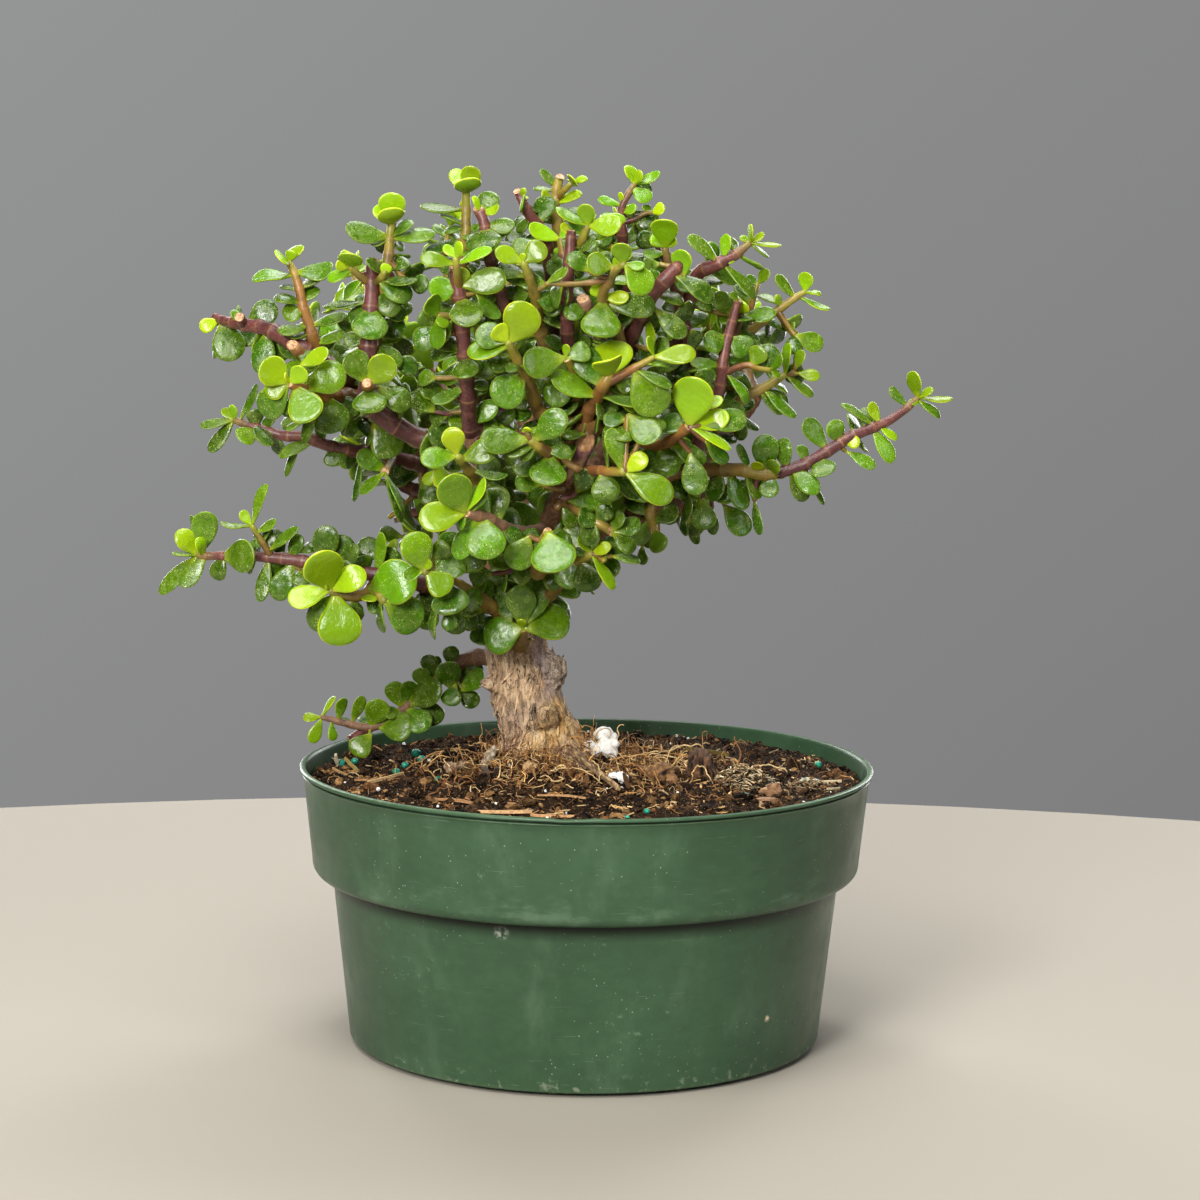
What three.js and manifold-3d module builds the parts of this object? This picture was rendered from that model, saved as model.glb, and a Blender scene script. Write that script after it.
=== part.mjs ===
// Dwarf jade bonsai (Portulacaria afra habit) in a round nursery pot.
// Millimetres, +Z up. The origin is the centre of the pot's flat foot, on the
// surface it stands on; +Y points away from the plant's show side.
import * as THREE from 'three';
import { mergeVertices } from 'three/addons/utils/BufferGeometryUtils.js';
import Module from 'manifold-3d';

const wasm = await Module();
wasm.setup();

// ---------------------------------------------------------------- dimensions
const POT_RIM_R = 101.5;        // outer radius of the rolled lip
const POT_HEIGHT = 98;          // foot to top of the lip
const POT_BAND_Z = 60.2;        // lower edge of the wide upper band
const POT_WAIST_R = 90;         // wall radius where the band starts
const POT_BASE_R = 83.6;        // wall radius at the bottom
const POT_FOOT_R = 80.5;        // flat foot disc
const POT_WALL = 1.5;           // moulded wall thickness
const DRAIN_HOLES = 8;
const DRAIN_R = 5.5;
const DRAIN_CIRCLE_R = 66;
const SIDES = 30;               // facets round the pot and the soil
const SOIL_EDGE_Z = 92.6;       // soil level at the wall
const SOIL_MOUND = 11.5;        // rise of the soil round the trunk
const TRUNK_X = -19, TRUNK_Y = 0;
const GAP = 0.32;               // clearance kept between separate pieces
const END = 1.2;                // a stem runs on this far past its last leaf base
const LEAF_THICK = 0.17;        // leaf thickness as a share of its width
const LEAF_THICK_MIN = 1.2;

// Woody skeleton: centre-line points [x, y, z, radius] of the trunk, the limbs
// that grow out of it, the pruning knobs and the root flare.
const WOOD = {
  main: [[-13.6,0,88,14],[-14,0,98,14.2],[-14.8,0,105.2,12.9],[-16.9,0,110.2,12.4],[-19.1,0,116,12.3],[-21.6,0,123.8,12],[-24.2,0,133.1,11],[-25.3,0,141.7,10.8],[-24.6,-3,152.7,9.4],[-21.1,-6,163.7,8.3],[-16.6,-4,174.1,7.4],[-12.3,0,191.4,6.5],[-9,4,212.3,5.4],[-7.1,8,233.2,4.4],[-8,12,250.6,3.2]],
  right: [[-18.3,-5,167.9,6.6],[-4.7,-9,176.6,6],[8.2,-12,183.3,5],[21.3,-10,191.6,4.2],[35.2,-4,202.8,3.4],[49.3,4,216.4,2.9],[58.6,10,227.4,2.5]],
  left: [[-26.8,2,145.7,7],[-33.1,8,163.8,6.2],[-42.3,12,182.9,5.4],[-54.1,13,198.7,4.7],[-63.9,15,210.9,4.2],[-73,18,219.9,3.7],[-84,22,227.4,3],[-93.1,24,233.3,2.6]],
  lowleft: [[-28,-4,142.2,5],[-36.8,-14,153.3,3.8],[-48.3,-21,161.1,3.1]],
  front: [[-18.2,-8,166.8,5.4],[-13.8,-26,185.1,4.2],[-8.9,-40,197.1,3.5],[-4.9,-49.2,206.2,3.2],[-0.7,-56.5,216.4,3.2]],
  frontleft: [[-25.9,-6,154.5,5.6],[-29.8,-18,172,4.5],[-33.7,-28,190.3,3.9],[-37.5,-38,207.5,3.6],[-39.3,-44,218,3.4]],
  back1: [[-24,3,153.4,5.6],[-30.4,22,173,4.6],[-38.4,38,195,3.6],[-44.1,50,216.1,2.8]],
  back2: [[-17,0,168.1,5.4],[-5.1,22,187.7,4.4],[7.3,40,209.9,3.4],[18.1,52,229.4,2.7]],
  back3: [[-19.2,3,167,4.8],[-20.7,28,192.4,4],[-24.3,48,223.7,3.2],[-26.9,58,245.2,2.6]],
  knobr: [[-17.6,-2,135.4,4],[-12.2,-3.8,133.4,4.5],[-11.6,-4.2,129.9,4.1],[-14.4,-3,126.2,3.5]],
  spurl: [[-30.7,-4,125.8,3.2],[-34.6,-6,126.8,2.1],[-36.9,-7,127.6,1.2]],
  stubf: [[-16.4,-9,116,4.6],[-13.6,-13,116.4,4.2],[-12.8,-14.2,116.2,3.6]],
  root1: [[-19.9,-5,104.5,8],[-30.5,-13,96.5,5],[-40,-21,91.5,3.2]],
  root2: [[-10.8,-4,104,8.2],[2,-17,93.4,5],[11.5,-28,89.5,3.2]],
  root3: [[-9.5,4,103.5,7.4],[8,15,93,5],[22,25,89,3.2]],
  root4: [[-19.5,6,103.5,7.4],[-31.5,20,94.5,4.6],[-41.5,33,89.5,3]]
};

// Leafy growth. Each shoot has its stems (root first, [x, y, z, radius]) and
// its leaves: [base x, y, z, tip x, y, z, upper-face normal x, y, z, width,
// outline points].
const SHOOTS = {
  shoot_upper_left: {
    age: 0.59,
    stems: [
      [[-77,19.5,222.9,2.91],[-78,1.4,221.3,2.73],[-86.8,-30,237,2.6],[-90.3,-36,241.9,2.4],[-92.5,-41,247.5,2.2],[-94.4,-42,254.2,1.9],[-96.1,-42,259.8,1.7],[-98.2,-41,268.1,1.5],[-101,-40,274.1,1.2]]
    ],
    leaves: [
      [-99.1,-40.7,270.3,-86,-42.4,272.9,-0.23,-0.64,0.73,9.1,4]
    ]
  },
  shoot_left_arching: {
    age: 0.66,
    stems: [
      [[-75.6,19,221.9,3],[-76.3,6,222.6,3.78],[-82.2,-20,233.1,3.6],[-87.8,-34,238.5,3.3],[-96.1,-42,244.8,3],[-107.8,-36,251.2,2.6],[-117,-30,252.6,2.2],[-125.8,-22,253.9,1.6],[-128.9,-19,255.2,1.3]],
      [[-95,-41.8,244.1,2],[-94.4,-46,242,2],[-99,-50,246.8,1.9]],
      [[-116.5,-30.4,252.5,1.8],[-117.2,-31,252.9,1.8],[-118.2,-36,255.4,1.7]]
    ],
    leaves: [
      [-126.5,-21.3,254.1,-133.3,-22.1,250.8,0.03,-0.98,0.18,5.2,4],
      [-125.6,-22.2,253.9,-121.6,-26,240.2,0.06,-0.96,0.28,11.2],
      [-126.2,-21.6,254,-129.1,-18.2,240.6,-0.95,-0.29,0.13,7,4],
      [-116.5,-30.4,252.5,-106.1,-30.5,259.3,-0.18,-0.95,0.26,9.1,4]
    ]
  },
  shoot_left_rosette: {
    age: 0.42,
    stems: [
      [[-71.7,17.6,218.9,3.2],[-73.1,3.2,220,3.15],[-81,-26,228,3],[-87.3,-40,229.4,2.6],[-94.2,-52,232,2],[-99.2,-58,234.5,1.6]],
      [[-98.2,-56.9,234,1],[-95.5,-58.1,240.2,0.8]],
      [[-97.3,-56,233.5,1],[-99.1,-56,229.5,0.8]]
    ],
    leaves: [
      [-99.2,-58,234.5,-108,-60.2,241.1,0.26,-0.96,0.03,10.5],
      [-97.5,-56.2,233.7,-91.3,-61.5,222.3,-0.07,-0.92,0.39,11.9],
      [-94.6,-52.7,232.2,-81,-54.5,238.8,-0.18,-0.98,0.11,11.2],
      [-99.2,-58,234.5,-108.8,-52.3,223.8,-0.4,-0.91,-0.12,10.5],
      [-89,-43.3,229.9,-85.2,-44.4,217.2,0.08,-0.99,0.1,12.6]
    ]
  },
  shoot_left_pruned: {
    age: 0.57,
    stems: [
      [[-39.3,-44,218,2.89],[-55.7,-39.7,215.3,3.36],[-72.8,-44,225.7,3.2],[-73.6,-52,234.2,3],[-73.2,-56,242.3,3],[-72.4,-54,260.4,2.5],[-72.2,-52,267.2,2.4],[-72.1,-50,274.4,2.3]],
      [[-72.6,-52,267.6,1.6],[-75.4,-54,269.2,1.3],[-79.1,-57,272.8,1.1]],
      [[-71.9,-52,267.2,1.5],[-69,-56,269.3,1.2],[-67.5,-58,271.3,1]],
      [[-73.7,-51,232.9,2.4],[-72.9,-52,231.5,2.4],[-72.8,-62,234,2],[-72.8,-66,235.2,1.6]],
      [[-72.8,-57.8,232.9,1],[-69.8,-57.8,233.8,0.8]]
    ],
    leaves: [
      [-69.8,-54.8,268.6,-59.1,-55.6,262.3,0.23,-0.84,0.49,9.1,4],
      [-72.5,-54.1,259.8,-72.4,-63.2,249.3,0.09,-0.75,0.66,11.9],
      [-72.4,-53.7,261.9,-62.3,-54.2,260.1,0.02,-0.92,0.39,9.1,4],
      [-72.8,-64.5,234.7,-64.6,-66,243.5,-0.13,-0.99,-0.04,9.8],
      [-72.8,-64.9,234.9,-78.3,-66.5,245.3,0.29,-0.96,0.02,9.1,4],
      [-72.8,-59.6,233.4,-71.6,-68.3,225.5,-0.08,-0.67,0.74,11.2]
    ]
  },
  shoot_top_left_tall: {
    age: 0.59,
    stems: [
      [[-39.3,-44,218,2.89],[-57.2,-33.3,214.6,3.15],[-73.9,-30,227.6,3],[-72,-42,246.7,2.2],[-69.1,-50,261.9,2],[-67,-52,274.5,1.8],[-66.5,-50,281.7,1.6],[-65.9,-49,287.6,1.3]],
      [[-65.9,-49.1,287,1.07],[-67,-48.2,284.1,0.8]]
    ],
    leaves: [
      [-65.9,-49,287.4,-65.7,-51.4,297.3,0.07,-0.97,-0.23,9.1,4],
      [-65.9,-49.1,287,-65.9,-57.8,292.2,-0.3,0.48,0.82,9.4],
      [-66.4,-49.8,282.5,-80.8,-54.5,285.6,0.36,-0.66,0.66,9.1,4]
    ]
  },
  shoot_top_olive: {
    age: 0.64,
    stems: [
      [[-39.3,-44,218,2.89],[-36.5,-32.8,227.8,2.73],[-36.7,-30,251.7,2.6],[-40.9,-42,265.4,2.2],[-42.4,-48,274.7,2],[-41.3,-50,283.6,1.8],[-41.4,-48,291.8,1.6],[-41.5,-46,297.8,1.3]]
    ],
    leaves: [
      [-41.5,-46,297.8,-46.1,-42.4,305.3,0.14,-0.86,0.5,5.6,4],
      [-41.5,-46,297.8,-39.2,-47.7,306.2,-0.17,-0.97,-0.15,7,4],
      [-41.5,-46.1,297.4,-40.5,-54.5,302.2,-0.17,0.48,0.86,9.1,4]
    ]
  },
  shoot_top_purple: {
    age: 0.63,
    stems: [
      [[-39.3,-44,218,2.89],[-30.1,-36,222.1,3.15],[-22.9,-34,236.8,3],[-26.1,-44,248.9,2.6],[-27.6,-50,258.4,2.4],[-30.5,-54,267.4,2.2],[-33.1,-56,276.2,2],[-35.2,-55,287.9,1.8],[-37.2,-54,292.2,1.6]]
    ],
    leaves: [
      [-34.8,-55.2,286.2,-35,-65,277.9,-0.26,-0.62,0.74,11.9]
    ]
  },
  shoot_top_small: {
    age: 0.62,
    stems: [
      [[-7.4,10,242,2.91],[-8.9,-7.5,237.5,2.73],[-11.6,-30,251.9,2.6],[-13,-36,268.9,2.3],[-15.3,-42,282.2,2.1],[-20.3,-46,290.4,1.8],[-22.3,-46,293.7,1.6],[-24.3,-45,298,1.6]]
    ],
    leaves: [
      
    ]
  },
  shoot_centre_purple: {
    age: 0.54,
    stems: [
      [[-39.3,-44,218,2.89],[-39.5,-44.8,218.2,3],[-39.9,-46,219.5,2.86],[-40.3,-52,229.2,2.69],[-40.8,-56,239.3,2.52],[-41.4,-58,247.6,2.44],[-42.4,-60,255.9,2.35],[-43,-62,264.1,2.27],[-44,-62,269,2.1],[-44.3,-62,273.2,2.02]],
      [[-43,-62,266.4,1.6],[-43.4,-68,272.3,1.3],[-43.6,-70,276.2,1]],
      [[-42,-60,256.6,1.4],[-46.5,-63,257.2,1.2],[-49.7,-65,257.3,1]],
      [[-43,-62,264.3,1],[-37.4,-62,265.1,0.8]]
    ],
    leaves: [
      [-43,-62.8,267.2,-52.7,-64,265.7,0.05,-0.93,0.37,9.1,4],
      [-43,-62.8,267.2,-27.5,-64.5,269.9,-0.15,-0.96,0.25,9.1,4],
      [-42.9,-61.9,263.4,-38.2,-72.5,254.4,-0.1,-0.67,0.73,11.2],
      [-41.1,-57.2,244.1,-40.3,-67.9,237.3,-0.19,-0.54,0.82,9.1,4]
    ]
  },
  shoot_centre_upper: {
    age: 0.62,
    stems: [
      [[-0.9,-54,217.1,2.46],[-8.3,-43.5,227.7,2.31],[-16.7,-44,252.3,2.2],[-17.9,-56,262.6,1.8],[-19.7,-62,269.2,1.5],[-22,-65,275.1,1.2]]
    ],
    leaves: [
      [-22,-65,275.1,-20,-56,282.5,0.06,-0.65,0.76,10.5]
    ]
  },
  shoot_centre_rosette: {
    age: 0.54,
    stems: [
      [[-1.5,-53.3,215.7,2.56],[-8.2,-48.3,217.1,2.52],[-16.4,-48,225.2,2.4],[-19.6,-58,234.7,2],[-22.7,-66,241.6,1.8],[-25.2,-72,246.7,1.5],[-26.4,-75,249.4,1.2]]
    ],
    leaves: [
      [-26.2,-74.5,249,-19.3,-76.2,261.9,-0.04,-0.99,-0.1,12.6],
      [-26.4,-75,249.4,-36.9,-73.1,252.9,-0.03,-0.91,0.41,9.8],
      [-21.1,-62,238.2,-30.9,-63.7,228.9,0.02,-0.99,0.16,11.9]
    ]
  },
  shoot_top_twig: {
    age: 0.42,
    stems: [
      [[-8,12,250.6,2.69],[-8,-6.8,246.2,2.52],[-9.6,-30,262.1,2.4],[-11,-34,275.5,2],[-11.4,-36,288.2,1.9],[-12.8,-36,291.5,1.7],[-11.9,-35,295.5,1.6],[-11.6,-35,298.9,1.6],[-10.6,-34,303.2,1.6]],
      [[-11.2,-35,296.2,1.3],[-9.5,-37,298.2,1.1],[-6.5,-39,301.2,0.9]]
    ],
    leaves: [
      [-6.5,-39,301.2,-6,-44.8,302.6,-0.75,-0.21,-0.63,5.2,4],
      [-6.5,-39,301.2,-1.2,-39.1,302.7,-0.22,-0.65,0.72,3.5,4],
      [-11.4,-34.9,299.4,-17,-34,305.8,0.43,-0.76,0.49,3.9,4]
    ]
  },
  shoot_top_cut: {
    age: 0.63,
    stems: [
      [[-0.9,-54,217.1,2.55],[-3.1,-46.5,220.8,2.94],[-5.9,-42,234,2.8],[-7.3,-48,247.6,2.4],[-7.6,-51,256,2.2],[-7.7,-54,263.6,2.1],[-7.4,-55,270.9,1.9],[-6.8,-55,279.1,1.7],[-6.5,-54,285.9,1.6]],
      [[-7.4,-55,271.9,1.6],[-9.1,-52,277.4,1.4],[-10.2,-48,282.3,1.1]]
    ],
    leaves: [
      
    ]
  },
  shoot_top_right_olive: {
    age: 0.45,
    stems: [
      [[-0.9,-54,217.1,2.46],[3.6,-45.5,228.4,2.31],[2.6,-42,258.5,2.2],[-1.8,-46,269.1,1.9],[-5.2,-50,278.4,1.7],[-2.9,-54,282.4,1.5],[-0.9,-57,287,1.2]]
    ],
    leaves: [
      
    ]
  },
  shoot_right_inner: {
    age: 0.41,
    stems: [
      [[-0.9,-54,217.1,2.35],[6.4,-47.9,225.7,2.2],[10.1,-48,247.8,2.1],[4.2,-58,262.9,1.8],[6.5,-63,269.5,1.5],[8.7,-66,273.5,1.3],[11.3,-68,274.8,1.1]],
      [[8.1,-51.4,254.5,2.2],[3.3,-50,252.7,2.2],[-2.4,-56,263.1,2.1]],
      [[6.5,-63,269.5,1.4],[7.1,-65,271.8,1.3],[7.4,-66,273.8,1.1]]
    ],
    leaves: [
      [11.3,-68,274.8,19.5,-68.4,265.8,0.17,-0.96,0.2,9.1,4],
      [4.2,-58,262.9,3.4,-68,251.1,0.04,-0.76,0.65,13.3],
      [4.4,-57.4,262.1,21.5,-56.7,260.3,0.08,-0.93,0.36,9.1,4]
    ]
  },
  shoot_top_right_pink: {
    age: 0.50,
    stems: [
      [[-8,12,250.6,2.69],[3.1,-1.4,247.3,2.52],[12.8,-20,262.1,2.4],[11.2,-26,277.4,2],[10.4,-30,287.4,1.6],[10.3,-32,293.1,1.3],[12.3,-32,297.5,1.1],[14.6,-31,301.2,0.9]],
      [[10.3,-30.3,288.2,1.1],[11.1,-30,288.5,1.1],[14.1,-31,289.2,1],[18.1,-32,291.5,0.8],[20.4,-32,291.6,0.7]],
      [[14.6,-31,301.2,0.72],[12.4,-31.1,298.5,0.8]]
    ],
    leaves: [
      [14.5,-31.1,300.9,12,-29,307.5,0.64,-0.64,0.44,6,4],
      [14.6,-31,301.2,16.7,-33.9,305.4,-0.76,-0.65,-0.07,4.2,4],
      [14.6,-31,301.2,23,-31.5,305.2,-0.31,-0.77,0.56,4.2,4]
    ]
  },
  shoot_right_cup: {
    age: 0.62,
    stems: [
      [[48.4,3.4,215.4,2.46],[43.3,-8.4,221.1,2.31],[34,-26,247.2,2.2],[29.6,-32,262.5,1.9],[26.6,-38,272.6,1.6],[24.8,-42,280,1.2]]
    ],
    leaves: [
      [24.8,-42,280,24.1,-49.8,289.4,-0.16,-0.76,-0.63,9.4]
    ]
  },
  shoot_right_pruned: {
    age: 0.61,
    stems: [
      [[-0.9,-54,217.1,2.55],[3.3,-44.4,223.2,3.57],[10.8,-40,242.4,3.4],[14.7,-46,253.4,3],[19.1,-52,262.9,2.7],[24.6,-54,269.5,2.5],[26.9,-54,272.2,2.2],[30.9,-53,275.5,1.8]]
    ],
    leaves: [
      
    ]
  },
  shoot_right_pink: {
    age: 0.48,
    stems: [
      [[46.8,2.5,213.8,2.55],[36.3,-5.8,220.9,2.94],[29.3,-22,247,2.8],[33,-30,260.8,2.6],[35.8,-34,271,2.4],[42.7,-38,274.8,2.2],[48.3,-38,277.8,1.7],[53.3,-37,281.9,1.1]]
    ],
    leaves: [
      
    ]
  },
  shoot_front_orange: {
    age: 0.47,
    stems: [
      [[-6.2,-43.6,204.2,2.7],[-4.8,-42.5,209.5,2.7],[-2.4,-47,217.4,2.6],[-0.6,-51.5,224.6,2.45],[2.4,-59,230.6,2.2],[4.8,-66,235.3,1.9],[6.8,-66,238.3,1.7],[8.4,-64,236.6,1.3]],
      [[5.5,-66,235.7,1.5],[12.6,-68,239.8,1.4],[16.5,-69,242.1,1.2],[21,-70,244.8,1]]
    ],
    leaves: [
      [6.9,-65.9,238.3,8.4,-55.4,249.4,0.07,-0.73,0.68,12.9],
      [6.5,-66.1,238.2,6.4,-75.8,243.9,-0.36,0.48,0.8,10.5],
      [14.8,-68.6,241,23.3,-67.1,226,0.06,-1,-0.07,13.3],
      [4.3,-65.2,234.1,-3.8,-62.1,247.4,0.07,-0.96,0.27,9.8]
    ]
  },
  shoot_front_middle: {
    age: 0.60,
    stems: [
      [[-6.4,-43.5,203.5,2.55],[-5.6,-41,214,2.52],[-4.2,-45.5,229.5,2.4],[-5.1,-58,239.1,2],[-7.7,-66,244,1.5]]
    ],
    leaves: [
      [-7.7,-66,244,-21.6,-69.9,241.9,0.23,-0.94,0.25,10.5],
      [-4.1,-51.5,235.4,-14.6,-51.8,229.2,-0.09,-0.98,0.19,9.1,4]
    ]
  },
  shoot_front_oval: {
    age: 0.53,
    stems: [
      [[-6.8,-45.1,202.2,2.2],[-9.4,-49.5,204.4,2.2],[-12.1,-60,211,2],[-15.9,-68,214.9,1.8],[-19.1,-71,217.4,1.4]],
      [[-19.1,-71,217.4,1],[-20.1,-71,220.3,0.8]],
      [[-19.1,-71,217.4,1],[-19.8,-71,220.3,0.8]]
    ],
    leaves: [
      [-19.1,-71,217.4,-35.4,-72.9,217.4,0.11,-0.91,0.41,9.8],
      [-18.4,-70.3,216.8,-7.6,-72.9,226.7,-0.27,-0.96,0.04,9.1,4],
      [-12.3,-62.4,212.2,-13.7,-72.9,202.8,0.11,-0.67,0.73,12.6]
    ]
  },
  shoot_front_bud: {
    age: 0.63,
    stems: [
      [[-34.1,-29.1,192.3,2.91],[-33.8,-34.4,191.3,2.73],[-34.5,-44,195.2,2.6],[-37.4,-56,203.5,2.2],[-40.3,-64,208.1,1.8],[-43,-70,211.8,1.4]]
    ],
    leaves: [
      [-36.9,-54.3,202.4,-49.5,-52.8,198.5,-0.26,-0.82,0.5,9.1,4]
    ]
  },
  shoot_front_side_twig: {
    age: 0.63,
    stems: [
      [[-3.6,-50,205.2,1.9],[0.2,-54,206.2,1.9],[3.8,-60.5,206.6,1.8],[12,-69,207.1,1.4]],
      [[12,-69,207.1,1],[12.8,-65.4,225.6,0.8]],
      [[12,-69,207.1,1],[12.2,-64.2,223.8,0.8]],
      [[12,-69,207.1,1],[20.1,-64.2,224.9,0.8]],
      [[-10,-40.5,195,1.9],[-6,-47,194.6,1.9],[0,-53.5,190.5,1.8],[8,-56,186,1.5]]
    ],
    leaves: [
      [12,-69,207.1,27.5,-71.2,198.2,0.1,-0.91,0.41,9.8],
      [3.1,-63.5,206.6,6.6,-64.9,196.4,-0.01,-0.99,0.12,9.4],
      [12.8,-65.4,225.6,22.2,-73.1,217.7,-0.19,-0.8,0.56,9.8]
    ]
  },
  shoot_front_left: {
    age: 0.55,
    stems: [
      [[-13.6,-26.4,185,2.6],[-16.3,-38,184.2,2.6],[-21.4,-50,184.4,2.5],[-27.5,-60,187.3,2.2],[-33.5,-68,191.4,1.9],[-39.9,-73,193.4,1.5]]
    ],
    leaves: [
      [-39.9,-73,193.4,-55.1,-74.8,191.2,0.04,-0.9,0.43,10.5],
      [-39.9,-73,193.4,-45.8,-78.7,206,0.32,-0.91,-0.26,11.9],
      [-34.5,-69,191.8,-32.5,-75.4,178.5,-0.01,-0.9,0.44,13.3],
      [-29.6,-64,189.1,-31.8,-62.4,201.5,-0.14,-0.98,0.1,10.5]
    ]
  },
  shoot_low_front: {
    age: 0.60,
    stems: [
      [[-13,-28.8,187.7,2.91],[-15.3,-33.8,175.6,2.73],[-16.7,-46,171.2,2.6],[-15.2,-60,180.1,2.2],[-13.1,-70,187.2,1.6]],
      [[-13.7,-30,183.9,1],[-9.7,-30,183.9,0.8]],
      [[-14.2,-65,183.6,1],[-19.1,-65,185.3,0.8]],
      [[-14.9,-32.4,177.3,1],[-9.6,-32.4,176.6,0.8]],
      [[-14.7,-31.8,178.6,1],[-4.5,-29.4,176.3,0.8]],
      [[-11.3,-32.4,176.4,0.69],[-12.7,-30.3,182.3,0.8]],
      [[-15.2,-33.5,175.9,1.3],[-11.8,-30.1,185.1,0.8]],
      [[-13.3,-29.3,186.2,1.3],[-16.5,-28.5,190,0.8]],
      [[-12.3,-30,183.5,0.75],[-18.7,-28.7,189.3,0.8]],
      [[-10.6,-30.8,177.2,0.74],[-7.7,-29.5,176.2,0.8]],
      [[-13.7,-30,183.9,0.8],[-9,-28.8,188.1,0.8]]
    ],
    leaves: [
      [-13.7,-30,183.9,-28.5,-32.7,190.3,0.28,-0.92,0.26,11.2],
      [-13.7,-30,183.9,-10.5,-34.3,197.2,-0.1,-0.95,-0.28,11.2],
      [-9.7,-30,183.9,3.9,-32.5,180.8,-0.1,-0.95,0.31,11.2],
      [-13.1,-70,187.2,-9.8,-79.8,175.1,-0.11,-0.79,0.61,14.7],
      [-19.1,-65,185.3,-24.8,-65.3,174.4,-0.01,-1,0.04,9.8],
      [-9.6,-32.4,176.6,-7.3,-29.4,165.1,-0.09,-0.96,-0.27,9.8],
      [-4.5,-29.4,176.3,1.3,-26.1,163.3,0.22,-0.96,-0.15,10.5]
    ]
  },
  shoot_low_front_left: {
    age: 0.64,
    stems: [
      [[-32.5,-9.5,148.3,2.91],[-28.7,-12.5,147.8,2.73],[-26.9,-18,150.4,2.6],[-40.1,-34,162.7,2.2],[-48,-46,168.2,1.8],[-54.7,-54,172,1.4]],
      [[-48.1,-46.1,168.2,1],[-49.7,-46.1,164.8,0.8]],
      [[-52,-51,170.5,1.25],[-52.2,-50.6,175.7,0.8]],
      [[-47.5,-45.2,167.8,1.3],[-46.9,-42.4,178.1,0.8]]
    ],
    leaves: [
      [-54.2,-53.5,171.8,-59.4,-55,184.9,0.29,-0.96,0,11.2],
      [-54.2,-53.5,171.8,-46,-55.9,165.4,0.01,-0.93,0.37,9.1,4],
      [-53,-52,171.1,-41,-49.2,174,0.09,-0.88,0.47,9.1,4],
      [-47.2,-44.8,167.6,-45.4,-53.7,157.5,-0.2,-0.75,0.63,12.6]
    ]
  },
  shoot_low_front_right: {
    age: 0.59,
    stems: [
      [[-23.3,-4.6,157.5,2.46],[-20.5,-11.4,154.9,2.31],[-14.7,-24,159,2.2],[-4.3,-44,173.4,1.8],[1.4,-54,178.3,1.4]],
      [[1.4,-54,178.3,1],[8.1,-54,177.7,0.8]],
      [[3.6,-54,177.7,0.75],[5.6,-56.5,176.5,0.8]]
    ],
    leaves: [
      [-2.9,-46.6,175,-9.3,-47.3,166.7,-0.15,-0.97,0.19,9.1,4],
      [-1.3,-49.3,176.4,0.9,-51.4,165.2,-0.18,-0.97,0.14,9.8],
      [1.4,-54,178.3,15.2,-45.8,182.2,0.22,-0.7,0.68,9.8]
    ]
  },
  shoot_trunk_front: {
    age: 0.53,
    stems: [
      [[-25.2,0.2,139.3,2.69],[-24.6,-3.2,138.8,2.52],[-23.6,-10,140.9,2.4],[-22.3,-22,146.1,2],[-22.1,-30,150,1.6]],
      [[-22.1,-28.4,149.2,1],[-26.6,-28.4,149,0.8]]
    ],
    leaves: [
      [-22.1,-30,150,-35.5,-27.3,145.3,-0.28,-0.92,0.28,13.3],
      [-22.1,-30,150,-6.3,-27,152.9,0.1,-0.91,0.41,13.3],
      [-22.1,-30,150,-23.1,-32.2,165.2,0.05,-0.99,-0.14,10.5],
      [-22.1,-30,150,-16,-27.2,166.2,-0.13,-0.97,0.21,10.5]
    ]
  },
  shoot_right_rosette: {
    age: 0.54,
    stems: [
      [[18.1,-10.9,189.4,3.36],[13.1,-14.2,193.9,3.15],[10.7,-24,204.1,3],[17.2,-40,212.2,2.5],[23.8,-50,214.4,2.1],[28.9,-58,218.3,1.9],[33,-63,222,1.6]],
      [[33,-63,222,1],[35.8,-63,227.9,0.8]],
      [[29.3,-58.6,218.7,1],[33.5,-58.6,213.1,0.8]],
      [[33,-63,222,1],[36.6,-63,222.3,0.8]],
      [[33,-63,222,1],[38.3,-63,217.4,0.8]]
    ],
    leaves: [
      [33,-63,222,34.7,-68.7,238.4,-0.25,-0.92,-0.29,14],
      [24.9,-51.8,215.1,26.4,-55.8,204.5,-0.23,-0.92,0.31,9.8],
      [33.5,-58.6,213.1,36.2,-60,199,-0.2,-0.98,0.05,8.8,4],
      [36.6,-63,222.3,52.1,-58.9,224.4,0.13,-0.8,0.58,9.1,4]
    ]
  },
  shoot_right_upper: {
    age: 0.46,
    stems: [
      [[57.5,9.3,226.1,2.17],[49.1,-3,230.2,2.31],[49.7,-18,247,2.2],[56.3,-20,253.3,1.8],[63.1,-20,258.5,1.5],[69.8,-20,263.3,1.2],[73.2,-20,265.4,1]],
      [[52.1,-19.9,250.5,1.2],[53,-19,249.5,1.2],[55.4,-22,262.5,1],[57,-22,268,0.8]],
      [[50.4,-19,248.6,1.7],[50.2,-20,247.8,1.7],[49.2,-27,251.4,1.5],[50.7,-31,255.9,1.3],[51,-31,258.6,1.1]]
    ],
    leaves: [
      
    ]
  },
  shoot_right_purple: {
    age: 0.56,
    stems: [
      [[34.7,-4.3,202.3,2.91],[34.4,-15.3,202.4,2.73],[37.7,-30,215.1,2.6],[41.5,-34,224.9,2.2],[43.3,-38,230.9,2],[44.5,-40,237.8,1.9],[45.1,-40,244.5,1.8],[47,-38,252.8,1.6],[49.7,-36,262.5,1.3]],
      [[44.8,-40,238.1,1.3],[52,-43,241.3,1.1],[56,-44,240.4,0.9],[60.4,-44,239.8,0.9]]
    ],
    leaves: [
      
    ]
  },
  shoot_right_olive: {
    age: 0.58,
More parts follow.
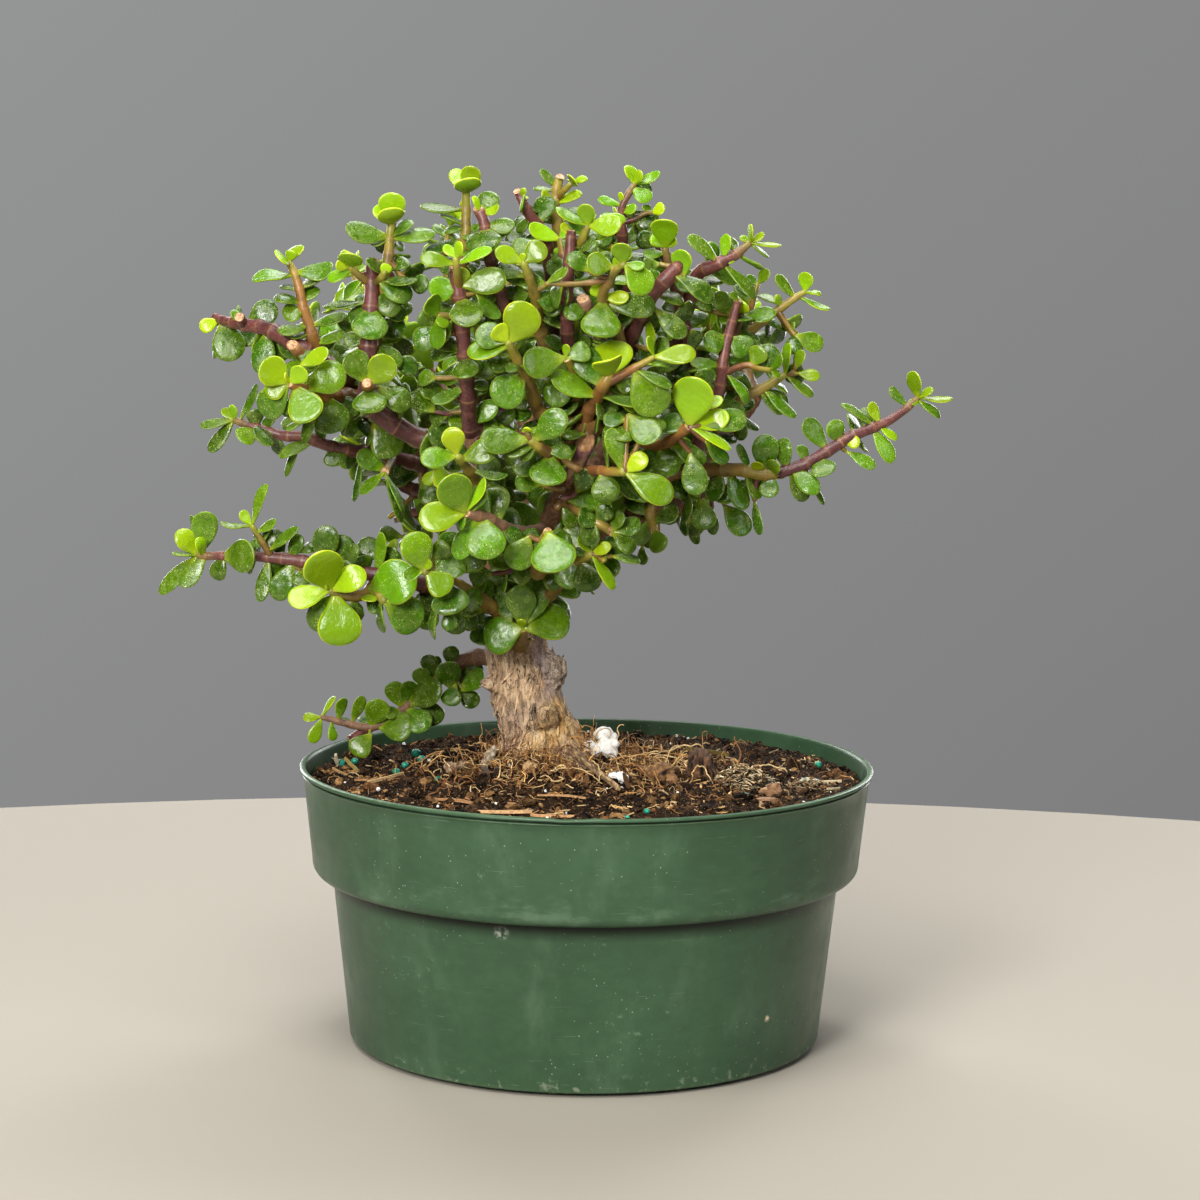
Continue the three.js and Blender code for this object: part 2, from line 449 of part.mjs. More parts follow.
    stems: [
      [[36.4,-3.4,203.8,2.69],[36.1,-8.8,204,2.52],[38.2,-16,210,2.4],[46.4,-22,223.2,2],[53,-26,229.7,1.8],[59.7,-27,233.2,1.6],[66.5,-26,237.3,1.2]]
    ],
    leaves: [
      
    ]
  },
  branch_right_long: {
    age: 0.56,
    stems: [
      [[27.9,-7.5,196.6,3.14],[26.2,-10.4,198.6,2.94],[27.3,-14,202.1,2.8],[34.9,-16,203.7,2.6],[43.4,-20,204.1,2.4],[52.5,-24,204.6,2.3],[58.5,-26,203.4,2.2],[65.3,-27,203.9,2.1]],
      [[64.6,-27,203.9,2.1],[70.4,-27,205.7,2.1],[75.5,-27,207.8,2.1],[83.3,-26,212.6,2],[89.2,-25,216.3,1.9],[95.3,-24,218.7,1.8],[103,-22,222.1,1.6],[108.9,-20,226.1,1.3],[112.8,-18,229.5,1]],
      [[45.6,-21,204.3,1],[46.7,-19.2,192,0.8]],
      [[57.6,-25.8,203.5,1],[56.8,-23.4,194.2,0.8]],
      [[39.5,-18.1,204,1],[39.4,-19.3,194.4,0.8]],
      [[27.2,-13.9,202,2.2],[27.3,-15,201.5,2.2],[23.2,-18,195.5,2],[21.2,-21,188.5,1.8],[22.9,-25,183,1.5]],
      [[90.6,-24.8,216.9,1.3],[94.6,-22.5,218.1,0.8]]
    ],
    leaves: [
      [112.8,-18,229.5,110.5,-19.2,238.8,-0.67,-0.7,-0.26,6.7,4],
      [112.8,-18,229.5,124.8,-17.9,229.4,0.01,-0.45,0.89,4.2,4],
      [112.4,-18.2,229.1,120.4,-19.4,222.8,0.41,-0.66,0.64,4.5,4],
      [97,-23.6,219.3,104,-24.2,207.5,0.38,-0.89,0.27,6.3,4],
      [77.9,-26.8,209.1,81.1,-32.7,203.7,-0.21,-0.72,0.66,8.8,4],
      [60.6,-26.4,203.4,59.9,-28.2,217.2,-0.04,-0.99,-0.13,9.1,4],
      [46.7,-19.2,192,55,-20.8,182.2,0.21,-0.92,0.33,9.1,4],
      [39.4,-19.3,194.4,39.9,-20.7,183.4,-0.38,-0.92,0.1,9.1,4]
    ]
  },
  branch_left_middle: {
    age: 0.61,
    stems: [
      [[-57.9,13.6,203.7,2.91],[-57.3,5.4,202,2.73],[-62.4,-8,204.9,2.6],[-73.4,-18,208.7,2.3],[-81.4,-22,209.6,2.2],[-90.1,-24,211.7,2],[-97.3,-24,214.4,1.9],[-105.7,-22,214.8,1.8],[-116.2,-20,217.7,1.5],[-122.3,-18,219.6,1.1]],
      [[-68.6,-14.3,207.2,1.8],[-68.1,-16,206.8,1.8],[-69,-22,204.6,1.6],[-69.8,-26,202.8,1.4]],
      [[-75.3,-19.3,209,1],[-73.5,-26.5,220.2,0.8]],
      [[-111.4,-20.9,216.3,1.3],[-114.4,-19.9,217,0.8]]
    ],
    leaves: [
      [-122.3,-18,219.6,-133.8,-19.5,217.5,-0.07,-0.61,0.79,4.9,4],
      [-122.3,-18,219.6,-130.8,-19.6,208.6,-0.29,-0.89,0.36,5.6,4],
      [-122.3,-18,219.6,-126.3,-15.6,223.5,0.23,-0.71,0.67,4.2,4],
      [-109,-21.4,215.6,-112.7,-29.9,213.6,0.57,-0.41,0.71,9.1,4],
      [-73.5,-26.5,220.2,-66.2,-28.6,208.2,0.08,-0.97,0.22,11.6]
    ]
  },
  branch_left_low: {
    age: 0.50,
    stems: [
      [[-46.8,-20.1,160,2.71],[-48.1,-20.7,160.4,2.84],[-51,-22,161.8,2.7],[-66.1,-28,166.6,2.5],[-83.2,-29,169.2,2.3],[-98.8,-27,172,2.1],[-116.3,-24,173.2,1.7],[-132.3,-20,172.6,1.3],[-134.9,-19,172.8,1.1]],
      [[-108.6,-25,172.7,1.3],[-109.8,-27,175.3,1.2],[-115,-29,184.1,1]],
      [[-70.9,-28.7,167.5,2.3],[-73,-28,165.1,2.3],[-75.5,-36,161.9,2],[-82.3,-40,161.6,1.7],[-87.1,-43,164,1.3]],
      [[-74.3,-33.4,162.8,1.6],[-73.6,-34,163.7,1.6],[-68.7,-40,159.7,1.3]],
      [[-89.9,-28.4,170.5,1.3],[-85.6,-27.5,171.1,0.8]]
    ],
    leaves: [
      [-134.9,-19,172.8,-141.7,-20.5,181.4,0.35,-0.93,0.11,7.3,4],
      [-134.6,-19.1,172.8,-131.1,-21.2,188.1,0.08,-0.98,-0.16,9.4],
      [-132.5,-20,172.6,-134.5,-24.3,179.3,0.74,-0.65,-0.2,4.9,4],
      [-134.9,-19,172.8,-143.7,-20,173.5,0.1,-0.23,0.97,3.5,4],
      [-134.9,-19,172.8,-138.2,-13.3,186.1,-0.81,-0.58,0.05,4.2,4],
      [-134.9,-19,172.8,-148.5,-18.6,159.2,-0.35,-0.87,0.33,6.7,4],
      [-131.8,-20.1,172.6,-140.2,-23.6,162.2,-0.09,-0.92,0.38,6.7,4],
      [-125.7,-21.8,172.9,-113.9,-32.9,174.2,-0.69,-0.72,0.08,11.6],
      [-125.7,-21.8,172.9,-128.5,-20.7,164.4,-0.43,-0.9,0.03,7,4],
      [-91.9,-28.1,170.9,-88.2,-30.4,184.7,-0.06,-0.99,-0.15,9.1,4],
      [-87.1,-43,164,-90.2,-52.6,177.9,0.35,-0.81,-0.48,14],
      [-87.1,-43,164,-101.1,-44.6,160.7,-0.04,-0.81,0.59,9.1,4],
      [-87.1,-43,164,-74.8,-45,170.4,-0.27,-0.94,0.22,9.1,4],
      [-85.3,-41.9,163,-82.8,-45.7,145.4,0.07,-0.97,0.22,14.7],
      [-84.7,-41.5,162.6,-94,-38.2,150.1,-0.39,-0.92,0.05,9.4],
      [-75.2,-35.6,162,-58.1,-39.9,169.1,-0.28,-0.96,0.07,15.4],
      [-68.7,-40,159.7,-56.5,-34,151.6,0.48,-0.88,0.07,13.3]
    ]
  },
  branch_left_trailing: {
    age: 0.57,
    stems: [
      [[-23.6,0,130.7,2.95],[-27.1,5,130.9,2.95],[-34.2,12,133.1,2.95],[-39.7,17,133,2.9],[-44.9,20,131.1,2.6],[-48.5,20,127,2],[-54.2,20,123.7,1.85],[-60,20,118.9,1.8],[-65.4,20,114.1,1.75],[-72.6,20,108.5,1.7],[-79.8,20,106.6,1.5],[-87.4,20,108,1.25],[-95.7,20,110.1,1]],
      [[-78,20,107,1.9],[-80.3,21.5,104.9,2.1],[-85.7,22.5,101.2,2.1]]
    ],
    leaves: [
      [-78.3,17,105.3,-73.7,15,117.4,-0,-0.99,-0.16,9,4],
      [-75.3,17,105.7,-62.8,13,107.6,-0.33,-0.81,0.49,10.8],
      [-65.2,16,115.1,-52.5,14,123.5,-0.34,-0.89,0.3,10.8],
      [-65.6,17,114.2,-57.4,13,106.9,-0.04,-0.9,0.45,9.6],
      [-48.7,17,121.7,-50.7,13,131.7,0.22,-0.92,-0.32,9.4],
      [-45.5,18,120.8,-37.5,16,128.1,-0.55,-0.73,0.4,8.6,4]
    ]
  },
  shoot_back_01: {
    age: 0.35,
    stems: [
      [[-55.4,13.2,200.5,2.9],[-72.4,20.8,213.2,2.4],[-90.9,30.9,239.4,1.9],[-105.2,38,248.7,1.2]],
      [[-99.8,35.4,245.9,1.2],[-102,46.8,245.8,0.85]],
      [[-93.2,32,241.6,1.2],[-103,33.2,239.8,0.85]],
      [[-86.4,28.4,233.5,1.2],[-93.2,18.7,243.4,0.85]],
      [[-81.4,25.6,225.9,1.2],[-78,22.6,237.1,0.85]],
      [[-75.8,22.6,217.4,1.2],[-77.1,36.8,222.6,0.85]],
      [[-69.5,19.4,210.3,1.2],[-82,20.9,208.3,0.85]]
    ],
    leaves: [
      [-99.8,35.4,245.9,-99.4,46,233.1,-0.76,0.51,0.41,14.1,4],
      [-93.2,32,241.6,-100,20.7,244.2,-0.48,0.46,0.75,11.9,4],
      [-100.6,32.9,240.3,-105.8,41.5,249.8,-0.92,-0.31,-0.22,11,4],
      [-86.4,28.4,233.5,-78.2,28.5,244.6,-0.77,0.3,0.57,11.7,4],
      [-89.5,24,238,-80.9,20.4,244.7,-0.66,-0.42,0.62,10.4,4],
      [-78.7,23.2,234.8,-75.1,12.5,239.8,0.05,0.44,0.9,10.8,4],
      [-76.9,34.4,221.8,-85.1,38.1,211.1,-0.19,0.87,0.45,11.7,4],
      [-76.4,28.9,219.8,-70.3,34.6,208.1,-0.01,0.9,0.44,12.6,4],
      [-69.5,19.4,210.3,-78.1,8.6,212.1,-0.47,0.49,0.73,11.1,4]
    ]
  },
  shoot_back_02: {
    age: 0.38,
    stems: [
      [[-61.5,14.4,208.2,2.9],[-69.2,28.5,228.8,2.4],[-78.6,36.3,250.6,1.9],[-87.2,48,271.1,1.2]],
      [[-84.9,44.8,265.7,1.2],[-81.5,60.8,270.2,0.85]],
      [[-81.2,39.5,256.8,1.2],[-91.2,43.6,258.6,0.85]],
      [[-74,32.7,240.1,1.2],[-69.2,40.6,247.4,0.85]],
      [[-67,25.1,223.1,1.2],[-79.2,30.2,225.5,0.85]]
    ],
    leaves: [
      [-84.9,44.8,265.7,-72.8,45.3,274.1,-0.54,0.39,0.75,11.7,4],
      [-82,58.4,269.5,-93,64,275.1,0.57,0.72,0.41,10.7,4],
      [-88.9,42.6,258.2,-92.2,54,261.6,-0.86,-0.36,0.37,10.5,4],
      [-74,32.7,240.1,-68.8,23.3,248,-0.32,0.5,0.81,11.1,4],
      [-70.3,38.9,245.9,-81.1,45.1,247.6,0.39,0.45,0.8,11.3,4],
      [-67,25.1,223.1,-71.3,19.2,234.8,-0.03,0.9,0.44,11.2,4],
      [-72.5,27.4,224.2,-80.1,17.7,216.1,-0.85,0.32,0.42,12.2,4]
    ]
  },
  shoot_back_03: {
    age: 0.45,
    stems: [
      [[-24.6,49.5,226.4,2.9],[-36.1,53.7,241.3,2.4],[-47.9,53.9,262.8,1.9],[-59.5,60,277,1.2]],
      [[-55.5,57.6,272.4,1.2],[-52,56.5,286.6,0.85]],
      [[-49.2,54.3,264.8,1.2],[-49.8,68,272,0.85]],
      [[-40.5,53.8,249.1,1.2],[-43.1,43.2,255.8,0.85]]
    ],
    leaves: [
      [-53.9,57.1,278.7,-59.4,45.3,282.2,0.29,0.14,0.95,11.2,4],
      [-49.7,65.7,270.8,-62,64.3,279.1,0.27,0.8,0.53,11.8,4],
      [-49.5,60.5,268,-58.1,67,260,-0.04,0.75,0.66,10.8,4],
      [-44.2,53.5,256.4,-43.9,66.7,252.7,-0.36,0.26,0.9,12.2,4],
      [-40.5,53.8,249.1,-52.2,50.6,243.8,-0.4,-0.04,0.91,10.8,4],
      [-42.6,45.2,254.5,-42.7,43.9,268.5,-0.48,-0.88,-0.09,11.8,4],
      [-35.1,53.5,239.8,-35.1,41.2,241.3,-0.42,0.11,0.9,10.6,4]
    ]
  },
  shoot_back_04: {
    age: 0.35,
    stems: [
      [[-42.8,47.3,211.2,2.9],[-37.7,53.7,231.8,2.4],[-34.7,64.8,257.8,1.9],[-26.7,70,273.6,1.2]],
      [[-34.5,65,258.6,1.2],[-26.6,75.4,261.6,0.85]],
      [[-36.7,57.4,240.9,1.2],[-25.2,61.8,247.2,0.85]],
      [[-37.9,53.3,230.8,1.2],[-39.3,68.9,236.6,0.85]],
      [[-39.6,50.8,223.2,1.2],[-47.8,53,232.2,0.85]]
    ],
    leaves: [
      [-29.9,68.3,268.1,-19.6,70.5,261.2,0.51,0.22,0.83,11.2,4],
      [-28.1,73.5,261,-26.9,85.4,253.1,0.53,0.44,0.73,11.5,4],
      [-30.9,69.7,259.9,-18.6,64.8,256.8,0.43,0.72,0.54,12,4],
      [-35.9,61.6,250.3,-51.2,58.4,248.1,-0.19,0.24,0.95,13.1,4],
      [-27.2,61,246.1,-28.3,70.5,239.7,0.71,0.45,0.54,9.2,4],
      [-37.9,53.3,230.8,-27.6,59.4,225.9,0.25,0.31,0.92,11,4],
      [-39.1,66.6,235.7,-27.5,73.9,233.1,-0.28,0.68,0.68,11.2,4],
      [-39.6,50.8,223.2,-34,40.5,228.5,0.05,0.48,0.87,11.5,4]
    ]
  },
  shoot_back_05: {
    age: 0.35,
    stems: [
      [[-7.2,9.3,239.1,2.9],[-2,27.8,246.9,2.4],[2.7,42.6,263.4,1.9],[7.4,58,274.1,1.2]],
      [[5.8,52.6,270.6,1.2],[9.1,50.7,288.6,0.85]],
      [[3.7,45.8,266,1.2],[13.3,50.1,266.9,0.85]],
      [[-2.2,26.9,246.3,1.2],[-2.1,26,257.6,0.85]]
    ],
    leaves: [
      [8.6,50.9,286.2,10.9,38.1,289.5,0.08,0.26,0.96,11.1,4],
      [7.2,51.7,278.7,-5.4,46,284.4,0.4,0.04,0.92,12.1,4],
      [3.7,45.8,266,7.9,37.2,277.8,0.12,0.82,0.56,12.4,4],
      [11,49.1,266.7,10.8,56,276,1,0.02,0.01,10.5,4],
      [1.8,39.7,260.4,14.4,38.1,260.4,0.06,0.51,0.86,11,4],
      [-2.2,26.9,246.3,13.5,27.4,245.3,0.03,0.67,0.74,13.8,4]
    ]
  },
  shoot_back_06: {
    age: 0.31,
    stems: [
      [[58.6,10,227.4,2.9],[52.6,21.3,239.8,2.4],[44.2,34.5,251.1,1.9],[35.9,44,256.4,1.2]],
      [[40.1,39.4,254.1,1.2],[44.2,50.2,257.6,0.85]],
      [[45.1,33.3,250.2,1.2],[35.4,40.8,246.5,0.85]],
      [[48.7,27.7,245.7,1.2],[41.5,25,252.5,0.85]],
      [[52.8,21.1,239.5,1.2],[56,19.6,254.7,0.85]]
    ],
    leaves: [
      [38,41.7,255.3,27.5,40.4,263.3,0.05,0.97,0.22,10.6,4],
      [43.3,48,256.9,36.6,52.5,266.2,0.74,0.63,0.23,10.8,4],
      [45.1,33.3,250.2,49.2,46.7,246.4,-0.47,0.38,0.8,11.6,4],
      [37.3,39.3,247.2,29.4,31.3,239.4,-0.76,0.65,0.11,11,4],
      [43.2,25.7,250.8,43.2,26.6,266,-0.82,-0.58,0.03,11.9,4],
      [52.8,21.1,239.5,61.8,27.8,235,-0.14,0.68,0.72,10.4,4],
      [55.5,19.9,252.2,54.3,26.8,263.6,0.3,-0.8,0.52,10.9,4]
    ]
  },
  shoot_back_07: {
    age: 0.36,
    stems: [
      [[-48.1,12.6,191.3,2.9],[-66.9,32.6,193.4,2.4],[-75.9,50,209.8,1.9],[-91,62,213,1.2]],
      [[-85.6,58.1,212.4,1.2],[-83.4,73.5,216.1,0.85]],
      [[-77.4,51.7,210.8,1.2],[-86.9,62.4,201.9,0.85]],
      [[-70.6,39.3,198.8,1.2],[-66.3,37.9,212.4,0.85]],
      [[-61.7,26.5,191.7,1.2],[-72.3,29.2,181.8,0.85]]
    ],
    leaves: [
      [-85.6,58.1,212.4,-83,61,227.6,-0.85,0.52,0.05,13.2,4],
      [-83.8,71.1,215.5,-74.5,72.3,221.9,-0.31,0.91,0.28,9.4,4],
      [-77.4,51.7,210.8,-65.9,61.7,205.7,-0.41,0.74,0.54,14.1,4],
      [-81.7,56.5,206.8,-71.5,66.1,206.2,-0.68,0.7,-0.2,12,4],
      [-70.6,39.3,198.8,-60.6,49.9,201.4,-0.51,0.29,0.81,12.7,4],
      [-67.1,38.1,210,-75.9,40,218.4,0.67,-0.12,0.73,10.8,4],
      [-68.7,38.7,204.9,-65.5,50.1,207.9,0.23,-0.31,0.92,10.5,4],
      [-61.7,26.5,191.7,-52.8,39.4,191,-0.74,0.53,0.42,13.2,4]
    ]
  },
  shoot_back_08: {
    age: 0.29,
    stems: [
      [[-40.7,42.9,203.2,2.9],[-44.2,58.7,211.9,2.4],[-54.3,71.3,225.2,1.9],[-60.8,84,234.5,1.2]],
      [[-54.1,71,224.9,1.2],[-63.8,70.6,227.3,0.85]],
      [[-48.7,64.8,218,1.2],[-50.3,60.6,230.1,0.85]]
    ],
    leaves: [
      [-59.5,81.5,232.7,-66.7,81.8,242.3,0.26,0.95,0.16,9.9,4],
      [-58.4,78.9,231,-49,81,242.3,-0.65,0.64,0.42,12.1,4],
      [-54.1,71,224.9,-53.8,82.2,218,-0.37,0.49,0.79,11.9,4],
      [-61.4,70.7,226.7,-70,80.4,222.6,-0.68,-0.31,0.67,10.9,4],
      [-48.7,64.8,218,-37.7,64.6,224.3,-0.44,0.45,0.78,10.4,4],
      [-50,61.4,227.8,-49.6,66.6,239,-0.15,-0.9,0.42,10.9,4],
      [-44.5,59.1,212.2,-35,67.7,204.1,-0.14,0.76,0.64,13.4,4]
    ]
  },
  shoot_back_09: {
    age: 0.34,
    stems: [
      [[-26.6,56.8,242.5,2.9],[-23.9,67.2,235.3,2.4],[-22.5,77.8,236.3,1.9],[-17.5,90,232,1.2]],
      [[-20,84.3,234.3,1.2],[-8.9,83.9,233,0.85]],
      [[-22.9,75.8,236.3,1.2],[-28.9,88.5,224.6,0.85]],
      [[-24.3,65.2,236.2,1.2],[-38.1,75.8,236.6,0.85]]
    ],
    leaves: [
      [-18.7,87.1,233.1,-6.9,86,233.7,0.09,0.99,0.05,9.3,4],
      [-20,84.3,234.3,-14.2,85.7,219.2,0.34,0.92,0.21,13.6,4],
      [-11.4,84,233.3,-6.1,79.6,245.3,0.92,0.19,-0.34,10.9,4],
      [-22.9,75.8,236.3,-33.6,81,239.6,0.49,0.79,0.37,10,4],
      [-28.1,86.8,226.2,-31,96.5,232.9,-0.37,0.45,-0.81,10.1,4],
      [-24.3,65.2,236.2,-25.8,60.8,221.4,0.18,0.94,-0.3,12.2,4],
      [-36.1,74.3,236.5,-47.7,80,237.2,0.21,0.52,-0.83,11.2,4]
    ]
  },
  shoot_back_10: {
    age: 0.33,
    stems: [
      [[-42,45.6,208,2.9],[-21.9,58.1,209.9,2.4],[0.3,67.5,215.4,1.9],[22.2,76,222.6,1.2]],
      [[16.3,73.7,220.6,1.2],[25.7,66,222.3,0.85]],
      [[8.4,70.7,217.9,1.2],[16.4,72.1,212.3,0.85]],
      [[-0.5,67.2,215.2,1.2],[0.3,80.7,220.2,0.85]],
      [[-9.5,63.6,212.7,1.2],[-8.2,65.3,222,0.85]],
      [[-17.5,60.3,210.8,1.2],[-5.3,53.2,208.1,0.85]]
    ],
    leaves: [
      [19.3,74.9,221.6,23.9,85.6,225.9,0.8,-0.48,0.35,9.8,4],
      [16.3,73.7,220.6,23.5,78.5,231.4,0.54,0.58,-0.61,12.4,4],
      [23.8,67.6,222,29.9,68.4,212.2,0.72,-0.57,0.4,9.3,4],
      [8.4,70.7,217.9,10,58.2,218.8,0.83,0.14,0.54,11.3,4],
      [14.4,71.7,213.7,14.7,83.3,209.2,0.98,-0.1,-0.18,11,4],
      [-0.5,67.2,215.2,2.6,70.1,203.5,0.87,0.38,0.33,10.3,4],
      [0.2,78.4,219.3,-2.6,82.1,231,0.48,0.86,-0.16,10.2,4],
      [-0.1,73.3,217.4,-12.4,78.1,215.1,0.18,0.76,0.63,11.2,4],
      [-9.5,63.6,212.7,-14.6,75.4,215.4,0.83,0.25,0.5,11.7,4],
      [-8.6,64.9,219.5,-13.5,57.1,227.3,0.37,0.53,0.76,10.7,4],
      [-7.4,54.4,208.5,-1.3,44.6,212.9,0.69,0.1,-0.72,10.8,4]
    ]
  },
  shoot_back_11: {
    age: 0.28,
    stems: [
      [[18.1,-10.9,189.4,2.9],[26.9,11.7,189,2.4],[36.1,30.9,195.5,1.9],[40.4,48,199.4,1.2]],
      [[28.7,15.6,189.9,1.2],[29.6,17.7,202.4,0.85]],
      [[25.2,7.6,188.7,1.2],[38.8,9.8,185,0.85]]
    ],
    leaves: [
      [39.7,44.8,198.7,32,52.4,206.1,0.77,0.62,0.16,10.5,4],
      [39,41.6,198,45.1,42.5,211.3,-0.07,1,-0.04,12.8,4],
      [28.7,15.6,189.9,13.5,21.7,192.3,0.39,0.76,0.52,13.6,4],
      [29.4,17.3,199.9,18.1,15,206.3,0.45,0.21,0.87,11.2,4],
      [25.2,7.6,188.7,29.9,4.8,200.2,0.26,0.96,0.12,11.6,4],
      [31.3,8.6,187,38,4.9,197.2,0.83,0.39,-0.41,10.9,4]
    ]
  },
  shoot_back_12: {
    age: 0.35,
    stems: [
      [[-35.4,32.3,186.5,2.9],[-46.8,38.1,181.8,2.4],[-62.8,49.9,182.2,1.9],[-72.1,58,178.2,1.2]],
      [[-67.5,53.9,180.6,1.2],[-63,67.7,180.5,0.85]],
      [[-44.9,36.9,182.2,1.2],[-51.3,40,192.9,0.85]]
    ],
    leaves: [
      [-63.7,65.3,180.5,-62.6,71.5,190.6,0.35,0.78,-0.52,9.3,4],
      [-44.9,36.9,182.2,-39.6,47.9,179.7,-0.89,0.45,0.12,11.3,4],
      [-50.1,39.4,190.8,-55,51.8,193.7,-0.15,-0.27,0.95,10.8,4]
    ]
  },
  shoot_back_13: {
    age: 0.35,
    stems: [
      [[-23.3,43.3,215.6,2.9],[-22.7,60.3,205.1,2.4],[-31.7,74.7,199.9,1.9],[-32.4,88,190.9,1.2]],
      [[-31,73.1,200.6,1.2],[-25.9,77.9,194.2,0.85]],
      [[-24.8,64.5,203.4,1.2],[-30.5,65.2,190.1,0.85]]
    ],
    leaves: [
      [-32.4,85.3,192.8,-23.7,94.1,193.2,-0.6,0.61,-0.52,9.7,4],
      [-32.5,82.6,194.8,-20.4,88.6,187.6,-0.37,0.92,0.15,13.5,4],
      [-31,73.1,200.6,-41.3,75.3,187.1,-0.23,0.92,0.32,13.6,4],
      [-27.2,76.7,195.9,-17.3,73.8,195.7,0.24,0.86,-0.45,9.3,4],
      [-24.8,64.5,203.4,-36.2,58.6,210.8,-0.45,0.89,0.01,11.7,4],
      [-27.4,64.8,197.4,-19.2,58.7,189.5,-0.64,0.12,-0.76,11.2,4],
      [-22.2,56.7,207.1,-16.9,55.9,218.9,0.08,1,0.04,10.9,4]
    ]
  },
  shoot_back_14: {
    age: 0.36,
    stems: [
      [[13.7,47.3,221.4,2.9],[8.4,58.6,206,2.4],[8.1,68.2,202.3,1.9],[3.8,74,188.7,1.2]],
      [[5.8,71.8,194.7,1.2],[17.6,67.4,184,0.85]],
      [[8.4,66.1,203.7,1.2],[16.5,69.3,193,0.85]],
      [[8.5,58.5,206.1,1.2],[-3.1,52.3,192.6,0.85]],
      [[10.7,53.2,212.8,1.2],[-3.4,55.3,214.1,0.85]]
    ],
    leaves: [
      [4.8,72.9,191.7,9.5,71.5,179.2,-0.72,0.6,-0.34,10.8,4],
      [5.8,71.8,194.7,-3,60.1,188.2,-0.33,0.63,-0.7,12.9,4],
      [11.1,69.8,189.9,20.6,75.8,190.6,0.5,-0.74,-0.46,10.2,4],
      [8.4,66.1,203.7,1.3,63.7,193.3,-0.12,0.98,-0.15,11.2,4],
      [12,67.5,198.8,24.2,60.7,198.7,0.37,0.67,-0.64,11.5,4],
      [8.5,58.5,206.1,-3.8,57.9,207.7,-0.1,0.89,-0.44,11.2,4],
      [-0.9,54.9,213.9,-7,65.2,205.2,-0.89,-0.14,0.44,11.8,4]
    ]
  }
};

// ---------------------------------------------------------------- helpers
function toSolid(geometry, tolerance = 1e-4) {
  geometry.deleteAttribute('normal');
  geometry.deleteAttribute('uv');
  const g = mergeVertices(geometry, tolerance);
  const pos = new Float32Array(g.attributes.position.array);
  const idx = new Uint32Array(g.index.array);
  return new wasm.Manifold(new wasm.Mesh({ numProp: 3, vertProperties: pos, triVerts: idx }));
}

function toGeometry(solid) {
  const m = solid.getMesh();
  const n = m.numProp, count = m.vertProperties.length / n;
  const pos = new Float32Array(count * 3);
  for (let i = 0; i < count; i++) for (let k = 0; k < 3; k++) pos[3 * i + k] = m.vertProperties[n * i + k];
  const g = new THREE.BufferGeometry();
  g.setAttribute('position', new THREE.BufferAttribute(pos, 3));
  g.setIndex(new THREE.BufferAttribute(new Uint32Array(m.triVerts), 1));
  g.computeVertexNormals();
  return g;
}

function largest(solid) {
  let best = null, vol = -1;
  for (const s of solid.decompose()) { const v = s.volume(); if (v > vol) { vol = v; best = s; } }
  return best;
}

// One clean body: points closer than a thousandth of a millimetre are welded,
// and specks that the welding sets free are left out.
function settle(solid) {
  let s = largest(solid);
  for (let pass = 0; pass < 5; pass++) {
    const welded = toSolid(toGeometry(s).toNonIndexed(), 1e-3);
    const bodies = welded.decompose();
    if (bodies.length === 1) return welded;
    s = largest(welded);
  }
  return s;
}

// A tapered round limb along a smooth line: a closed cylinder whose rings are
// carried along the curve and scaled to the local radius.
function limb(points, sides, spacing, grow = 0) {
  const pts = points.map((p) => new THREE.Vector3(p[0], p[1], p[2]));
  const curve = new THREE.CatmullRomCurve3(pts, false, 'catmullrom', 0.5);
  const spans = pts.length - 1;
  const steps = spans * Math.max(1, Math.round(curve.getLength() / spans / spacing));
  const centres = [], tangents = [];
  for (let i = 0; i <= steps; i++) { centres.push(curve.getPoint(i / steps)); tangents.push(curve.getTangent(i / steps)); }
  const ref = Math.abs(tangents[0].z) < 0.9 ? new THREE.Vector3(0, 0, 1) : new THREE.Vector3(1, 0, 0);
  const normals = [new THREE.Vector3().crossVectors(ref, tangents[0]).normalize()];
  for (let i = 1; i <= steps; i++) {
    const n = normals[i - 1].clone();
    n.addScaledVector(tangents[i], -n.dot(tangents[i])).normalize();
    normals.push(n);
  }
  const radiusAt = (t) => {
    const u = t * (points.length - 1), k = Math.min(points.length - 2, Math.floor(u)), w = u - k;
    return points[k][3] * (1 - w) + points[k + 1][3] * w + grow;
  };
  const g = new THREE.CylinderGeometry(1, 1, 1, sides, steps, false);
  const pos = g.attributes.position;
  for (let i = 0; i < pos.count; i++) {
    const t = pos.getY(i) + 0.5, k = Math.round(t * steps);
    const r = radiusAt(k / steps);
    const b = new THREE.Vector3().crossVectors(normals[k], tangents[k]);
    const end = k === 0 ? -grow : k === steps ? END + grow : 0;
    const p = centres[k].clone().addScaledVector(normals[k], pos.getX(i) * r).addScaledVector(b, pos.getZ(i) * r).addScaledVector(tangents[k], end);
    pos.setXYZ(i, p.x, p.y, p.z);
  }
  return toSolid(g);
}

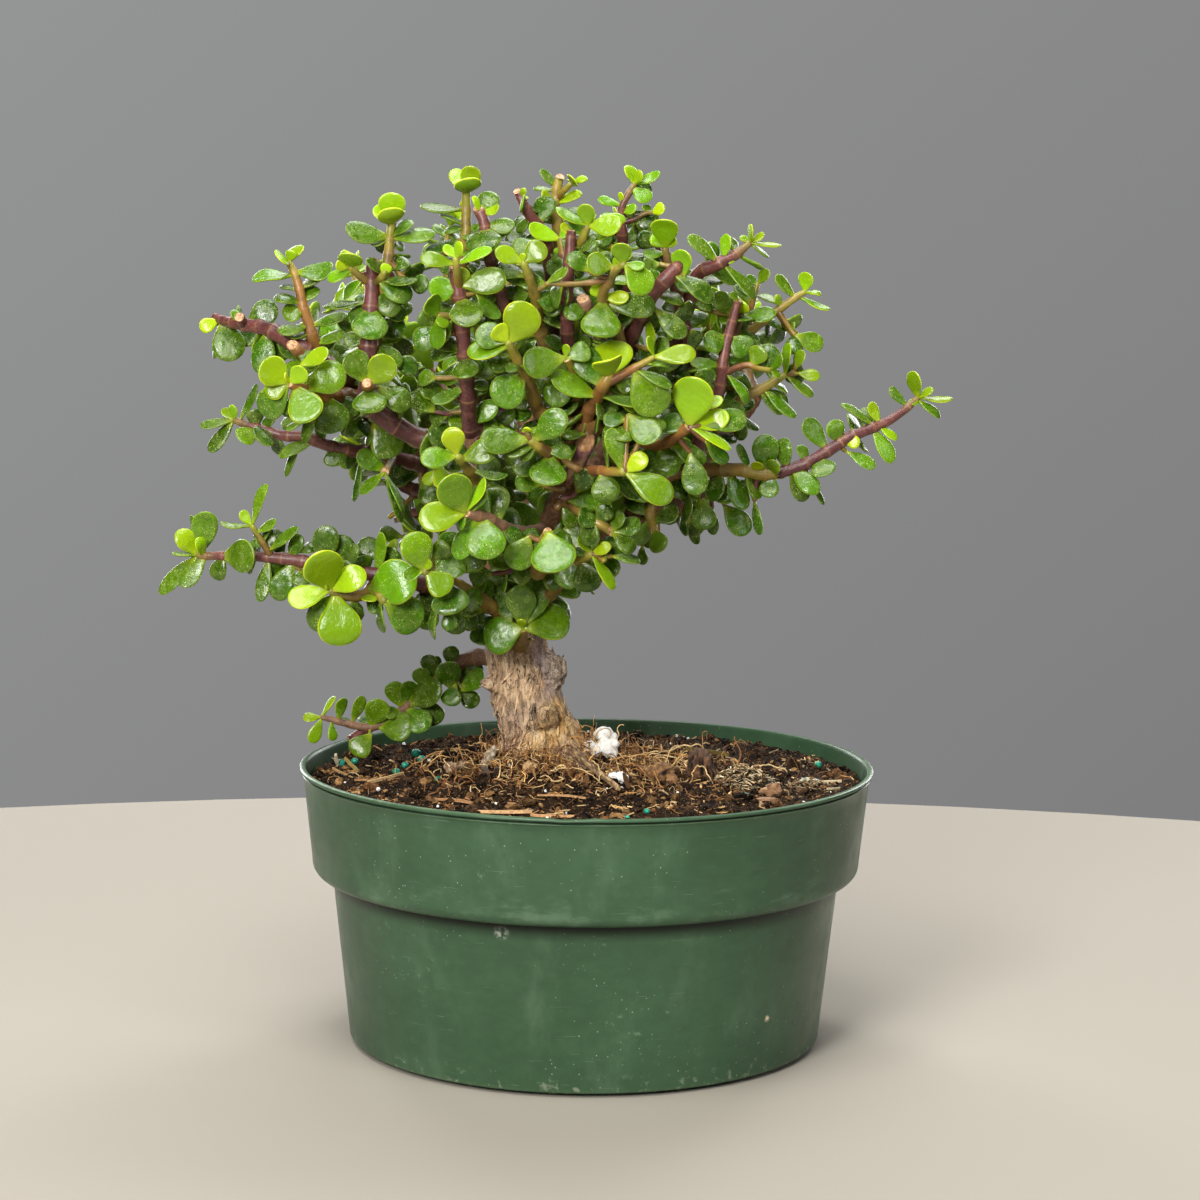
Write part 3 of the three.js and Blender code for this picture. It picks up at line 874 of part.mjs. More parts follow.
// A fleshy leaf: a low six-sided double pyramid, wedge-shaped at its base and
// widest past the middle.
function leaf(l, grow = 0) {
  const base = new THREE.Vector3(l[0], l[1], l[2]), tip = new THREE.Vector3(l[3], l[4], l[5]);
  const d = tip.clone().sub(base); const len = d.length(); d.normalize();
  const n = new THREE.Vector3(l[6], l[7], l[8]); n.addScaledVector(d, -n.dot(d)).normalize();
  const e = new THREE.Vector3().crossVectors(d, n);
  const w = l[9] + 2 * grow, th = Math.max(LEAF_THICK_MIN, LEAF_THICK * l[9]) / 2 + grow;
  const full = l[10] !== 4;     // the small and the inner leaves are plain kites
  const g = new THREE.SphereGeometry(1, full ? 6 : 4, 2);
  const pos = g.attributes.position;
  for (let i = 0; i < pos.count; i++) {
    const x = pos.getX(i), y = pos.getY(i), z = pos.getZ(i);
    let u, v = 0, h = 0;
    if (Math.abs(y) > 0.5) { u = 0.6; h = Math.sign(y) * th; }
    else if (x < -0.9) u = -grow / len;
    else if (x > 0.9) u = 1 + grow / len;
    else if (!full) { u = 0.68; v = Math.sign(z) * 0.46 * w; }
    else if (x < 0) { u = 0.48; v = Math.sign(z) * 0.43 * w; }
    else { u = 0.86; v = Math.sign(z) * 0.37 * w; }
    const p = base.clone().addScaledVector(d, u * len).addScaledVector(e, v).addScaledVector(n, h);
    pos.setXYZ(i, p.x, p.y, p.z);
  }
  return toSolid(g);
}

function soilHeight(x, y) {
  const sx = x > TRUNK_X ? 44 : 36, sy = y < TRUNK_Y ? 40 : 34;
  const q = ((x - TRUNK_X) / sx) ** 2 + ((y - TRUNK_Y) / sy) ** 2;
  const r = Math.hypot(x, y);
  const wave = 0.9 * Math.sin(x * 0.11 + 1.3) * Math.cos(y * 0.13 - 0.4) + 0.5 * Math.sin(x * 0.23 - y * 0.19);
  return SOIL_EDGE_Z + SOIL_MOUND * Math.exp(-q) + wave * Math.min(1, (98 - r) / 20);
}

// An irregular lump: a faceted ball, scaled, turned and roughened.
function lump(x, y, z, rx, ry, rz, turn, seed, grow = 0) {
  const g = new THREE.IcosahedronGeometry(1, 1);
  const pos = g.attributes.position;
  const c = Math.cos(turn), s = Math.sin(turn);
  for (let i = 0; i < pos.count; i++) {
    const a = pos.getX(i), b = pos.getY(i), h = pos.getZ(i);
    const k = 1 + 0.13 * Math.sin(a * 5.1 + seed) * Math.cos(b * 4.3 - seed) + 0.09 * Math.sin(h * 6 + seed * 2);
    const px = a * (rx + grow) * k, py = b * (ry + grow) * k, pz = h * (rz + grow) * k;
    pos.setXYZ(i, x + px * c - py * s, y + px * s + py * c, z + pz);
  }
  return toSolid(g);
}

// ---------------------------------------------------------------- pot
function lathe(profile) {
  const g = new THREE.LatheGeometry(profile.map(([r, z]) => new THREE.Vector2(r, z)), SIDES);
  g.rotateX(Math.PI / 2);
  let s = toSolid(g);
  return s;
}

const potProfile = [
  [0, 0], [POT_FOOT_R, 0], [POT_FOOT_R, 1.5], [POT_BASE_R - 0.2, 1.5],
  [POT_WAIST_R - 0.3, 59], [POT_WAIST_R + 0.3, POT_BAND_Z], [93.8, POT_BAND_Z], [96.2, 63.6], [97, 68],
  [100.2, 95.9], [POT_RIM_R - 0.2, 96.3], [POT_RIM_R, 97.3], [POT_RIM_R - 0.6, POT_HEIGHT], [99.4, POT_HEIGHT],
  [95.55, 68], [94, 64], [88.5, 61.2], [POT_WAIST_R - 0.3 - POT_WALL, 59],
  [POT_BASE_R - POT_WALL, 4.2], [79.6, 1.8], [0, 1.8],
];
let pot = lathe(potProfile);
for (let i = 0; i < DRAIN_HOLES; i++) {
  const a = (i + 0.5) / DRAIN_HOLES * Math.PI * 2;
  const hole = new THREE.CylinderGeometry(DRAIN_R, DRAIN_R, 8, 8);
  hole.rotateX(Math.PI / 2);
  hole.translate(DRAIN_CIRCLE_R * Math.cos(a), DRAIN_CIRCLE_R * Math.sin(a), 1);
  pot = pot.subtract(toSolid(hole));
}

// ---------------------------------------------------------------- trunk
const woodSolids = (grow) => Object.entries(WOOD).map(([name, pts]) => {
  const r0 = pts[0][3];
  return limb(pts, name === 'main' ? 9 : r0 > 5.5 ? 6 : 5, name === 'main' ? 15 : 18, grow);
});
const unite = (list) => list.reduce((a, b) => a.add(b));
const trunk = largest(unite(woodSolids(0)));
const trunkFat = unite(woodSolids(GAP + 0.1));

// ---------------------------------------------------------------- soil
const soilRings = [0, 18, 34, 54, 76, 96.8];
const soilProfile = [[0, 2.2], [79.2, 2.2], [81.5, 4.6], [87.6, 59], [88.0, 61.7], [93.4, 64.6], [95.0, 68.2]];
for (let i = soilRings.length - 1; i >= 0; i--) soilProfile.push([soilRings[i], 94]);
const soilGeometry = new THREE.LatheGeometry(soilProfile.map(([r, z]) => new THREE.Vector2(r, z)), SIDES);
soilGeometry.rotateX(Math.PI / 2);
{
  const pos = soilGeometry.attributes.position;
  for (let i = 0; i < pos.count; i++) {
    if (pos.getZ(i) > 90) pos.setZ(i, soilHeight(pos.getX(i), pos.getY(i)));
  }
}
let soil = toSolid(soilGeometry);

// Loose things that lie half sunk in the soil surface.
const onSoil = (x, y, lift) => soilHeight(x, y) + lift;
const LITTER = {
  perlite_large: { colour: 0xe9e6df, rough: 0.95, make: (g) => lump(5.5, -3, onSoil(5.5, -3, 3.0), 6.8, 4.8, 5.2, 0.15, 1.7, g) },
  perlite_small: { colour: 0xe9e6df, rough: 0.95, make: (g) => lump(12, -28, onSoil(12, -28, 0.7), 3.1, 2.3, 2.0, 0.4, 4.1, g) },
  wood_chunk: { colour: 0x4a3626, rough: 0.9, make: (g) => lump(40.5, -10, onSoil(40.5, -10, 4.2), 5.2, 8.0, 7.2, 0.2, 0.6, g) },
  bark_chip: { colour: 0x6a4c33, rough: 0.9, make: (g) => lump(63, -36.5, onSoil(63, -36.5, 1.5), 4.6, 2.6, 2.8, -0.3, 2.9, g) },
  moss_clump: { colour: 0x6c6135, rough: 1.0, make: (g) => lump(58, -13, onSoil(58, -13, 0.6), 12.5, 9.0, 3.8, -0.1, 5.2, g) },
  twig_grey: { colour: 0x7d7262, rough: 0.9, make: (g) => limb([[-6.5, -12, onSoil(-6.5, -12, 1.5), 1.5], [2, -27, onSoil(2, -27, 1.4), 1.45], [9, -46, onSoil(9, -46, 1.5), 1.3]], 6, 14, g) },
};
const litter = {};
for (const [name, item] of Object.entries(LITTER)) {
  litter[name] = item.make(0);
  soil = soil.subtract(item.make(GAP));
}
litter.twig_grey = largest(litter.twig_grey.subtract(LITTER.perlite_large.make(GAP)));
litter.moss_clump = largest(litter.moss_clump.subtract(LITTER.wood_chunk.make(GAP)));
for (const name of Object.keys(litter)) litter[name] = largest(litter[name].subtract(trunkFat));
soil = largest(soil.subtract(trunkFat));

// ---------------------------------------------------------------- shoots
function shootSolid(s, grow) {
  const parts = s.stems.map((p) => limb(p, p[0][3] > 2.9 ? 6 : p[0][3] > 1.4 ? 5 : 4, p[0][3] > 1.4 ? 20 : 60, grow));
  const leaves = s.leaves.map((l) => leaf(l, grow));
  return unite([...parts, ...leaves]);
}
const built = [];
const order = Object.entries(SHOOTS).sort((a, b) => b[0].startsWith('branch') - a[0].startsWith('branch'));
for (const [name, s] of order) {
  let solid = largest(shootSolid(s, 0).subtract(trunkFat));
  for (const other of built) {
    const a = solid.boundingBox(), b = other.solid.boundingBox();
    let apart = false;
    for (let k = 0; k < 3; k++) if (a.min[k] > b.max[k] + 0.1 || b.min[k] > a.max[k] + 0.1) apart = true;
    if (apart) continue;
    if (solid.intersect(other.solid).volume() > 1e-4) {
      other.fat = other.fat || shootSolid(other.data, GAP);
      solid = largest(solid.subtract(other.fat));
    }
  }
  built.push({ name, solid, data: s, fat: null });
}

// ---------------------------------------------------------------- assembly
const bonsai = new THREE.Group();
bonsai.name = 'dwarf_jade_bonsai';
function addNode(name, solid, color, roughness, metalness = 0) {
  const mesh = new THREE.Mesh(toGeometry(settle(solid)), new THREE.MeshStandardMaterial({ color, roughness, metalness }));
  mesh.name = name;
  bonsai.add(mesh);
}
addNode('pot', pot, 0x46684f, 0.42);
addNode('soil', soil, 0x3f2b1e, 1.0);
for (const [name, solid] of Object.entries(litter)) addNode(name, solid, LITTER[name].colour, LITTER[name].rough);
addNode('trunk', trunk, 0x9c7f63, 0.9);
for (const b of built) {
  const young = new THREE.Color(0xa9c832), old = new THREE.Color(0x3f6a2b);
  addNode(b.name, b.solid, young.lerp(old, Math.min(1, b.data.age * 1.25)), 0.35);
}

export default bonsai;
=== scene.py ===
"""Dwarf jade bonsai in a green nursery pot: the looks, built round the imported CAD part.

Lengths in the tables and in the mesh code are in millimetres and are turned into metres when a mesh is made.
"""
import bpy
import math
import numpy as np
from mathutils import Matrix, Vector


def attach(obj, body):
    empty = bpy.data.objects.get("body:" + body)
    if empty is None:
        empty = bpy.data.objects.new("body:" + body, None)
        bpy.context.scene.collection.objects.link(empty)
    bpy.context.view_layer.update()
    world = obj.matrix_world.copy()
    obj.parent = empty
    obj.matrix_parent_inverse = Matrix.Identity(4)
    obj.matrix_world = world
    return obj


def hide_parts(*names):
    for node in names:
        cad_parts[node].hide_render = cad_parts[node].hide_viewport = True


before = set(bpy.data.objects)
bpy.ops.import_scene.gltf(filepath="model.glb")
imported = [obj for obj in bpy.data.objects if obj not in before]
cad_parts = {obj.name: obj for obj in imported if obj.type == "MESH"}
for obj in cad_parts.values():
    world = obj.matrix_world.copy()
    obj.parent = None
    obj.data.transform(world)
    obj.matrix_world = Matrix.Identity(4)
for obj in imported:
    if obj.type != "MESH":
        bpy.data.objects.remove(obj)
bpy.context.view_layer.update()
NODES = set(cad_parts)

# ---------------------------------------------------------------- tables (mm)
# Trunk and its limbs: centre line points with radius.
TRUNK = {
    "main": [(-13.6, 0, 88, 14), (-14, 0, 98, 14.2), (-14.8, 0, 105.2, 12.9), (-16.9, 0, 110.2, 12.4), (-19.1, 0, 116, 12.3), (-21.6, 0, 123.8, 12), (-24.2, 0, 133.1, 11), (-25.3, 0, 141.7, 10.8), (-24.6, -3, 152.7, 9.4), (-21.1, -6, 163.7, 8.3), (-16.6, -4, 174.1, 7.4), (-12.3, 0, 191.4, 6.5), (-9, 4, 212.3, 5.4), (-7.1, 8, 233.2, 4.4), (-8, 12, 250.6, 3.2)],
    "right": [(-18.3, -5, 167.9, 6.6), (-4.7, -9, 176.6, 6), (8.2, -12, 183.3, 5), (21.3, -10, 191.6, 4.2), (35.2, -4, 202.8, 3.4), (49.3, 4, 216.4, 2.9), (58.6, 10, 227.4, 2.5)],
    "left": [(-26.8, 2, 145.7, 7), (-33.1, 8, 163.8, 6.2), (-42.3, 12, 182.9, 5.4), (-54.1, 13, 198.7, 4.7), (-63.9, 15, 210.9, 4.2), (-73, 18, 219.9, 3.7), (-84, 22, 227.4, 3), (-93.1, 24, 233.3, 2.6)],
    "lowleft": [(-28, -4, 142.2, 5), (-36.8, -14, 153.3, 3.8), (-48.3, -21, 161.1, 3.1)],
    "front": [(-18.2, -8, 166.8, 5.4), (-13.8, -26, 185.1, 4.2), (-8.9, -40, 197.1, 3.5), (-4.9, -49.2, 206.2, 3.2), (-0.7, -56.5, 216.4, 3.2)],
    "frontleft": [(-25.9, -6, 154.5, 5.6), (-29.8, -18, 172, 4.5), (-33.7, -28, 190.3, 3.9), (-37.5, -38, 207.5, 3.6), (-39.3, -44, 218, 3.4)],
    "back1": [(-24, 3, 153.4, 5.6), (-30.4, 22, 173, 4.6), (-38.4, 38, 195, 3.6), (-44.1, 50, 216.1, 2.8)],
    "back2": [(-17, 0, 168.1, 5.4), (-5.1, 22, 187.7, 4.4), (7.3, 40, 209.9, 3.4), (18.1, 52, 229.4, 2.7)],
    "back3": [(-19.2, 3, 167, 4.8), (-20.7, 28, 192.4, 4), (-24.3, 48, 223.7, 3.2), (-26.9, 58, 245.2, 2.6)],
    "knobr": [(-17.6, -2, 135.4, 4), (-12.2, -3.8, 133.4, 4.5), (-11.6, -4.2, 129.9, 4.1), (-14.4, -3, 126.2, 3.5)],
    "spurl": [(-30.7, -4, 125.8, 3.2), (-34.6, -6, 126.8, 2.1), (-36.9, -7, 127.6, 1.2)],
    "stubf": [(-16.4, -9, 116, 4.6), (-13.6, -13, 116.4, 4.2), (-12.8, -14.2, 116.2, 3.6)],
    "root1": [(-19.9, -5, 104.5, 8), (-30.5, -13, 96.5, 5), (-40, -21, 91.5, 3.2)],
    "root2": [(-10.8, -4, 104, 8.2), (2, -17, 93.4, 5), (11.5, -28, 89.5, 3.2)],
    "root3": [(-9.5, 4, 103.5, 7.4), (8, 15, 93, 5), (22, 25, 89, 3.2)],
    "root4": [(-19.5, 6, 103.5, 7.4), (-31.5, 20, 94.5, 4.6), (-41.5, 33, 89.5, 3)],
}
# Shoots: stems are (kind, rank, [(x, y, z, radius), ...]); kind o olive, b orange-brown, p plum, w woody.
# Leaves are (base x, y, z, tip x, y, z, upper face normal x, y, z, width, age, seen from the show side).
SHOOTS = {
    "shoot_upper_left": ([
        ("b", 0, [(-77, 19.5, 222.9, 2.91), (-78, 1.4, 221.3, 2.73), (-86.8, -30, 237, 2.6), (-90.3, -36, 241.9, 2.4), (-92.5, -41, 247.5, 2.2), (-94.4, -42, 254.2, 1.9), (-96.1, -42, 259.8, 1.7), (-98.2, -41, 268.1, 1.5), (-101, -40, 274.1, 1.2)]),
        ("o", 1, [(-92, -40, 245.9, 1), (-93.5, -40, 244.8, 0.9), (-95, -40, 244.7, 0.8)]),
    ], [
        (-101, -40, 274.1, -104.3, -46.8, 275.9, 0.73, -0.19, 0.65, 7, 0.15, 1),
        (-101, -40, 274.1, -98.1, -35, 279.7, -0.42, -0.57, 0.71, 7, 0.15, 1),
        (-101, -40, 274.1, -99.8, -41.4, 277.9, -0.28, -0.93, -0.26, 3.9, 0.1, 1),
        (-98.9, -40.7, 269.9, -113.1, -42.3, 268, -0.08, -0.42, 0.91, 8.4, 0.4, 1),
        (-99.1, -40.7, 270.3, -86, -42.4, 272.9, -0.23, -0.64, 0.73, 9.1, 0.5, 1),
        (-96.3, -41.9, 260.5, -105.9, -42.8, 262, 0.18, -0.46, 0.87, 7, 0.8, 1),
        (-96.3, -41.9, 260.5, -91.8, -38.4, 265.8, -0.28, -0.67, 0.69, 7, 0.6, 1),
        (-95.7, -42.1, 258.4, -102.5, -44.1, 256, 0.02, -0.79, 0.61, 7.7, 0.4, 1),
        (-94, -41.9, 252.8, -80.6, -43.5, 256.7, -0.29, -0.57, 0.77, 6.3, 0.6, 1),
        (-94.2, -41.9, 253.2, -103.7, -47.3, 250.8, 0.1, -0.55, 0.83, 7, 0.6, 1),
        (-93.4, -41.8, 250.5, -101, -44.6, 249.4, 0.04, -0.46, 0.89, 4.9, 0.8, 1),
        (-92.4, -40.8, 247.1, -82.1, -42.3, 250.6, -0.34, -0.56, 0.75, 6.3, 0.5, 1),
        (-95, -40, 244.7, -95.6, -40.5, 248.4, -0.22, -0.96, -0.16, 3.1, 0.1, 1),
        (-86.5, -29.1, 236.5, -92.2, -23.5, 249.1, -0.07, -0.92, 0.38, 11.7, 0.51, 0),
        (-84.5, -22.1, 232.8, -73.3, -23, 238.2, -0.35, -0.7, 0.62, 10.1, 0.84, 0),
        (-84.5, -22.1, 232.8, -96, -14.3, 228.7, -0.6, -0.62, 0.5, 12.3, 0.77, 0),
        (-82.3, -14.5, 228.6, -83.5, -10, 241.2, -0.19, -0.93, 0.32, 11.5, 0.89, 0),
        (-82.3, -14.5, 228.6, -86.7, -19.8, 219.1, -0.17, -0.83, 0.53, 10.6, 0.85, 0),
        (-80.3, -7.7, 225.1, -91.5, -12.7, 226.2, 0.32, -0.53, 0.79, 11.1, 0.79, 0),
        (-80.3, -7.7, 225.1, -84.5, -0.1, 230, -0.47, -0.65, 0.6, 8.6, 0.76, 0),
        (-78.4, -0.2, 221.8, -73.6, -7.4, 214.3, -0.21, -0.77, 0.6, 9.5, 0.84, 0),
        (-78.4, -0.2, 221.8, -84, 3, 235.2, -0.03, -0.97, 0.22, 11.6, 0.96, 0),
        (-87.8, -24.9, 234.2, -96, -27.5, 234, 0.04, -0.75, 0.66, 7.4, 0.51, 0),
        (-85.1, -24.4, 236.8, -84.9, -25.9, 246.4, -0.14, -0.69, 0.7, 8, 0.6, 0),
        (-92.4, -35.4, 242.4, -99.9, -34.3, 244.8, -0.27, -0.61, 0.75, 6.2, 0.7, 0),
        (-89.4, -35.3, 243.9, -87.5, -34.4, 249.9, -0.28, -0.67, 0.69, 5.7, 0.79, 0),
        (-98.4, -40.5, 264.6, -103.5, -36.4, 266.1, -0.14, -0.04, 0.99, 6, 0.61, 0),
        (-96.2, -40.7, 265.2, -89.8, -36, 270.1, 0.2, 0.02, 0.98, 8.4, 0.82, 0),
    ]),
    "shoot_left_arching": ([
        ("p", 0, [(-75.6, 19, 221.9, 3), (-76.3, 6, 222.6, 3.78), (-82.2, -20, 233.1, 3.6), (-87.8, -34, 238.5, 3.3), (-96.1, -42, 244.8, 3), (-107.8, -36, 251.2, 2.6), (-117, -30, 252.6, 2.2), (-125.8, -22, 253.9, 1.6), (-128.9, -19, 255.2, 1.3)]),
        ("b", 0, [(-95, -41.8, 244.1, 2), (-94.4, -46, 242, 2), (-99, -50, 246.8, 1.9)]),
        ("p", 0, [(-116.5, -30.4, 252.5, 1.8), (-117.2, -31, 252.9, 1.8), (-118.2, -36, 255.4, 1.7)]),
        ("o", 1, [(-128.9, -19, 255.2, 1.04), (-126, -19.1, 251.3, 1), (-123, -19.1, 248.6, 0.8)]),
        ("p", 1, [(-108.9, -35.4, 251.5, 1.3), (-107, -34.5, 250.4, 1), (-105.1, -33.5, 250.4, 0.8)]),
    ], [
        (-126.5, -21.3, 254.1, -133.3, -22.1, 250.8, 0.03, -0.98, 0.18, 5.2, 0, 1),
        (-125.6, -22.2, 253.9, -121.6, -26, 240.2, 0.06, -0.96, 0.28, 11.2, 0.6, 1),
        (-126.2, -21.6, 254, -129.1, -18.2, 240.6, -0.95, -0.29, 0.13, 7, 0.6, 1),
        (-116.5, -30.4, 252.5, -106.1, -30.5, 259.3, -0.18, -0.95, 0.26, 9.1, 0.7, 1),
        (-114.5, -31.9, 252.3, -107.2, -26, 253.7, 0.42, -0.67, 0.61, 8.4, 0.85, 1),
        (-108.7, -35.5, 251.5, -110.4, -37.9, 236.2, -0.22, -0.96, 0.18, 8.4, 0.7, 1),
        (-106.3, -37, 250.5, -97.8, -36.5, 241.9, 0.44, -0.81, 0.39, 7, 0.7, 1),
        (-117.5, -29.6, 252.6, -121.5, -28.8, 257.6, 0.51, -0.68, 0.53, 4.2, 0.5, 1),
        (-97.5, -48.9, 245.2, -90.5, -48.8, 239.8, 0.36, -0.81, 0.46, 7, 0.7, 1),
        (-82.1, -19.2, 232.8, -88.8, -19.7, 222.7, -0.44, -0.84, 0.33, 10.7, 0.76, 0),
        (-82.1, -19.2, 232.8, -73.7, -18, 239.5, -0.31, -0.79, 0.53, 9.7, 0.69, 0),
        (-80.3, -11.8, 229.7, -70.3, -15.4, 231.1, -0.34, -0.71, 0.62, 8.9, 0.71, 0),
        (-80.3, -11.8, 229.7, -85.6, -6.1, 238.3, -0.1, -0.86, 0.5, 10.5, 0.74, 0),
        (-78, -2.1, 225.5, -67.3, 1.8, 234.9, -0.27, -0.73, 0.62, 11.7, 0.65, 0),
        (-78, -2.1, 225.5, -91.3, -3, 218.3, -0.26, -0.78, 0.57, 12.2, 0.69, 0),
        (-76.3, 6.3, 222.5, -83.9, 11.9, 230, -0.11, -0.85, 0.52, 10.7, 0.71, 0),
        (-123, -19.1, 248.6, -113.6, -20.4, 248, -0.06, -0.75, 0.66, 8.4, 0.84, 0),
        (-105.1, -33.5, 250.4, -106.1, -35.1, 240.1, 0.1, -0.98, 0.14, 9.2, 0.71, 0),
        (-111.3, -32.6, 249.8, -112.7, -27.4, 243.1, -0.59, 0.06, 0.81, 7, 0.35, 0),
        (-120.3, -24.9, 254.1, -119.5, -18.9, 257.2, -0.47, 0.78, 0.41, 6.2, 0.63, 0),
        (-96, -45.7, 241.2, -102, -46.3, 238.3, -0.45, -0.57, 0.69, 6, 0.39, 0),
    ]),
    "shoot_left_rosette": ([
        ("b", 0, [(-71.7, 17.6, 218.9, 3.2), (-73.1, 3.2, 220, 3.15), (-81, -26, 228, 3), (-87.3, -40, 229.4, 2.6), (-94.2, -52, 232, 2), (-99.2, -58, 234.5, 1.6)]),
        ("o", 1, [(-98.2, -56.9, 234, 1), (-96.9, -57.5, 236.6, 0.9), (-95.5, -58.1, 240.2, 0.8)]),
        ("o", 1, [(-97.3, -56, 233.5, 1), (-98.2, -56, 231, 0.9), (-99.1, -56, 229.5, 0.8)]),
        ("o", 1, [(-92.5, -49.3, 231.3, 1), (-93.8, -49.3, 225.9, 0.9), (-95.1, -49.3, 221.5, 0.8)]),
        ("o", 1, [(-73.8, 0.3, 220.6, 1.2), (-68.9, -3.9, 221.6, 1.05), (-64.1, -8.1, 223.8, 0.85)]),
    ], [
        (-99.2, -58, 234.5, -108, -60.2, 241.1, 0.26, -0.96, 0.03, 10.5, 0.1, 1),
        (-99.2, -58, 234.5, -107.3, -57.1, 231.5, -0.16, -0.98, 0.14, 7.7, 0.05, 1),
        (-98.9, -57.7, 234.4, -93.6, -61.5, 239.5, -0.34, -0.89, -0.31, 6.3, 0.05, 1),
        (-97.5, -56.2, 233.7, -91.3, -61.5, 222.3, -0.07, -0.92, 0.39, 11.9, 0.15, 1),
        (-94.6, -52.7, 232.2, -81, -54.5, 238.8, -0.18, -0.98, 0.11, 11.2, 0.35, 1),
        (-95.5, -58.1, 240.2, -86.1, -59.4, 245.6, -0.33, -0.86, 0.38, 6.3, 0.15, 1),
        (-99.2, -58, 234.5, -108.8, -52.3, 223.8, -0.4, -0.91, -0.12, 10.5, 0.5, 1),
        (-89, -43.3, 229.9, -85.2, -44.4, 217.2, 0.08, -0.99, 0.1, 12.6, 0.6, 1),
        (-85.5, -36.6, 229.1, -78.4, -38.1, 223, 0.07, -0.95, 0.3, 7.7, 0.6, 1),
        (-99.1, -56, 229.5, -100.9, -53.4, 223.9, -0.86, -0.51, 0.05, 3.5, 0.5, 1),
        (-95.1, -49.3, 221.5, -101.2, -48.5, 218.7, -0.39, -0.62, 0.68, 3.5, 0.5, 1),
        (-99.2, -58, 234.5, -100.3, -59.6, 238, 0.93, -0.34, 0.14, 2.8, 0.05, 1),
        (-90.8, -46.4, 230.6, -95.7, -45, 213.3, -0.58, -0.81, 0.09, 4.9, 0.7, 1),
        (-82.9, -31.1, 228.8, -84.2, -29.6, 215.2, -0.82, -0.56, 0.01, 6.3, 0.7, 1),
        (-80.8, -25.1, 227.8, -69.7, -24.5, 227.8, 0.05, -0.89, 0.46, 9.3, 0.55, 0),
        (-80.8, -25.1, 227.8, -92, -24.2, 228, -0.07, -0.87, 0.49, 9.1, 0.56, 0),
        (-78, -15.4, 225, -72.8, -20.5, 232.3, -0.62, -0.78, -0.1, 8.6, 0.5, 0),
        (-78, -15.4, 225, -85.7, -13.1, 214.8, -0.55, -0.8, 0.24, 10.3, 0.59, 0),
        (-75.9, -7.8, 222.8, -88, -6.1, 224.9, -0.06, -0.9, 0.42, 10.1, 0.83, 0),
        (-75.9, -7.8, 222.8, -66.1, -17.7, 222.5, -0.52, -0.53, 0.67, 11.7, 0.81, 0),
        (-73.8, 0.3, 220.6, -67.1, 1.4, 230.3, -0.32, -0.89, 0.33, 10, 0.61, 0),
        (-64.1, -8.1, 223.8, -57.6, -8.1, 224.5, -0.06, -0.77, 0.64, 5.8, 0.11, 0),
        (-64.1, -8.1, 223.8, -62.6, -12.9, 226.5, 0.85, 0.43, 0.3, 5, 0.01, 0),
        (-65.9, -6.5, 223.2, -62.9, -7, 235.4, 0.65, -0.73, -0.19, 9.9, 0.35, 0),
        (-65.9, -6.5, 223.2, -60.2, -13, 218.8, 0.49, -0.16, 0.86, 8.6, 0.25, 0),
        (-69.4, -3.5, 222.1, -59.5, 3.6, 219.8, 0.57, -0.62, 0.54, 10.7, 0.68, 0),
        (-69.4, -3.5, 222.1, -75.4, -10.8, 232.2, 0.9, -0.24, 0.36, 10.9, 0.59, 0),
        (-93.9, -48.8, 230, -102.8, -49.4, 224.1, -0.05, -0.87, 0.49, 8.4, 0.76, 0),
        (-93.8, -48.3, 232.5, -101.2, -48, 238.1, -0.39, -0.73, 0.56, 7.7, 0.36, 0),
    ]),
    "shoot_left_pruned": ([
        ("p", 0, [(-39.3, -44, 218, 2.89), (-55.7, -39.7, 215.3, 3.36), (-72.8, -44, 225.7, 3.2), (-73.6, -52, 234.2, 3), (-73.2, -56, 242.3, 3), (-72.4, -54, 260.4, 2.5), (-72.2, -52, 267.2, 2.4), (-72.1, -50, 274.4, 2.3)]),
        ("o", 0, [(-72.6, -52, 267.6, 1.6), (-75.4, -54, 269.2, 1.3), (-79.1, -57, 272.8, 1.1)]),
        ("o", 0, [(-71.9, -52, 267.2, 1.5), (-69, -56, 269.3, 1.2), (-67.5, -58, 271.3, 1)]),
        ("b", 0, [(-73.7, -51, 232.9, 2.4), (-72.9, -52, 231.5, 2.4), (-72.8, -62, 234, 2), (-72.8, -66, 235.2, 1.6)]),
        ("o", 1, [(-72.8, -57.8, 232.9, 1), (-71.3, -57.8, 232.8, 0.9), (-69.8, -57.8, 233.8, 0.8)]),
        ("o", 1, [(-73.5, -55.1, 238.5, 1.3), (-69.6, -54, 239.7, 1), (-65.7, -53, 242.1, 0.8)]),
        ("p", 1, [(-72.1, -50.8, 271.7, 1.3), (-74.6, -50.2, 270.2, 1), (-77.1, -49.6, 269.9, 0.8)]),
    ], [
        (-79.1, -57, 272.8, -78.2, -65.4, 277.3, -0.15, -0.48, -0.87, 8.4, 0.3, 1),
        (-79.1, -57, 272.8, -83.6, -59.6, 273.6, 0.5, -0.86, -0.02, 3.9, 0, 1),
        (-78.4, -56.4, 272.1, -86.2, -58.5, 268.2, -0.2, -0.64, 0.74, 6.3, 0.3, 1),
        (-75.1, -53.8, 269, -81.9, -50.4, 262.3, -0.68, -0.64, 0.36, 5.6, 0.4, 1),
        (-68.4, -56.8, 270, -66.6, -57.4, 273.9, 0, -0.99, -0.14, 3.9, 0, 1),
        (-69.8, -54.8, 268.6, -59.1, -55.6, 262.3, 0.23, -0.84, 0.49, 9.1, 0.7, 1),
        (-69.8, -54.8, 268.6, -56.9, -59.4, 268.5, -0.15, -0.44, 0.88, 6.3, 0.8, 1),
        (-72.5, -54.1, 259.8, -72.4, -63.2, 249.3, 0.09, -0.75, 0.66, 11.9, 0.6, 1),
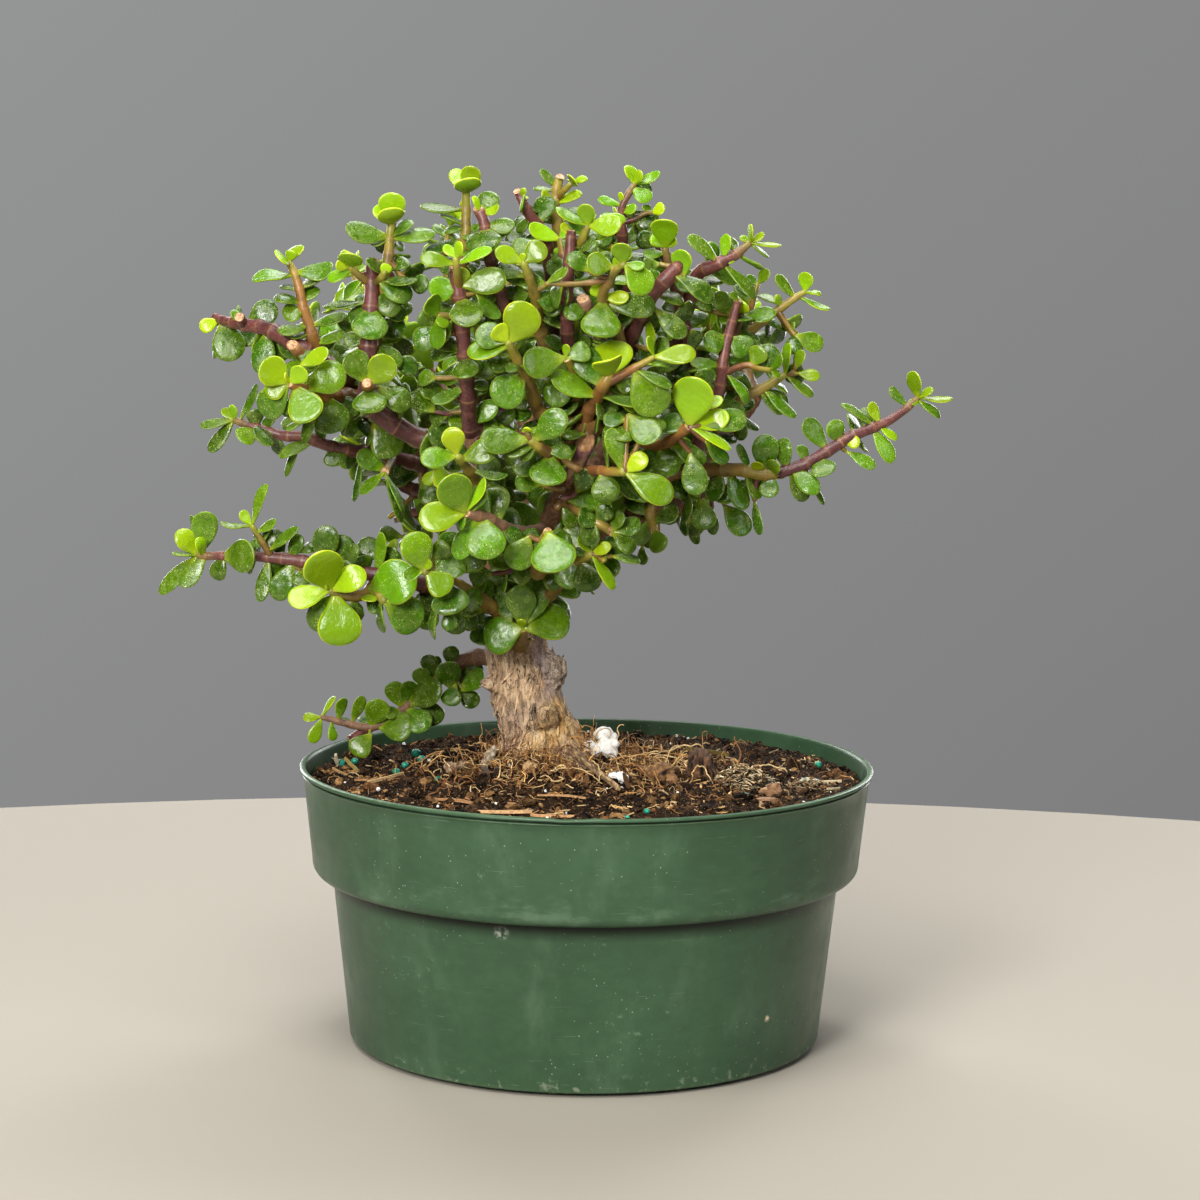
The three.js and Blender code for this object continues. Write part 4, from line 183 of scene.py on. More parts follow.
        (-72.5, -54.1, 259.8, -80.1, -51.9, 255, -0.43, -0.85, 0.29, 7, 0.7, 1),
        (-72.4, -53.7, 261.9, -62.3, -54.2, 260.1, 0.02, -0.92, 0.39, 9.1, 0.8, 1),
        (-72.4, -53.8, 261.3, -88.9, -49.1, 259.6, -0.18, -0.31, 0.94, 7, 0.8, 1),
        (-72.8, -64.5, 234.7, -64.6, -66, 243.5, -0.13, -0.99, -0.04, 9.8, 0.2, 1),
        (-72.8, -64.9, 234.9, -78.3, -66.5, 245.3, 0.29, -0.96, 0.02, 9.1, 0.5, 1),
        (-73, -55.9, 246.8, -62.1, -54.7, 241, 0.33, -0.82, 0.46, 7.7, 0.6, 1),
        (-72.8, -59.6, 233.4, -71.6, -68.3, 225.5, -0.08, -0.67, 0.74, 11.2, 0.6, 1),
        (-69.8, -57.8, 233.8, -59.5, -59.4, 226.8, 0.04, -0.96, 0.28, 8.4, 0.6, 1),
        (-72.9, -55.6, 249.3, -81.6, -54.6, 249.4, -0.08, -0.74, 0.67, 7, 0.8, 1),
        (-72.2, -43.8, 225.3, -71.5, -58.7, 229.6, -0.74, 0.15, 0.66, 12.6, 0.8, 0),
        (-72.2, -43.8, 225.3, -75.1, -29.2, 228.5, -0.66, -0.28, 0.7, 12.9, 0.71, 0),
        (-64.8, -41.5, 220.1, -61.7, -41.6, 234.3, -0.92, -0.34, 0.2, 11.5, 0.63, 0),
        (-65.7, -53, 242.1, -56.9, -50.4, 238.8, 0.41, -0.8, 0.45, 8.4, 0.94, 0),
        (-45.4, -42, 216.4, -43.3, -45, 208.3, -0.03, -0.94, 0.34, 6.1, 0.84, 0),
        (-71.2, -52.8, 254, -66.9, -47.2, 256.8, 0.25, -0.28, 0.93, 5.9, 0.7, 0),
    ]),
    "shoot_top_left_tall": ([
        ("o", 0, [(-39.3, -44, 218, 2.89), (-57.2, -33.3, 214.6, 3.15), (-73.9, -30, 227.6, 3), (-72, -42, 246.7, 2.2), (-69.1, -50, 261.9, 2), (-67, -52, 274.5, 1.8), (-66.5, -50, 281.7, 1.6), (-65.9, -49, 287.6, 1.3)]),
        ("o", 1, [(-49.9, -37.2, 214.8, 1.2), (-51, -35.4, 208.9, 1.05), (-52.1, -33.7, 204.2, 0.85)]),
        ("p", 1, [(-67.3, -52, 272.4, 1.3), (-64.2, -52.3, 267.8, 1), (-61.2, -52.6, 264.3, 0.8)]),
        ("o", 1, [(-74.2, -35.4, 237.2, 1.3), (-69.7, -34.5, 238.4, 1), (-65.2, -33.7, 240.9, 0.8)]),
        ("o", 1, [(-71.4, -44.3, 250.7, 1.3), (-71.3, -43.6, 251.6, 1), (-71.3, -42.9, 253.6, 0.8)]),
        ("o", 1, [(-65.9, -49.1, 287, 1.07), (-66.5, -48.6, 285, 1), (-67, -48.2, 284.1, 0.8)]),
        ("p", 1, [(-72.7, -39.9, 243.4, 1.3), (-76.6, -39.6, 245.9, 1), (-80.5, -39.2, 249.6, 0.8)]),
        ("o", 1, [(-66.8, -51.9, 275.6, 1.3), (-63.4, -52.4, 271.1, 1), (-60, -52.9, 267.8, 0.8)]),
    ], [
        (-65.9, -49, 287.4, -71.3, -47.5, 293.1, 0.41, -0.72, 0.57, 6.7, 0.05, 1),
        (-65.9, -49, 287.4, -65.7, -51.4, 297.3, 0.07, -0.97, -0.23, 9.1, 0.1, 1),
        (-65.9, -49.1, 287, -65.9, -57.8, 292.2, -0.3, 0.48, 0.82, 9.4, 0.1, 1),
        (-65.9, -49, 287.6, -62.2, -46.3, 291.7, -0.46, -0.48, 0.75, 4.9, 0.1, 1),
        (-66.4, -49.8, 282.5, -80.8, -54.5, 285.6, 0.36, -0.66, 0.66, 9.1, 0.5, 1),
        (-66.4, -49.8, 282.5, -51.4, -50.6, 283.9, -0.1, -0.58, 0.81, 8.4, 0.5, 1),
        (-66.4, -49.8, 282.8, -58.7, -49.4, 287.9, -0.45, -0.53, 0.72, 7, 0.5, 1),
        (-66.4, -49.8, 282.8, -73.2, -50.4, 280.7, -0.25, -0.36, 0.9, 5.6, 0.5, 1),
        (-66.5, -50, 281.8, -62, -46.3, 279.3, 0.7, -0.44, 0.56, 5.6, 0.5, 1),
        (-67.3, -51.9, 272, -59.8, -50.8, 274.6, -0.16, -0.64, 0.75, 7, 0.8, 1),
        (-67.4, -51.9, 271.4, -73.8, -57.2, 274.4, 0.66, -0.47, 0.59, 6.3, 0.8, 1),
        (-69.2, -49.7, 261.1, -61.6, -48.4, 256, 0.47, -0.72, 0.52, 7.7, 0.8, 1),
        (-71.1, -45, 251.9, -79.5, -44, 253.4, 0.02, -0.73, 0.68, 7.7, 0.8, 1),
        (-73.2, -30.1, 227.1, -78.2, -19.8, 221.5, -0.69, 0.06, 0.72, 10.8, 0.78, 0),
        (-73.2, -30.1, 227.1, -62.1, -29.1, 232, -0.41, 0.23, 0.88, 10, 0.69, 0),
        (-66.6, -31.1, 221, -71.9, -41.1, 225.8, -0.35, 0.55, 0.76, 10.5, 0.68, 0),
        (-66.6, -31.1, 221, -64.3, -21.9, 224.7, -0.65, -0.13, 0.75, 8.2, 0.7, 0),
        (-58.3, -32.9, 215, -62.5, -35.2, 227.3, -0.81, 0.56, -0.17, 10.3, 0.63, 0),
        (-49.9, -37.2, 214.8, -42.3, -28.3, 216, -0.76, 0.63, 0.16, 10.2, 0.92, 0),
        (-49.9, -37.2, 214.8, -56.4, -46.8, 210.4, -0.85, 0.5, 0.15, 11.2, 0.92, 0),
        (-52.1, -33.7, 204.2, -55.9, -33.7, 199.4, 0.47, 0.8, -0.37, 5.3, 0.06, 0),
        (-52.1, -33.7, 204.2, -49.6, -27.9, 200.5, -0.7, -0.15, -0.7, 5.9, 0.16, 0),
        (-51.6, -34.5, 206.5, -45.8, -39.9, 198.5, -0.42, 0.58, -0.7, 9.7, 0.2, 0),
        (-65.2, -33.7, 240.9, -62, -37.6, 248.9, -0.37, -0.88, -0.28, 8.2, 0.93, 0),
        (-48.7, -37.9, 215.2, -48.7, -45.7, 211.5, 0.73, 0.29, -0.61, 8.1, 0.86, 0),
        (-71.3, -42.9, 253.6, -61.6, -48, 251.3, -0.28, -0.8, 0.53, 9.2, 0.85, 0),
        (-67, -48.2, 284.1, -69.8, -44.2, 277.2, -0.28, -0.87, -0.39, 7.4, 0.82, 0),
        (-80.5, -39.2, 249.6, -82.2, -38.9, 257.3, 0.16, -0.98, 0.08, 6.6, 0.91, 0),
        (-60, -52.9, 267.8, -53.2, -57, 267.1, -0.5, -0.86, 0.11, 6.6, 0.94, 0),
        (-74.4, -34.3, 237.9, -80.5, -29, 244.9, 0.18, -0.33, 0.93, 8.8, 0.63, 0),
        (-71.4, -34.3, 237.6, -66.8, -31.2, 242.3, -0.11, -0.43, 0.9, 6.5, 0.5, 0),
        (-73.1, -40.8, 247.9, -77.4, -37.1, 253.9, 0.2, -0.41, 0.89, 7.2, 0.42, 0),
        (-70.1, -41.4, 247.2, -63.2, -40.8, 251.6, 0.01, -0.64, 0.77, 7.3, 0.4, 0),
        (-71.5, -46.2, 257.4, -77.1, -43, 263.8, 0.08, -0.64, 0.77, 8, 0.45, 0),
        (-68.4, -46.4, 256.7, -59.7, -44, 260.9, 0.2, -0.69, 0.7, 8.2, 0.47, 0),
        (-69.5, -49.4, 266.6, -73.8, -44.7, 270.6, 0.05, -0.45, 0.89, 6.1, 0.76, 0),
        (-66.9, -49.7, 266.1, -60.3, -46.3, 269.5, 0.19, -0.05, 0.98, 6.7, 0.37, 0),
        (-66, -50.1, 276.5, -61.3, -43, 275.7, -0.27, -0.29, 0.92, 7, 0.7, 0),
        (-69.7, -34.1, 237.6, -64, -29.4, 232.8, 0.53, -0.35, 0.77, 8.2, 0.48, 0),
        (-77.3, -39.2, 245.5, -85.2, -35.2, 240.6, -0.46, -0.4, 0.8, 7.8, 0.81, 0),
        (-62.4, -51.8, 270.8, -55.5, -44.8, 271.6, 0.44, -0.63, -0.64, 8.5, 0.88, 0),
    ]),
    "shoot_top_olive": ([
        ("o", 0, [(-39.3, -44, 218, 2.89), (-36.5, -32.8, 227.8, 2.73), (-36.7, -30, 251.7, 2.6), (-40.9, -42, 265.4, 2.2), (-42.4, -48, 274.7, 2), (-41.3, -50, 283.6, 1.8), (-41.4, -48, 291.8, 1.6), (-41.5, -46, 297.8, 1.3)]),
        ("o", 1, [(-37, -35.1, 224.2, 1.3), (-34.7, -35.5, 224.1, 1), (-32.4, -36, 225.2, 0.8)]),
        ("p", 1, [(-36.3, -32, 229.8, 1.3), (-35.6, -30.5, 228.6, 1), (-35, -28.9, 228.6, 0.8)]),
        ("o", 1, [(-40.3, -40.1, 263.4, 1.3), (-43.1, -40.3, 262.6, 1), (-45.9, -40.5, 263, 0.8)]),
    ], [
        (-41.5, -46, 297.8, -46.1, -42.4, 305.3, 0.14, -0.86, 0.5, 5.6, 0.1, 1),
        (-41.5, -46, 297.8, -39.2, -47.7, 306.2, -0.17, -0.97, -0.15, 7, 0.1, 1),
        (-41.5, -46.1, 297.4, -40.5, -54.5, 302.2, -0.17, 0.48, 0.86, 9.1, 0.1, 1),
        (-41.5, -46.7, 295.7, -42.4, -48.2, 292.8, -0.32, -0.8, 0.5, 3.1, 0, 1),
        (-41.4, -48, 292, -56.5, -50.2, 292.9, 0.1, -0.34, 0.94, 7.7, 0.8, 1),
        (-41.3, -49.6, 286.7, -50, -48.5, 290.4, 0.37, -0.15, 0.92, 5.6, 0.7, 1),
        (-41.3, -49.7, 286.2, -48.6, -50.3, 284.5, -0.15, -0.51, 0.85, 4.9, 0.8, 1),
        (-41.4, -50, 282.5, -55, -48.2, 278.2, -0.32, -0.51, 0.8, 6.3, 0.8, 1),
        (-41.3, -49.6, 286.7, -36.7, -48.9, 283.3, 0.57, -0.47, 0.67, 4.2, 0.6, 1),
        (-42.4, -48.3, 275.4, -50, -47.2, 272, -0.39, -0.65, 0.66, 6.3, 0.8, 1),
        (-42.4, -48.1, 274.9, -34.1, -47.1, 270.5, 0.42, -0.61, 0.66, 5.6, 0.8, 1),
        (-36.6, -30.1, 250.9, -31, -20.8, 252.1, -0.1, -0.07, 0.99, 9.3, 0.87, 0),
        (-36.5, -30.6, 242.9, -27.4, -32.6, 248.1, -0.47, 0.14, 0.87, 8.6, 0.77, 0),
        (-36.5, -30.6, 242.9, -47.8, -24.3, 244.8, 0.14, -0.05, 0.99, 10.4, 0.72, 0),
        (-36.3, -31.4, 233.4, -29.1, -22.4, 233.4, -0.06, 0.05, 1, 10.1, 0.89, 0),
        (-36.3, -31.4, 233.4, -39.5, -41.4, 237.8, 0.08, 0.38, 0.92, 10.3, 0.82, 0),
        (-32.4, -36, 225.2, -25.5, -40.4, 221.6, -0.14, -0.74, 0.66, 7.7, 0.95, 0),
        (-35, -28.9, 228.6, -34.8, -37.5, 230.7, 0.82, -0.12, -0.56, 7.6, 0.69, 0),
        (-45.9, -40.5, 263, -51.6, -44.4, 256.6, 0.21, -0.91, 0.37, 8.2, 0.73, 0),
        (-36.1, -30.6, 235.6, -31.4, -34.9, 238.3, -0.73, -0.59, 0.35, 7, 0.82, 0),
        (-38.5, -30.1, 238.9, -43.8, -25.8, 240.9, 0, 0.02, 1, 6.5, 0.85, 0),
        (-35, -29.7, 238.9, -29, -22.1, 242.7, -0.2, -0.22, 0.95, 8.6, 0.6, 0),
        (-38.1, -28.7, 246.8, -44.1, -20.7, 251.8, 0.53, -0.29, 0.8, 8.8, 0.56, 0),
        (-35.4, -28.6, 246.8, -30.8, -20.9, 248.3, -0.28, -0.29, 0.91, 8.2, 0.8, 0),
        (-40, -32.6, 255.6, -47, -31.8, 258.6, -0.17, -0.7, 0.69, 6.4, 0.89, 0),
        (-36.9, -32.1, 257.1, -34.5, -30.7, 266, -0.13, -0.76, 0.64, 7.7, 0.56, 0),
        (-41.1, -36.3, 260.2, -48.7, -34.9, 265, 0.12, -0.55, 0.83, 7.5, 0.6, 0),
        (-38.6, -35.8, 261.4, -36.8, -31.6, 271.8, 0.02, -0.79, 0.61, 8.8, 0.47, 0),
        (-42.1, -40, 264.9, -47.8, -38.1, 270.1, -0.2, -0.64, 0.74, 7.4, 0.6, 0),
        (-39.1, -40.3, 265.5, -34.9, -40.6, 273.7, 0.01, -0.48, 0.88, 7.3, 0.8, 0),
        (-42.9, -43.3, 269.8, -49.5, -39.4, 275.8, -0.23, -0.55, 0.81, 8.2, 0.82, 0),
        (-40.5, -43.2, 270.2, -38.5, -41.5, 276, -0.23, -0.53, 0.81, 6, 0.49, 0),
        (-43.1, -47.9, 279.4, -49.4, -43.1, 287, 0.15, 0.08, 0.98, 8.6, 0.37, 0),
        (-40.6, -47.8, 279.1, -35, -43.6, 285, -0.1, -0.56, 0.82, 8.2, 0.86, 0),
    ]),
    "shoot_top_purple": ([
        ("p", 0, [(-39.3, -44, 218, 2.89), (-30.1, -36, 222.1, 3.15), (-22.9, -34, 236.8, 3), (-26.1, -44, 248.9, 2.6), (-27.6, -50, 258.4, 2.4), (-30.5, -54, 267.4, 2.2), (-33.1, -56, 276.2, 2), (-35.2, -55, 287.9, 1.8), (-37.2, -54, 292.2, 1.6)]),
        ("p", 1, [(-24.4, -33.5, 232, 1.3), (-24.4, -33.6, 228.5, 1), (-24.4, -33.7, 226.2, 0.8)]),
        ("o", 1, [(-32.7, -37.9, 220.1, 1.3), (-29.9, -37.3, 222.7, 1), (-27, -36.7, 226.6, 0.8)]),
    ], [
        (-36.5, -54.4, 291, -38.8, -55.1, 296.4, 0.65, -0.74, 0.18, 2.8, 0.05, 1),
        (-36.4, -54.4, 290.8, -30.2, -56.5, 293.1, -0.45, -0.62, 0.64, 4.2, 0.05, 1),
        (-36.6, -54.3, 291.2, -32.3, -48.4, 297.8, 0.06, -0.76, 0.64, 7.7, 0.7, 1),
        (-34.8, -55.2, 286.2, -35, -65, 277.9, -0.26, -0.62, 0.74, 11.9, 0.7, 1),
        (-35, -55.1, 286.9, -24.9, -56.2, 287.1, -0.09, -0.76, 0.64, 7, 0.7, 1),
        (-35.1, -55, 287.6, -39.8, -54.3, 285.9, -0.35, -0.51, 0.79, 4.9, 0.6, 1),
        (-29.9, -53.4, 265.6, -35.8, -52.6, 262.3, -0.38, -0.76, 0.52, 6.3, 0.8, 1),
        (-29.9, -53.4, 265.6, -23.3, -50, 263.9, 0.49, -0.67, 0.56, 6.3, 0.7, 1),
        (-27.1, -48.4, 255.6, -34.6, -47.4, 253.9, -0.23, -0.74, 0.63, 7, 0.8, 1),
        (-23.1, -34.1, 236.2, -17.8, -45, 230.7, 0.5, -0.19, 0.84, 10.6, 0.89, 0),
        (-23.1, -34.1, 236.2, -31.8, -26.1, 236.9, 0.22, 0.16, 0.96, 10.3, 0.86, 0),
        (-27.2, -34.8, 227.1, -31, -41.8, 234.6, 0.62, 0.39, 0.68, 8.6, 0.65, 0),
        (-27.2, -34.8, 227.1, -18.7, -29.8, 227, 0.05, -0.08, 1, 8.8, 0.69, 0),
        (-32.7, -37.9, 220.1, -31.1, -29.3, 224.4, 0.98, -0.21, 0.06, 8.9, 0.58, 0),
        (-32.7, -37.9, 220.1, -25.5, -44.1, 215.4, 0.72, 0.42, 0.55, 9, 0.7, 0),
        (-24.4, -33.7, 226.2, -21.1, -38.2, 221.5, -0.17, -0.77, 0.62, 6, 0.56, 0),
        (-38, -42.8, 218.5, -31, -44.3, 222.7, -0.43, -0.79, 0.44, 9.4, 0.66, 0),
        (-27, -36.7, 226.6, -19.1, -38.2, 229.4, -0.3, -0.89, 0.34, 7, 0.66, 0),
        (-28.2, -43.7, 250.7, -35.3, -42.4, 257.9, -0.38, -0.41, 0.83, 8.3, 0.74, 0),
        (-24.6, -43.7, 251.3, -18.2, -40.6, 257, -0.06, -0.4, 0.92, 7.7, 0.71, 0),
        (-29.9, -49.6, 260.5, -37.1, -46.9, 264.3, -0.41, -0.42, 0.81, 8, 0.56, 0),
        (-26.9, -49.7, 261.4, -23.4, -47, 266.9, -0.32, -0.51, 0.8, 6, 0.63, 0),
        (-32.8, -53.5, 270.1, -37.9, -50.3, 272.2, -0.19, -0.58, 0.79, 5.7, 0.72, 0),
        (-30, -53.5, 270.9, -25.7, -49.9, 276.6, -0.14, -0.55, 0.82, 6.5, 0.76, 0),
        (-34.5, -55.1, 275.1, -42.3, -52.7, 278.1, -0.06, -0.33, 0.94, 6.9, 0.38, 0),
        (-32, -54.3, 275.9, -28.1, -46.9, 281.7, 0.2, -0.11, 0.97, 8.4, 0.65, 0),
        (-35.4, -54.9, 280.4, -42.3, -51.5, 283.6, -0.11, -0.19, 0.98, 7.7, 0.9, 0),
        (-32.5, -54.6, 280.9, -27.5, -50.2, 285.3, -0.18, -0.54, 0.82, 6.9, 0.66, 0),
    ]),
    "shoot_top_small": ([
        ("p", 0, [(-7.4, 10, 242, 2.91), (-8.9, -7.5, 237.5, 2.73), (-11.6, -30, 251.9, 2.6), (-13, -36, 268.9, 2.3), (-15.3, -42, 282.2, 2.1), (-20.3, -46, 290.4, 1.8), (-22.3, -46, 293.7, 1.6), (-24.3, -45, 298, 1.6)]),
        ("o", 1, [(-13.8, -38.8, 275.3, 1.3), (-16.3, -38.4, 277.3, 1), (-18.9, -38, 280.6, 0.8)]),
    ], [
        (-23, -45.7, 295.1, -22.1, -47.8, 299.3, -0.57, -0.78, -0.26, 2.5, 0, 1),
        (-22.2, -46, 293.5, -22.5, -52.8, 294.4, 0.98, -0.06, -0.17, 6.3, 0.5, 1),
        (-21.5, -46.3, 292.4, -19.8, -39.7, 293, 0.5, -0.2, 0.84, 6.3, 0.8, 1),
        (-19.9, -45.8, 289.8, -24.9, -44.9, 284.8, -0.59, -0.65, 0.48, 5.6, 0.7, 1),
        (-15.9, -42.7, 283.7, -22.5, -40.1, 281.5, -0.45, -0.61, 0.65, 6.3, 0.8, 1),
        (-14.6, -40.9, 279.8, -8.6, -39.9, 275, 0.55, -0.62, 0.56, 5.6, 0.8, 1),
        (-23, -45.7, 295.1, -21.2, -42.5, 296.5, 0.27, -0.5, 0.82, 2.1, 0, 1),
        (-11.5, -29.2, 251.4, -16.9, -32.4, 244.6, -0.24, -0.79, 0.56, 8.4, 0.59, 0),
        (-11.5, -29.2, 251.4, -0.5, -29.1, 256.7, -0.24, -0.81, 0.54, 10.3, 0.56, 0),
        (-10.4, -20.7, 245.2, -3.5, -28.1, 242.9, -0.24, -0.48, 0.85, 8.8, 0.94, 0),
        (-10.4, -20.7, 245.2, -15.4, -24, 254.1, 0.61, -0.79, 0.04, 8.6, 0.81, 0),
        (-9.7, -14.2, 240.6, 0.7, -12.2, 245.7, -0.13, -0.81, 0.58, 10, 0.75, 0),
        (-9.7, -14.2, 240.6, -16.3, -21.8, 236.9, 0.09, -0.5, 0.86, 8.9, 0.76, 0),
        (-8.8, -6.4, 237.3, -18.2, -5, 244.1, 0.07, -0.95, 0.29, 9.5, 0.62, 0),
        (-8.8, -6.4, 237.3, 1.9, -7.2, 231, 0.12, -0.94, 0.32, 11.1, 0.55, 0),
        (-18.9, -38, 280.6, -28.7, -36.1, 283.3, 0.01, -0.8, 0.6, 8.8, 0.77, 0),
        (-12.8, -23.6, 249.5, -20.2, -25.1, 256.1, 0, -0.72, 0.69, 8.3, 0.69, 0),
        (-13.3, -29.9, 257.1, -16.6, -26.9, 262.2, 0.02, -0.44, 0.9, 5.8, 0.68, 0),
        (-10.8, -29.9, 257.4, -7.4, -25.4, 262.4, 0.14, -0.29, 0.95, 6.5, 0.5, 0),
        (-13.8, -32.1, 262.7, -18.9, -27.9, 267.8, -0.06, -0.39, 0.92, 7.6, 0.69, 0),
        (-11.4, -31.9, 263, -9.1, -28.9, 268.9, 0.12, -0.12, 0.98, 5.8, 0.39, 0),
        (-14.4, -34.4, 268.7, -21.6, -29.3, 274.2, 0.12, -0.46, 0.88, 8.4, 0.58, 0),
        (-11.5, -34.5, 269, -5.8, -30.3, 275.3, -0.15, -0.66, 0.73, 7.8, 0.56, 0),
        (-15.6, -37.2, 273.9, -22.9, -35.4, 279.3, -0.01, -0.59, 0.81, 7.5, 0.81, 0),
        (-12.6, -36.8, 274.6, -7.8, -32, 282.7, 0.08, -0.37, 0.93, 8.3, 0.66, 0),
        (-19.4, -43.1, 286.4, -25.3, -40.8, 289.1, -0.28, -0.59, 0.76, 6.5, 0.72, 0),
        (-17, -43.2, 287.7, -14.6, -40.3, 296.8, -0.1, -0.49, 0.87, 8.3, 0.73, 0),
    ]),
    "shoot_centre_purple": ([
        ("p", 0, [(-39.3, -44, 218, 2.89), (-39.5, -44.8, 218.2, 3), (-39.9, -46, 219.5, 2.86), (-40.3, -52, 229.2, 2.69), (-40.8, -56, 239.3, 2.52), (-41.4, -58, 247.6, 2.44), (-42.4, -60, 255.9, 2.35), (-43, -62, 264.1, 2.27), (-44, -62, 269, 2.1), (-44.3, -62, 273.2, 2.02)]),
        ("o", 0, [(-43, -62, 266.4, 1.6), (-43.4, -68, 272.3, 1.3), (-43.6, -70, 276.2, 1)]),
        ("o", 0, [(-42, -60, 256.6, 1.4), (-46.5, -63, 257.2, 1.2), (-49.7, -65, 257.3, 1)]),
        ("o", 1, [(-43, -62, 264.3, 1), (-40.2, -62, 264.2, 0.9), (-37.4, -62, 265.1, 0.8)]),
        ("o", 1, [(-40.7, -55.4, 237.6, 1), (-45.8, -55.4, 236.6, 0.9), (-50.8, -55.4, 236.6, 0.8)]),
        ("o", 1, [(-40.2, -50.3, 226.1, 1), (-43.3, -50.3, 225.1, 0.9), (-46.4, -50.3, 225, 0.8)]),
        ("o", 1, [(-41.9, -59, 251.8, 1.3), (-45.9, -58, 251.5, 1), (-49.9, -57.1, 252.4, 0.8)]),
        ("o", 1, [(-40.3, -52, 229.2, 1.3), (-43.9, -50.5, 229.6, 1), (-47.5, -49, 231.3, 0.8)]),
        ("p", 1, [(-44.3, -50.3, 225, 0.69), (-47.9, -50.3, 224.5, 0.84), (-51.4, -50.4, 225.1, 0.67)]),
        ("o", 1, [(-40.4, -53.2, 231.7, 1.3), (-43, -52.4, 232.3, 1), (-45.5, -51.6, 234.2, 0.8)]),
        ("o", 1, [(-40, -47.2, 221.3, 1.3), (-42.6, -45.7, 220.5, 1), (-45.2, -44.3, 221, 0.8)]),
        ("o", 1, [(-46.5, -63, 257.2, 0.96), (-47.8, -62.1, 254.8, 1), (-49, -61.2, 253.5, 0.8)]),
        ("p", 1, [(-39.5, -44.8, 218.2, 1.3), (-37.4, -45.8, 214.6, 0.84), (-35.3, -46.7, 212.3, 0.67)]),
    ], [
        (-43.6, -70, 276.2, -47.3, -67.9, 280.5, 0.32, -0.72, 0.62, 4.2, 0.1, 1),
        (-43.6, -70, 276.2, -41.7, -73.2, 281.2, -0.73, -0.66, -0.15, 4.9, 0.1, 1),
        (-43.5, -69.2, 274.3, -55.3, -70.6, 276.1, 0.19, -0.75, 0.64, 6.3, 0.2, 1),
        (-43.5, -69.2, 274.3, -31.9, -70.7, 279.2, -0.38, -0.58, 0.72, 5.6, 0.2, 1),
        (-43, -62.8, 267.2, -41.2, -65, 273, -0.06, -0.94, -0.33, 5.2, 0, 1),
        (-43, -62.8, 267.2, -52.7, -64, 265.7, 0.05, -0.93, 0.37, 9.1, 0.3, 1),
        (-43, -62.8, 267.2, -27.5, -64.5, 269.9, -0.15, -0.96, 0.25, 9.1, 0.3, 1),
        (-42.9, -61.9, 263.4, -38.2, -72.5, 254.4, -0.1, -0.67, 0.73, 11.2, 0.6, 1),
        (-37.4, -62, 265.1, -29.4, -63.5, 256.8, 0.42, -0.73, 0.54, 6.3, 0.4, 1),
        (-41.1, -57.2, 244.1, -40.3, -67.9, 237.3, -0.19, -0.54, 0.82, 9.1, 0.6, 1),
        (-40, -47, 221, -47.1, -48, 221.9, 0.16, -0.91, 0.39, 6.3, 0.5, 1),
        (-40, -47, 221, -30.8, -48.3, 228.1, -0.31, -0.93, 0.23, 7, 0.5, 1),
        (-49.7, -65, 257.3, -52, -70.3, 263.4, 0.71, -0.64, -0.29, 7.7, 0.3, 1),
        (-49.7, -65, 257.3, -47.2, -67.9, 253.6, 0.37, -0.6, 0.71, 4.9, 0.3, 1),
        (-49, -64.6, 257.3, -50, -65.3, 246.5, -0.45, -0.89, 0.1, 6.3, 0.3, 1),
        (-41.3, -57.6, 246.1, -52.7, -59.1, 249.9, 0.3, -0.73, 0.62, 7.7, 0.7, 1),
        (-40.5, -54.1, 233.8, -52.4, -55.5, 228.9, -0.21, -0.68, 0.7, 6.3, 0.5, 1),
        (-50.8, -55.4, 236.6, -57, -51, 236.4, -0.54, -0.75, 0.4, 6.3, 0.6, 1),
        (-40.8, -55.8, 238.8, -49.2, -51.6, 236.2, -0.51, -0.76, 0.4, 7, 0.7, 1),
        (-40.5, -54.1, 233.8, -33.3, -53.3, 234.6, 0, -0.73, 0.68, 4.9, 0.7, 1),
        (-46.4, -50.3, 225, -53.5, -45.3, 222.9, -0.6, -0.78, 0.19, 7.7, 0.9, 1),
        (-41.5, -58.1, 248.1, -52.6, -54, 243.7, -0.47, -0.71, 0.53, 8.4, 0.7, 1),
        (-41.2, -57.4, 245.1, -36, -57.8, 238.8, 0.51, -0.72, 0.47, 6.3, 0.8, 1),
        (-49.9, -57.1, 252.4, -55.7, -60.7, 258.5, 0.43, -0.89, -0.13, 7.4, 0.72, 0),
        (-47.5, -49, 231.3, -56.6, -51.4, 233.1, 0.31, -0.82, 0.47, 8.1, 0.66, 0),
        (-51.4, -50.4, 225.1, -59.6, -49.9, 231.2, 0.19, -0.93, 0.33, 8.3, 0.57, 0),
        (-45.5, -51.6, 234.2, -51, -47.8, 237.8, 0.08, -0.62, 0.78, 6.3, 0.84, 0),
        (-40.7, -55.4, 237.6, -29.8, -55.2, 240.9, -0.17, -0.75, 0.63, 8.3, 0.88, 0),
        (-45.2, -44.3, 221, -52.6, -49.3, 214.2, 0.37, -0.89, 0.27, 9.2, 0.95, 0),
        (-49, -61.2, 253.5, -57.4, -61.6, 247, -0.17, -0.94, 0.28, 9.3, 0.8, 0),
        (-35.3, -46.7, 212.3, -32.5, -50.7, 203.8, 0.07, -0.9, 0.44, 8.4, 0.9, 0),
        (-41.9, -50.3, 229.9, -46.7, -46.9, 235.8, 0.31, -0.52, 0.8, 6.4, 0.36, 0),
        (-38.5, -50.6, 229.9, -34.4, -48.8, 235.1, -0.15, -0.73, 0.66, 6, 0.62, 0),
        (-43.7, -57.9, 253, -48.5, -55.3, 257.8, 0.11, -0.56, 0.82, 6.1, 0.41, 0),
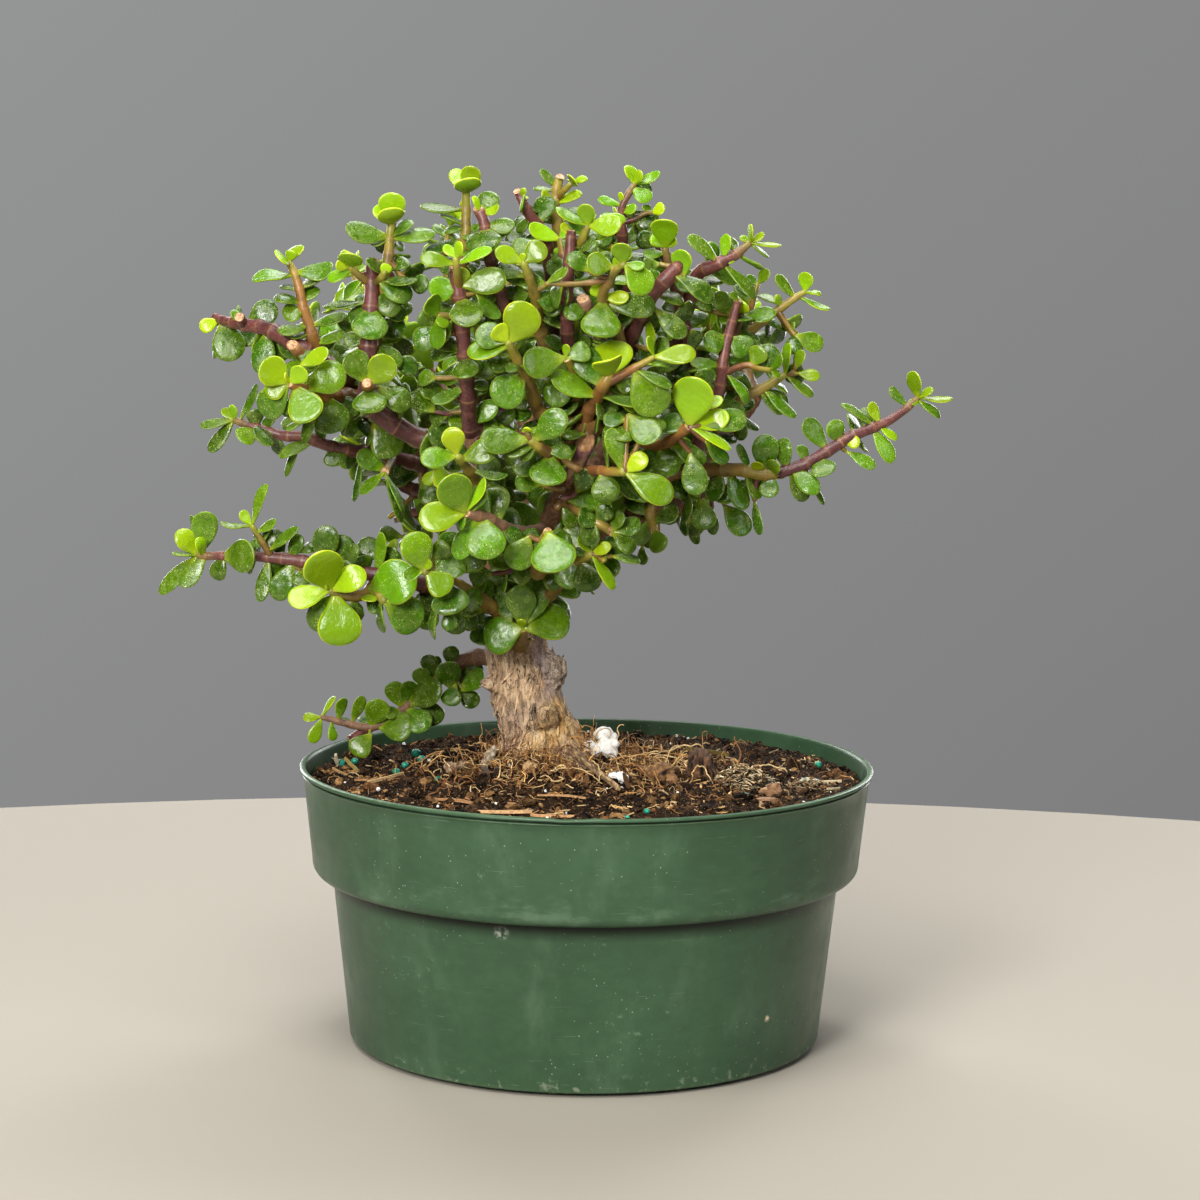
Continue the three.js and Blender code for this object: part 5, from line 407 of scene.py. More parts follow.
        (-40.4, -58, 253.4, -35.3, -54.6, 256.9, 0.15, -0.44, 0.89, 5.8, 0.65, 0),
        (-44.2, -59.4, 258.4, -50.1, -56, 263.1, -0.1, -0.14, 0.98, 7.3, 0.64, 0),
        (-40.8, -59.5, 258.6, -34.1, -56, 265.3, -0.24, -0.28, 0.93, 7.8, 0.67, 0),
        (-45.7, -61.9, 256.1, -50.9, -61.2, 248.8, -0.69, -0.72, 0.09, 8.3, 0.64, 0),
    ]),
    "shoot_centre_upper": ([
        ("o", 0, [(-0.9, -54, 217.1, 2.46), (-8.3, -43.5, 227.7, 2.31), (-16.7, -44, 252.3, 2.2), (-17.9, -56, 262.6, 1.8), (-19.7, -62, 269.2, 1.5), (-22, -65, 275.1, 1.2)]),
        ("o", 1, [(-18.7, -59.4, 266.1, 1), (-16.6, -59.4, 266.3, 0.9), (-14.5, -59.4, 267.6, 0.8)]),
        ("p", 1, [(-18.7, -59.4, 266.1, 0.8), (-20.2, -58.5, 265.9, 1), (-21.8, -57.5, 266.9, 0.8)]),
    ], [
        (-22, -65, 275.1, -31.1, -66.3, 278.9, 0.25, -0.93, 0.29, 6.3, 0.2, 1),
        (-22, -65, 275.1, -14.8, -64.9, 280.7, -0.15, -0.97, 0.2, 7.7, 0.2, 1),
        (-22, -65, 275.1, -20, -56, 282.5, 0.06, -0.65, 0.76, 10.5, 0.6, 1),
        (-22, -65, 275.1, -22, -66, 277.9, -0.47, -0.83, -0.29, 2.5, 0, 1),
        (-14.5, -59.4, 267.6, -23.1, -58.2, 269.7, -0.01, -0.88, 0.48, 7, 0.5, 1),
        (-18.7, -59.4, 266.1, -25.6, -53.3, 264.9, -0.66, -0.69, 0.28, 8.4, 0.7, 1),
        (-18.3, -58.1, 264.6, -10.9, -54.6, 261.2, 0.52, -0.78, 0.34, 7.7, 0.7, 1),
        (-17.7, -53.4, 260.8, -23.2, -51.3, 256.5, -0.57, -0.73, 0.38, 7, 0.8, 1),
        (-16.4, -44, 251.5, -22.3, -32.4, 250.4, -0.26, -0.04, 0.96, 10.9, 0.82, 0),
        (-13.4, -43.3, 242.3, -24.5, -43.5, 240.1, -0.19, -0.06, 0.98, 9.7, 0.72, 0),
        (-13.4, -43.3, 242.3, -6, -33.6, 238.3, 0.12, 0.3, 0.95, 11.2, 0.9, 0),
        (-10.1, -42.9, 232.1, -11.5, -53.2, 237.9, -0.26, 0.5, 0.83, 9.8, 0.85, 0),
        (-10.1, -42.9, 232.1, -13.6, -32.8, 235.4, -0.14, -0.35, 0.93, 9.5, 0.74, 0),
        (-8.3, -43.5, 227.7, -5.1, -52.1, 225.9, -0.56, -0.36, 0.75, 7.6, 0.88, 0),
        (-21.8, -57.5, 266.9, -27.3, -54.8, 273.3, 0.15, -0.85, 0.5, 7.7, 0.74, 0),
        (-4.2, -49.4, 218.9, -9.2, -42.1, 215.8, -0.12, 0.39, 0.92, 7.5, 0.53, 0),
        (-1.7, -49.2, 220.5, 3, -41.7, 223.2, -0.46, 0.35, 0.82, 8.6, 0.51, 0),
        (-18.4, -47.5, 257.1, -23.8, -47.5, 263.5, 0.14, -0.73, 0.67, 7.9, 0.66, 0),
        (-16, -47.5, 257.3, -11.2, -47.5, 266.9, -0.25, -0.8, 0.54, 8.4, 0.69, 0),
        (-21.3, -62, 270.3, -31.6, -59.6, 273.1, -0.01, -0.65, 0.76, 8.7, 0.87, 0),
    ]),
    "shoot_centre_rosette": ([
        ("o", 0, [(-1.5, -53.3, 215.7, 2.56), (-8.2, -48.3, 217.1, 2.52), (-16.4, -48, 225.2, 2.4), (-19.6, -58, 234.7, 2), (-22.7, -66, 241.6, 1.8), (-25.2, -72, 246.7, 1.5), (-26.4, -75, 249.4, 1.2)]),
        ("p", 1, [(-22.6, -65.6, 241.2, 1.3), (-23.9, -65.1, 242.2, 1), (-25.2, -64.6, 244.3, 0.8)]),
    ], [
        (-26.2, -74.5, 249, -19.3, -76.2, 261.9, -0.04, -0.99, -0.1, 12.6, 0.1, 1),
        (-26.4, -75, 249.4, -30.4, -78.7, 254.4, 0.35, -0.86, -0.36, 6.7, 0, 1),
        (-25.9, -73.9, 248.4, -39.7, -73, 245.7, -0.17, -0.74, 0.65, 8.4, 0.2, 1),
        (-26.4, -75, 249.4, -36.9, -73.1, 252.9, -0.03, -0.91, 0.41, 9.8, 0.6, 1),
        (-23.3, -67.5, 242.9, -26.4, -70.8, 239.6, -0.04, -0.7, 0.71, 4.9, 0.8, 1),
        (-21.1, -62, 238.2, -30.9, -63.7, 228.9, 0.02, -0.99, 0.16, 11.9, 0.45, 1),
        (-23.6, -68.1, 243.4, -15.2, -64.3, 239.5, 0.54, -0.67, 0.5, 7, 0.7, 1),
        (-16.1, -48, 224.9, -11.2, -33.1, 225.8, -0.51, 0.12, 0.85, 12.3, 0.7, 0),
        (-10.6, -47.9, 219.1, -17.9, -39.7, 211.8, -0.64, 0.11, 0.76, 11.3, 0.72, 0),
        (-25.2, -64.6, 244.3, -33, -67.8, 241, 0.15, -0.86, 0.48, 7.8, 0.76, 0),
        (-8.4, -48.2, 217.3, -8, -53.4, 212.3, -0.05, -0.69, 0.72, 7.7, 0.69, 0),
        (-6, -49.5, 216.2, -7.6, -56, 219.3, 0.79, -0.42, -0.46, 6.4, 0.81, 0),
        (-14.3, -46.7, 220.8, -22.7, -41, 219.7, -0.64, 0.04, 0.77, 8.1, 0.69, 0),
        (-19.3, -51.1, 229.8, -26.4, -50.5, 234.8, -0.11, -0.8, 0.59, 8, 0.46, 0),
        (-17.3, -51, 230.7, -15.9, -47.4, 239.4, -0.29, -0.85, 0.44, 7.6, 0.83, 0),
        (-21.5, -63.5, 241.5, -20.4, -63.2, 249.3, -0.33, -0.55, 0.77, 7.3, 0.8, 0),
        (-26, -70.4, 245.8, -34.5, -69.8, 248.7, -0.46, -0.54, 0.7, 7.3, 0.62, 0),
        (-24.3, -70.2, 246.9, -22.3, -66.8, 255.7, -0.15, -0.78, 0.61, 7.7, 0.67, 0),
    ]),
    "shoot_top_twig": ([
        ("o", 0, [(-8, 12, 250.6, 2.69), (-8, -6.8, 246.2, 2.52), (-9.6, -30, 262.1, 2.4), (-11, -34, 275.5, 2), (-11.4, -36, 288.2, 1.9), (-12.8, -36, 291.5, 1.7), (-11.9, -35, 295.5, 1.6), (-11.6, -35, 298.9, 1.6), (-10.6, -34, 303.2, 1.6)]),
        ("b", 0, [(-11.2, -35, 296.2, 1.3), (-9.5, -37, 298.2, 1.1), (-6.5, -39, 301.2, 0.9)]),
        ("o", 1, [(-8, -5.3, 245.9, 1.2), (-13.3, -9.7, 242.4, 1.05), (-18.6, -14.1, 240, 0.85)]),
    ], [
        (-6.5, -39, 301.2, -6, -44.8, 302.6, -0.75, -0.21, -0.63, 5.2, 0.15, 1),
        (-6.5, -39, 301.2, -1.2, -39.1, 302.7, -0.22, -0.65, 0.72, 3.5, 0.15, 1),
        (-6.5, -39, 301.2, -6.7, -35.1, 301.6, -0.68, 0.04, -0.74, 3.5, 0.15, 1),
        (-12.2, -35.3, 294.3, -3.1, -36.3, 297.9, -0.35, -0.65, 0.68, 4.9, 0.1, 1),
        (-12.4, -35.4, 293.7, -16.4, -38.5, 298.4, 0.64, -0.77, 0.04, 3.5, 0.1, 1),
        (-12.4, -35.4, 293.7, -15.2, -33.9, 294, -0.42, -0.82, 0.38, 3.1, 0, 1),
        (-11.4, -34.9, 299.4, -17, -34, 305.8, 0.43, -0.76, 0.49, 3.9, 0.5, 1),
        (-11.6, -35, 298.6, -19.6, -32.8, 299.3, -0.06, -0.48, 0.88, 3.1, 0.5, 1),
        (-11.2, -35.2, 282, -18.8, -34.3, 282.8, 0.04, -0.49, 0.87, 4.9, 0.8, 1),
        (-11.2, -35.2, 282, -5.1, -34.4, 285, -0.33, -0.5, 0.8, 4.9, 0.7, 1),
        (-9.6, -29.2, 261.5, -0.6, -26.1, 272.2, -0.31, -0.81, 0.5, 12.6, 0.72, 0),
        (-8.9, -20.7, 254.9, 0.8, -29.6, 249.3, -0.06, -0.57, 0.82, 11.9, 0.63, 0),
        (-8.9, -20.7, 254.9, -19.3, -15.4, 261.3, 0.08, -0.7, 0.71, 11.2, 0.69, 0),
        (-8.4, -13.8, 249.8, -4.7, -9.9, 265.5, -0.35, -0.89, 0.3, 13.1, 0.95, 0),
        (-8, -5.3, 245.9, -17.5, -12.3, 252.1, 0.66, -0.73, 0.19, 10.6, 0.55, 0),
        (-8, -5.3, 245.9, 3.4, -11.7, 240.6, -0.2, -0.81, 0.55, 12.3, 0.63, 0),
        (-18.6, -14.1, 240, -23.7, -13.6, 237.3, -0.28, -0.9, 0.33, 5.1, 0.12, 0),
        (-18.6, -14.1, 240, -21.1, -21.5, 238.6, -0.94, 0.28, 0.2, 6.4, 0.1, 0),
        (-16.9, -12.7, 241, -16.1, -19.2, 228.8, -0.83, -0.51, 0.22, 10.9, 0.21, 0),
        (-16.9, -12.7, 241, -26.4, -16.6, 246.1, -0.24, -0.49, -0.84, 9.2, 0.22, 0),
        (-12.8, -9.3, 243.3, -22.1, -2.8, 242.8, -0.57, -0.82, -0.05, 9.1, 0.61, 0),
        (-12.8, -9.3, 243.3, -9.6, -19.1, 251.4, -0.9, -0.42, -0.15, 10.6, 0.62, 0),
        (-5.9, 6.4, 248.1, 0.4, 4.7, 244, -0.19, -0.96, 0.23, 6.4, 0.5, 0),
        (-10.1, 6.4, 248.2, -16.8, 4.4, 243.8, 0.17, -0.98, 0.13, 7.5, 0.45, 0),
        (-10.2, 0.5, 247, -18.5, -4.7, 242.6, -0.18, -0.9, 0.39, 8.5, 0.44, 0),
        (-11, -23.8, 259.5, -18.7, -22.4, 265.6, 0.06, -0.47, 0.88, 8, 0.68, 0),
        (-8.1, -23.7, 260, -3.7, -23.8, 268.5, -0.1, -0.8, 0.6, 8, 0.6, 0),
        (-11.4, -29.6, 266.2, -15.3, -26.5, 270, 0.24, -0.31, 0.92, 5.8, 0.88, 0),
        (-11.9, -31.4, 271.4, -16.9, -27.8, 275.1, -0.32, -0.44, 0.84, 6.4, 0.63, 0),
        (-9.2, -31.5, 271.7, -3.7, -27.7, 278.6, 0.1, -0.57, 0.82, 7.7, 0.8, 0),
        (-12, -32.6, 276.7, -15.4, -27.8, 280.4, -0.15, -0.21, 0.97, 5.8, 0.8, 0),
        (-9.7, -33.1, 276.7, -4.1, -29.6, 282.1, -0.21, -0.49, 0.85, 7.4, 0.8, 0),
        (-12.8, -35, 287.7, -19.2, -31.6, 291.6, -0.42, -0.35, 0.84, 6.9, 0.69, 0),
        (-10.1, -35, 288.1, -3.6, -30.4, 293.2, -0.03, -0.41, 0.91, 7.3, 0.58, 0),
    ]),
    "shoot_top_cut": ([
        ("p", 0, [(-0.9, -54, 217.1, 2.55), (-3.1, -46.5, 220.8, 2.94), (-5.9, -42, 234, 2.8), (-7.3, -48, 247.6, 2.4), (-7.6, -51, 256, 2.2), (-7.7, -54, 263.6, 2.1), (-7.4, -55, 270.9, 1.9), (-6.8, -55, 279.1, 1.7), (-6.5, -54, 285.9, 1.6)]),
        ("b", 0, [(-7.4, -55, 271.9, 1.6), (-9.1, -52, 277.4, 1.4), (-10.2, -48, 282.3, 1.1)]),
    ], [
        (-6.6, -54.5, 283.1, -9.5, -55.1, 287.9, 0.36, -0.93, 0.09, 3.1, 0, 1),
        (-7, -55.1, 275.6, -14.7, -53.2, 272.4, -0.37, -0.84, 0.39, 7, 0.8, 1),
        (-7.1, -55.1, 274.9, -2.4, -51.8, 271, 0.7, -0.65, 0.3, 4.9, 0.8, 1),
        (-7.7, -53.7, 262.8, -15.2, -52.1, 258.6, -0.45, -0.74, 0.51, 7, 0.8, 1),
        (-7.7, -53.7, 262.8, -7.3, -60.1, 264.6, -1, -0.04, 0.06, 5.6, 0.7, 1),
        (-7.3, -48.1, 247.9, -14.7, -51.6, 249, 0.4, -0.64, 0.66, 7, 0.8, 1),
        (-7.1, -47.2, 246, 0.2, -46.8, 249.7, -0.26, -0.74, 0.61, 7, 0.8, 1),
        (-10.2, -48, 282.3, -20.5, -49.5, 287.1, 0.32, -0.85, 0.41, 6.3, 0.1, 1),
        (-10.2, -48, 282.3, -7, -46, 286.3, -0.31, -0.72, 0.62, 4.9, 0.3, 1),
        (-9.8, -49.6, 280.4, -11.5, -51, 277.6, -0.52, -0.6, 0.6, 3.5, 0.4, 1),
        (-8.8, -52.7, 276.3, 0, -54.5, 277.6, -0.24, -0.63, 0.74, 4.9, 0.6, 1),
        (-5.8, -42.1, 233.6, -8, -33.1, 229.9, -0.17, 0.33, 0.93, 8.8, 0.75, 0),
        (-5.8, -42.1, 233.6, -3.5, -48.5, 240.3, -0.2, 0.67, 0.71, 8.1, 0.86, 0),
        (-3.9, -44.8, 224.2, -7.2, -56.2, 221.9, -0.55, -0.01, 0.84, 10.8, 0.95, 0),
        (-3.9, -44.8, 224.2, 0.7, -34.6, 223.6, -0.22, 0.16, 0.96, 8.9, 0.83, 0),
        (-8.9, -48.4, 252.9, -15.3, -43.7, 259.4, 0.08, -0.55, 0.83, 8.6, 0.87, 0),
        (-6.4, -50.2, 258.2, -0.9, -44.8, 264.1, 0.09, -0.28, 0.95, 8.6, 0.84, 0),
        (-6.1, -53.6, 268.7, -0.5, -49.5, 271.8, 0.15, -0.29, 0.95, 6.7, 0.86, 0),
        (-5.8, -53.7, 279.4, -1.7, -48.4, 283.5, 0.53, -0.15, 0.83, 7.2, 0.83, 0),
    ]),
    "shoot_top_right_olive": ([
        ("o", 0, [(-0.9, -54, 217.1, 2.46), (3.6, -45.5, 228.4, 2.31), (2.6, -42, 258.5, 2.2), (-1.8, -46, 269.1, 1.9), (-5.2, -50, 278.4, 1.7), (-2.9, -54, 282.4, 1.5), (-0.9, -57, 287, 1.2)]),
        ("o", 1, [(3.6, -43.6, 240.1, 1.2), (-2.2, -41.1, 243.6, 1.05), (-8, -38.5, 248.3, 0.85)]),
    ], [
        (-0.9, -57, 287, -2, -60.4, 294.1, -0.11, -0.89, -0.44, 6, 0.1, 1),
        (-0.9, -57, 287, 10, -60.9, 287.6, -0.33, -0.85, 0.41, 7.7, 0.2, 1),
        (-0.9, -57, 287, 11.4, -53, 289.7, 0.09, -0.73, 0.68, 5.6, 0.2, 1),
        (-0.9, -57, 287, -11.5, -58.4, 292.7, 0.47, -0.49, 0.73, 6.3, 0.3, 1),
        (-0.9, -57, 287, 1, -55, 291.1, -0.46, -0.7, 0.55, 3.1, 0.05, 1),
        (-4.5, -51.9, 280.6, -9.5, -51.4, 281.7, 0.09, -0.63, 0.77, 4.2, 0.6, 1),
        (-5, -50.9, 279.6, 1.2, -57.8, 281.9, -0.67, -0.4, 0.62, 7, 0.7, 1),
        (2.6, -42.1, 257.6, -4.1, -50.3, 258.8, 0.01, 0.13, 0.99, 8.6, 0.76, 0),
        (2.6, -42.1, 257.6, 9.3, -31.9, 254.9, 0.06, 0.22, 0.97, 10.7, 0.81, 0),
        (3.6, -43.6, 240.1, 3.3, -32.9, 245.1, -0.15, -0.42, 0.89, 10, 0.89, 0),
        (3.6, -43.6, 240.1, -3.7, -50.7, 242.1, 0.1, 0.17, 0.98, 9.1, 0.88, 0),
        (-8, -38.5, 248.3, -13.3, -38.7, 250.5, 0.38, 0.15, 0.91, 5.2, 0.05, 0),
        (-8, -38.5, 248.3, -8, -39.7, 255.9, -0.87, 0.49, 0.08, 6.1, 0.1, 0),
        (-6.1, -39.4, 246.9, -13.5, -47.7, 245.3, -0.58, 0.38, 0.72, 9.4, 0.35, 0),
        (-6.1, -39.4, 246.9, -6.4, -32.3, 255.4, -0.72, -0.54, 0.43, 9.5, 0.22, 0),
        (-1.6, -41.3, 243.8, -1.4, -35.3, 234.2, -0.68, 0.63, 0.38, 9.6, 0.59, 0),
        (-1.6, -41.3, 243.8, -1.9, -39.6, 257.3, -0.95, 0.29, -0.05, 11, 0.6, 0),
        (3.8, -44.8, 230.9, -0.5, -34.4, 232.5, 0.22, -0.06, 0.97, 9.3, 0.51, 0),
        (3.8, -44.8, 230.9, 11.3, -48.8, 238.4, -0.47, 0.5, 0.73, 9.2, 0.6, 0),
        (1.1, -46, 225.3, -2.2, -39.6, 226.9, 0.48, 0.13, 0.87, 6.5, 0.42, 0),
        (4, -46.4, 224.5, 10.4, -40.5, 222.4, 0.17, 0.46, 0.87, 7.6, 0.83, 0),
        (-0.9, -42.8, 262.8, -7.7, -40.8, 265.5, -0.12, -0.39, 0.91, 6.7, 0.42, 0),
        (1.9, -42.6, 264, 4.6, -39.9, 270.9, -0.23, -0.21, 0.95, 6.7, 0.51, 0),
        (-3, -44.8, 268.7, -9.2, -41.4, 271.2, -0.18, -0.63, 0.75, 6.4, 0.77, 0),
        (-0.9, -44.5, 269.6, 1.3, -39.6, 276.1, -0.14, -0.5, 0.85, 6.9, 0.72, 0),
        (-4.9, -47.1, 273.9, -12.2, -44.6, 278.4, 0, -0.68, 0.73, 8.3, 0.79, 0),
        (-2.9, -46.8, 274.8, -0.2, -41.1, 283.1, -0.08, -0.46, 0.88, 8.2, 0.35, 0),
        (-3.4, -53.8, 283.9, -6.3, -51.8, 290, 0.34, -0.58, 0.74, 6.2, 0.51, 0),
        (-1.6, -53.6, 283.2, 5.2, -50.5, 285.7, -0.13, -0.7, 0.7, 7.1, 0.37, 0),
    ]),
    "shoot_right_inner": ([
        ("o", 0, [(-0.9, -54, 217.1, 2.35), (6.4, -47.9, 225.7, 2.2), (10.1, -48, 247.8, 2.1), (4.2, -58, 262.9, 1.8), (6.5, -63, 269.5, 1.5), (8.7, -66, 273.5, 1.3), (11.3, -68, 274.8, 1.1)]),
        ("w", 0, [(8.1, -51.4, 254.5, 2.2), (3.3, -50, 252.7, 2.2), (-2.4, -56, 263.1, 2.1)]),
        ("o", 0, [(6.5, -63, 269.5, 1.4), (7.1, -65, 271.8, 1.3), (7.4, -66, 273.8, 1.1)]),
        ("o", 1, [(6.7, -63.9, 270.4, 1), (3.3, -63.9, 270.8, 0.9), (-0.1, -63.9, 272.1, 0.8)]),
        ("o", 1, [(6.5, -63, 269.5, 1), (-4, -63, 268.2, 0.9), (-14.5, -63, 268, 0.8)]),
    ], [
        (10.9, -67.7, 274.6, 9.6, -71.8, 281.6, -0.09, -0.85, -0.51, 7, 0.15, 1),
        (11.3, -68, 274.8, 17.7, -69.3, 274.3, -0.1, -0.74, 0.66, 4.2, 0.3, 1),
        (11.3, -68, 274.8, 19.5, -68.4, 265.8, 0.17, -0.96, 0.2, 9.1, 0.3, 1),
        (4.2, -58.5, 263.6, 0.9, -59.2, 267.8, 0.09, -0.99, -0.1, 4.9, 0, 1),
        (4.2, -58.5, 263.6, 12.8, -59.4, 264, -0.12, -0.95, 0.28, 4.9, 0, 1),
        (4.2, -58, 262.9, 3.4, -68, 251.1, 0.04, -0.76, 0.65, 13.3, 0.5, 1),
        (-1.3, -54.8, 261, -8.1, -58.5, 257.2, 0.12, -0.81, 0.57, 7, 0.6, 1),
        (4.4, -57.4, 262.1, 21.5, -56.7, 260.3, 0.08, -0.93, 0.36, 9.1, 0.8, 1),
        (10.6, -67.5, 274.5, 12.7, -63.4, 278.3, -0.51, -0.43, 0.75, 4.2, 0.3, 1),
        (7.4, -66, 273.8, -1.2, -70.1, 275.4, 0.46, -0.87, 0.2, 7.7, 0.3, 1),
        (7.4, -66, 273.8, 2.1, -62.5, 276.9, 0.14, -0.54, 0.83, 4.9, 0.4, 1),
        (-0.1, -63.9, 272.1, -7.3, -62.6, 277.8, 0.23, -0.85, 0.47, 7, 0.6, 1),
        (-14.5, -63, 268, -7.3, -64.1, 273.3, -0.46, -0.76, 0.46, 4.2, 0.4, 1),
        (7.4, -66, 273.8, 8.9, -66.8, 276.7, -0.67, -0.73, 0.14, 3.1, 0.1, 1),
        (9.9, -48, 247.1, 2.5, -37.9, 251.2, 0.23, -0.22, 0.95, 11.2, 0.73, 0),
        (8.8, -47.7, 238.7, -2.1, -53.2, 237.8, -0.03, -0.1, 0.99, 10.4, 0.58, 0),
        (8.8, -47.7, 238.7, 20.8, -44.2, 242.4, -0.24, -0.19, 0.95, 10.2, 0.61, 0),
        (7.3, -47.5, 229.2, 14, -51.4, 222.9, 0.57, -0.27, 0.78, 8.8, 0.53, 0),
        (7.3, -47.5, 229.2, 14.6, -38.2, 225, 0.03, 0.39, 0.92, 10.4, 0.63, 0),
        (2.6, -50, 219.3, 5.1, -44.8, 215.9, 0.44, 0.18, 0.88, 5.9, 0.73, 0),
        (6.8, -50.1, 251.8, -1.3, -49.6, 255.1, -0.02, -0.72, 0.7, 7.5, 0.56, 0),
        (9.7, -49.9, 253, 13.6, -48.2, 259.8, -0.02, -0.48, 0.88, 6.6, 0.76, 0),
        (5, -53.3, 257.1, -3.5, -50.3, 259.7, -0.06, -0.52, 0.85, 8.2, 0.7, 0),
        (7.3, -53.1, 258.1, 10.4, -49.9, 264.3, -0.1, -0.52, 0.85, 6.9, 0.43, 0),
        (5.5, -61.3, 269.3, 3.1, -58.7, 278.5, 0.23, -0.55, 0.8, 8.3, 0.79, 0),
        (7.3, -61.5, 268.6, 13.6, -59.3, 269.9, -0.24, -0.55, 0.8, 6.3, 0.45, 0),
        (-0.5, -51.3, 256.6, -9.1, -48.2, 258.4, -0.29, -0.42, 0.86, 7.9, 0.43, 0),
        (1.6, -50.9, 257.9, 1.3, -46.6, 266.8, -0.53, -0.66, 0.53, 8, 0.55, 0),
        (-8.9, -62.5, 267.6, -12.8, -56.4, 261.2, -0.7, -0.65, 0.3, 8.5, 0.6, 0),
    ]),
    "shoot_top_right_pink": ([
        ("p", 0, [(-8, 12, 250.6, 2.69), (3.1, -1.4, 247.3, 2.52), (12.8, -20, 262.1, 2.4), (11.2, -26, 277.4, 2), (10.4, -30, 287.4, 1.6), (10.3, -32, 293.1, 1.3), (12.3, -32, 297.5, 1.1), (14.6, -31, 301.2, 0.9)]),
        ("p", 0, [(10.3, -30.3, 288.2, 1.1), (11.1, -30, 288.5, 1.1), (14.1, -31, 289.2, 1), (18.1, -32, 291.5, 0.8), (20.4, -32, 291.6, 0.7)]),
        ("o", 1, [(5.8, -6.1, 250, 1.2), (2.7, -10.6, 251.3, 1.05), (-0.4, -15.2, 253.7, 0.85)]),
        ("o", 1, [(10.3, -30.5, 288.7, 1.24), (12.1, -29.7, 289.8, 1), (13.9, -28.9, 292.1, 0.8)]),
        ("o", 1, [(14.6, -31, 301.2, 0.72), (13.5, -31, 299.2, 1), (12.4, -31.1, 298.5, 0.8)]),
        ("o", 1, [(10.7, -28.2, 283, 1.3), (9.3, -27.4, 283.6, 1), (8, -26.6, 285.4, 0.8)]),
    ], [
        (14.5, -31.1, 300.9, 12, -29, 307.5, 0.64, -0.64, 0.44, 6, 0.15, 1),
        (14.6, -31, 301.2, 16.7, -33.9, 305.4, -0.76, -0.65, -0.07, 4.2, 0.15, 1),
        (14.6, -31, 301.2, 23, -31.5, 305.2, -0.31, -0.77, 0.56, 4.2, 0.3, 1),
        (13.8, -31.4, 300, 19.5, -34.4, 295.4, 0.05, -0.8, 0.6, 6.3, 0.3, 1),
        (10.5, -32.1, 293.9, 2.2, -33.1, 296, 0.26, -0.65, 0.72, 4.5, 0.3, 1),
        (10.6, -32.1, 294.2, 9.6, -32.7, 298.4, -0.61, -0.76, -0.24, 2.5, 0.05, 1),
        (10.2, -31.7, 291.9, 15.3, -34.9, 293.1, -0.52, -0.67, 0.53, 4.5, 0.2, 1),
        (20.4, -32, 291.6, 24.7, -33.8, 293.6, -0.49, -0.81, 0.32, 4.9, 0.05, 1),
        (19.7, -32, 291.6, 17.9, -30.8, 294.4, 0.39, -0.72, 0.57, 3.5, 0.2, 1),
        (14.1, -31, 289.2, 16.2, -25.7, 285.6, 0.86, -0.47, -0.19, 5.6, 0.7, 1),
        (10.5, -29.5, 286.1, 6, -25, 285.9, -0.6, -0.59, 0.55, 5.6, 0.7, 1),
        (11.2, -25.9, 277, 18.3, -25, 277.4, 0.03, -0.63, 0.78, 5.6, 0.8, 1),
        (11.2, -25.9, 277, 4.5, -25, 274.9, -0.3, -0.63, 0.72, 5.6, 0.8, 1),
        (14.1, -31, 289.2, 12.6, -29.4, 292.9, 0.48, -0.72, 0.5, 3.5, 0.4, 1),
        (12.5, -19.4, 261.5, 16.8, -29.2, 257.1, 0.19, -0.33, 0.92, 10.4, 0.84, 0),
        (12.5, -19.4, 261.5, 9.8, -17.2, 274, 0.51, -0.82, 0.25, 10.4, 0.87, 0),
        (8.8, -12, 255, 17.8, -3.5, 255.1, 0.41, -0.44, 0.8, 10.9, 0.77, 0),
        (8.8, -12, 255, -4.8, -12.6, 254.3, -0.02, -0.63, 0.78, 11.5, 0.86, 0),
        (5.8, -6.1, 250, 6, -4.1, 262.4, 0.41, -0.9, 0.14, 10, 0.71, 0),
        (5.8, -6.1, 250, 9.6, -12.9, 244.9, 0.26, -0.48, 0.83, 8.3, 0.57, 0),
        (-0.4, -15.2, 253.7, -3.2, -21.8, 254.4, -0.41, 0.26, 0.87, 6.1, 0.05, 0),
        (-0.4, -15.2, 253.7, -4.6, -17, 259, 0.21, -0.96, -0.16, 6, 0.15, 0),
        (1, -13.2, 252.9, 2, -20.6, 260.5, -0.97, -0.23, -0.09, 9.6, 0.22, 0),
        (1, -13.2, 252.9, -10, -11, 248.4, -0.39, -0.68, 0.62, 9.6, 0.26, 0),
        (1.6, 0.8, 246.8, -10, -6.2, 241.9, 0.37, -0.86, 0.36, 12.4, 0.82, 0),
        (1.6, 0.8, 246.8, 9.4, 8.6, 245.5, 0.69, -0.62, 0.37, 10, 0.86, 0),
        (13.9, -28.9, 292.1, 22.2, -31.6, 287.2, -0.04, -0.9, 0.43, 8.7, 0.95, 0),
        (12.4, -31.1, 298.5, 19.7, -26.6, 301.5, 0.28, -0.81, 0.52, 7.9, 0.86, 0),
        (8, -26.6, 285.4, 1.9, -28.9, 280.8, 0.04, -0.91, 0.41, 6.5, 0.64, 0),
        (-3.3, 9.1, 251.2, 4.6, 8.3, 255, 0.61, -0.78, 0.16, 8.1, 0.71, 0),
        (-0.4, 5.1, 250.4, 7.4, 5.3, 256.3, 0.28, -0.94, 0.2, 8.6, 0.39, 0),
        (3, -1.2, 249.9, 3.2, -1.3, 257.7, 0.29, -0.73, 0.62, 6.1, 0.5, 0),
        (5.6, -1.8, 247.3, 14.2, -1.2, 244.9, 0.06, -0.72, 0.69, 8.2, 0.79, 0),
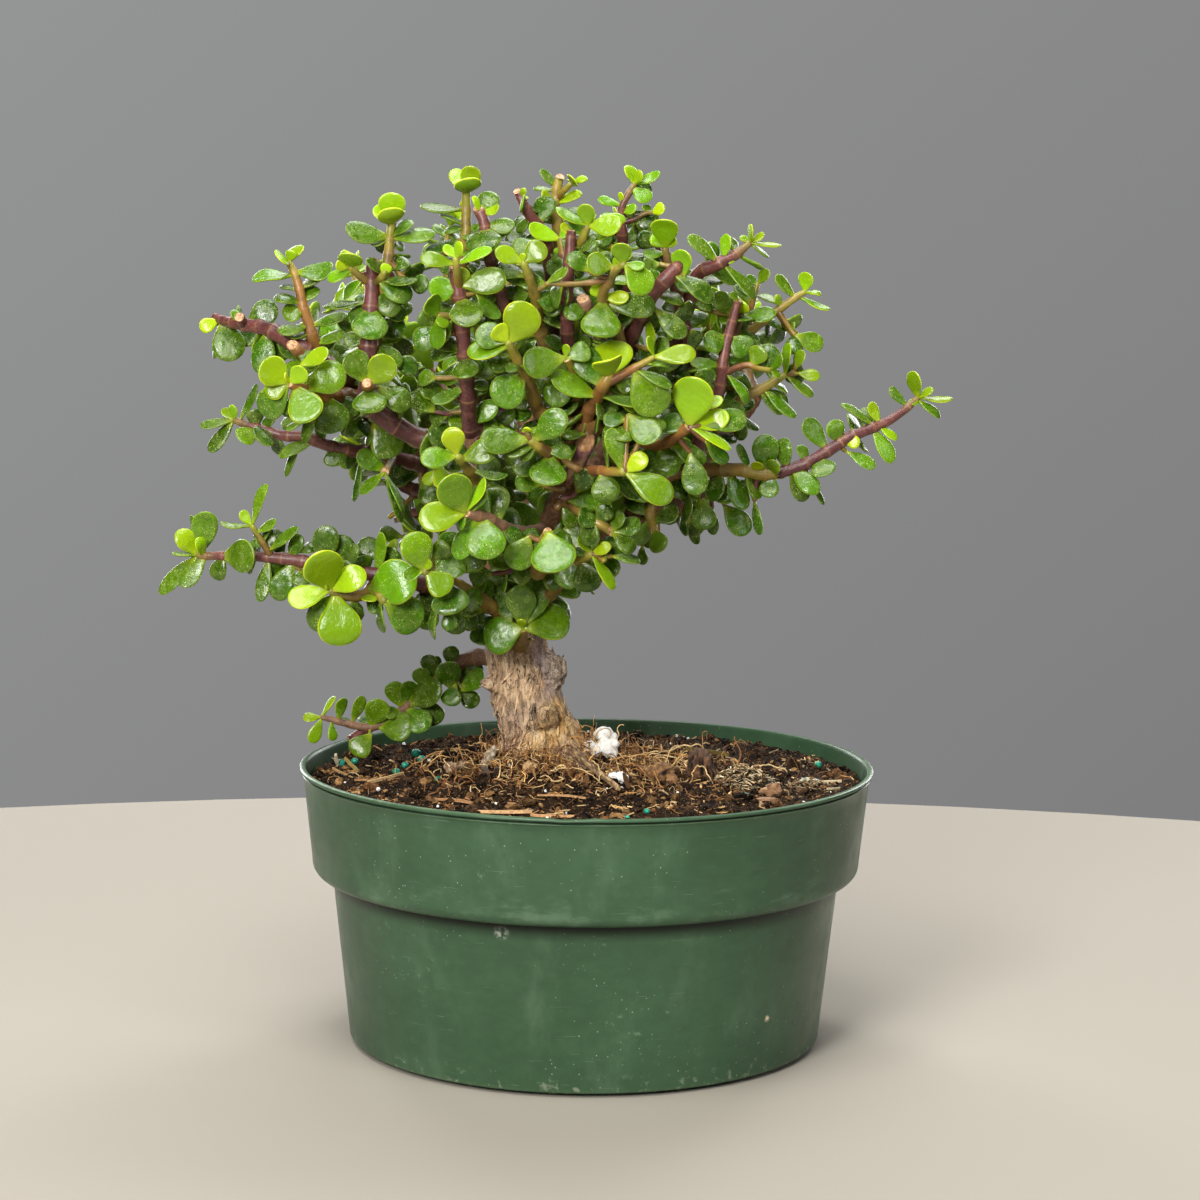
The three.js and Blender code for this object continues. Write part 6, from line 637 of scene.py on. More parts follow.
        (9.6, -14.4, 260.2, 8.9, -14.4, 267.6, 0.64, -0.44, 0.62, 6.6, 0.82, 0),
        (12.4, -14.7, 257.9, 18.5, -14.8, 258.8, 0.2, -0.75, 0.63, 5.8, 0.62, 0),
        (13.7, -20.3, 267, 19.5, -14.9, 272.5, -0.24, -0.34, 0.91, 8.7, 0.5, 0),
        (10.3, -22.5, 271.8, 4.5, -19.6, 276.9, -0.34, -0.41, 0.85, 6.4, 0.35, 0),
        (13.2, -22.4, 272.1, 18.3, -18.3, 276.5, -0.21, -0.61, 0.77, 6.3, 0.49, 0),
        (9.6, -26.3, 281, 2.7, -22.5, 286.6, -0.1, -0.57, 0.81, 7.8, 0.74, 0),
        (12.2, -26.3, 281.2, 17.3, -22.9, 286.5, -0.09, -0.49, 0.86, 6.5, 0.48, 0),
        (2.7, -9.4, 250.4, -2.9, -9.3, 246.2, -0.39, -0.66, 0.65, 5.6, 0.45, 0),
    ]),
    "shoot_right_cup": ([
        ("p", 0, [(48.4, 3.4, 215.4, 2.46), (43.3, -8.4, 221.1, 2.31), (34, -26, 247.2, 2.2), (29.6, -32, 262.5, 1.9), (26.6, -38, 272.6, 1.6), (24.8, -42, 280, 1.2)]),
        ("p", 1, [(27.6, -35.9, 269.3, 1.3), (27.2, -35.2, 271.1, 1), (26.8, -34.5, 274.1, 0.8)]),
        ("o", 1, [(36, -22.5, 241.3, 1.3), (34.3, -22.3, 240.7, 1), (32.6, -22, 241.3, 0.8)]),
        ("p", 1, [(26.1, -39, 274.4, 1.21), (24.1, -38.8, 276.9, 1), (22, -38.6, 280.7, 0.8)]),
    ], [
        (24.8, -42, 280, 24.1, -49.8, 289.4, -0.16, -0.76, -0.63, 9.4, 0.15, 1),
        (24.8, -42, 280, 19.9, -42.5, 283.8, 0.36, -0.87, 0.34, 4.9, 0.15, 1),
        (24.8, -42, 280, 28, -43.8, 283.6, -0.58, -0.8, 0.12, 4.2, 0.15, 1),
        (25.2, -41.1, 278.3, 17.4, -42.3, 277.9, 0.06, -0.63, 0.78, 4.9, 0.4, 1),
        (25.3, -40.9, 277.9, 33.2, -40, 276.7, 0.19, -0.64, 0.75, 4.9, 0.5, 1),
        (27.1, -36.9, 270.9, 21.7, -34.7, 267.5, -0.56, -0.71, 0.44, 6.3, 0.7, 1),
        (27.5, -36.1, 269.5, 34, -38.4, 266.2, 0.09, -0.72, 0.69, 5.6, 0.7, 1),
        (34.3, -25.5, 246.4, 23.1, -28.2, 238.1, -0.5, -0.38, 0.78, 11.8, 0.68, 0),
        (34.3, -25.5, 246.4, 48.3, -23.8, 248.7, -0.1, -0.4, 0.91, 12.3, 0.66, 0),
        (36.6, -21.1, 239.6, 38.1, -30.7, 239, -0.25, -0.1, 0.96, 8.6, 0.86, 0),
        (36.6, -21.1, 239.6, 37.1, -14.9, 249.6, -0.26, -0.82, 0.51, 10.5, 0.8, 0),
        (39, -16.7, 232.6, 51.2, -16.1, 237.1, -0.29, -0.41, 0.86, 10.4, 0.75, 0),
        (39, -16.7, 232.6, 28.2, -20.7, 228.3, -0.19, -0.43, 0.88, 10, 0.81, 0),
        (41.8, -11.5, 225, 41.4, -3, 233.5, -0.23, -0.69, 0.69, 10.1, 0.72, 0),
        (41.8, -11.5, 225, 40.9, -23.2, 222.9, -0.27, -0.15, 0.95, 10, 0.65, 0),
        (26.8, -34.5, 274.1, 18.9, -40.3, 276.1, 0.59, -0.66, 0.47, 8.9, 0.81, 0),
        (32.6, -22, 241.3, 30.8, -26.8, 235.5, 0.06, -0.77, 0.63, 6.2, 0.79, 0),
        (22, -38.6, 280.7, 15.3, -40, 283.8, 0.17, -0.98, -0.06, 6.6, 0.89, 0),
        (44.2, -1, 217.3, 37.6, -1.7, 216.5, -0.26, -0.8, 0.53, 5.8, 0.76, 0),
        (46.2, -0.7, 219.8, 45.5, 0.6, 228.8, -0.12, -0.79, 0.59, 7.1, 0.84, 0),
        (42, -6.6, 219.7, 34.3, -6.8, 218.8, -0.14, -0.75, 0.65, 6.1, 0.52, 0),
        (38.7, -12.7, 229.1, 32.6, -11.5, 232.8, -0.25, -0.5, 0.83, 5.8, 0.44, 0),
        (41.3, -12.3, 230.3, 43.7, -8.2, 237.9, -0.12, -0.57, 0.81, 8.1, 0.6, 0),
        (36.1, -17.7, 236.1, 26.9, -15, 238, -0.29, -0.59, 0.76, 8.2, 0.66, 0),
        (31.4, -26.5, 252.5, 26.7, -22.9, 256.5, -0.04, -0.45, 0.89, 6.2, 0.56, 0),
        (33.7, -26.8, 253.1, 38.2, -22.4, 258.5, -0.09, -0.65, 0.76, 7.5, 0.54, 0),
        (29.6, -29, 258.2, 25.2, -26.4, 262, -0.46, -0.64, 0.61, 5.9, 0.77, 0),
        (31.8, -29, 258.9, 35.7, -23.9, 265.3, -0.09, -0.2, 0.97, 7.4, 0.35, 0),
        (27.9, -31.8, 264.1, 21.5, -28.4, 266.6, -0.26, -0.47, 0.84, 6.7, 0.64, 0),
    ]),
    "shoot_right_pruned": ([
        ("p", 0, [(-0.9, -54, 217.1, 2.55), (3.3, -44.4, 223.2, 3.57), (10.8, -40, 242.4, 3.4), (14.7, -46, 253.4, 3), (19.1, -52, 262.9, 2.7), (24.6, -54, 269.5, 2.5), (26.9, -54, 272.2, 2.2), (30.9, -53, 275.5, 1.8)]),
        ("o", 1, [(28.4, -53.7, 273.5, 1), (29.6, -53.7, 271.5, 0.9), (30.9, -53.7, 270.6, 0.8)]),
        ("p", 1, [(18.5, -51.4, 261.8, 1), (20, -51.4, 260.5, 0.9), (21.5, -51.4, 260.2, 0.8)]),
        ("o", 1, [(13, -42.6, 248.8, 1), (17.1, -45, 247, 0.9), (21.1, -47.4, 246.2, 0.8)]),
        ("p", 1, [(11.3, -40.1, 243.7, 1), (14.1, -40.1, 242.3, 0.9), (16.9, -40.1, 241.8, 0.8)]),
        ("p", 1, [(18.2, -51, 261.1, 1), (25.7, -51, 256.6, 0.9), (33.2, -51, 253.1, 0.8)]),
        ("o", 1, [(3.3, -44.5, 223.1, 1.2), (7.5, -46.3, 225.4, 1.05), (11.8, -48.1, 228.9, 0.85)]),
        ("p", 1, [(13, -42.6, 248.8, 0.8), (15.7, -42.1, 246.3, 1), (18.3, -41.7, 244.9, 0.8)]),
        ("o", 1, [(-0.9, -54, 217.1, 1.3), (0.4, -52.9, 217.6, 1), (1.8, -51.7, 219.4, 0.8)]),
        ("o", 1, [(29.6, -53.3, 274.5, 1.3), (26.3, -52.6, 274, 1), (22.9, -51.8, 274.8, 0.8)]),
    ], [
        (27, -54, 272.3, 40.5, -55.8, 262.5, 0.35, -0.7, 0.62, 8.4, 0.7, 1),
        (30.9, -53.7, 270.6, 29.5, -55.6, 279.6, -0.49, -0.84, -0.25, 7.7, 0.2, 1),
        (21.5, -51.4, 260.2, 31.1, -56.7, 250.6, 0.14, -0.8, 0.58, 7.7, 0.8, 1),
        (21.1, -47.4, 246.2, 19.5, -50.1, 255.6, -0.6, -0.73, -0.31, 4.2, 0.2, 1),
        (16.9, -40.1, 241.8, 13.4, -31.1, 252.6, 0.31, -0.67, 0.67, 7.7, 0.7, 1),
        (18.2, -51, 261.1, 13.2, -51.7, 263.5, 0.36, -0.75, 0.56, 4.2, 0.6, 1),
        (16.8, -49.2, 258.4, 23.4, -41.5, 253.8, 0.78, -0.62, 0.08, 7.7, 0.8, 1),
        (33.2, -51, 253.1, 35.8, -45.8, 247.6, 0.68, -0.66, -0.31, 7, 0.9, 1),
        (23.9, -53.8, 268.7, 19.6, -54, 272.8, 0.54, -0.64, 0.54, 4.9, 0.6, 1),
        (10.6, -40.1, 241.8, -0.1, -46.6, 248.2, 0.4, 0.23, 0.89, 11.5, 0.78, 0),
        (6.9, -41.9, 232.2, 10.3, -52.8, 231.7, 0.3, 0.05, 0.95, 9.5, 0.69, 0),
        (6.9, -41.9, 232.2, 4.5, -31.2, 236.7, 0.46, -0.26, 0.85, 10.2, 0.75, 0),
        (3.3, -44.5, 223.1, 1.1, -46.8, 232.1, 0.52, 0.79, 0.33, 8, 0.86, 0),
        (3.3, -44.5, 223.1, 5.7, -34.6, 217.9, 0.3, 0.39, 0.87, 9.1, 0.88, 0),
        (11.8, -48.1, 228.9, 14, -52.5, 225.6, 0.56, -0.29, 0.77, 5, 0.13, 0),
        (11.8, -48.1, 228.9, 17.5, -49.9, 229.7, -0.01, -0.44, -0.9, 5.3, 0.07, 0),
        (9.8, -47.3, 227.6, 20.3, -41.2, 229.8, 0.21, -0.64, 0.74, 10.6, 0.33, 0),
        (9.8, -47.3, 227.6, 6.7, -57, 220.8, 0.58, -0.58, 0.57, 10.3, 0.35, 0),
        (18.3, -41.7, 244.9, 26.6, -45.6, 248.1, -0.5, -0.81, 0.31, 7.8, 0.6, 0),
        (1.8, -51.7, 219.4, 3.1, -59.8, 224, -0.98, -0.04, 0.2, 7.6, 0.87, 0),
        (22.9, -51.8, 274.8, 16.6, -47.9, 273, -0.56, -0.79, 0.23, 6.6, 0.77, 0),
        (2, -46.4, 220.8, 8.6, -53.8, 218.6, -0.71, -0.68, 0.16, 8.1, 0.85, 0),
        (22.9, -51.9, 263.9, 31.1, -49.5, 262.7, 0.52, -0.51, 0.69, 6.8, 0.53, 0),
        (16.6, -44.4, 246.5, 18.9, -43.1, 240.6, 0.61, -0.76, 0.23, 6, 0.54, 0),
        (27.1, -50.6, 256.7, 34.4, -45.7, 260.8, 0.71, -0.67, -0.22, 7.5, 0.89, 0),
        (26.5, -50.6, 255.5, 26, -47.3, 249.8, 0.68, -0.28, 0.68, 6.2, 0.39, 0),
    ]),
    "shoot_right_pink": ([
        ("p", 0, [(46.8, 2.5, 213.8, 2.55), (36.3, -5.8, 220.9, 2.94), (29.3, -22, 247, 2.8), (33, -30, 260.8, 2.6), (35.8, -34, 271, 2.4), (42.7, -38, 274.8, 2.2), (48.3, -38, 277.8, 1.7), (53.3, -37, 281.9, 1.1)]),
        ("o", 1, [(33.2, -30.3, 261.5, 1), (40.8, -30.3, 258.9, 0.9), (48.3, -30.3, 257.3, 0.8)]),
        ("o", 1, [(33.4, -11.4, 229.5, 1.2), (29.3, -11, 231.4, 1.05), (25.3, -10.6, 234.6, 0.85)]),
        ("o", 1, [(42.6, -30.3, 258.4, 0.7), (43.4, -27.9, 256.8, 1), (44.2, -25.5, 256.3, 0.8)]),
    ], [
        (43.4, -38.2, 275.2, 32.4, -39.4, 284, 0.52, -0.65, 0.55, 7, 0.6, 1),
        (44.4, -38.3, 275.7, 45.5, -39.3, 284.8, -0.68, -0.73, 0, 4.9, 0.2, 1),
        (43.8, -38.2, 275.4, 48.3, -38.8, 276.2, -0.19, -0.85, 0.49, 3.1, 0, 1),
        (44.1, -38.3, 275.5, 55.1, -40.2, 263.3, 0.51, -0.66, 0.56, 6.3, 0.5, 1),
        (53.3, -37, 281.9, 53.6, -40.8, 287.9, -0.91, -0.36, -0.19, 4.2, 0.2, 1),
        (53.3, -37, 281.9, 57.9, -37.4, 285.3, -0.44, -0.74, 0.51, 3.1, 0.1, 1),
        (53.3, -37, 281.9, 64, -36.1, 281.2, 0.1, -0.5, 0.86, 3.1, 0.2, 1),
        (53.3, -37, 281.9, 60, -33.9, 277.2, 0.64, -0.32, 0.7, 3.5, 0.5, 1),
        (53.3, -37, 281.9, 50, -36, 284.1, 0.28, -0.66, 0.7, 3.1, 0.3, 1),
        (48.3, -30.3, 257.3, 42, -32, 264.8, 0.47, -0.86, 0.2, 7, 0.5, 1),
        (35.3, -33.5, 270.1, 30.4, -33.4, 266.1, -0.41, -0.77, 0.49, 6.3, 0.8, 1),
        (33.5, -30.9, 262.9, 41.2, -32.5, 259.4, 0.15, -0.75, 0.65, 5.6, 0.8, 1),
        (29.5, -21.5, 246.2, 27.1, -11.3, 254.5, -0.12, -0.64, 0.76, 11, 0.86, 0),
        (31.6, -16.1, 237.2, 42.6, -14.4, 241.5, -0.28, -0.37, 0.88, 10.3, 0.92, 0),
        (31.6, -16.1, 237.2, 22.6, -16.8, 232.3, -0.41, -0.41, 0.81, 9.4, 0.95, 0),
        (33.4, -11.4, 229.5, 33.4, 1.1, 235.9, -0.16, -0.46, 0.88, 11.4, 0.82, 0),
        (33.4, -11.4, 229.5, 32.4, -22.9, 222.9, -0.16, -0.48, 0.86, 11.4, 0.96, 0),
        (25.3, -10.6, 234.6, 19.6, -12.8, 238.1, 0.05, 0.8, 0.6, 6.1, 0.06, 0),
        (25.3, -10.6, 234.6, 22.1, -6.6, 239.5, -0.58, -0.77, 0.27, 6.1, 0.02, 0),
        (27.4, -10.8, 233.3, 27.8, -12.3, 246, -0.98, 0.2, 0.06, 10.9, 0.33, 0),
        (27.4, -10.8, 233.3, 19, -5.3, 229, -0.49, -0.08, 0.87, 9.3, 0.23, 0),
        (35.3, -7.3, 223, 23.8, 0.2, 221.9, -0.31, -0.36, 0.88, 11.4, 0.62, 0),
        (35.3, -7.3, 223, 47, -8.2, 225.5, -0.23, -0.4, 0.89, 10.7, 0.6, 0),
        (33.4, -30.7, 267.6, 31, -27.7, 273, 0.05, -0.66, 0.75, 5.8, 0.73, 0),
        (36.5, -31, 266.6, 45.5, -27.1, 270.5, 0.14, -0.35, 0.92, 8.5, 0.87, 0),
        (39.1, -34.4, 274.2, 42.4, -29, 281.4, 0.71, -0.01, 0.71, 7.3, 0.43, 0),
        (40.3, -34.5, 271.8, 49.8, -29.2, 270.1, 0.57, -0.63, 0.53, 8.6, 0.47, 0),
        (48.2, -37, 279.3, 46.1, -32.8, 284.2, 0.12, 0.04, 0.99, 6.3, 0.67, 0),
        (49.7, -37.1, 277.4, 57.6, -31.5, 273.2, 0.36, 0.02, 0.93, 8.8, 0.47, 0),
        (38.1, -29.7, 260.4, 43.5, -24.4, 263.4, 1, -0.02, -0.04, 7.2, 0.87, 0),
        (42.8, -29.7, 258.9, 48.1, -24.7, 263.4, 0.78, -0.62, 0.06, 8.1, 0.6, 0),
        (42.6, -29.9, 257.8, 44.6, -26.2, 252.7, 0.98, -0.19, 0, 6, 0.49, 0),
        (29.9, -10.5, 230.3, 24.5, -5.5, 227.8, -0.65, 0.07, 0.76, 6.9, 0.36, 0),
    ]),
    "shoot_front_orange": ([
        ("b", 0, [(-6.2, -43.6, 204.2, 2.7), (-4.8, -42.5, 209.5, 2.7), (-2.4, -47, 217.4, 2.6), (-0.6, -51.5, 224.6, 2.45), (2.4, -59, 230.6, 2.2), (4.8, -66, 235.3, 1.9), (6.8, -66, 238.3, 1.7), (8.4, -64, 236.6, 1.3)]),
        ("b", 0, [(5.5, -66, 235.7, 1.5), (12.6, -68, 239.8, 1.4), (16.5, -69, 242.1, 1.2), (21, -70, 244.8, 1)]),
    ], [
        (6.9, -65.9, 238.3, 8.4, -55.4, 249.4, 0.07, -0.73, 0.68, 12.9, 0.1, 1),
        (6.5, -66.1, 238.2, 6.4, -75.8, 243.9, -0.36, 0.48, 0.8, 10.5, 0.15, 1),
        (2.5, -61.9, 230, -12.5, -64.5, 238.7, 0.38, -0.83, 0.41, 8.4, 0.4, 1),
        (3, -62.6, 231.1, 19.4, -63.5, 229.7, 0.05, -0.45, 0.89, 7, 0.4, 1),
        (21, -70, 244.8, 34.7, -71.8, 246, -0.15, -0.92, 0.37, 7, 0.15, 1),
        (21, -70, 244.8, 19, -70.8, 251.6, 0.75, -0.64, 0.15, 3.5, 0.15, 1),
        (14.8, -68.6, 241, 27, -71, 234.9, 0.26, -0.6, 0.75, 5.6, 0.7, 1),
        (14.8, -68.6, 241, 23.3, -67.1, 226, 0.06, -1, -0.07, 13.3, 0.5, 1),
        (4.3, -65.2, 234.1, -3.8, -62.1, 247.4, 0.07, -0.96, 0.27, 9.8, 0.7, 1),
        (2, -61.2, 228.9, 5, -60.6, 223.5, 0.72, -0.61, 0.32, 5.6, 0.7, 1),
        (-1.7, -57, 218.5, -8.7, -58.7, 218, 0.12, -0.7, 0.7, 4.2, 0.7, 1),
        (17.9, -69.3, 242.9, 26.3, -68.2, 241.9, 0.18, -0.6, 0.78, 4.9, 0.6, 1),
        (8.4, -64, 236.6, 14.7, -68, 234.6, -0.35, -0.8, 0.48, 6.3, 0.82, 0),
        (0.2, -53.1, 228.6, -0.1, -51.2, 237.4, 0.29, -0.75, 0.6, 7.4, 0.75, 0),
        (2.6, -53.8, 226.6, 9.8, -53.7, 228, 0.23, -0.67, 0.71, 6.9, 0.63, 0),
    ]),
    "shoot_front_middle": ([
        ("o", 0, [(-6.4, -43.5, 203.5, 2.55), (-5.6, -41, 214, 2.52), (-4.2, -45.5, 229.5, 2.4), (-5.1, -58, 239.1, 2), (-7.7, -66, 244, 1.5)]),
    ], [
        (-7.7, -66, 244, -21.6, -69.9, 241.9, 0.23, -0.94, 0.25, 10.5, 0.4, 1),
        (-4.1, -51.5, 235.4, -14.6, -51.8, 229.2, -0.09, -0.98, 0.19, 9.1, 0.7, 1),
        (-7.7, -66, 244, 0.1, -64.5, 247.1, -0.05, -0.84, 0.55, 7.7, 0.6, 1),
        (-5.2, -58.6, 239.5, 0.3, -58, 234.8, 0.4, -0.84, 0.36, 7, 0.7, 1),
        (-7.7, -66, 244, -7.7, -66.5, 248.6, -0.49, -0.87, -0.1, 3.1, 0.1, 1),
        (-3.3, -46.8, 231.9, -11.5, -48.6, 228.9, -0.09, -0.72, 0.69, 5.6, 0.8, 1),
        (-3.1, -46, 230.5, -3.5, -34.3, 228.2, -0.12, 0.19, 0.97, 10, 0.79, 0),
        (-1.8, -47.2, 222.5, 8.2, -48.5, 228.9, -0.48, 0.33, 0.81, 10.5, 0.72, 0),
        (-1.8, -47.2, 222.5, -12.6, -40.2, 222.4, 0.13, 0.21, 0.97, 10.3, 0.62, 0),
        (-7.9, -41, 208.2, -12.2, -36.8, 212.4, -0.01, -0.24, 0.97, 6.3, 0.45, 0),
        (-4.6, -40.6, 207.8, 0.9, -33.7, 210.2, -0.16, 0.09, 0.98, 7.9, 0.41, 0),
        (-6.9, -39.2, 213.7, -10.4, -33.3, 216.7, 0.1, -0.36, 0.93, 6.9, 0.85, 0),
        (-3.8, -39.7, 213.5, 2.8, -35, 219.1, -0.02, -0.3, 0.95, 8.5, 0.62, 0),
        (-7, -41, 219, -12.3, -38.2, 224.5, -0.02, -0.51, 0.86, 6.7, 0.81, 0),
        (-3.3, -41.2, 218.6, 3.9, -37.8, 221.5, 0.1, -0.54, 0.84, 6.6, 0.61, 0),
        (-6.4, -54.6, 237.9, -12.5, -54, 243.3, -0.07, -0.9, 0.44, 6.5, 0.64, 0),
        (-3.5, -54.7, 238.1, 2.7, -53.3, 245.3, 0.24, -0.65, 0.72, 8.4, 0.43, 0),
    ]),
    "shoot_front_oval": ([
        ("b", 0, [(-6.8, -45.1, 202.2, 2.2), (-9.4, -49.5, 204.4, 2.2), (-12.1, -60, 211, 2), (-15.9, -68, 214.9, 1.8), (-19.1, -71, 217.4, 1.4)]),
        ("o", 1, [(-19.1, -71, 217.4, 1), (-19.6, -71, 218.4, 0.9), (-20.1, -71, 220.3, 0.8)]),
        ("o", 1, [(-19.1, -71, 217.4, 1), (-19.5, -71, 218.4, 0.9), (-19.8, -71, 220.3, 0.8)]),
        ("o", 1, [(-6.8, -45.1, 202.2, 1), (-10.7, -45.1, 200.4, 0.9), (-14.6, -45.1, 199.5, 0.8)]),
        ("o", 1, [(-10.5, -59.2, 210, 1.3), (-13.2, -59.5, 208.6, 1), (-16, -59.8, 208.3, 0.8)]),
    ], [
        (-19.1, -71, 217.4, -35.4, -72.9, 217.4, 0.11, -0.91, 0.41, 9.8, 0.5, 1),
        (-18.4, -70.3, 216.8, -7.6, -72.9, 226.7, -0.27, -0.96, 0.04, 9.1, 0.5, 1),
        (-20.1, -71, 220.3, -21.2, -66.9, 220.8, -0.52, -0.22, 0.82, 2.8, 0, 1),
        (-19.8, -71, 220.3, -19.9, -75.9, 221.7, -0.17, -0.26, -0.95, 3.1, 0, 1),
        (-17.2, -69.4, 215.9, -26.6, -70.9, 212.1, -0.16, -0.72, 0.68, 4.2, 0.7, 1),
        (-12.3, -62.4, 212.2, -13.7, -72.9, 202.8, 0.11, -0.67, 0.73, 12.6, 0.6, 1),
        (-14.6, -45.1, 199.5, -19.6, -44.8, 196.3, -0.41, -0.72, 0.56, 3.5, 0.5, 1),
        (-19.1, -71, 217.4, -14.8, -66.4, 220.9, 0.04, -0.63, 0.78, 5.6, 0.4, 1),
        (-13.9, -65.1, 213.6, -5.5, -64, 213.1, 0.12, -0.71, 0.69, 6.3, 0.7, 1),
        (-16, -59.8, 208.3, -25.1, -62.5, 207.4, 0.2, -0.85, 0.48, 7.8, 0.94, 0),
        (-16.8, -69, 215.6, -22.4, -68.1, 210.8, -0.56, -0.63, 0.54, 6.7, 0.73, 0),
        (-12.1, -62, 211.9, -19.2, -63.4, 208.7, -0.08, -0.84, 0.53, 6.1, 0.79, 0),
    ]),
    "shoot_front_bud": ([
        ("o", 0, [(-34.1, -29.1, 192.3, 2.91), (-33.8, -34.4, 191.3, 2.73), (-34.5, -44, 195.2, 2.6), (-37.4, -56, 203.5, 2.2), (-40.3, -64, 208.1, 1.8), (-43, -70, 211.8, 1.4)]),
        ("o", 1, [(-33.8, -32.6, 191.2, 1.3), (-30, -32.1, 193.5, 1), (-26.2, -31.7, 197.1, 0.8)]),
        ("p", 1, [(-34, -30, 192, 1.3), (-30, -29.3, 191.7, 1), (-25.9, -28.5, 192.5, 0.8)]),
    ], [
        (-43, -70, 211.8, -45, -71.2, 221.4, 0.09, -0.99, -0.11, 7.7, 0, 1),
        (-43, -70, 211.8, -54.8, -73, 210.8, 0.19, -0.88, 0.43, 7.7, 0.4, 1),
        (-42.1, -68, 210.6, -30.6, -69.4, 214.6, -0.23, -0.91, 0.34, 8.4, 0.4, 1),
        (-39.2, -61.3, 206.6, -26.5, -62.9, 205.2, 0.02, -0.57, 0.82, 4.9, 0.7, 1),
        (-36.9, -54.3, 202.4, -49.5, -52.8, 198.5, -0.26, -0.82, 0.5, 9.1, 0.7, 1),
        (-36.6, -53.3, 201.7, -29.5, -52.3, 197.3, 0.39, -0.81, 0.44, 7, 0.8, 1),
        (-43, -70, 211.8, -46.7, -66.9, 213.9, 0, -0.55, 0.83, 4.2, 0.3, 1),
        (-34.4, -43.7, 195, -46.5, -45.4, 201, 0.35, -0.81, 0.48, 12.2, 0.84, 0),
        (-33.8, -34.5, 191.3, -25.7, -35.9, 198.2, -0.26, -0.96, 0.12, 8.8, 0.85, 0),
        (-33.8, -34.5, 191.3, -39.9, -33.2, 182.2, -0.34, -0.94, 0.09, 9.1, 0.83, 0),
        (-26.2, -31.7, 197.1, -25.9, -36.5, 206, 0.01, -0.88, -0.47, 8.5, 0.79, 0),
        (-40.1, -63.5, 207.8, -47.7, -64.8, 208.4, 0.17, -0.71, 0.68, 7, 0.76, 0),
        (-25.9, -28.5, 192.5, -23.3, -23.2, 196.8, 0.26, -0.68, 0.68, 6.1, 0.88, 0),
        (-36.3, -38.6, 194.1, -44.6, -40.8, 200.1, -0.11, -0.87, 0.47, 8.7, 0.48, 0),
        (-33.3, -38.4, 195.3, -30.6, -39, 204.5, -0.13, -0.73, 0.68, 8.3, 0.63, 0),
        (-30.4, -31.6, 194.1, -30.4, -27.5, 200.6, 0.36, -0.44, 0.82, 6.5, 0.66, 0),
        (-29.6, -31.6, 193, -24.1, -27.1, 190.2, 0.89, 0.1, 0.46, 5.9, 0.77, 0),
    ]),
    "shoot_front_side_twig": ([
        ("b", 0, [(-3.6, -50, 205.2, 1.9), (0.2, -54, 206.2, 1.9), (3.8, -60.5, 206.6, 1.8), (12, -69, 207.1, 1.4)]),
        ("o", 1, [(12, -69, 207.1, 1), (12.4, -67.2, 215.8, 0.9), (12.8, -65.4, 225.6, 0.8)]),
        ("b", 1, [(12, -69, 207.1, 1), (12.1, -66.6, 214.9, 0.9), (12.2, -64.2, 223.8, 0.8)]),
        ("o", 1, [(12, -69, 207.1, 1), (16, -66.6, 215.5, 0.9), (20.1, -64.2, 224.9, 0.8)]),
        ("o", 0, [(-10, -40.5, 195, 1.9), (-6, -47, 194.6, 1.9), (0, -53.5, 190.5, 1.8), (8, -56, 186, 1.5)]),
        ("o", 1, [(-8.1, -54.7, 200.2, 1.3), (-11.9, -54.9, 200.4, 1), (-15.7, -55.1, 201.7, 0.8)]),
        ("o", 1, [(-10.7, -43.6, 192.4, 1.3), (-8.1, -42.6, 195.1, 1), (-5.6, -41.6, 198.9, 0.8)]),
        ("o", 1, [(-3, -59.7, 206.8, 1.3), (-6.9, -59.2, 209, 1), (-10.7, -58.7, 212.3, 0.8)]),
        ("p", 1, [(12.2, -65.3, 219.8, 0.68), (11.7, -63.5, 220.5, 1), (11.2, -61.8, 222.4, 0.8)]),
        ("p", 1, [(-9.2, -52.5, 196.6, 1.3), (-6.6, -52.8, 197, 1), (-4, -53.2, 198.6, 0.8)]),
    ], [
        (12, -69, 207.1, 19.1, -70.5, 212.8, -0.27, -0.96, 0.09, 6, 0.05, 1),
        (12, -69, 207.1, 27.5, -71.2, 198.2, 0.1, -0.91, 0.41, 9.8, 0.3, 1),
        (3.1, -63.5, 206.6, 6.6, -64.9, 196.4, -0.01, -0.99, 0.12, 9.4, 0.6, 1),
        (11.3, -68.6, 207, 7, -69.2, 221.5, 0.35, -0.94, 0.07, 7, 0.4, 1),
        (5.9, -65.3, 206.7, 5, -66.3, 220.7, -0.94, -0.34, -0.09, 4.2, 0.7, 1),
        (12.8, -65.4, 225.6, 22.2, -73.1, 217.7, -0.19, -0.8, 0.56, 9.8, 0.5, 1),
        (12.2, -64.2, 223.8, 4.6, -63.3, 224.3, -0.06, -0.83, 0.56, 6.3, 0.7, 1),
        (20.1, -64.2, 224.9, 25.3, -63, 221.3, 0.43, -0.83, 0.36, 4.2, 0.4, 1),
        (3.8, -64, 206.6, 17.2, -52.2, 198.1, 0.73, -0.57, 0.37, 8.4, 0.85, 1),
        (8, -56, 186, 15.4, -56.9, 179.4, 0.32, -0.82, 0.47, 7, 0.7, 1),
        (8, -56, 186, 17.4, -54.4, 189.7, -0.09, -0.8, 0.59, 7.7, 0.7, 1),
        (3.7, -55.7, 188.2, -3.1, -59.2, 192.7, 0.59, -0.74, 0.32, 7, 0.8, 1),
        (8, -56, 186, 11.1, -55.7, 192.7, -0.6, -0.73, 0.31, 6.3, 0.5, 1),
        (-0.6, -54.8, 190.9, 0.9, -56.6, 181.4, -0.51, -0.86, 0.09, 7.7, 0.8, 1),
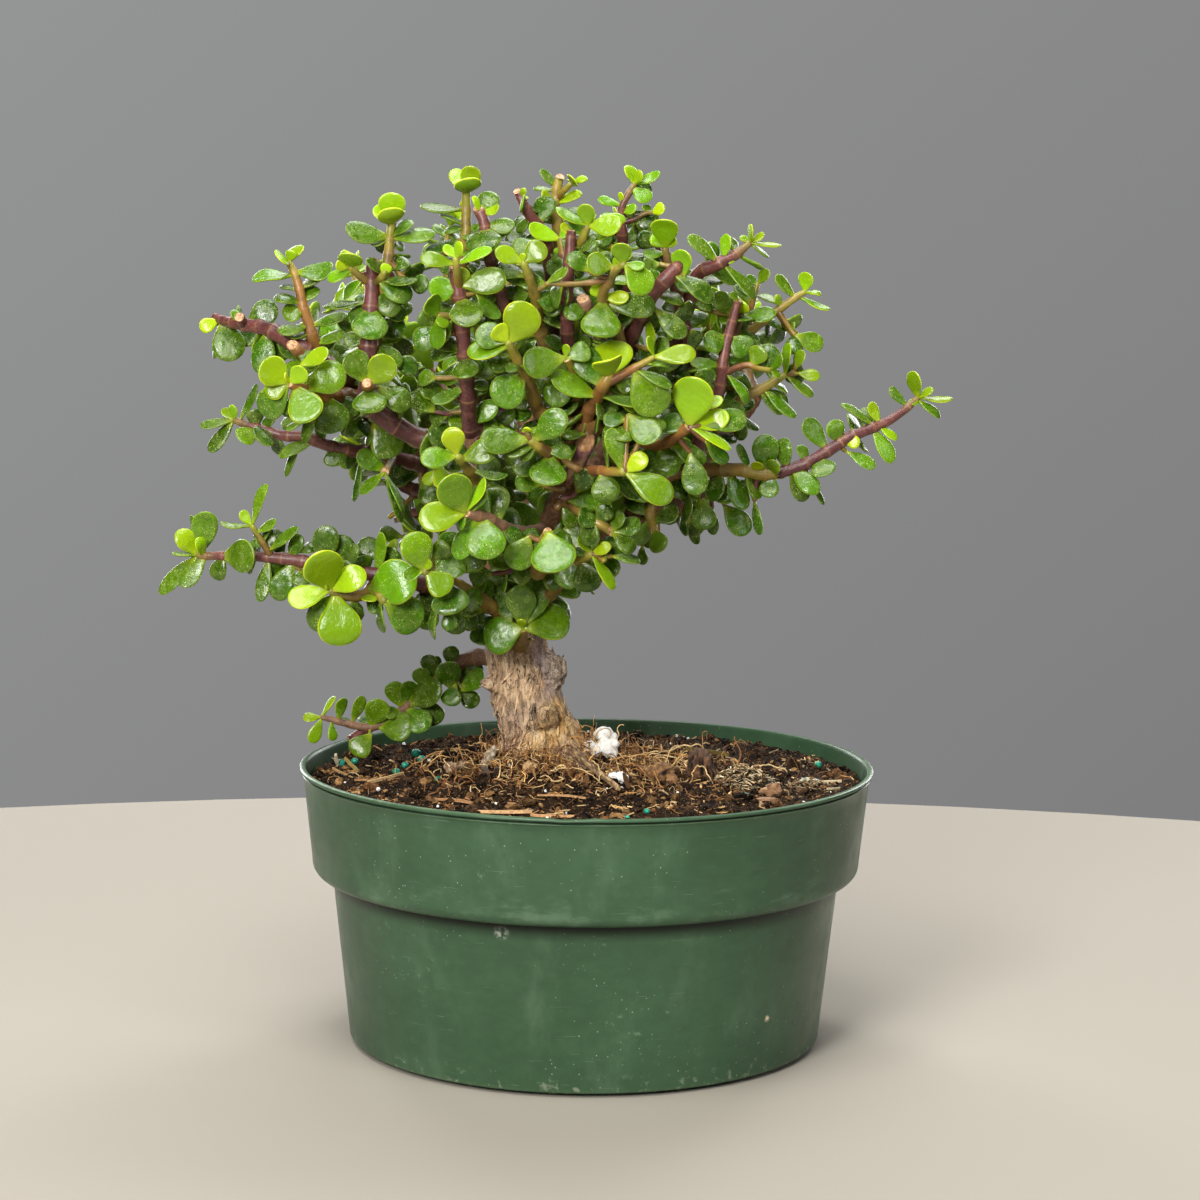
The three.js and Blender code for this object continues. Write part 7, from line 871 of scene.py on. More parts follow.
        (-15.7, -55.1, 201.7, -24.4, -57.3, 201.8, 0.2, -0.75, 0.63, 8, 0.62, 0),
        (2.5, -55.6, 188.9, 7.2, -56.7, 194.8, -0.16, -0.99, -0.05, 6.8, 0.9, 0),
        (-5.6, -41.6, 198.9, 2, -43.9, 199.2, -0.25, -0.73, 0.64, 6.5, 0.84, 0),
        (-7.6, -50.5, 196.4, 5.7, -50.9, 196.5, -0.03, -0.95, 0.31, 8.8, 0.56, 0),
        (-10.7, -58.7, 212.3, -13.2, -59.7, 219.3, 0.29, -0.96, -0.03, 6.3, 0.76, 0),
        (11.2, -61.8, 222.4, 11.8, -70.5, 217.2, -0.14, -0.52, 0.84, 8.2, 0.58, 0),
        (-4, -53.2, 198.6, -0.2, -56.6, 206.6, -0.4, -0.9, -0.2, 7.8, 0.94, 0),
        (11.6, -67.4, 212.4, 6.4, -62.4, 215.9, -0.36, -0.47, 0.81, 7.3, 0.72, 0),
        (12.8, -67.3, 212.3, 17.4, -62.3, 214.4, 0.14, -0.04, 0.99, 6, 0.79, 0),
        (12.1, -66.1, 218.2, 7, -57.7, 221.6, -0.39, 0.05, 0.92, 8.6, 0.55, 0),
        (13.1, -66.2, 218.2, 19.6, -60.1, 221.7, 0.18, -0.25, 0.95, 8.4, 0.89, 0),
        (-7.5, -43.5, 193.2, -4.5, -43.9, 186.1, 0.26, -0.95, 0.16, 6.1, 0.6, 0),
        (-1.7, -49.2, 192.9, 8.1, -47.4, 193.1, 0.32, -0.95, 0.06, 8.4, 0.37, 0),
        (-7.2, -58.6, 208.4, -13.9, -52.8, 207.3, -0.68, 0, 0.73, 7.8, 0.56, 0),
        (-6.5, -58.5, 209.4, -6.3, -52.7, 214.4, -0.58, -0.45, 0.68, 6.9, 0.4, 0),
    ]),
    "shoot_front_left": ([
        ("w", 0, [(-13.6, -26.4, 185, 2.6), (-16.3, -38, 184.2, 2.6), (-21.4, -50, 184.4, 2.5), (-27.5, -60, 187.3, 2.2), (-33.5, -68, 191.4, 1.9), (-39.9, -73, 193.4, 1.5)]),
        ("p", 1, [(-23.5, -33.2, 171.7, 1.3), (-27.9, -33.8, 169.8, 1), (-32.3, -34.4, 169.1, 0.8)]),
    ], [
        (-39.9, -73, 193.4, -55.1, -74.8, 191.2, 0.04, -0.9, 0.43, 10.5, 0.05, 1),
        (-39.9, -73, 193.4, -45.8, -78.7, 206, 0.32, -0.91, -0.26, 11.9, 0.3, 1),
        (-39.9, -73, 193.4, -33.7, -74.9, 205.1, -0.76, -0.56, 0.31, 5.2, 0.15, 1),
        (-38.7, -72.1, 193.1, -34.1, -70.6, 202.1, -0.39, -0.85, 0.35, 7, 0.6, 1),
        (-34.5, -69, 191.8, -32.5, -75.4, 178.5, -0.01, -0.9, 0.44, 13.3, 0.5, 1),
        (-36.4, -70.5, 192.5, -43.5, -66.8, 177.7, -0.4, -0.92, -0.03, 7.7, 0.45, 1),
        (-28.9, -62.9, 188.5, -21, -60.6, 181.9, 0.58, -0.68, 0.45, 7.7, 0.8, 1),
        (-29.6, -64, 189.1, -31.8, -62.4, 201.5, -0.14, -0.98, 0.1, 10.5, 0.8, 1),
        (-39.9, -73, 193.4, -42.6, -69.9, 188.2, -0.82, -0.57, 0.09, 5.6, 0.5, 1),
        (-23.1, -39.5, 174.4, -31, -35.9, 185.2, 0.2, -0.88, 0.44, 11.4, 0.72, 0),
        (-24.4, -31.2, 171.3, -12.2, -31.6, 172.9, -0.1, -0.82, 0.56, 10.5, 0.54, 0),
        (-24.4, -31.2, 171.3, -34.3, -33.4, 175.1, 0.38, -0.74, 0.55, 8.6, 0.51, 0),
        (-32.3, -34.4, 169.1, -40.5, -36.4, 168.4, 0.22, -0.95, 0.21, 6.9, 0.73, 0),
        (-24.8, -28.1, 170.2, -27.2, -33.7, 167.1, 0.23, -0.55, 0.8, 8.1, 0.88, 0),
        (-28.8, -19.7, 171.3, -34.5, -23, 161.4, 0.07, -0.96, 0.28, 8.6, 0.69, 0),
        (-25.7, -25.2, 169.7, -25.9, -23.9, 161.1, 0.07, -0.98, -0.16, 8.4, 0.59, 0),
        (-15.4, -32.5, 182.3, -16.8, -34.6, 176.7, -0.05, -0.93, 0.36, 5.6, 0.56, 0),
        (-20.5, -45, 182.3, -24.4, -45.6, 176.3, -0.18, -0.88, 0.43, 6.9, 0.45, 0),
        (-21.4, -44.6, 185.3, -30, -46.3, 187.9, -0.56, -0.74, 0.38, 8.4, 0.7, 0),
        (-24, -51.1, 183.5, -32, -52.9, 178.7, -0.23, -0.85, 0.47, 7.3, 0.63, 0),
        (-23.5, -50.5, 186.4, -28.3, -50.4, 192.6, -0.16, -0.77, 0.61, 6.8, 0.81, 0),
        (-33.6, -65.5, 189.9, -42.3, -65.9, 188.2, -0.17, -0.67, 0.73, 7.2, 0.46, 0),
        (-32.7, -65.2, 191.9, -38.6, -64.2, 200.7, -0.18, -0.77, 0.62, 8.7, 0.61, 0),
        (-27.4, -33.3, 169.1, -29.3, -30.1, 162.8, -0.73, -0.53, 0.42, 5.9, 0.4, 0),
    ]),
    "shoot_low_front": ([
        ("o", 0, [(-13, -28.8, 187.7, 2.91), (-15.3, -33.8, 175.6, 2.73), (-16.7, -46, 171.2, 2.6), (-15.2, -60, 180.1, 2.2), (-13.1, -70, 187.2, 1.6)]),
        ("o", 1, [(-13.7, -30, 183.9, 1), (-11.7, -30, 183.4, 0.9), (-9.7, -30, 183.9, 0.8)]),
        ("o", 1, [(-14.2, -65, 183.6, 1), (-16.6, -65, 183.9, 0.9), (-19.1, -65, 185.3, 0.8)]),
        ("o", 1, [(-14.9, -32.4, 177.3, 1), (-12.2, -32.4, 176.4, 0.9), (-9.6, -32.4, 176.6, 0.8)]),
        ("o", 1, [(-14.7, -31.8, 178.6, 1), (-9.6, -30.6, 176.9, 0.9), (-4.5, -29.4, 176.3, 0.8)]),
        ("o", 1, [(-11.3, -32.4, 176.4, 0.69), (-12, -31.4, 178.8, 1), (-12.7, -30.3, 182.3, 0.8)]),
        ("p", 1, [(-15.2, -33.5, 175.9, 1.3), (-13.5, -31.8, 179.9, 1), (-11.8, -30.1, 185.1, 0.8)]),
        ("p", 1, [(-13.3, -29.3, 186.2, 1.3), (-14.9, -28.9, 187.5, 1), (-16.5, -28.5, 190, 0.8)]),
        ("o", 1, [(-12.3, -30, 183.5, 0.75), (-15.5, -29.4, 185.8, 1), (-18.7, -28.7, 189.3, 0.8)]),
        ("o", 1, [(-10.6, -30.8, 177.2, 0.74), (-9.1, -30.1, 176.1, 1), (-7.7, -29.5, 176.2, 0.8)]),
        ("p", 1, [(-13.7, -30, 183.9, 0.8), (-11.3, -29.4, 185.4, 1), (-9, -28.8, 188.1, 0.8)]),
    ], [
        (-13.7, -30, 183.9, -28.5, -32.7, 190.3, 0.28, -0.92, 0.26, 11.2, 0.5, 1),
        (-13.7, -30, 183.9, -10.5, -34.3, 197.2, -0.1, -0.95, -0.28, 11.2, 0.3, 1),
        (-9.7, -30, 183.9, 3.9, -32.5, 180.8, -0.1, -0.95, 0.31, 11.2, 0.5, 1),
        (-13.1, -70, 187.2, -9.8, -79.8, 175.1, -0.11, -0.79, 0.61, 14.7, 0.42, 1),
        (-19.1, -65, 185.3, -24.8, -65.3, 174.4, -0.01, -1, 0.04, 9.8, 0.7, 1),
        (-13.7, -30, 183.9, -14.3, -35.1, 185.3, -0.59, -0.15, -0.8, 3.5, 0.05, 1),
        (-14.1, -65.5, 184, -19.9, -61, 181, -0.68, -0.67, 0.3, 7, 0.7, 1),
        (-9.6, -32.4, 176.6, -7.3, -29.4, 165.1, -0.09, -0.96, -0.27, 9.8, 0.7, 1),
        (-4.5, -29.4, 176.3, 1.3, -26.1, 163.3, 0.22, -0.96, -0.15, 10.5, 0.7, 1),
        (-16.7, -45.5, 171.3, -17.7, -54.5, 182.7, 0.02, -0.78, -0.62, 11.4, 0.51, 0),
        (-15.8, -37.6, 173.5, -7, -42.8, 172.2, -0.51, -0.86, 0.04, 8.9, 0.67, 0),
        (-11.8, -30.1, 185.1, -15.8, -28.8, 192.9, 0.31, -0.9, 0.3, 7.7, 0.65, 0),
        (-16.5, -28.5, 190, -17.3, -23.9, 198.8, -0.38, -0.83, 0.4, 8.8, 0.64, 0),
        (-18.7, -28.7, 189.3, -18.5, -22.4, 192.3, 0.22, -0.42, 0.88, 6, 0.8, 0),
        (-13.3, -29.3, 186.2, -8.9, -31.7, 185.6, -0.37, -0.81, 0.44, 6.4, 0.69, 0),
        (-7.7, -29.5, 176.2, -13.6, -26.4, 184.2, 0.02, -0.93, 0.37, 8.4, 0.8, 0),
        (-9, -28.8, 188.1, -9.1, -22.1, 185.4, 0.99, 0.06, 0.08, 6.5, 0.93, 0),
        (-14.5, -41.1, 171.2, -9.1, -42.9, 165.9, 0.29, -0.95, -0.06, 7.3, 0.81, 0),
        (-18.3, -40.9, 171.9, -25.4, -42.6, 168.5, 0.12, -0.89, 0.43, 6.7, 0.64, 0),
        (-14.6, -49.8, 175.4, -8.6, -48.9, 180.8, 0.02, -0.91, 0.41, 7.4, 0.46, 0),
        (-16.7, -54.9, 179, -20.1, -54.6, 186.7, 0.05, -0.72, 0.69, 7, 0.58, 0),
        (-14.1, -54.9, 178.5, -6.2, -53.9, 184.9, 0.44, -0.76, 0.48, 8.6, 0.4, 0),
        (-13.3, -60.1, 181.3, -6.7, -61.2, 185.7, 0.29, -0.59, 0.75, 7.5, 0.59, 0),
    ]),
    "shoot_low_front_left": ([
        ("o", 0, [(-32.5, -9.5, 148.3, 2.91), (-28.7, -12.5, 147.8, 2.73), (-26.9, -18, 150.4, 2.6), (-40.1, -34, 162.7, 2.2), (-48, -46, 168.2, 1.8), (-54.7, -54, 172, 1.4)]),
        ("o", 1, [(-48.1, -46.1, 168.2, 1), (-48.9, -46.1, 166, 0.9), (-49.7, -46.1, 164.8, 0.8)]),
        ("o", 1, [(-52, -51, 170.5, 1.25), (-52.1, -50.8, 172.5, 1), (-52.2, -50.6, 175.7, 0.8)]),
        ("o", 1, [(-31.9, -24.4, 155.4, 1.3), (-34.9, -23.4, 155.1, 1), (-38, -22.4, 156, 0.8)]),
        ("o", 1, [(-49.7, -46.1, 164.8, 0.64), (-48.3, -46.3, 160.8, 1), (-46.9, -46.4, 158.1, 0.8)]),
        ("p", 1, [(-49.4, -47.8, 169, 1.3), (-46.2, -48.2, 169.5, 1), (-43, -48.6, 171.2, 0.8)]),
        ("o", 1, [(-47.5, -45.2, 167.8, 1.3), (-47.2, -43.8, 172.3, 1), (-46.9, -42.4, 178.1, 0.8)]),
        ("o", 1, [(-42.5, -37.3, 164.5, 1.3), (-43.2, -37.4, 160.6, 1), (-43.9, -37.5, 157.8, 0.8)]),
    ], [
        (-54.2, -53.5, 171.8, -59.4, -55, 184.9, 0.29, -0.96, 0, 11.2, 0.3, 1),
        (-54.2, -53.5, 171.8, -46, -55.9, 165.4, 0.01, -0.93, 0.37, 9.1, 0.15, 1),
        (-53, -52, 171.1, -41, -49.2, 174, 0.09, -0.88, 0.47, 9.1, 0.7, 1),
        (-47.2, -44.8, 167.6, -45.4, -53.7, 157.5, -0.2, -0.75, 0.63, 12.6, 0.8, 1),
        (-54.7, -54, 172, -61.5, -52.3, 170.8, -0.3, -0.67, 0.68, 6.3, 0.4, 1),
        (-54.7, -54, 172, -52.6, -54.6, 175.8, -0.5, -0.86, 0.13, 3.5, 0.1, 1),
        (-43.4, -38.7, 165.2, -36.6, -37.3, 157.9, 0.51, -0.8, 0.32, 8.4, 0.8, 1),
        (-49.7, -46.1, 164.8, -51.3, -47.9, 148, -0.92, -0.38, 0.12, 6.3, 0.8, 1),
        (-27, -17.8, 150.3, -35.3, -17.6, 159.4, 0.41, -0.82, 0.4, 10.4, 0.92, 0),
        (-52.2, -50.6, 175.7, -46.9, -52.8, 181.2, -0.24, -0.96, -0.15, 6.8, 0.74, 0),
        (-38, -22.4, 156, -43, -24.8, 148.7, 0.1, -0.97, 0.24, 7.4, 0.79, 0),
        (-46.9, -46.4, 158.1, -45.9, -48, 150.9, 0.03, -0.97, 0.23, 6, 0.8, 0),
        (-43, -48.6, 171.2, -34.6, -47.7, 177.7, -0.2, -0.9, 0.38, 8.9, 0.85, 0),
        (-46.9, -42.4, 178.1, -46.7, -47, 184.7, 0.07, -0.82, -0.56, 7.2, 0.77, 0),
        (-43.9, -37.5, 157.8, -45.7, -40.3, 148.9, 0.04, -0.96, 0.29, 8.3, 0.61, 0),
        (-31.9, -21.1, 152.3, -38.3, -21.4, 150.7, -0.58, -0.56, 0.59, 5.8, 0.84, 0),
        (-29.6, -20.7, 155.3, -29.7, -18.8, 163.6, -0.47, -0.69, 0.55, 7.1, 0.81, 0),
        (-35.1, -24.7, 156, -44.5, -22, 155.7, -0.34, -0.7, 0.63, 7.5, 0.72, 0),
        (-33.6, -24.4, 158, -37.4, -21.9, 166.1, -0.26, -0.75, 0.61, 7.7, 0.43, 0),
        (-38.4, -28.9, 158.8, -44.9, -28.4, 158.8, -0.39, -0.81, 0.43, 5.9, 0.9, 0),
        (-36.7, -28.5, 161.1, -38, -26.2, 168.3, -0.51, -0.49, 0.71, 6.2, 0.4, 0),
        (-46.6, -40.9, 165.4, -53.8, -41.9, 163.9, -0.31, -0.78, 0.55, 6.6, 0.77, 0),
        (-45.4, -40.7, 167.6, -48.9, -39.8, 176.6, -0.51, -0.71, 0.48, 7.7, 0.44, 0),
    ]),
    "shoot_low_front_right": ([
        ("o", 0, [(-23.3, -4.6, 157.5, 2.46), (-20.5, -11.4, 154.9, 2.31), (-14.7, -24, 159, 2.2), (-4.3, -44, 173.4, 1.8), (1.4, -54, 178.3, 1.4)]),
        ("o", 1, [(1.4, -54, 178.3, 1), (4.8, -54, 177.5, 0.9), (8.1, -54, 177.7, 0.8)]),
        ("o", 1, [(-6.1, -40.7, 171.2, 1.3), (-1.1, -41.1, 169.8, 1), (3.8, -41.4, 169.6, 0.8)]),
        ("o", 1, [(3.6, -54, 177.7, 0.75), (4.6, -55.2, 176.5, 1), (5.6, -56.5, 176.5, 0.8)]),
    ], [
        (1.4, -54, 178.3, 8.9, -56, 166.6, 0.63, -0.59, 0.5, 6, 0.2, 1),
        (1.4, -54, 178.3, 7.8, -55.9, 181.6, -0.4, -0.87, 0.28, 4.5, 0.05, 1),
        (1.1, -53.5, 178.1, -2.6, -51.5, 184.3, 0.49, -0.7, 0.51, 4.9, 0.2, 1),
        (-2.9, -46.6, 175, -9.3, -47.3, 166.7, -0.15, -0.97, 0.19, 9.1, 0.6, 1),
        (-1.3, -49.3, 176.4, 0.9, -51.4, 165.2, -0.18, -0.97, 0.14, 9.8, 0.7, 1),
        (1.4, -54, 178.3, 15.2, -45.8, 182.2, 0.22, -0.7, 0.68, 9.8, 0.8, 1),
        (8.1, -54, 177.7, 17.6, -53.9, 175.8, 0.17, -0.56, 0.81, 4.9, 0.7, 1),
        (0.6, -52.5, 177.6, -4.3, -50.8, 179.6, 0.07, -0.65, 0.75, 4.2, 0.6, 1),
        (-14.9, -23.6, 158.8, -13, -28.8, 149.1, 0.36, -0.79, 0.49, 8.9, 0.7, 0),
        (-14.9, -23.6, 158.8, -17.2, -19.2, 169.4, 0.38, -0.82, 0.43, 10.3, 0.74, 0),
        (-18.5, -15.8, 156, -5.9, -8.7, 153, 0.51, -0.67, 0.54, 12, 0.8, 0),
        (-18.5, -15.8, 156, -28.9, -22.1, 158.3, 0.52, -0.66, 0.54, 10.9, 0.69, 0),
        (3.8, -41.4, 169.6, 10.8, -43.9, 174.4, -0.45, -0.87, 0.2, 7.2, 0.55, 0),
        (5.6, -56.5, 176.5, 3, -48.7, 177.2, -0.76, -0.3, 0.57, 7.3, 0.88, 0),
        (-14.8, -19.2, 156.9, -6.7, -19.1, 154.8, 0.16, -0.79, 0.59, 6.9, 0.72, 0),
        (-12.7, -27.2, 163.6, -12.4, -25, 172.3, 0.12, -0.85, 0.52, 8.3, 0.6, 0),
        (-10.8, -27.5, 161.9, -2.5, -25.9, 163.9, 0.46, -0.71, 0.53, 8, 0.47, 0),
        (-1.3, -40.5, 169.1, 2.3, -36.7, 163.5, 0.62, -0.28, 0.73, 7.1, 0.83, 0),
    ]),
    "shoot_trunk_front": ([
        ("o", 0, [(-25.2, 0.2, 139.3, 2.69), (-24.6, -3.2, 138.8, 2.52), (-23.6, -10, 140.9, 2.4), (-22.3, -22, 146.1, 2), (-22.1, -30, 150, 1.6)]),
        ("o", 1, [(-22.1, -28.4, 149.2, 1), (-24.3, -28.4, 148.6, 0.9), (-26.6, -28.4, 149, 0.8)]),
        ("o", 1, [(-22.5, -19.4, 144.9, 1), (-24.3, -19.4, 144.8, 0.9), (-26.1, -19.4, 145.7, 0.8)]),
        ("o", 1, [(-22.4, -20.6, 145.5, 1), (-20.8, -20.6, 144.5, 0.9), (-19.2, -20.6, 144.6, 0.8)]),
    ], [
        (-22.1, -30, 150, -35.5, -27.3, 145.3, -0.28, -0.92, 0.28, 13.3, 0.44, 1),
        (-22.1, -30, 150, -6.3, -27, 152.9, 0.1, -0.91, 0.41, 13.3, 0.4, 1),
        (-22.1, -30, 150, -23.1, -32.2, 165.2, 0.05, -0.99, -0.14, 10.5, 0.6, 1),
        (-22.1, -30, 150, -22.7, -32.8, 153.4, -0.33, -0.7, -0.63, 3.5, 0.1, 1),
        (-26.6, -28.4, 149, -29.6, -25.8, 165, -0.32, -0.94, 0.1, 7, 0.8, 1),
        (-22.1, -30, 150, -16, -27.2, 166.2, -0.13, -0.97, 0.21, 10.5, 0.7, 1),
        (-26.1, -19.4, 145.7, -40.9, -19.7, 145.7, 0.02, -0.79, 0.61, 8.4, 0.7, 1),
    ]),
    "shoot_right_rosette": ([
        ("b", 0, [(18.1, -10.9, 189.4, 3.36), (13.1, -14.2, 193.9, 3.15), (10.7, -24, 204.1, 3), (17.2, -40, 212.2, 2.5), (23.8, -50, 214.4, 2.1), (28.9, -58, 218.3, 1.9), (33, -63, 222, 1.6)]),
        ("o", 1, [(33, -63, 222, 1), (34.4, -63, 224.5, 0.9), (35.8, -63, 227.9, 0.8)]),
        ("b", 1, [(29.3, -58.6, 218.7, 1), (31.4, -58.6, 215.4, 0.9), (33.5, -58.6, 213.1, 0.8)]),
        ("o", 1, [(33, -63, 222, 1), (34.8, -63, 221.7, 0.9), (36.6, -63, 222.3, 0.8)]),
        ("b", 1, [(33, -63, 222, 1), (35.6, -63, 219.2, 0.9), (38.3, -63, 217.4, 0.8)]),
        ("o", 1, [(11, -18.7, 199.2, 1.3), (11.4, -18.7, 196.6, 1), (11.8, -18.6, 195.2, 0.8)]),
        ("o", 1, [(35.8, -63, 227.9, 0.64), (37.5, -62.2, 230.6, 1), (39.2, -61.4, 234.4, 0.8)]),
    ], [
        (33, -63, 222, 34.7, -68.7, 238.4, -0.25, -0.92, -0.29, 14, 0.1, 1),
        (33, -63, 222, 46.1, -63.4, 225.6, -0.11, -0.94, 0.31, 7.3, 0.05, 1),
        (33, -63, 222, 32.8, -61.9, 229.9, -0.88, -0.47, 0.05, 3.1, 0.1, 1),
        (35.8, -63, 227.9, 44, -63.6, 231.1, -0.25, -0.83, 0.49, 4.5, 0.05, 1),
        (33, -63, 222, 46.8, -64.8, 214.3, 0.38, -0.46, 0.8, 5.6, 0.15, 1),
        (26.7, -54.7, 216.4, 39, -55.3, 209.6, 0.24, -0.84, 0.49, 7.7, 0.7, 1),
        (24.9, -51.8, 215.1, 26.4, -55.8, 204.5, -0.23, -0.92, 0.31, 9.8, 0.8, 1),
        (33.5, -58.6, 213.1, 36.2, -60, 199, -0.2, -0.98, 0.05, 8.8, 0.7, 1),
        (31.6, -61.4, 220.7, 24.5, -56.7, 223.5, -0.3, -0.78, 0.54, 8.4, 0.7, 1),
        (36.6, -63, 222.3, 52.1, -58.9, 224.4, 0.13, -0.8, 0.58, 9.1, 0.6, 1),
        (23.8, -50, 214.4, 17.2, -48.8, 206.2, -0.49, -0.83, 0.27, 7, 0.8, 1),
        (38.3, -63, 217.4, 46, -61.7, 210.1, 0.52, -0.74, 0.42, 6.3, 0.7, 1),
        (10.7, -23.7, 203.8, 5, -32.4, 194, -0.21, -0.67, 0.71, 12, 0.87, 0),
        (10.7, -23.7, 203.8, 19, -16.6, 211.5, -0.2, -0.6, 0.77, 11.9, 0.91, 0),
        (11.9, -17.9, 197.8, 23.3, -23.3, 195.1, -0.06, -0.55, 0.83, 11, 0.61, 0),
        (11.9, -17.9, 197.8, 0.6, -9.7, 201.8, -0.11, -0.55, 0.83, 11.5, 0.72, 0),
        (11.8, -18.6, 195.2, 7.3, -20.3, 187.9, -0.16, -0.93, 0.32, 7.2, 0.56, 0),
        (39.2, -61.4, 234.4, 37.1, -65.5, 240.9, 0.17, -0.86, -0.48, 6.7, 0.64, 0),
        (26.3, -54, 216.1, 34, -51.2, 212.3, 0.33, -0.94, -0.03, 7.8, 0.58, 0),
        (14.5, -33.2, 211.4, 15.2, -33.9, 220.9, -0.28, -0.83, 0.48, 7.9, 0.43, 0),
        (17.1, -33.4, 208.9, 25.1, -34.9, 209.3, -0.07, -0.77, 0.63, 7.7, 0.4, 0),
        (21.2, -43.5, 214.7, 27.7, -42.1, 221.9, 0.26, -0.49, 0.83, 7.6, 0.76, 0),
        (21.3, -44.2, 211.5, 29.4, -46.6, 205.4, 0.32, -0.69, 0.65, 8.1, 0.41, 0),
    ]),
    "shoot_right_upper": ([
        ("o", 0, [(57.5, 9.3, 226.1, 2.17), (49.1, -3, 230.2, 2.31), (49.7, -18, 247, 2.2), (56.3, -20, 253.3, 1.8), (63.1, -20, 258.5, 1.5), (69.8, -20, 263.3, 1.2), (73.2, -20, 265.4, 1)]),
        ("b", 0, [(52.1, -19.9, 250.5, 1.2), (53, -19, 249.5, 1.2), (55.4, -22, 262.5, 1), (57, -22, 268, 0.8)]),
        ("o", 1, [(64.1, -20, 259.2, 1), (67, -21.2, 254.5, 0.9), (69.9, -22.4, 250.8, 0.8)]),
        ("o", 1, [(63.6, -20, 258.8, 1), (66.5, -20, 254.3, 0.9), (69.4, -20, 250.7, 0.8)]),
        ("p", 0, [(50.4, -19, 248.6, 1.7), (50.2, -20, 247.8, 1.7), (49.2, -27, 251.4, 1.5), (50.7, -31, 255.9, 1.3), (51, -31, 258.6, 1.1)]),
        ("o", 1, [(67.6, -21.4, 253.7, 0.7), (69.2, -20.9, 251.9, 1), (70.8, -20.3, 251.4, 0.8)]),
    ], [
        (73.2, -20, 265.4, 73.3, -21.4, 272.2, -0.56, -0.81, -0.16, 6, 0.15, 1),
        (73.2, -20, 265.4, 78.9, -21.2, 264.2, 0.08, -0.48, 0.87, 3.1, 0.1, 1),
        (70.8, -20, 263.9, 81.8, -20.8, 259.6, 0.28, -0.5, 0.82, 4.2, 0.2, 1),
        (69.8, -20, 263.3, 63.1, -21.1, 271.1, 0.61, -0.67, 0.43, 5.6, 0.4, 1),
        (65.1, -20, 260, 63.2, -22.1, 264.3, 0.57, -0.81, -0.15, 3.1, 0.1, 1),
        (66.2, -20, 260.7, 57.2, -16.8, 264.2, 0.17, -0.47, 0.86, 4.9, 0.5, 1),
        (57, -22, 268, 60.4, -23, 273, -0.63, -0.72, 0.28, 4.9, 0.3, 1),
        (56.8, -22, 267.4, 53.4, -21.1, 271.1, 0.47, -0.65, 0.6, 4.2, 0.4, 1),
        (59.2, -20.1, 255.6, 68.6, -17.1, 252.9, 0.4, -0.6, 0.69, 4.9, 0.7, 1),
        (69.9, -22.4, 250.8, 79.7, -21.5, 247.1, 0.25, -0.86, 0.45, 7.7, 0.4, 1),
        (69.4, -20, 250.7, 69.6, -22, 255.1, -0.96, -0.26, -0.06, 3.1, 0.4, 1),
        (60.2, -20.1, 256.3, 62.2, -12.4, 252.6, 0.91, -0.35, -0.23, 7, 0.7, 1),
        (50.9, -31.2, 257.7, 51.9, -34.7, 261.9, -0.37, -0.75, -0.55, 4.9, 0.05, 1),
        (50.9, -31.3, 257.2, 49.1, -27.9, 261.8, 0.41, -0.66, 0.64, 3.1, 0.3, 1),
        (50.8, -31.3, 256.7, 62.7, -32.7, 258.5, -0.18, -0.74, 0.65, 7, 0.4, 1),
        (50.5, -30.7, 255.4, 43.6, -28, 256.9, -0.12, -0.7, 0.7, 6.3, 0.6, 1),
        (49.2, -27.5, 251.8, 57.8, -26.4, 247.8, 0.36, -0.75, 0.55, 7, 0.7, 1),
        (49.6, -17.5, 246.4, 51.5, -28.1, 240.5, 0.03, -0.49, 0.87, 10.2, 0.53, 0),
        (49.6, -17.5, 246.4, 44.4, -12.3, 254.2, 0.22, -0.74, 0.64, 8.8, 0.63, 0),
        (49, -11.4, 239.2, 58.8, -9.2, 242.7, -0.16, -0.56, 0.81, 9.2, 0.72, 0),
        (49, -11.4, 239.2, 40.3, -19.6, 243.6, 0.55, -0.13, 0.82, 10.1, 0.59, 0),
        (48.7, -5.2, 232.2, 44.1, 5.7, 238.6, -0.08, -0.53, 0.84, 11.9, 0.73, 0),
        (48.7, -5.2, 232.2, 53.1, -14.3, 223.4, -0.03, -0.7, 0.71, 11.4, 0.82, 0),
        (70.8, -20.3, 251.4, 68.8, -22.3, 244.2, -0.07, -0.96, 0.28, 6.6, 0.55, 0),
        (53.5, -17.8, 251.9, 53.3, -12.4, 257.3, 0.45, -0.55, 0.7, 6.8, 0.65, 0),
        (55.1, -18.5, 250, 62.8, -16.1, 249.6, 0.35, -0.69, 0.64, 6.5, 0.9, 0),
        (54.5, -21, 261.1, 50.2, -16.5, 268.2, 0.46, -0.41, 0.79, 8.4, 0.8, 0),
        (66.9, -20.3, 255.6, 72.5, -15.4, 255.4, 0.49, -0.72, -0.49, 5.8, 0.41, 0),
        (65.7, -19.6, 254.2, 63.4, -15.3, 247.3, 0.47, -0.75, 0.47, 6.6, 0.81, 0),
        (48.4, -22.9, 249.8, 41.6, -23.4, 254, -0.16, -0.83, 0.53, 7.1, 0.47, 0),
        (50.2, -22.7, 250.7, 52, -23.6, 259.8, -0.08, -0.85, 0.53, 8, 0.89, 0),
    ]),
    "shoot_right_purple": ([
        ("p", 0, [(34.7, -4.3, 202.3, 2.91), (34.4, -15.3, 202.4, 2.73), (37.7, -30, 215.1, 2.6), (41.5, -34, 224.9, 2.2), (43.3, -38, 230.9, 2), (44.5, -40, 237.8, 1.9), (45.1, -40, 244.5, 1.8), (47, -38, 252.8, 1.6), (49.7, -36, 262.5, 1.3)]),
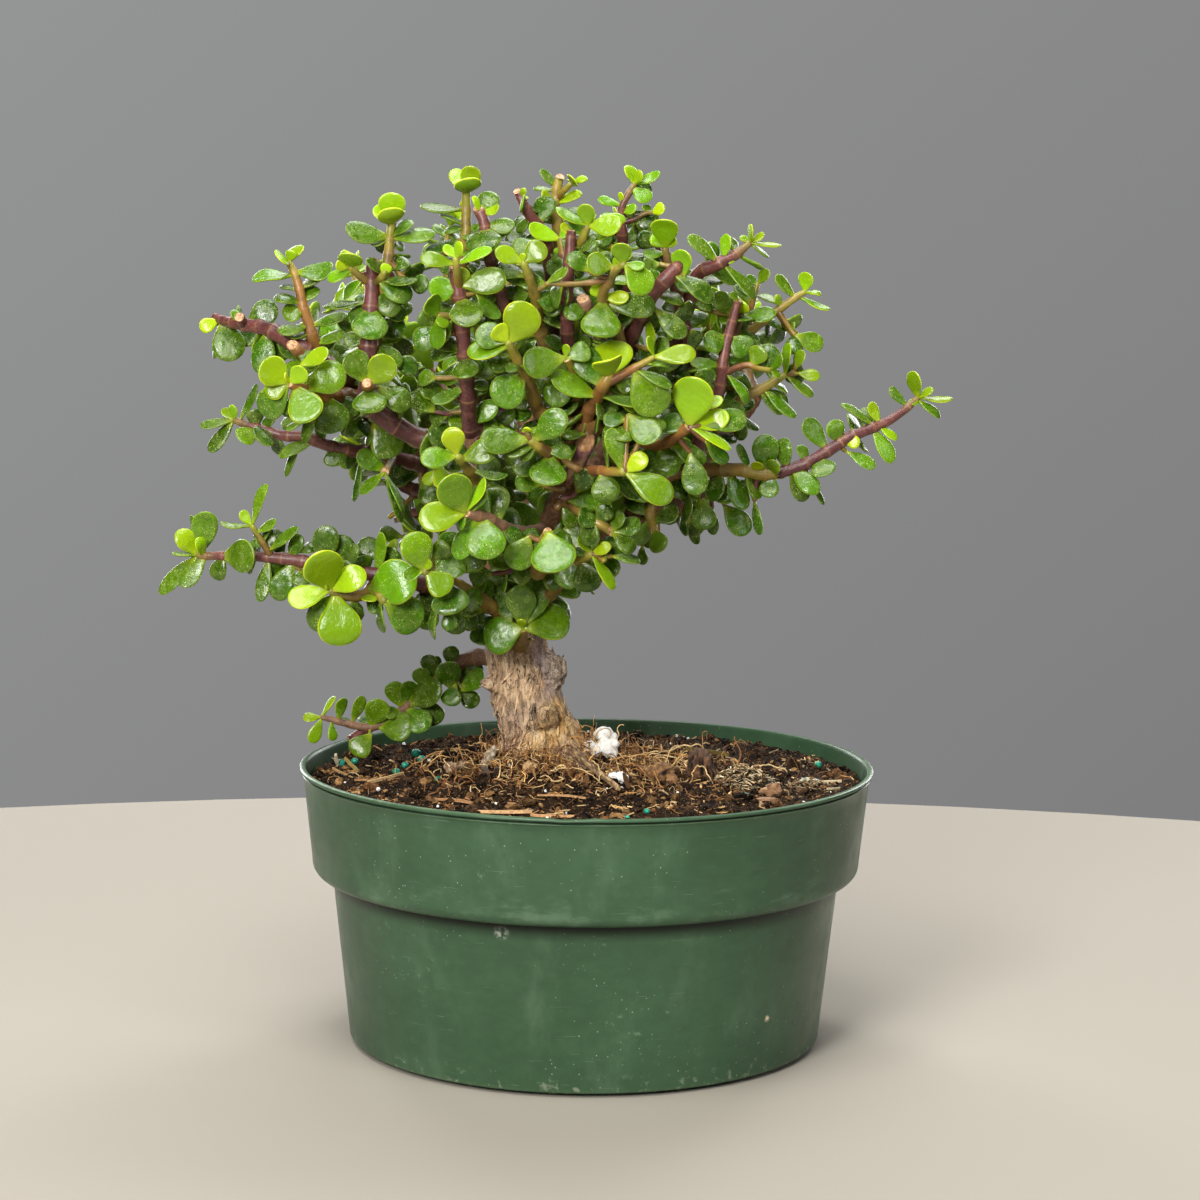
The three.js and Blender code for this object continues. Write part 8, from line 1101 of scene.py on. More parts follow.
        ("b", 0, [(44.8, -40, 238.1, 1.3), (52, -43, 241.3, 1.1), (56, -44, 240.4, 0.9), (60.4, -44, 239.8, 0.9)]),
        ("o", 1, [(57.4, -44.1, 240.2, 0.72), (56, -43.2, 239.8, 1), (54.6, -42.2, 240.7, 0.8)]),
    ], [
        (46.4, -38.6, 250.4, 53.8, -39.9, 245.5, 0.03, -0.95, 0.3, 8.4, 0.6, 1),
        (46.4, -38.6, 250.4, 38.2, -44, 247.9, 0.42, -0.83, 0.37, 7.7, 0.6, 1),
        (54.2, -43.7, 241.1, 57.5, -44.8, 247.4, -0.42, -0.91, 0.07, 7, 0.3, 1),
        (60.4, -44, 239.8, 64, -49.8, 244.5, -0.87, -0.49, 0.06, 4.2, 0.4, 1),
        (60.4, -44, 239.8, 63.8, -42, 237.7, 0.64, -0.64, 0.42, 3.5, 0.3, 1),
        (45.9, -40.5, 238.6, 53, -41.8, 227.9, 0.55, -0.71, 0.45, 4.9, 0.5, 1),
        (44.7, -40.2, 240.8, 33.7, -39.1, 242, 0, -0.74, 0.68, 4.9, 0.6, 1),
        (43.5, -38.3, 231.7, 37.2, -37.5, 234.2, 0.17, -0.74, 0.66, 5.6, 0.7, 1),
        (49.7, -36, 262.5, 46.9, -35.5, 265.4, 0.4, -0.77, 0.5, 3.1, 0.4, 1),
        (42.9, -37, 229.3, 52.6, -35.7, 223.1, 0.36, -0.85, 0.39, 8.4, 0.7, 1),
        (37.6, -29.5, 214.7, 39.5, -25.5, 227.4, 0.05, -0.95, 0.29, 11.7, 0.66, 0),
        (35.8, -21.9, 207.5, 23.2, -19.1, 210.1, 0.04, -0.55, 0.83, 11, 0.5, 0),
        (34.4, -14.8, 202.2, 37.6, -13.2, 213.2, -0.07, -0.98, 0.16, 10.2, 0.75, 0),
        (54.6, -42.2, 240.7, 63.3, -42.1, 246.6, -0.16, -0.95, 0.26, 8.8, 0.89, 0),
        (35.3, -24.3, 212.7, 31, -22.4, 220.4, 0.06, -0.55, 0.83, 8, 0.76, 0),
        (38.7, -24.3, 211.8, 45, -23.2, 216.1, 0.22, -0.74, 0.64, 6.9, 0.87, 0),
        (41.2, -30.6, 219, 48.7, -27.9, 219.7, 0.27, -0.56, 0.78, 6.2, 0.79, 0),
        (43, -37.8, 235.4, 40.1, -34.1, 240.7, -0.16, -0.08, 0.98, 6.6, 0.41, 0),
        (45.2, -37.9, 234.9, 50.8, -34.2, 238.4, -0.04, -0.43, 0.9, 6.4, 0.59, 0),
        (44.1, -38.7, 245.6, 39.8, -33.8, 249.8, -0.18, 0.06, 0.98, 6.4, 0.56, 0),
        (46.4, -38.6, 245.1, 52.3, -32.7, 247.7, 0.15, -0.12, 0.98, 7.5, 0.63, 0),
        (48.9, -36.5, 255.5, 54.8, -31.8, 256.7, -0.14, -0.26, 0.96, 6.3, 0.83, 0),
    ]),
    "shoot_right_olive": ([
        ("o", 0, [(36.4, -3.4, 203.8, 2.69), (36.1, -8.8, 204, 2.52), (38.2, -16, 210, 2.4), (46.4, -22, 223.2, 2), (53, -26, 229.7, 1.8), (59.7, -27, 233.2, 1.6), (66.5, -26, 237.3, 1.2)]),
        ("o", 1, [(66.5, -26, 237.3, 0.96), (68, -26, 237.5, 0.9), (69.5, -26, 238.7, 0.8)]),
        ("o", 1, [(66.5, -26, 237.3, 0.96), (68.5, -26, 237.2, 0.9), (70.6, -26, 238, 0.8)]),
        ("o", 1, [(69.5, -26, 238.7, 0.64), (70.2, -26, 239.9, 1), (70.8, -26, 242.3, 0.8)]),
    ], [
        (66.5, -26, 237.3, 67.6, -27.3, 248.2, -0.9, -0.44, 0.04, 6, 0.3, 1),
        (69.5, -26, 238.7, 72.4, -27, 245.9, -0.68, -0.71, 0.18, 4.9, 0.3, 1),
        (70.6, -26, 238, 78.4, -27, 236.8, -0.06, -0.92, 0.39, 4.5, 0.05, 1),
        (66.5, -26, 237.3, 76, -28.5, 230.1, 0.4, -0.56, 0.72, 5.6, 0.4, 1),
        (58.9, -27, 232.8, 70.2, -30.3, 223.1, 0.34, -0.69, 0.64, 5.6, 0.5, 1),
        (57.8, -26.9, 232.2, 67.6, -24.5, 225.4, 0.43, -0.84, 0.32, 8.4, 0.8, 1),
        (55.5, -26.7, 231.2, 49, -24.1, 237.9, 0.32, -0.73, 0.6, 6.3, 0.6, 1),
        (49.9, -24.4, 227.1, 52.2, -24.5, 214.6, -0.66, -0.74, -0.11, 6.3, 0.8, 1),
        (47.1, -22.4, 224, 58.3, -19.3, 218.2, 0.49, -0.6, 0.63, 4.9, 0.8, 1),
        (52.6, -25.9, 229.4, 44.3, -26.8, 221.9, -0.33, -0.82, 0.46, 7, 0.8, 1),
        (38.2, -15.8, 209.8, 35.9, -16.1, 221, 0.45, -0.89, 0.06, 9.1, 0.76, 0),
        (70.8, -26, 242.3, 69.1, -22.9, 234, -0.22, -0.93, -0.31, 7.4, 0.86, 0),
        (39.9, -16.7, 215.6, 38.5, -13.5, 224, 0.41, -0.47, 0.78, 7.8, 0.51, 0),
        (42.6, -17, 213.8, 50.8, -14.2, 215.2, 0.21, -0.35, 0.91, 7.4, 0.83, 0),
        (45.2, -18.8, 218.9, 52.1, -13.7, 219.9, 0.34, -0.42, 0.84, 6.7, 0.85, 0),
        (62, -25.5, 235.2, 61.4, -16.6, 241.7, 0.66, -0.03, 0.75, 8.6, 0.88, 0),
        (62.8, -25.8, 233.9, 67.5, -22.1, 231.8, 0.38, -0.46, 0.8, 5.7, 0.37, 0),
    ]),
    "branch_right_long": ([
        ("o", 0, [(27.9, -7.5, 196.6, 3.14), (26.2, -10.4, 198.6, 2.94), (27.3, -14, 202.1, 2.8), (34.9, -16, 203.7, 2.6), (43.4, -20, 204.1, 2.4), (52.5, -24, 204.6, 2.3), (58.5, -26, 203.4, 2.2), (65.3, -27, 203.9, 2.1)]),
        ("p", 0, [(64.6, -27, 203.9, 2.1), (70.4, -27, 205.7, 2.1), (75.5, -27, 207.8, 2.1), (83.3, -26, 212.6, 2), (89.2, -25, 216.3, 1.9), (95.3, -24, 218.7, 1.8), (103, -22, 222.1, 1.6), (108.9, -20, 226.1, 1.3), (112.8, -18, 229.5, 1)]),
        ("o", 1, [(85.6, -25.6, 214, 1), (86.7, -25.6, 212.3, 0.9), (87.8, -25.6, 211.5, 0.8)]),
        ("p", 1, [(73.4, -27.1, 206.8, 1), (74.5, -27.1, 203.7, 0.9), (75.6, -27.1, 201.6, 0.8)]),
        ("o", 1, [(45.6, -21, 204.3, 1), (46.1, -20.1, 197.6, 0.9), (46.7, -19.2, 192, 0.8)]),
        ("p", 1, [(57.6, -25.8, 203.5, 1), (57.2, -24.6, 198.3, 0.9), (56.8, -23.4, 194.2, 0.8)]),
        ("p", 1, [(39.5, -18.1, 204, 1), (39.5, -18.7, 198.7, 0.9), (39.4, -19.3, 194.4, 0.8)]),
        ("p", 1, [(33.8, -15.7, 203.6, 1), (34.4, -16.2, 199.7, 0.9), (35, -16.9, 196.9, 0.8)]),
        ("p", 1, [(27.9, -7.5, 196.6, 1), (30.3, -6.6, 191.9, 0.9), (32.6, -5.7, 188.2, 0.8)]),
        ("p", 1, [(27.9, -7.5, 196.6, 1), (32.2, -6.6, 190.9, 0.9), (36.5, -5.7, 186.1, 0.8)]),
        ("p", 1, [(42.5, -19.6, 204.1, 1), (42.5, -18.7, 196.9, 0.9), (42.6, -17.8, 190.8, 0.8)]),
        ("o", 1, [(27.9, -7.5, 196.6, 1), (26.1, -7.5, 191.4, 0.9), (24.2, -7.5, 187.2, 0.8)]),
        ("p", 1, [(27.9, -7.5, 196.6, 1), (23.3, -7.5, 186.1, 0.9), (18.7, -7.5, 176.6, 0.8)]),
        ("o", 0, [(27.2, -13.9, 202, 2.2), (27.3, -15, 201.5, 2.2), (23.2, -18, 195.5, 2), (21.2, -21, 188.5, 1.8), (22.9, -25, 183, 1.5)]),
        ("o", 1, [(30.7, -6.4, 191.1, 0.7), (30.2, -5, 191.1, 1), (29.6, -3.6, 192.3, 0.8)]),
        ("o", 1, [(46.3, -19.8, 195.7, 0.69), (44.1, -18.6, 195.1, 1), (41.8, -17.4, 195.8, 0.8)]),
        ("p", 1, [(90.6, -24.8, 216.9, 1.3), (92.6, -23.6, 216.9, 1), (94.6, -22.5, 218.1, 0.8)]),
        ("o", 1, [(57.3, -24.8, 199.3, 0.74), (57.1, -24.3, 196.1, 1), (56.9, -23.9, 194, 0.8)]),
        ("o", 1, [(24.9, -7.5, 189.6, 0.75), (23.5, -8.8, 188.2, 1), (22.1, -10.1, 188.1, 0.8)]),
    ], [
        (112.8, -18, 229.5, 110.5, -19.2, 238.8, -0.67, -0.7, -0.26, 6.7, 0.15, 1),
        (112.8, -18, 229.5, 124.8, -17.9, 229.4, 0.01, -0.45, 0.89, 4.2, 0.15, 1),
        (112.8, -18, 229.5, 117.9, -19.6, 232.8, -0.54, -0.67, 0.51, 3.5, 0.1, 1),
        (112.4, -18.2, 229.1, 120.4, -19.4, 222.8, 0.41, -0.66, 0.64, 4.5, 0.4, 1),
        (112.8, -18, 229.5, 110.2, -20.4, 227.5, 0.01, -0.64, 0.77, 3.5, 0.3, 1),
        (109.3, -19.9, 226.4, 102.9, -20.9, 233.3, 0.51, -0.78, 0.36, 4.2, 0.5, 1),
        (97.9, -23.4, 219.7, 85.9, -25.1, 227.6, 0.52, -0.49, 0.7, 4.5, 0.6, 1),
        (99.7, -22.9, 220.5, 95.9, -24.6, 228.2, 0.48, -0.88, 0.05, 4.2, 0.15, 1),
        (97, -23.6, 219.3, 104, -24.2, 207.5, 0.38, -0.89, 0.27, 6.3, 0.3, 1),
        (98.8, -23.2, 220.1, 105.3, -24.5, 215.5, 0.27, -0.76, 0.6, 3.5, 0.1, 1),
        (86.2, -25.5, 214.5, 82.2, -27.1, 221.8, 0.29, -0.96, -0.05, 7, 0.4, 1),
        (86.9, -25.4, 214.9, 92.4, -27.3, 214.4, -0.29, -0.92, 0.26, 4.5, 0.05, 1),
        (87.8, -25.6, 211.5, 97.8, -27.1, 205.9, 0.17, -0.85, 0.5, 5.2, 0.4, 1),
        (81.7, -26.2, 211.5, 73.7, -26.9, 222.5, 0.29, -0.94, 0.16, 7, 0.4, 1),
        (77.9, -26.8, 209.1, 81.1, -32.7, 203.7, -0.21, -0.72, 0.66, 8.8, 0.6, 1),
        (69.4, -27, 205.3, 78.2, -32, 197.5, -0.16, -0.9, 0.4, 7, 0.4, 1),
        (74.6, -27.1, 207.3, 71.7, -25.4, 213.5, 0.48, -0.76, 0.43, 4.9, 0.5, 1),
        (68.7, -27, 205.1, 74.5, -25.6, 194.3, 0.34, -0.94, 0.06, 7, 0.8, 1),
        (75.6, -27.1, 201.6, 80.7, -25.8, 193, 0.77, -0.51, 0.37, 3.1, 0.7, 1),
        (60.6, -26.4, 203.4, 59.9, -28.2, 217.2, -0.04, -0.99, -0.13, 9.1, 0.5, 1),
        (61.4, -26.5, 203.5, 64.1, -31.4, 208.1, -0.58, -0.7, -0.41, 5.6, 0.3, 1),
        (57.6, -25.8, 203.5, 57.3, -29.7, 207.8, -0.18, -0.72, -0.67, 4.5, 0, 1),
        (67.4, -27, 204.7, 66.4, -26.1, 216, -0.4, -0.92, 0.04, 6.7, 0.6, 1),
        (53.6, -24.4, 204.4, 58.4, -26.5, 194.8, 0.63, -0.64, 0.45, 5.6, 0.5, 1),
        (62.2, -26.6, 203.6, 61.3, -28, 195.4, -0.22, -0.96, 0.18, 7, 0.6, 1),
        (55.7, -25.2, 203.9, 50.8, -26.4, 213.6, 0.6, -0.77, 0.21, 3.9, 0.6, 1),
        (47.8, -22, 204.4, 53.7, -24.4, 190.9, 0.4, -0.86, 0.32, 7.7, 0.7, 1),
        (46.7, -19.2, 192, 55, -20.8, 182.2, 0.21, -0.92, 0.33, 9.1, 0.55, 1),
        (56.8, -23.4, 194.2, 59, -24.9, 182.3, -0.79, -0.61, -0.07, 4.9, 0.7, 1),
        (39.4, -19.3, 194.4, 39.9, -20.7, 183.4, -0.38, -0.92, 0.1, 9.1, 0.7, 1),
        (35, -16.9, 196.9, 33, -18.2, 185.9, -0.77, -0.6, 0.21, 4.9, 0.75, 1),
        (32.6, -5.7, 188.2, 34.1, -5.1, 179.6, -0.75, -0.63, -0.18, 3.9, 0.9, 1),
        (36.5, -5.7, 186.1, 37.8, -3.8, 176.6, -0.49, -0.84, -0.24, 4.9, 0.9, 1),
        (42.6, -17.8, 190.8, 43.1, -16.7, 181.3, -0.52, -0.84, -0.13, 4.9, 0.8, 1),
        (27.9, -7.5, 196.6, 26.3, -3.5, 184.1, -0.36, -0.9, -0.24, 8.4, 0.95, 1),
        (24.2, -7.5, 187.2, 19.9, -4.9, 175.6, -0.57, -0.82, 0.03, 7.7, 0.5, 1),
        (18.7, -7.5, 176.6, 18.8, -6.7, 169.5, -0.65, -0.75, -0.1, 4.9, 0.7, 1),
        (45.6, -21, 204.3, 42.6, -24.9, 193.7, -0.46, -0.79, 0.42, 7, 0.8, 1),
        (22.6, -24.4, 183.8, 25, -28.3, 176.5, 0.58, 0.78, -0.22, 7.7, 0.5, 1),
        (21.6, -22.6, 186, 30.7, -23.8, 191.2, -0.42, -0.7, 0.58, 7.7, 0.8, 1),
        (21.4, -22.1, 186.8, 16.4, -23.2, 178.3, -0.44, 0.89, 0.13, 7, 0.6, 1),
        (21.2, -21, 188.5, 12.5, -20.1, 193.5, 0.29, -0.71, 0.64, 7, 0.8, 1),
        (27.3, -13.9, 202, 33.5, -16.4, 193.8, 0.45, -0.7, 0.55, 9.1, 0.95, 0),
        (27.3, -13.9, 202, 20.5, -9.2, 211.3, 0.37, -0.69, 0.62, 10.4, 0.93, 0),
        (41.8, -17.4, 195.8, 51.2, -22.5, 195.2, -0.33, -0.7, 0.64, 8.8, 0.63, 0),
        (94.6, -22.5, 218.1, 96.2, -19.9, 226.3, -0.04, -0.95, 0.31, 7.7, 0.89, 0),
        (42.6, -18.3, 194.2, 36.6, -20.8, 198.7, 0.17, -0.94, -0.29, 7.6, 0.58, 0),
        (56.9, -23.9, 194, 58.4, -19.9, 203.9, -0.03, -0.93, 0.38, 9, 0.94, 0),
        (22.1, -10.1, 188.1, 20.5, -18, 185.9, 0.37, -0.32, 0.87, 6.9, 0.91, 0),
        (90.2, -23.3, 217.6, 90.7, -15.1, 222.9, 0.56, 0.15, 0.81, 7.6, 0.77, 0),
        (91.1, -23.8, 215.6, 95.3, -19.4, 211.5, 0.71, 0.03, 0.7, 6.7, 0.79, 0),
        (46.7, -19.7, 198.5, 54.4, -13.4, 197.1, 0.5, -0.45, -0.74, 7.8, 0.78, 0),
        (45.4, -19.8, 198.4, 39, -14.5, 196.3, -0.15, -0.38, -0.91, 7.5, 0.64, 0),
        (38.8, -18.1, 200, 34.1, -15.6, 195.9, -0.61, -0.59, -0.52, 6.1, 0.86, 0),
        (25.2, -7.1, 192.4, 18.8, -3.6, 193.3, -0.89, -0.41, 0.2, 5.7, 0.52, 0),
        (21.8, -6.9, 181.8, 25.7, -0.1, 176.2, -0.87, -0.32, -0.37, 8.5, 0.59, 0),
        (21, -6.8, 182.2, 15.1, 0.9, 181.8, -0.39, -0.86, -0.32, 7.5, 0.65, 0),
        (21.6, -17.4, 193.5, 16.7, -13.4, 190.5, -0.4, -0.91, -0.12, 5.9, 0.77, 0),
    ]),
    "branch_left_middle": ([
        ("p", 0, [(-57.9, 13.6, 203.7, 2.91), (-57.3, 5.4, 202, 2.73), (-62.4, -8, 204.9, 2.6), (-73.4, -18, 208.7, 2.3), (-81.4, -22, 209.6, 2.2), (-90.1, -24, 211.7, 2), (-97.3, -24, 214.4, 1.9), (-105.7, -22, 214.8, 1.8), (-116.2, -20, 217.7, 1.5), (-122.3, -18, 219.6, 1.1)]),
        ("o", 0, [(-68.6, -14.3, 207.2, 1.8), (-68.1, -16, 206.8, 1.8), (-69, -22, 204.6, 1.6), (-69.8, -26, 202.8, 1.4)]),
        ("o", 1, [(-75.3, -19.3, 209, 1), (-74.4, -22.9, 214.1, 0.9), (-73.5, -26.5, 220.2, 0.8)]),
        ("o", 1, [(-74.7, -18.9, 208.9, 1), (-73.7, -21.2, 213.3, 0.9), (-72.7, -23.6, 218.7, 0.8)]),
        ("o", 1, [(-59, -0.8, 203, 1.3), (-59, -1.6, 199.8, 1), (-59.1, -2.4, 197.8, 0.8)]),
        ("p", 1, [(-111.4, -20.9, 216.3, 1.3), (-112.9, -20.4, 216.1, 1), (-114.4, -19.9, 217, 0.8)]),
    ], [
        (-122.3, -18, 219.6, -133.8, -19.5, 217.5, -0.07, -0.61, 0.79, 4.9, 0.5, 1),
        (-122.3, -18, 219.6, -130.8, -19.6, 208.6, -0.29, -0.89, 0.36, 5.6, 0.7, 1),
        (-122.3, -18, 219.6, -126.3, -15.6, 223.5, 0.23, -0.71, 0.67, 4.2, 0.1, 1),
        (-122.3, -18, 219.6, -122.2, -21.2, 224.9, -0.52, -0.73, -0.43, 3.9, 0.15, 1),
        (-120.5, -18.6, 219, -114.1, -19.9, 232.2, -0.67, -0.7, 0.26, 4.2, 0.6, 1),
        (-114.3, -20.4, 217.1, -119.7, -25.4, 213.2, 0.27, -0.75, 0.6, 7.7, 0.4, 1),
        (-109, -21.4, 215.6, -112.7, -29.9, 213.6, 0.57, -0.41, 0.71, 9.1, 0.7, 1),
        (-107.3, -21.7, 215.2, -106.5, -17.8, 207.6, -0.5, -0.75, -0.44, 6.3, 0.8, 1),
        (-94, -24.2, 213.3, -106, -26.1, 207.6, -0.19, -0.74, 0.64, 5.6, 0.6, 1),
        (-98.8, -23.8, 214.6, -104.3, -21.7, 200.5, -0.7, -0.69, 0.18, 3.9, 0.6, 1),
        (-88, -23.7, 211.1, -86.3, -26, 204.6, 0.02, -0.94, 0.35, 8.1, 0.6, 1),
        (-83.6, -22.7, 210, -81.7, -18.3, 204.1, 0.82, -0.55, -0.14, 7, 0.8, 1),
        (-73.5, -26.5, 220.2, -66.2, -28.6, 208.2, 0.08, -0.97, 0.22, 11.6, 0.7, 1),
        (-72.7, -23.6, 218.7, -76.3, -24.3, 211.6, -0.73, -0.54, 0.42, 4.9, 0.8, 1),
        (-77.8, -20.6, 209.2, -80.7, -22.4, 192.1, -0.81, -0.55, 0.19, 4.2, 0.7, 1),
        (-69.6, -25.2, 203.2, -79, -26.5, 209.6, 0.33, -0.89, 0.31, 7.3, 0.5, 1),
        (-69.8, -26, 202.8, -78.2, -27.3, 195.3, -0.46, -0.63, 0.63, 6, 0.4, 1),
        (-69.8, -26, 202.8, -63.5, -29.1, 189.3, 0.79, -0.4, 0.46, 4.2, 0.5, 1),
        (-65.7, -11.8, 206.2, -66.6, -12.7, 199.7, -0.71, -0.68, 0.19, 3.9, 0.6, 1),
        (-69.8, -26, 202.8, -64.1, -22.8, 185.2, 0.81, -0.56, 0.16, 4.9, 0.8, 1),
        (-91.2, -24.1, 212.1, -92.9, -23.3, 218.8, -0.56, -0.82, -0.04, 4.9, 0.6, 1),
        (-112.6, -20.7, 216.6, -108.3, -19.6, 221.1, -0.45, -0.66, 0.6, 5.6, 0.7, 1),
        (-62.2, -7.6, 204.8, -65.2, -2.9, 216.3, -0.27, -0.91, 0.3, 11.5, 0.67, 0),
        (-58.7, 0.8, 202.8, -49.9, -4.9, 207, -0.63, -0.68, 0.38, 9.5, 0.7, 0),
        (-58.7, 0.8, 202.8, -71, 2.8, 198.6, -0.3, -0.82, 0.49, 11.1, 0.79, 0),
        (-59.1, -2.4, 197.8, -52.9, -7.3, 190.4, -0.04, -0.85, 0.53, 9.2, 0.79, 0),
        (-114.4, -19.9, 217, -115, -21.7, 223.9, 0.15, -0.96, -0.24, 6, 0.69, 0),
        (-102.5, -21.4, 215.7, -102.8, -13, 222.2, -0.22, 0.54, 0.81, 8.6, 0.57, 0),
        (-75.1, -22, 213.9, -79, -20.6, 220.1, 0.14, -0.28, 0.95, 6.7, 0.6, 0),
        (-73.8, -22, 213.6, -68.3, -20.5, 217.7, 0.32, -0.57, 0.76, 6.1, 0.45, 0),
    ]),
    "branch_left_low": ([
        ("p", 0, [(-46.8, -20.1, 160, 2.71), (-48.1, -20.7, 160.4, 2.84), (-51, -22, 161.8, 2.7), (-66.1, -28, 166.6, 2.5), (-83.2, -29, 169.2, 2.3), (-98.8, -27, 172, 2.1), (-116.3, -24, 173.2, 1.7), (-132.3, -20, 172.6, 1.3), (-134.9, -19, 172.8, 1.1)]),
        ("o", 0, [(-108.6, -25, 172.7, 1.3), (-109.8, -27, 175.3, 1.2), (-115, -29, 184.1, 1)]),
        ("o", 0, [(-70.9, -28.7, 167.5, 2.3), (-73, -28, 165.1, 2.3), (-75.5, -36, 161.9, 2), (-82.3, -40, 161.6, 1.7), (-87.1, -43, 164, 1.3)]),
        ("o", 0, [(-74.3, -33.4, 162.8, 1.6), (-73.6, -34, 163.7, 1.6), (-68.7, -40, 159.7, 1.3)]),
        ("o", 1, [(-66.1, -28, 166.6, 1.3), (-68.1, -27.3, 169.5, 1), (-70, -26.7, 173.7, 0.8)]),
        ("o", 1, [(-103.7, -26.2, 172.5, 1.3), (-101.1, -26.2, 170.2, 1), (-98.6, -26.2, 169, 0.8)]),
        ("p", 1, [(-89.9, -28.4, 170.5, 1.3), (-87.7, -28, 170.2, 1), (-85.6, -27.5, 171.1, 0.8)]),
        ("o", 1, [(-47.4, -20.4, 160.2, 1.3), (-49.8, -21, 157.8, 1), (-52.2, -21.5, 156.6, 0.8)]),
        ("o", 1, [(-108.6, -25, 172.7, 1.04), (-104.4, -25.3, 173.4, 1), (-100.2, -25.6, 175.3, 0.8)]),
        ("p", 1, [(-48.6, -21, 160.8, 1.3), (-50.1, -21.6, 160.3, 1), (-51.5, -22.2, 161.1, 0.8)]),
        ("o", 1, [(-74.2, -32.7, 163, 1.3), (-74.8, -32.4, 160.8, 1), (-75.5, -32.1, 159.8, 0.8)]),
        ("p", 1, [(-72, -27.8, 166.3, 1.3), (-74.1, -27.1, 166.6, 1), (-76.2, -26.4, 168, 0.8)]),
        ("p", 1, [(-58.9, -25.5, 164.5, 1.3), (-56.8, -25.3, 164.8, 1), (-54.8, -25.1, 166.3, 0.8)]),
    ], [
        (-134.9, -19, 172.8, -141.7, -20.5, 181.4, 0.35, -0.93, 0.11, 7.3, 0.05, 1),
        (-134.6, -19.1, 172.8, -131.1, -21.2, 188.1, 0.08, -0.98, -0.16, 9.4, 0.5, 1),
        (-132.5, -20, 172.6, -134.5, -24.3, 179.3, 0.74, -0.65, -0.2, 4.9, 0.1, 1),
        (-134.9, -19, 172.8, -143.7, -20, 173.5, 0.1, -0.23, 0.97, 3.5, 0.4, 1),
        (-134.9, -19, 172.8, -138.2, -13.3, 186.1, -0.81, -0.58, 0.05, 4.2, 0.6, 1),
        (-134.9, -19, 172.8, -148.5, -18.6, 159.2, -0.35, -0.87, 0.33, 6.7, 0.6, 1),
        (-131.8, -20.1, 172.6, -140.2, -23.6, 162.2, -0.09, -0.92, 0.38, 6.7, 0.5, 1),
        (-125.7, -21.8, 172.9, -113.9, -32.9, 174.2, -0.69, -0.72, 0.08, 11.6, 0.6, 1),
        (-125.7, -21.8, 172.9, -128.5, -20.7, 164.4, -0.43, -0.9, 0.03, 7, 0.8, 1),
        (-115, -29, 184.1, -109.6, -30.8, 198.7, -0.7, -0.69, 0.17, 5.2, 0.4, 1),
        (-115, -29, 184.1, -125.8, -30, 185.4, 0.15, -0.4, 0.91, 3.9, 0.4, 1),
        (-115, -29, 184.1, -118.6, -29.8, 189.3, 0.46, -0.87, 0.18, 3.9, 0, 1),
        (-113.6, -28.5, 181.7, -106.7, -29.5, 186.3, -0.49, -0.62, 0.61, 4.9, 0.5, 1),
        (-109.8, -27, 175.3, -99.1, -29.4, 183.8, -0.57, -0.62, 0.54, 5.2, 0.6, 1),
        (-109.6, -25.3, 172.9, -112.6, -28, 157.8, -0.22, -0.95, 0.22, 5.6, 0.6, 1),
        (-100.9, -26.7, 172.2, -107.2, -27.1, 158.4, -0.1, -0.99, 0.08, 8.4, 0.7, 1),
        (-102.1, -26.5, 172.3, -99, -25.9, 181.2, -0.4, -0.89, 0.2, 6.3, 0.7, 1),
        (-91.9, -28.1, 170.9, -88.2, -30.4, 184.7, -0.06, -0.99, -0.15, 9.1, 0.6, 1),
        (-83.2, -29, 169.2, -78.2, -35.2, 178.4, -0.64, -0.75, -0.16, 6.3, 0.7, 1),
        (-80.9, -29.1, 168.9, -80.9, -24.5, 173.7, -0.24, -0.7, 0.67, 3.1, 0.1, 1),
        (-119.4, -23.3, 173.2, -112.6, -21.4, 178.7, -0.28, -0.74, 0.61, 4.9, 0.6, 1),
        (-87.1, -43, 164, -90.2, -52.6, 177.9, 0.35, -0.81, -0.48, 14, 0.15, 1),
        (-87.1, -43, 164, -101.1, -44.6, 160.7, -0.04, -0.81, 0.59, 9.1, 0.05, 1),
        (-87.1, -43, 164, -74.8, -45, 170.4, -0.27, -0.94, 0.22, 9.1, 0.05, 1),
        (-85.3, -41.9, 163, -82.8, -45.7, 145.4, 0.07, -0.97, 0.22, 14.7, 0.1, 1),
        (-84.7, -41.5, 162.6, -94, -38.2, 150.1, -0.39, -0.92, 0.05, 9.4, 0.6, 1),
        (-87.1, -43, 164, -88.2, -45.2, 167, 0.75, -0.64, -0.18, 3.1, 0.05, 1),
        (-78.3, -38.1, 161.4, -71.5, -40.5, 160.4, -0.04, -0.5, 0.86, 3.9, 0.05, 1),
        (-75.2, -35.6, 162, -58.1, -39.9, 169.1, -0.28, -0.96, 0.07, 15.4, 0.3, 1),
        (-68.7, -40, 159.7, -56.5, -34, 151.6, 0.48, -0.88, 0.07, 13.3, 0.6, 1),
        (-72.8, -27.7, 165.4, -70.3, -33.4, 182.8, -0.62, -0.77, -0.16, 5.2, 0.3, 1),
        (-72.2, -27.6, 166, -66.4, -20.5, 179.3, -0.29, -0.79, 0.55, 4.5, 0.15, 1),
        (-71.4, -28.3, 166.9, -66.1, -29.6, 176.9, -0.35, -0.94, 0.06, 8.4, 0.8, 1),
        (-70.6, -37.6, 161.4, -69.1, -39, 149, -0.91, -0.42, -0.07, 6, 0.7, 1),
        (-80.3, -39, 161.4, -78, -37.9, 152.5, 0.72, -0.68, 0.1, 7, 0.7, 1),
        (-84.1, -41.1, 162.3, -82, -39.4, 173.8, -0.41, -0.89, 0.21, 7.7, 0.6, 1),
        (-70, -26.7, 173.7, -79.4, -23.9, 177.9, -0.07, -0.9, 0.43, 8.8, 0.72, 0),
